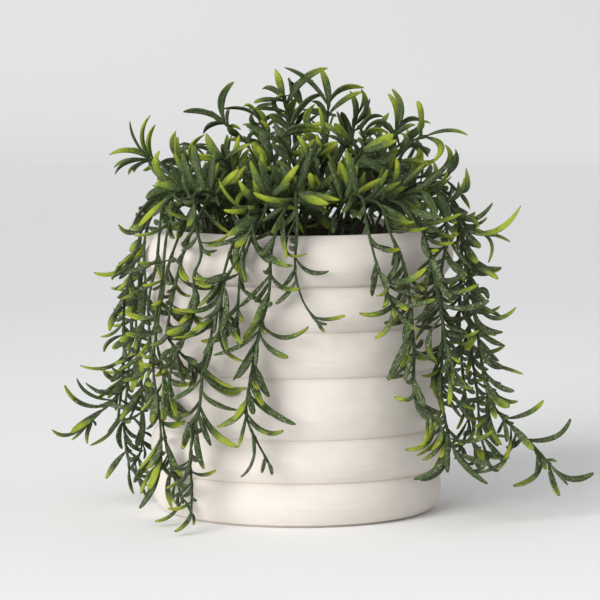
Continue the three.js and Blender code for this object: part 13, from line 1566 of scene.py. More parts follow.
def leaf_mesh(row, base, seed):
    """Points, quads, tris and values of one leaf that starts at base, inside the stem."""
    r = np.random.default_rng(seed)
    row = np.array(row, float)
    c, e, width, thick, across, shade = row[3:6], row[6:9], row[9], row[10], row[11:14], row[14]
    b = base
    reach = e - b
    width = (0.93 if b[2] > 142 else 0.83) * width
    # leaves of the mound are broad at the base and pointed, the hanging ones narrow at the base
    if b[2] > 142:
        rise, fall = r.uniform(0.48, 0.80), r.uniform(0.48, 0.80)
    else:
        rise, fall = r.uniform(0.52, 0.78), r.uniform(0.34, 0.52)
    t = ALONG[:, None]
    P = (1 - t) ** 2 * b + 2 * t * (1 - t) * c + t * t * e
    D = unit((1 - t) * (c - b) + t * (e - c))
    W = unit(across - D * (D @ across)[:, None])
    N = np.cross(D, W)
    inside = (b + e) / 2 - c
    flip = np.where((N @ inside)[:, None] < 0, -1.0, 1.0)
    # one side for the whole leaf, the one that most of it faces
    flip[:] = 1.0 if flip.sum() > 0 else -1.0
    N = N * flip
    turn = r.uniform(-0.35, 0.35)  # a slight twist towards the tip
    a = (turn * ALONG**2)[:, None]
    W, N = W * np.cos(a) + N * np.sin(a), N * np.cos(a) - W * np.sin(a)
    full = fullness(ALONG, rise, fall)
    half = np.maximum(width / 2 * full * (1 + 0.05 * np.sin(ALONG * 9 + r.uniform(0, 6))), 0.40 * (1 - ALONG) ** 0.5)
    deep = np.maximum(thick * 0.96 * full, 0.80 * (1 - ALONG) ** 0.5)
    # round near the stem, the full section from a third of the way on, round again at the very tip
    flat = np.clip((ALONG - 0.02) / 0.3, 0, 1) * np.clip((1.04 - ALONG) / 0.12, 0, 1)
    flat = (flat * flat * (3 - 2 * flat))[:, None]
    X = SECTION[None, :, 0] * flat + ROUND[None, :, 0] * (1 - flat)
    Y = SECTION[None, :, 1] * flat + (ROUND[None, :, 1] * 0.46 - 0.16 * flat) * (1 - flat)
    V = P[:, None] + W[:, None] * (X * half[:, None])[..., None] + N[:, None] * (Y * deep[:, None])[..., None]
    m = len(SECTION)
    verts = np.vstack([V.reshape(-1, 3), b[None], (P[-1] + D[-1] * 0.12)[None]])
    n = len(ALONG)
    quads = grid_quads(n, m, 0)
    j = np.arange(m)
    k = (j + 1) % m
    tris = np.vstack(
        [
            np.stack([k, j, np.full(m, n * m)], 1),
            np.stack([(n - 1) * m + j, (n - 1) * m + k, np.full(m, n * m + 1)], 1),
        ]
    )
    # faces point outwards: turn them all if the section runs the other way round
    s = np.cross(V[8, 4] - V[8, 0], V[8, 8] - V[8, 4]) @ D[8]
    if s < 0:
        quads = quads[:, ::-1]
        tris = tris[:, ::-1]
    at = np.r_[np.repeat(ALONG, m), 0.0, 1.0]
    side = np.r_[np.tile(SECTION[:, 0], n), 0.0, 0.0]
    up = np.r_[np.tile((SECTION[:, 1] > 0).astype(float), n), 1.0, 1.0]
    # corner coordinates inside a cell of the map: across 0..1, along 0..1
    cell_q = []
    ii = np.repeat(np.arange(n - 1), m)
    jj = np.tile(np.arange(m), n - 1)
    u0, u1 = jj / m, (jj + 1) / m
    v0, v1 = (ii + 1) / (n + 1), (ii + 2) / (n + 1)
    cell_q = np.stack([np.stack([u0, v0], 1), np.stack([u1, v0], 1), np.stack([u1, v1], 1), np.stack([u0, v1], 1)], 1)
    ju = np.arange(m) / m
    ju1 = (np.arange(m) + 1) / m
    mid = (ju + ju1) / 2
    low = np.stack(
        [
            np.stack([ju1, np.full(m, 1 / (n + 1))], 1),
            np.stack([ju, np.full(m, 1 / (n + 1))], 1),
            np.stack([mid, np.zeros(m)], 1),
        ],
        1,
    )
    top = np.stack(
        [
            np.stack([ju, np.full(m, n / (n + 1))], 1),
            np.stack([ju1, np.full(m, n / (n + 1))], 1),
            np.stack([mid, np.ones(m)], 1),
        ],
        1,
    )
    cell_t = np.vstack([low, top])
    if s < 0:
        cell_q = cell_q[:, ::-1]
        cell_t = cell_t[:, ::-1]
    rand = r.uniform(0, 1)
    return verts, quads, tris, at, side, up, np.full(len(at), shade), np.full(len(at), rand), cell_q, cell_t


def painted_shade_depth(strands):
    """How deep inside the plant each leaf sits, 0 outside .. 1 deep: by how many leaves lie further out; it sets how
    much painted shade darkens the leaf.
    """
    mids, rows = [], []
    for name, line, leaves in strands:
        for row in leaves:
            b, c, e = (np.array(row[i : i + 3], float) for i in (0, 3, 6))
            mids.append((b + 2 * c + e) / 4)
            rows.append((name, len(rows)))
    M = np.array(mids)
    out = M - np.stack([0 * M[:, 0], 0 * M[:, 1], np.minimum(M[:, 2], 142.0)], 1)
    out = out / np.linalg.norm(out, axis=1, keepdims=True)
    gap = M[None] - M[:, None]
    ahead = np.einsum("ijk,ik->ij", gap, out)
    aside = np.linalg.norm(gap - ahead[..., None] * out[:, None], axis=2)
    count = ((ahead > 4.0) & (ahead < 60.0) & (aside < 9.0)).sum(1)
    value = np.clip((count - 1) / 9.0, 0, 1)
    table, k = {}, 0
    for name, line, leaves in strands:
        table[name] = value[k : k + len(leaves)]
        k += len(leaves)
    return table


SIDES = 10


def strand_object(name, line, leaves, index):
    """One strand: a thin round stem, slightly swollen where leaves join it, and its leaves."""
    S = smooth_line(line, 0.9)
    T, A, B = carried_frames(S)
    n = len(S)
    u = np.linspace(0, 1, n)
    radius = STEM_R + (STEM_TIP_R - STEM_R) * u**2
    r = np.random.default_rng(1000 + index)
    radius = radius * (1 + 0.06 * np.sin(u * n * 0.35 + r.uniform(0, 6)) + 0.04 * np.sin(u * n * 0.9 + r.uniform(0, 6)))
    bases = []
    for row in leaves:
        k = int(np.argmin(np.linalg.norm(S - np.array(row[:3]), axis=1)))
        bases.append(k)
        radius = radius + 0.22 * np.exp(-(((np.arange(n) - k) * 0.9 / 1.3) ** 2))
    radius = np.minimum(radius, 0.98)
    ang = np.linspace(0, 2 * np.pi, SIDES, endpoint=False)
    ring = A[:, None] * np.cos(ang)[None, :, None] + B[:, None] * np.sin(ang)[None, :, None]
    # a rounded end at the tip: two smaller rings beyond it
    cap_c = np.stack([S[-1] + T[-1] * radius[-1] * h for h in (0.5, 0.85)])
    cap_r = radius[-1] * np.array([0.85, 0.5])
    V = np.vstack(
        [
            (S[:, None] + ring * radius[:, None, None]).reshape(-1, 3),
            (cap_c[:, None] + ring[-1][None] * cap_r[:, None, None]).reshape(-1, 3),
            S[:1],
            (S[-1] + T[-1] * radius[-1])[None],
        ]
    )
    rows = n + 2
    quads = grid_quads(rows, SIDES, 0)
    j = np.arange(SIDES)
    k = (j + 1) % SIDES
    tris = np.vstack(
        [
            np.stack([k, j, np.full(SIDES, rows * SIDES)], 1),
            np.stack([(rows - 1) * SIDES + j, (rows - 1) * SIDES + k, np.full(SIDES, rows * SIDES + 1)], 1),
        ]
    )
    floats = {
        "along": [np.full(len(V), 0.0)],
        "across": [np.zeros(len(V))],
        "upper": [np.zeros(len(V))],
        "shade": [np.full(len(V), 0.5)],
        "chance": [np.full(len(V), r.uniform(0, 1))],
        "stem": [np.ones(len(V))],
        # painted shade: the stem is darker where it runs inside the mound, above 150 mm
        "inner": [np.where(V[:, 2] > 150, 0.5, 0.1)],
    }
    # the map: the stem in strips of 24 rings, then one cell for each leaf
    strip = 24
    cells = int(math.ceil((rows - 1) / strip)) + len(leaves)
    wide = max(1, int(math.ceil(math.sqrt(cells * 1.9))))
    tall = int(math.ceil(cells / wide))

    def place(cell, uv):
        x, y = cell % wide, cell // wide
        return (np.stack([x, y], -1)[..., None, :] + 0.06 + 0.88 * uv) / np.array([wide, tall])

    i = np.repeat(np.arange(rows - 1), SIDES)
    jj = np.tile(np.arange(SIDES), rows - 1)
    u0, u1 = jj / SIDES, (jj + 1) / SIDES
    v0, v1 = (i % strip) / strip, (i % strip + 1) / strip
    uvq = [place(i // strip, np.stack([np.stack([u0, v0], 1), np.stack([u1, v0], 1), np.stack([u1, v1], 1), np.stack([u0, v1], 1)], 1))]
    last = (rows - 2) // strip
    q0 = np.tile([[0.0, 0.0], [0.05, 0.0], [0.0, 0.02]], (SIDES, 1, 1))
    uvt = [place(np.zeros(SIDES, int), q0), place(np.full(SIDES, last), q0 + np.array([0, 0.97]))]
    verts, q_all, t_all = [V], [quads], [tris]
    count = len(V)
    first = int(math.ceil((rows - 1) / strip))
    for m, (row, k) in enumerate(zip(leaves, bases)):
        v, q, t, at, side, up, shade, rand, cq, ct = leaf_mesh(row, S[k], 100000 + index * 300 + m)
        verts.append(v)
        q_all.append(q + count)
        t_all.append(t + count)
        count += len(v)
        # how much painted shade darkens this leaf
        deep = np.full(len(at), INNER[name][m])
        for key, value in zip(("along", "across", "upper", "shade", "chance", "stem", "inner"), (at, side, up, shade, rand, np.zeros(len(at)), deep)):
            floats[key].append(value)
        uvq.append(place(np.full(len(cq), first + m), cq))
        uvt.append(place(np.full(len(ct), first + m), ct))
    uv = np.vstack([np.vstack(uvq).reshape(-1, 2), np.vstack(uvt).reshape(-1, 2)])
    ob = make_object(
        name + "_grown",
        np.vstack(verts),
        np.vstack(q_all),
        np.vstack(t_all),
        uv=uv,
        floats={key: np.concatenate(value) for key, value in floats.items()},
    )
    return ob


# ---- materials ----------------------------------------------------------
def new_material(name):
    m = bpy.data.materials.new(name)
    m.use_nodes = True
    nt = m.node_tree
    nt.nodes.clear()
    out = nt.nodes.new("ShaderNodeOutputMaterial")
    shader = nt.nodes.new("ShaderNodeBsdfPrincipled")
    nt.links.new(shader.outputs[0], out.inputs[0])
    return m, nt, shader


def node(nt, kind, **values):
    n = nt.nodes.new(kind)
    for key, value in values.items():
        if key in n.inputs:
            n.inputs[key].default_value = value
        else:
            setattr(n, key, value)
    return n


def math_node(nt, op, a, b=None, clamp=False):
    n = nt.nodes.new("ShaderNodeMath")
    n.operation = op
    n.use_clamp = clamp
    for i, x in enumerate((a, b)):
        if x is None:
            continue
        if isinstance(x, (int, float)):
            n.inputs[i].default_value = x
        else:
            nt.links.new(x, n.inputs[i])
    return n.outputs[0]


def mix_colour(nt, factor, a, b, blend="MIX"):
    n = nt.nodes.new("ShaderNodeMix")
    n.data_type = "RGBA"
    n.blend_type = blend
    for key, x in (("Factor", factor), ("A", a), ("B", b)):
        sockets = [s for s in n.inputs if s.name == key and (s.type == ("VALUE" if key == "Factor" else "RGBA"))]
        s = sockets[0]
        if isinstance(x, (int, float)):
            s.default_value = x
        elif isinstance(x, tuple):
            s.default_value = (*x, 1.0)
        else:
            nt.links.new(x, s)
    return [o for o in n.outputs if o.type == "RGBA"][0]


def cells(nt, scale, vector):
    """Distance to the nearest of many scattered points."""
    n = nt.nodes.new("ShaderNodeTexVoronoi")
    n.inputs["Scale"].default_value = scale
    n.inputs["Randomness"].default_value = 0.85
    nt.links.new(vector, n.inputs["Vector"])
    return n.outputs["Distance"]


def mix_value(nt, factor, a, b):
    n = nt.nodes.new("ShaderNodeMix")
    n.data_type = "FLOAT"
    for i, x in enumerate((factor, a, b)):
        if isinstance(x, (int, float)):
            n.inputs[(0, 2, 3)[i]].default_value = x
        else:
            nt.links.new(x, n.inputs[(0, 2, 3)[i]])
    return n.outputs[0]


def noise(nt, scale, detail=2.0, rough=0.5, coords=None, stretch=None):
    n = node(nt, "ShaderNodeTexNoise", Scale=scale, Detail=detail, Roughness=rough)
    if coords is None:
        coords = nt.nodes.new("ShaderNodeTexCoord").outputs["Object"]
    if stretch is not None:
        mp = nt.nodes.new("ShaderNodeMapping")
        mp.inputs["Scale"].default_value = stretch
        nt.links.new(coords, mp.inputs["Vector"])
        coords = mp.outputs["Vector"]
    nt.links.new(coords, n.inputs["Vector"])
    return n.outputs["Fac"]


def attribute(nt, name):
    n = nt.nodes.new("ShaderNodeAttribute")
    n.attribute_name = name
    return n.outputs["Fac"]


def ramp(nt, factor, stops, smooth=False):
    n = nt.nodes.new("ShaderNodeValToRGB")
    if smooth:
        n.color_ramp.interpolation = "EASE"
    els = n.color_ramp.elements
    while len(els) < len(stops):
        els.new(0.5)
    for el, (at, colour) in zip(els, stops):
        el.position = at
        el.color = (*colour, 1.0)
    nt.links.new(factor, n.inputs[0])
    return n.outputs[0]


def bump(nt, shader, height, strength, distance, under=None):
    n = nt.nodes.new("ShaderNodeBump")
    n.inputs["Strength"].default_value = strength
    n.inputs["Distance"].default_value = distance
    nt.links.new(height, n.inputs["Height"])
    if under is not None:
        nt.links.new(under, n.inputs["Normal"])
    if shader is not None:
        nt.links.new(n.outputs[0], shader.inputs["Normal"])
    return n.outputs[0]


def foliage_material():
    """Waxy leaves: dark green at the base, turning yellow-green towards the tip by how yellow each leaf is, with fine pale specks."""
    m, nt, s = new_material("foliage_waxy")
    along, across = attribute(nt, "along"), attribute(nt, "across")
    shade, chance, stem, upper = attribute(nt, "shade"), attribute(nt, "chance"), attribute(nt, "stem"), attribute(nt, "upper")
    obj = nt.nodes.new("ShaderNodeTexCoord").outputs["Object"]
    mottle = noise(nt, 420.0, 3.0, 0.6, obj)
    fine = noise(nt, 1500.0, 2.0, 0.6, obj)
    speck = noise(nt, 1250.0, 1.5, 0.55, obj)
    # streaks and specks that run along the leaf
    place = nt.nodes.new("ShaderNodeCombineXYZ")
    nt.links.new(math_node(nt, "ADD", math_node(nt, "MULTIPLY", across, 2.3), math_node(nt, "MULTIPLY", upper, 9.0)), place.inputs[0])
    nt.links.new(math_node(nt, "MULTIPLY", along, 8.5), place.inputs[1])
    nt.links.new(math_node(nt, "MULTIPLY", chance, 91.0), place.inputs[2])
    streak = noise(nt, 1.0, 2.0, 0.55, place.outputs[0])
    streak = mix_value(nt, stem, streak, speck)
    # small raised beads, in patches
    grid = nt.nodes.new("ShaderNodeCombineXYZ")
    nt.links.new(math_node(nt, "ADD", math_node(nt, "MULTIPLY", across, 2.3), math_node(nt, "MULTIPLY", upper, 9.0)), grid.inputs[0])
    nt.links.new(math_node(nt, "MULTIPLY", along, 24.0), grid.inputs[1])
    nt.links.new(math_node(nt, "MULTIPLY", chance, 57.0), grid.inputs[2])
    bead = mix_value(nt, stem, cells(nt, 1.0, grid.outputs[0]), cells(nt, 1250.0, obj))
    bead = math_node(nt, "MULTIPLY", math_node(nt, "SUBTRACT", 0.46, bead), 5.0, clamp=True)
    patch = math_node(nt, "MULTIPLY", math_node(nt, "SUBTRACT", mottle, 0.40), 5.0, clamp=True)
    bead = math_node(nt, "MULTIPLY", bead, patch)
    # where the yellow starts along the leaf
    parts = nt.nodes.new("ShaderNodeSeparateXYZ")
    nt.links.new(obj, parts.inputs[0])
    high = math_node(nt, "MULTIPLY", math_node(nt, "SUBTRACT", parts.outputs[2], 0.138), 80.0, clamp=True)
    start = mix_value(
        nt,
        high,
        math_node(nt, "SUBTRACT", 1.03, math_node(nt, "MULTIPLY", shade, 1.08)),
        math_node(nt, "SUBTRACT", 0.87, math_node(nt, "MULTIPLY", shade, 0.88)),
    )
    y = math_node(nt, "SUBTRACT", along, start)
    y = math_node(nt, "ADD", y, math_node(nt, "MULTIPLY", math_node(nt, "SUBTRACT", mottle, 0.5), 0.42))
    spread = math_node(nt, "ADD", 0.30, math_node(nt, "MULTIPLY", chance, 0.34))
    spread = math_node(nt, "ADD", spread, math_node(nt, "MULTIPLY", high, 0.22))
    y = math_node(nt, "DIVIDE", y, spread, clamp=True)
    y = math_node(nt, "MULTIPLY", y, math_node(nt, "SUBTRACT", 1.0, stem))
    green = mix_colour(nt, chance, (0.011, 0.026, 0.006), (0.028, 0.054, 0.011))
    green = mix_colour(nt, math_node(nt, "MULTIPLY", fine, 0.42), green, (0.060, 0.098, 0.028))
    turned = ramp(
        nt,
        y,
        [(0.0, (0.028, 0.058, 0.011)), (0.3, (0.080, 0.134, 0.010)), (0.65, (0.182, 0.246, 0.010)), (1.0, (0.330, 0.395, 0.018))],
    )
    colour = mix_colour(nt, math_node(nt, "MULTIPLY", y, 3.0, clamp=True), green, turned)
    # paler specks, and a paler line down the channel that is a painted highlight
    soft = math_node(nt, "MULTIPLY", math_node(nt, "SUBTRACT", speck, 0.54), 7.0, clamp=True)
    soft = math_node(nt, "MULTIPLY", soft, 0.22)
    colour = mix_colour(nt, soft, colour, (0.22, 0.28, 0.12))
    # pale raised beads, their pale colour partly a painted glint: fainter towards the yellow tips and in the mound
    bead_glint_mask = math_node(nt, "MULTIPLY", bead, math_node(nt, "ADD", 0.55, math_node(nt, "MULTIPLY", chance, 0.45)))
    bead_glint_mask = math_node(nt, "MULTIPLY", bead_glint_mask, math_node(nt, "SUBTRACT", 1.0, math_node(nt, "MULTIPLY", y, 0.6)))
    bead_glint_mask = math_node(nt, "MULTIPLY", bead_glint_mask, math_node(nt, "SUBTRACT", 1.0, math_node(nt, "MULTIPLY", high, 0.60)))
    colour = mix_colour(nt, bead_glint_mask, colour, (0.58, 0.61, 0.48))
    pale = math_node(nt, "MULTIPLY", math_node(nt, "SUBTRACT", streak, 0.56), 6.0, clamp=True)
    colour = mix_colour(nt, math_node(nt, "MULTIPLY", pale, 0.40), colour, (0.17, 0.25, 0.085))
    dull = math_node(nt, "MULTIPLY", math_node(nt, "SUBTRACT", 0.46, streak), 6.0, clamp=True)
    colour = mix_colour(nt, math_node(nt, "MULTIPLY", dull, 0.35), colour, (0.014, 0.032, 0.006))
    # painted highlight: a paler line down the middle of the channel on the upper side
    middle = math_node(nt, "SUBTRACT", 1.0, math_node(nt, "MULTIPLY", math_node(nt, "ABSOLUTE", across), 5.0), clamp=True)
    middle = math_node(nt, "MULTIPLY", math_node(nt, "MULTIPLY", middle, upper), 0.22)
    colour = mix_colour(nt, middle, colour, (0.20, 0.30, 0.09))
    # the darker stalk and stem, and the small brown point at the tip
    stalk = math_node(nt, "SUBTRACT", 1.0, math_node(nt, "MULTIPLY", along, 5.0), clamp=True)
    stalk = math_node(nt, "MULTIPLY", stalk, 0.55)
    colour = mix_colour(nt, stalk, colour, (0.024, 0.050, 0.013))
    point = math_node(nt, "MULTIPLY", math_node(nt, "SUBTRACT", along, 0.955), 30.0, clamp=True)
    colour = mix_colour(nt, math_node(nt, "MULTIPLY", point, 0.75), colour, (0.070, 0.060, 0.018))
    # painted shade: leaves deep inside the plant, and stems within the mound, are darkened towards near black
    inner = attribute(nt, "inner")
    colour = mix_colour(nt, math_node(nt, "MULTIPLY", inner, 0.80), colour, mix_colour(nt, y, (0.005, 0.010, 0.002), (0.050, 0.068, 0.005)))
    nt.links.new(colour, s.inputs["Base Color"])
    rough = math_node(nt, "ADD", 0.34, math_node(nt, "MULTIPLY", fine, 0.22))
    nt.links.new(rough, s.inputs["Roughness"])
    s.inputs["Specular IOR Level"].default_value = 0.40
    s.inputs["Specular Tint"].default_value = (0.94, 1.0, 0.66, 1.0)
    s.inputs["Subsurface Weight"].default_value = 0.0
    # small bumps, and fine lines along the leaf
    lines = math_node(nt, "SINE", math_node(nt, "MULTIPLY", across, 17.0))
    h = math_node(nt, "ADD", math_node(nt, "MULTIPLY", fine, 1.0), math_node(nt, "MULTIPLY", lines, 0.08))
    h = math_node(nt, "ADD", h, math_node(nt, "MULTIPLY", speck, 0.7))
    h = math_node(nt, "ADD", h, math_node(nt, "MULTIPLY", streak, 0.8))
    h = math_node(nt, "ADD", h, math_node(nt, "MULTIPLY", bead, 0.9))
    bump(nt, s, h, 0.8, 0.0005)
    return m


def pot_material():
    """Pale stoneware, matt, with a fine grain and faint throwing lines; the grooves and the slit under the foot carry a
    slightly warmer, darker painted shade.
    """
    m, nt, s = new_material("stoneware_pale")
    obj = nt.nodes.new("ShaderNodeTexCoord").outputs["Object"]
    broad = noise(nt, 22.0, 3.0, 0.55, obj)
    cloud = noise(nt, 90.0, 4.0, 0.6, obj)
    lines = noise(nt, 75.0, 4.0, 0.65, obj, (0.7, 0.7, 5.0))
    grain = noise(nt, 1300.0, 3.0, 0.65, obj)
    grit = noise(nt, 3200.0, 2.0, 0.6, obj)
    base = mix_colour(nt, broad, (0.700, 0.651, 0.600), (0.748, 0.703, 0.655))
    base = mix_colour(nt, math_node(nt, "MULTIPLY", math_node(nt, "SUBTRACT", cloud, 0.35), 0.9, clamp=True), base, (0.655, 0.600, 0.543))
    base = mix_colour(nt, math_node(nt, "MULTIPLY", math_node(nt, "SUBTRACT", lines, 0.45), 1.1, clamp=True), base, (0.655, 0.596, 0.536))
    base = mix_colour(nt, math_node(nt, "MULTIPLY", math_node(nt, "SUBTRACT", grain, 0.52), 1.6, clamp=True), base, (0.630, 0.574, 0.512))
    dots = math_node(nt, "MULTIPLY", math_node(nt, "SUBTRACT", grit, 0.66), 6.0, clamp=True)
    base = mix_colour(nt, math_node(nt, "MULTIPLY", dots, 0.35), base, (0.50, 0.44, 0.38))
    # painted shade: darker by how deep in a groove each point lies, also in the slit under the foot
    groove_painted_shade = attribute(nt, "groove")
    base = mix_colour(nt, math_node(nt, "MULTIPLY", groove_painted_shade, 0.35), base, (0.560, 0.495, 0.430))
    nt.links.new(base, s.inputs["Base Color"])
    nt.links.new(math_node(nt, "ADD", 0.66, math_node(nt, "MULTIPLY", grain, 0.25)), s.inputs["Roughness"])
    s.inputs["Specular IOR Level"].default_value = 0.3
    h = math_node(nt, "ADD", math_node(nt, "MULTIPLY", grain, 0.6), math_node(nt, "MULTIPLY", grit, 0.25))
    first = bump(nt, None, h, 0.35, 0.00035)
    bump(nt, s, lines, 0.30, 0.0007, first)
    return m


def soil_material():
    """Damp, crumbly potting soil."""
    m, nt, s = new_material("potting_soil")
    obj = nt.nodes.new("ShaderNodeTexCoord").outputs["Object"]
    a = noise(nt, 260.0, 5.0, 0.7, obj)
    b = noise(nt, 1400.0, 3.0, 0.6, obj)
    base = ramp(nt, a, [(0.30, (0.006, 0.0045, 0.0035)), (0.55, (0.020, 0.014, 0.010)), (0.78, (0.050, 0.035, 0.024))])
    base = mix_colour(nt, math_node(nt, "MULTIPLY", attribute(nt, "crumb"), 0.6), base, (0.055, 0.036, 0.022))
    base = mix_colour(nt, math_node(nt, "MULTIPLY", math_node(nt, "SUBTRACT", b, 0.6), 2.0, clamp=True), base, (0.085, 0.062, 0.042))
    nt.links.new(base, s.inputs["Base Color"])
    nt.links.new(math_node(nt, "ADD", 0.72, math_node(nt, "MULTIPLY", b, 0.25)), s.inputs["Roughness"])
    s.inputs["Specular IOR Level"].default_value = 0.25
    h = math_node(nt, "ADD", math_node(nt, "MULTIPLY", a, 1.0), math_node(nt, "MULTIPLY", b, 0.4))
    bump(nt, s, h, 0.8, 0.0012)
    return m


# ---- pot ----------------------------------------------------------------
def pot_profile():
    """Radius, height and how deep in a groove each point of the outline lies (which sets painted shade in the grooves),
    from the middle of the underside up and over the lip to the inside.
    """
    pts = []
    for r in (0.0, 20.0, 40.0, 55.0, 62.0):
        pts.append((r, 0.6, 0.0))
    pts += [(63.0, 0.3, 0.2), (63.8, 0.03, 0.5), (65.2, 0.0, 0.8), (65.7, 0.12, 1.0), (65.8, 0.9, 1.0)]
    steps = 34
    for k in range(6):
        z0, z1, low, high = GROOVE_Z[k], GROOVE_Z[k + 1], GROOVE_R[k], GROOVE_R[k + 1]
        for i in range(steps):
            t = (i + 0.5) / steps
            t = 0.5 - 0.5 * math.cos(math.pi * t)
            if k < 5:
                arc = math.sin(math.pi * t) ** 0.72
                r = low + (high - low) * t + (RING_R[k] - (low + high) / 2) * arc
            else:
                # the top ring has the same arc as the others
                arc = math.sin(math.pi * t) ** 0.72
                r = low + (high - low) * t + (RING_R[k] - (low + high) / 2) * arc
            if k == 0 and t * (z1 - z0) < 1.0:
                continue
            near = min(t, 1 - t) * (z1 - z0)
            if k == 0:
                near = (1 - t) * (z1 - z0)
            if k == 5:
                near = t * (z1 - z0)
            pts.append((r, z0 + (z1 - z0) * t, max(0.0, 1 - near / 1.6)))
    top = GROOVE_Z[6]
    for a in np.linspace(0.15, 1.0, 8):
        g = a * math.pi / 2
        pts.append((GROOVE_R[6] - 1.3 * (1 - math.cos(g)) - 1.4 * a**2, top - 0.02 + 0.0 * a - 0.9 * max(0.0, a - 0.55) ** 1.5, 0.0))
    pts.append((INNER_R + 0.12, top - 0.95, 0.0))
    pts.append((INNER_R, top - 2.0, 0.0))
    for z in (136.5, 134.0, 131.0, 126.0, 118.0, 100.0, 60.0, 20.0):
        pts.append((INNER_R, z, 0.0))
    pts += [(INNER_R - 2.5, FLOOR_Z + 3, 0.0), (INNER_R - 6, FLOOR_Z, 0.0), (30.0, FLOOR_Z, 0.0), (0.0, FLOOR_Z, 0.0)]
    return pts


def pot_object():
    prof = pot_profile()
    seg = 200
    th = np.linspace(0, 2 * np.pi, seg, endpoint=False)
    R = np.array([p[0] for p in prof])
    Z = np.array([p[1] for p in prof])
    G = np.array([p[2] for p in prof])
    r = np.random.default_rng(5)
    # made by hand: each ring is very slightly out of round and out of level
    wob = np.zeros((len(R), seg))
    lift = np.zeros((len(R), seg))
    for k in range(2, 9):
        pa, pb = r.uniform(0, 6.28, 2)
        fz = r.uniform(0.02, 0.07)
        wob += (0.075 / (k - 0.5)) * np.sin(k * th[None] + pa + 1.7 * np.sin(fz * Z[:, None] + pb))
        lift += (0.16 / k) * np.sin(k * th[None] + pb + 0.9 * np.sin(0.03 * Z[:, None] + pa))
    outer = np.array([1.0 if (z > 2 and i < 8 + 34 * 6 + 4) else 0.0 for i, z in enumerate(Z)])
    fade = np.clip(Z / 8.0, 0, 1) * np.clip((139.6 - Z) / 5.0, 0, 1) * outer
    ripple = 0.05 * np.sin(Z * 2.1) + 0.04 * np.sin(Z * 3.7 + 1.0)
    RR = R[:, None] + (wob * 1.6 + ripple[:, None]) * fade[:, None]
    ZZ = Z[:, None] + lift * fade[:, None] * 1.4
    inner = [i for i in range(len(R)) if R[i] > 0]
    # the surface is very slightly uneven to the touch
    P = np.stack([RR * np.cos(th), RR * np.sin(th), ZZ], -1)
    uneven = np.zeros(RR.shape)
    for _ in range(30):
        d = unit(r.normal(0, 1, 3) * np.array([1.0, 1.0, 1.5]))
        uneven += 0.019 * np.sin(P @ d * (2 * np.pi / r.uniform(8, 24)) + r.uniform(0, 6.28))
    RR = RR + uneven * fade[:, None]
    V = np.stack([RR[inner] * np.cos(th), RR[inner] * np.sin(th), ZZ[inner]], -1).reshape(-1, 3)
    V = np.vstack([V, [[0, 0, Z[0]]], [[0, 0, Z[-1]]]])
    n = len(inner)
    quads = grid_quads(n, seg, 0)
    j = np.arange(seg)
    k = (j + 1) % seg
    tris = np.vstack(
        [
            np.stack([k, j, np.full(seg, n * seg)], 1),
            np.stack([(n - 1) * seg + j, (n - 1) * seg + k, np.full(seg, n * seg + 1)], 1),
        ]
    )
    run = np.r_[0, np.cumsum(np.hypot(np.diff(R), np.diff(Z)))]
    run = run / run[-1]
    v = run[inner]
    ii = np.repeat(np.arange(n - 1), seg)
    jj = np.tile(np.arange(seg), n - 1)
    u0, u1 = jj / seg, (jj + 1) / seg
    uvq = np.stack([np.stack([u0, v[ii]], 1), np.stack([u1, v[ii]], 1), np.stack([u1, v[ii + 1]], 1), np.stack([u0, v[ii + 1]], 1)], 1)
    a, b = j / seg, (j + 1) / seg
    uvt = np.vstack(
        [
            np.stack([np.stack([b, np.full(seg, v[0])], 1), np.stack([a, np.full(seg, v[0])], 1), np.stack([(a + b) / 2, np.zeros(seg)], 1)], 1),
            np.stack([np.stack([a, np.full(seg, v[-1])], 1), np.stack([b, np.full(seg, v[-1])], 1), np.stack([(a + b) / 2, np.ones(seg)], 1)], 1),
        ]
    )
    uv = np.vstack([uvq.reshape(-1, 2), uvt.reshape(-1, 2)])
    # groove depth of each point, which the material turns into painted shade
    groove = np.r_[np.repeat(G[inner], seg), 0.0, 0.0]
    return make_object("pot_thrown", V, quads, tris, uv=uv, floats={"groove": groove})


# ---- soil ---------------------------------------------------------------
def lattice_noise(seed):
    """Smooth random values over the plane."""
    r = np.random.default_rng(seed)
    table = r.uniform(-1, 1, (64, 64))

    def f(x, y):
        xi, yi = np.floor(x).astype(int), np.floor(y).astype(int)
        fx, fy = x - xi, y - yi
        fx, fy = fx * fx * (3 - 2 * fx), fy * fy * (3 - 2 * fy)
        g = lambda a, b: table[a % 64, b % 64]
        return (g(xi, yi) * (1 - fx) + g(xi + 1, yi) * fx) * (1 - fy) + (g(xi, yi + 1) * (1 - fx) + g(xi + 1, yi + 1) * fx) * fy

    return f


def soil_height(x, y):
    r = np.hypot(x, y)
    z = SOIL_EDGE_Z + SOIL_MOUND * (1 - (r / SOIL_R) ** 2)
    return z + SOIL_A(x / 9.0, y / 9.0) * 0.75 + SOIL_B(x / 3.6 + 7, y / 3.6) * 0.5 + SOIL_C(x / 1.5, y / 1.5 + 3) * 0.28


SOIL_A, SOIL_B, SOIL_C = lattice_noise(31), lattice_noise(32), lattice_noise(33)


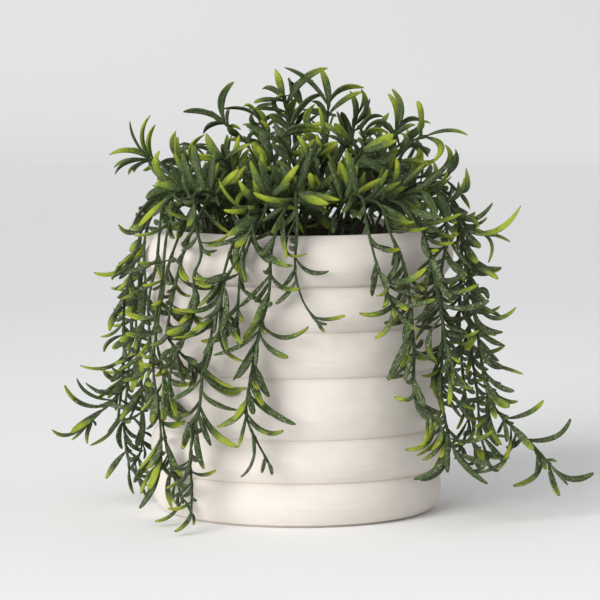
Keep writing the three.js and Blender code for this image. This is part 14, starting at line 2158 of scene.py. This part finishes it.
def soil_object():
    seg, rings = 220, 76
    th = np.linspace(0, 2 * np.pi, seg, endpoint=False)
    rr = np.linspace(0.6, SOIL_R - 0.1, rings)
    X, Y = rr[:, None] * np.cos(th), rr[:, None] * np.sin(th)
    Z = soil_height(X, Y)
    top = np.stack([X, Y, Z], -1)
    # down the inside of the pot and under
    wall = [np.stack([(SOIL_R) * np.cos(th), (SOIL_R) * np.sin(th), np.full(seg, z)], -1) for z in (128.0, 80.0, 20.3)]
    wall.append(np.stack([62.8 * np.cos(th), 62.8 * np.sin(th), np.full(seg, 9.35)], -1))
    wall.append(np.stack([59.3 * np.cos(th), 59.3 * np.sin(th), np.full(seg, 6.35)], -1))
    V = np.vstack([top.reshape(-1, 3), *wall])
    n = rings + len(wall)
    c0 = len(V)
    V = np.vstack([V, [[0, 0, float(soil_height(np.array(0.0), np.array(0.0)))]], [[0, 0, 6.35]]])
    quads = grid_quads(n, seg, 0)[:, ::-1]
    j = np.arange(seg)
    k = (j + 1) % seg
    tris = np.vstack([np.stack([j, k, np.full(seg, c0)], 1), np.stack([(n - 1) * seg + k, (n - 1) * seg + j, np.full(seg, c0 + 1)], 1)])
    crumb = [np.zeros(len(V))]
    # crumbs and bits of bark on top
    r = np.random.default_rng(77)
    import bmesh

    bm = bmesh.new()
    bmesh.ops.create_icosphere(bm, subdivisions=2, radius=1.0)
    ico_v = np.array([v.co[:] for v in bm.verts])
    ico_f = np.array([[v.index for v in f.verts] for f in bm.faces])
    bm.free()
    allv, allt = [V], [tris]
    count = len(V)
    for i in range(900):
        a, q = r.uniform(0, 2 * np.pi), math.sqrt(r.uniform(0, 1)) * (SOIL_R - 2.6)
        x, y = q * math.cos(a), q * math.sin(a)
        size = float(np.clip(r.lognormal(-0.35, 0.45), 0.3, 1.9))
        bark = r.uniform() < 0.12
        scale = np.array([1.0, r.uniform(0.6, 1.0), r.uniform(0.5, 0.85)]) * size
        if bark:
            scale = np.array([1.9, 0.75, 0.35]) * size
        lumps = 1 + 0.16 * np.sin(ico_v @ r.uniform(-4, 4, 3) + r.uniform(0, 6)) + 0.12 * np.sin(ico_v @ r.uniform(-8, 8, 3) + r.uniform(0, 6))
        p = ico_v * lumps[:, None] * scale
        ca, sa = math.cos(r.uniform(0, 6.28)), math.sin(r.uniform(0, 6.28))
        ang = r.uniform(0, 6.28)
        ca, sa = math.cos(ang), math.sin(ang)
        p = np.stack([p[:, 0] * ca - p[:, 1] * sa, p[:, 0] * sa + p[:, 1] * ca, p[:, 2]], 1)
        z = float(soil_height(np.array(x), np.array(y)))
        p = p + np.array([x, y, z + scale[2] * 0.35])
        allv.append(p)
        allt.append(ico_f + count)
        count += len(p)
        crumb.append(np.full(len(p), r.uniform(0.0, 1.0)))
    ob = make_object("soil_crumbly", np.vstack(allv), quads, np.vstack(allt), floats={"crumb": np.concatenate(crumb)})
    return ob


INNER = painted_shade_depth(STRANDS)
FOLIAGE, STONEWARE, SOIL = foliage_material(), pot_material(), soil_material()

pot = pot_object()
pot.data.materials.append(STONEWARE)
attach(pot, "root")
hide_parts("pot")

soil = soil_object()
soil.data.materials.append(SOIL)
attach(soil, "root")
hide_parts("soil")

for index, (name, line, leaves) in enumerate(STRANDS):
    ob = strand_object(name, line, leaves, index)
    ob.data.materials.append(FOLIAGE)
    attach(ob, "root")
    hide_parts(name)


# ---- floor, light and camera --------------------------------------------
def turned_stage(name, prof, seg=96):
    """A round sheet about the vertical axis from radius and height, in metres."""
    th = np.linspace(0, 2 * np.pi, seg, endpoint=False)
    V = np.array([[(r * math.cos(a), r * math.sin(a), z) for a in th] for r, z in prof]).reshape(-1, 3) / MM
    return make_object(name, V, grid_quads(len(prof), seg, 0))


WALL_AT = 3.2
floor = turned_stage("studio_floor", [(0.0005, 0.0), (0.2, 0.0), (0.6, 0.0), (1.4, 0.0), (WALL_AT, 0.0)])
curve = [(WALL_AT + 1.4 * math.sin(a), 1.4 - 1.4 * math.cos(a)) for a in np.linspace(0, 1.25, 16)]
sweep = turned_stage("studio_sweep", curve)
sweep.visible_shadow = False
mat, nt, s = new_material("studio_paper_painted_light")
# painted light: the paper is paler near the pot and darker far off and up the sweep
far = nt.nodes.new("ShaderNodeVectorMath")
far.operation = "LENGTH"
nt.links.new(nt.nodes.new("ShaderNodeTexCoord").outputs["Object"], far.inputs[0])
away = math_node(nt, "DIVIDE", far.outputs["Value"], 5.0, clamp=True)
side = nt.nodes.new("ShaderNodeSeparateXYZ")
nt.links.new(nt.nodes.new("ShaderNodeTexCoord").outputs["Object"], side.inputs[0])
# painted shade over the far right of the sweep
right = math_node(nt, "ADD", side.outputs[0], 0.45, clamp=True)
right = math_node(nt, "MULTIPLY", right, math_node(nt, "MULTIPLY", math_node(nt, "SUBTRACT", away, 0.68), 9.0, clamp=True))
paper = ramp(nt, away, [(0.03, (0.925, 0.925, 0.925)), (0.09, (0.885, 0.886, 0.887)), (0.22, (0.800, 0.801, 0.803)), (0.62, (0.795, 0.796, 0.798)), (0.90, (0.585, 0.585, 0.585))])
# painted light: a paler patch on the floor in front of the pot
front = math_node(nt, "MULTIPLY", math_node(nt, "MULTIPLY", side.outputs[1], -4.0, clamp=True), 0.85)
front = math_node(nt, "MULTIPLY", front, math_node(nt, "MULTIPLY", math_node(nt, "SUBTRACT", 0.20, away), 8.0, clamp=True))
paper = mix_colour(nt, front, paper, (0.990, 0.990, 0.990))
nt.links.new(mix_colour(nt, math_node(nt, "MULTIPLY", right, 0.35), paper, (0.44, 0.44, 0.44)), s.inputs["Base Color"])
s.inputs["Roughness"].default_value = 0.85
s.inputs["Specular IOR Level"].default_value = 0.1
for ob in (floor, sweep):
    ob.data.materials.append(mat)


def aimed(ob, azimuth, elevation, distance, aim=(0, 0, 0.1)):
    """Puts a light at an azimuth from the front towards the right and an elevation, facing aim."""
    a, e = math.radians(azimuth), math.radians(elevation)
    at = Vector(aim) + distance * Vector((math.sin(a) * math.cos(e), -math.cos(a) * math.cos(e), math.sin(e)))
    ob.location = at
    ob.rotation_euler = (Vector(aim) - at).to_track_quat("-Z", "Y").to_euler()
    scene.collection.objects.link(ob)
    return ob


key = bpy.data.lights.new("key", "SUN")
key.energy = 3.02
key.angle = math.radians(42.0)
key.color = (1.0, 0.99, 0.975)
aimed(bpy.data.objects.new("key", key), -38, 22, 3.0)
near = bpy.data.lights.new("overhead", "AREA")
near.shape = "SQUARE"
near.size = 1.2
near.energy = 1.5
aimed(bpy.data.objects.new("overhead", near), -15, 70, 1.5)

world = bpy.data.worlds.new("studio")
scene.world = world
world.use_nodes = True
bg = world.node_tree.nodes.get("Background") or world.node_tree.nodes.new("ShaderNodeBackground")
bg.inputs["Color"].default_value = (0.985, 0.992, 1.0, 1.0)
bg.inputs["Strength"].default_value = 0.505

cam_data = bpy.data.cameras.new("photo_view")
cam_data.sensor_fit = "HORIZONTAL"
cam_data.sensor_width = 36.0
cam_data.lens = 194.45
cam_data.clip_start, cam_data.clip_end = 0.05, 50.0
cam = bpy.data.objects.new("photo_view", cam_data)
cam.location = (0.00164, -1.6, 0.25548)
cam.rotation_euler = (math.radians(84.57), 0.0, 0.0)
scene.collection.objects.link(cam)
scene.camera = cam

scene.view_settings.view_transform = "Standard"
scene.view_settings.look = "None"
scene.view_settings.exposure = 0.0
scene.view_settings.gamma = 1.0

bpy.context.view_layer.update()
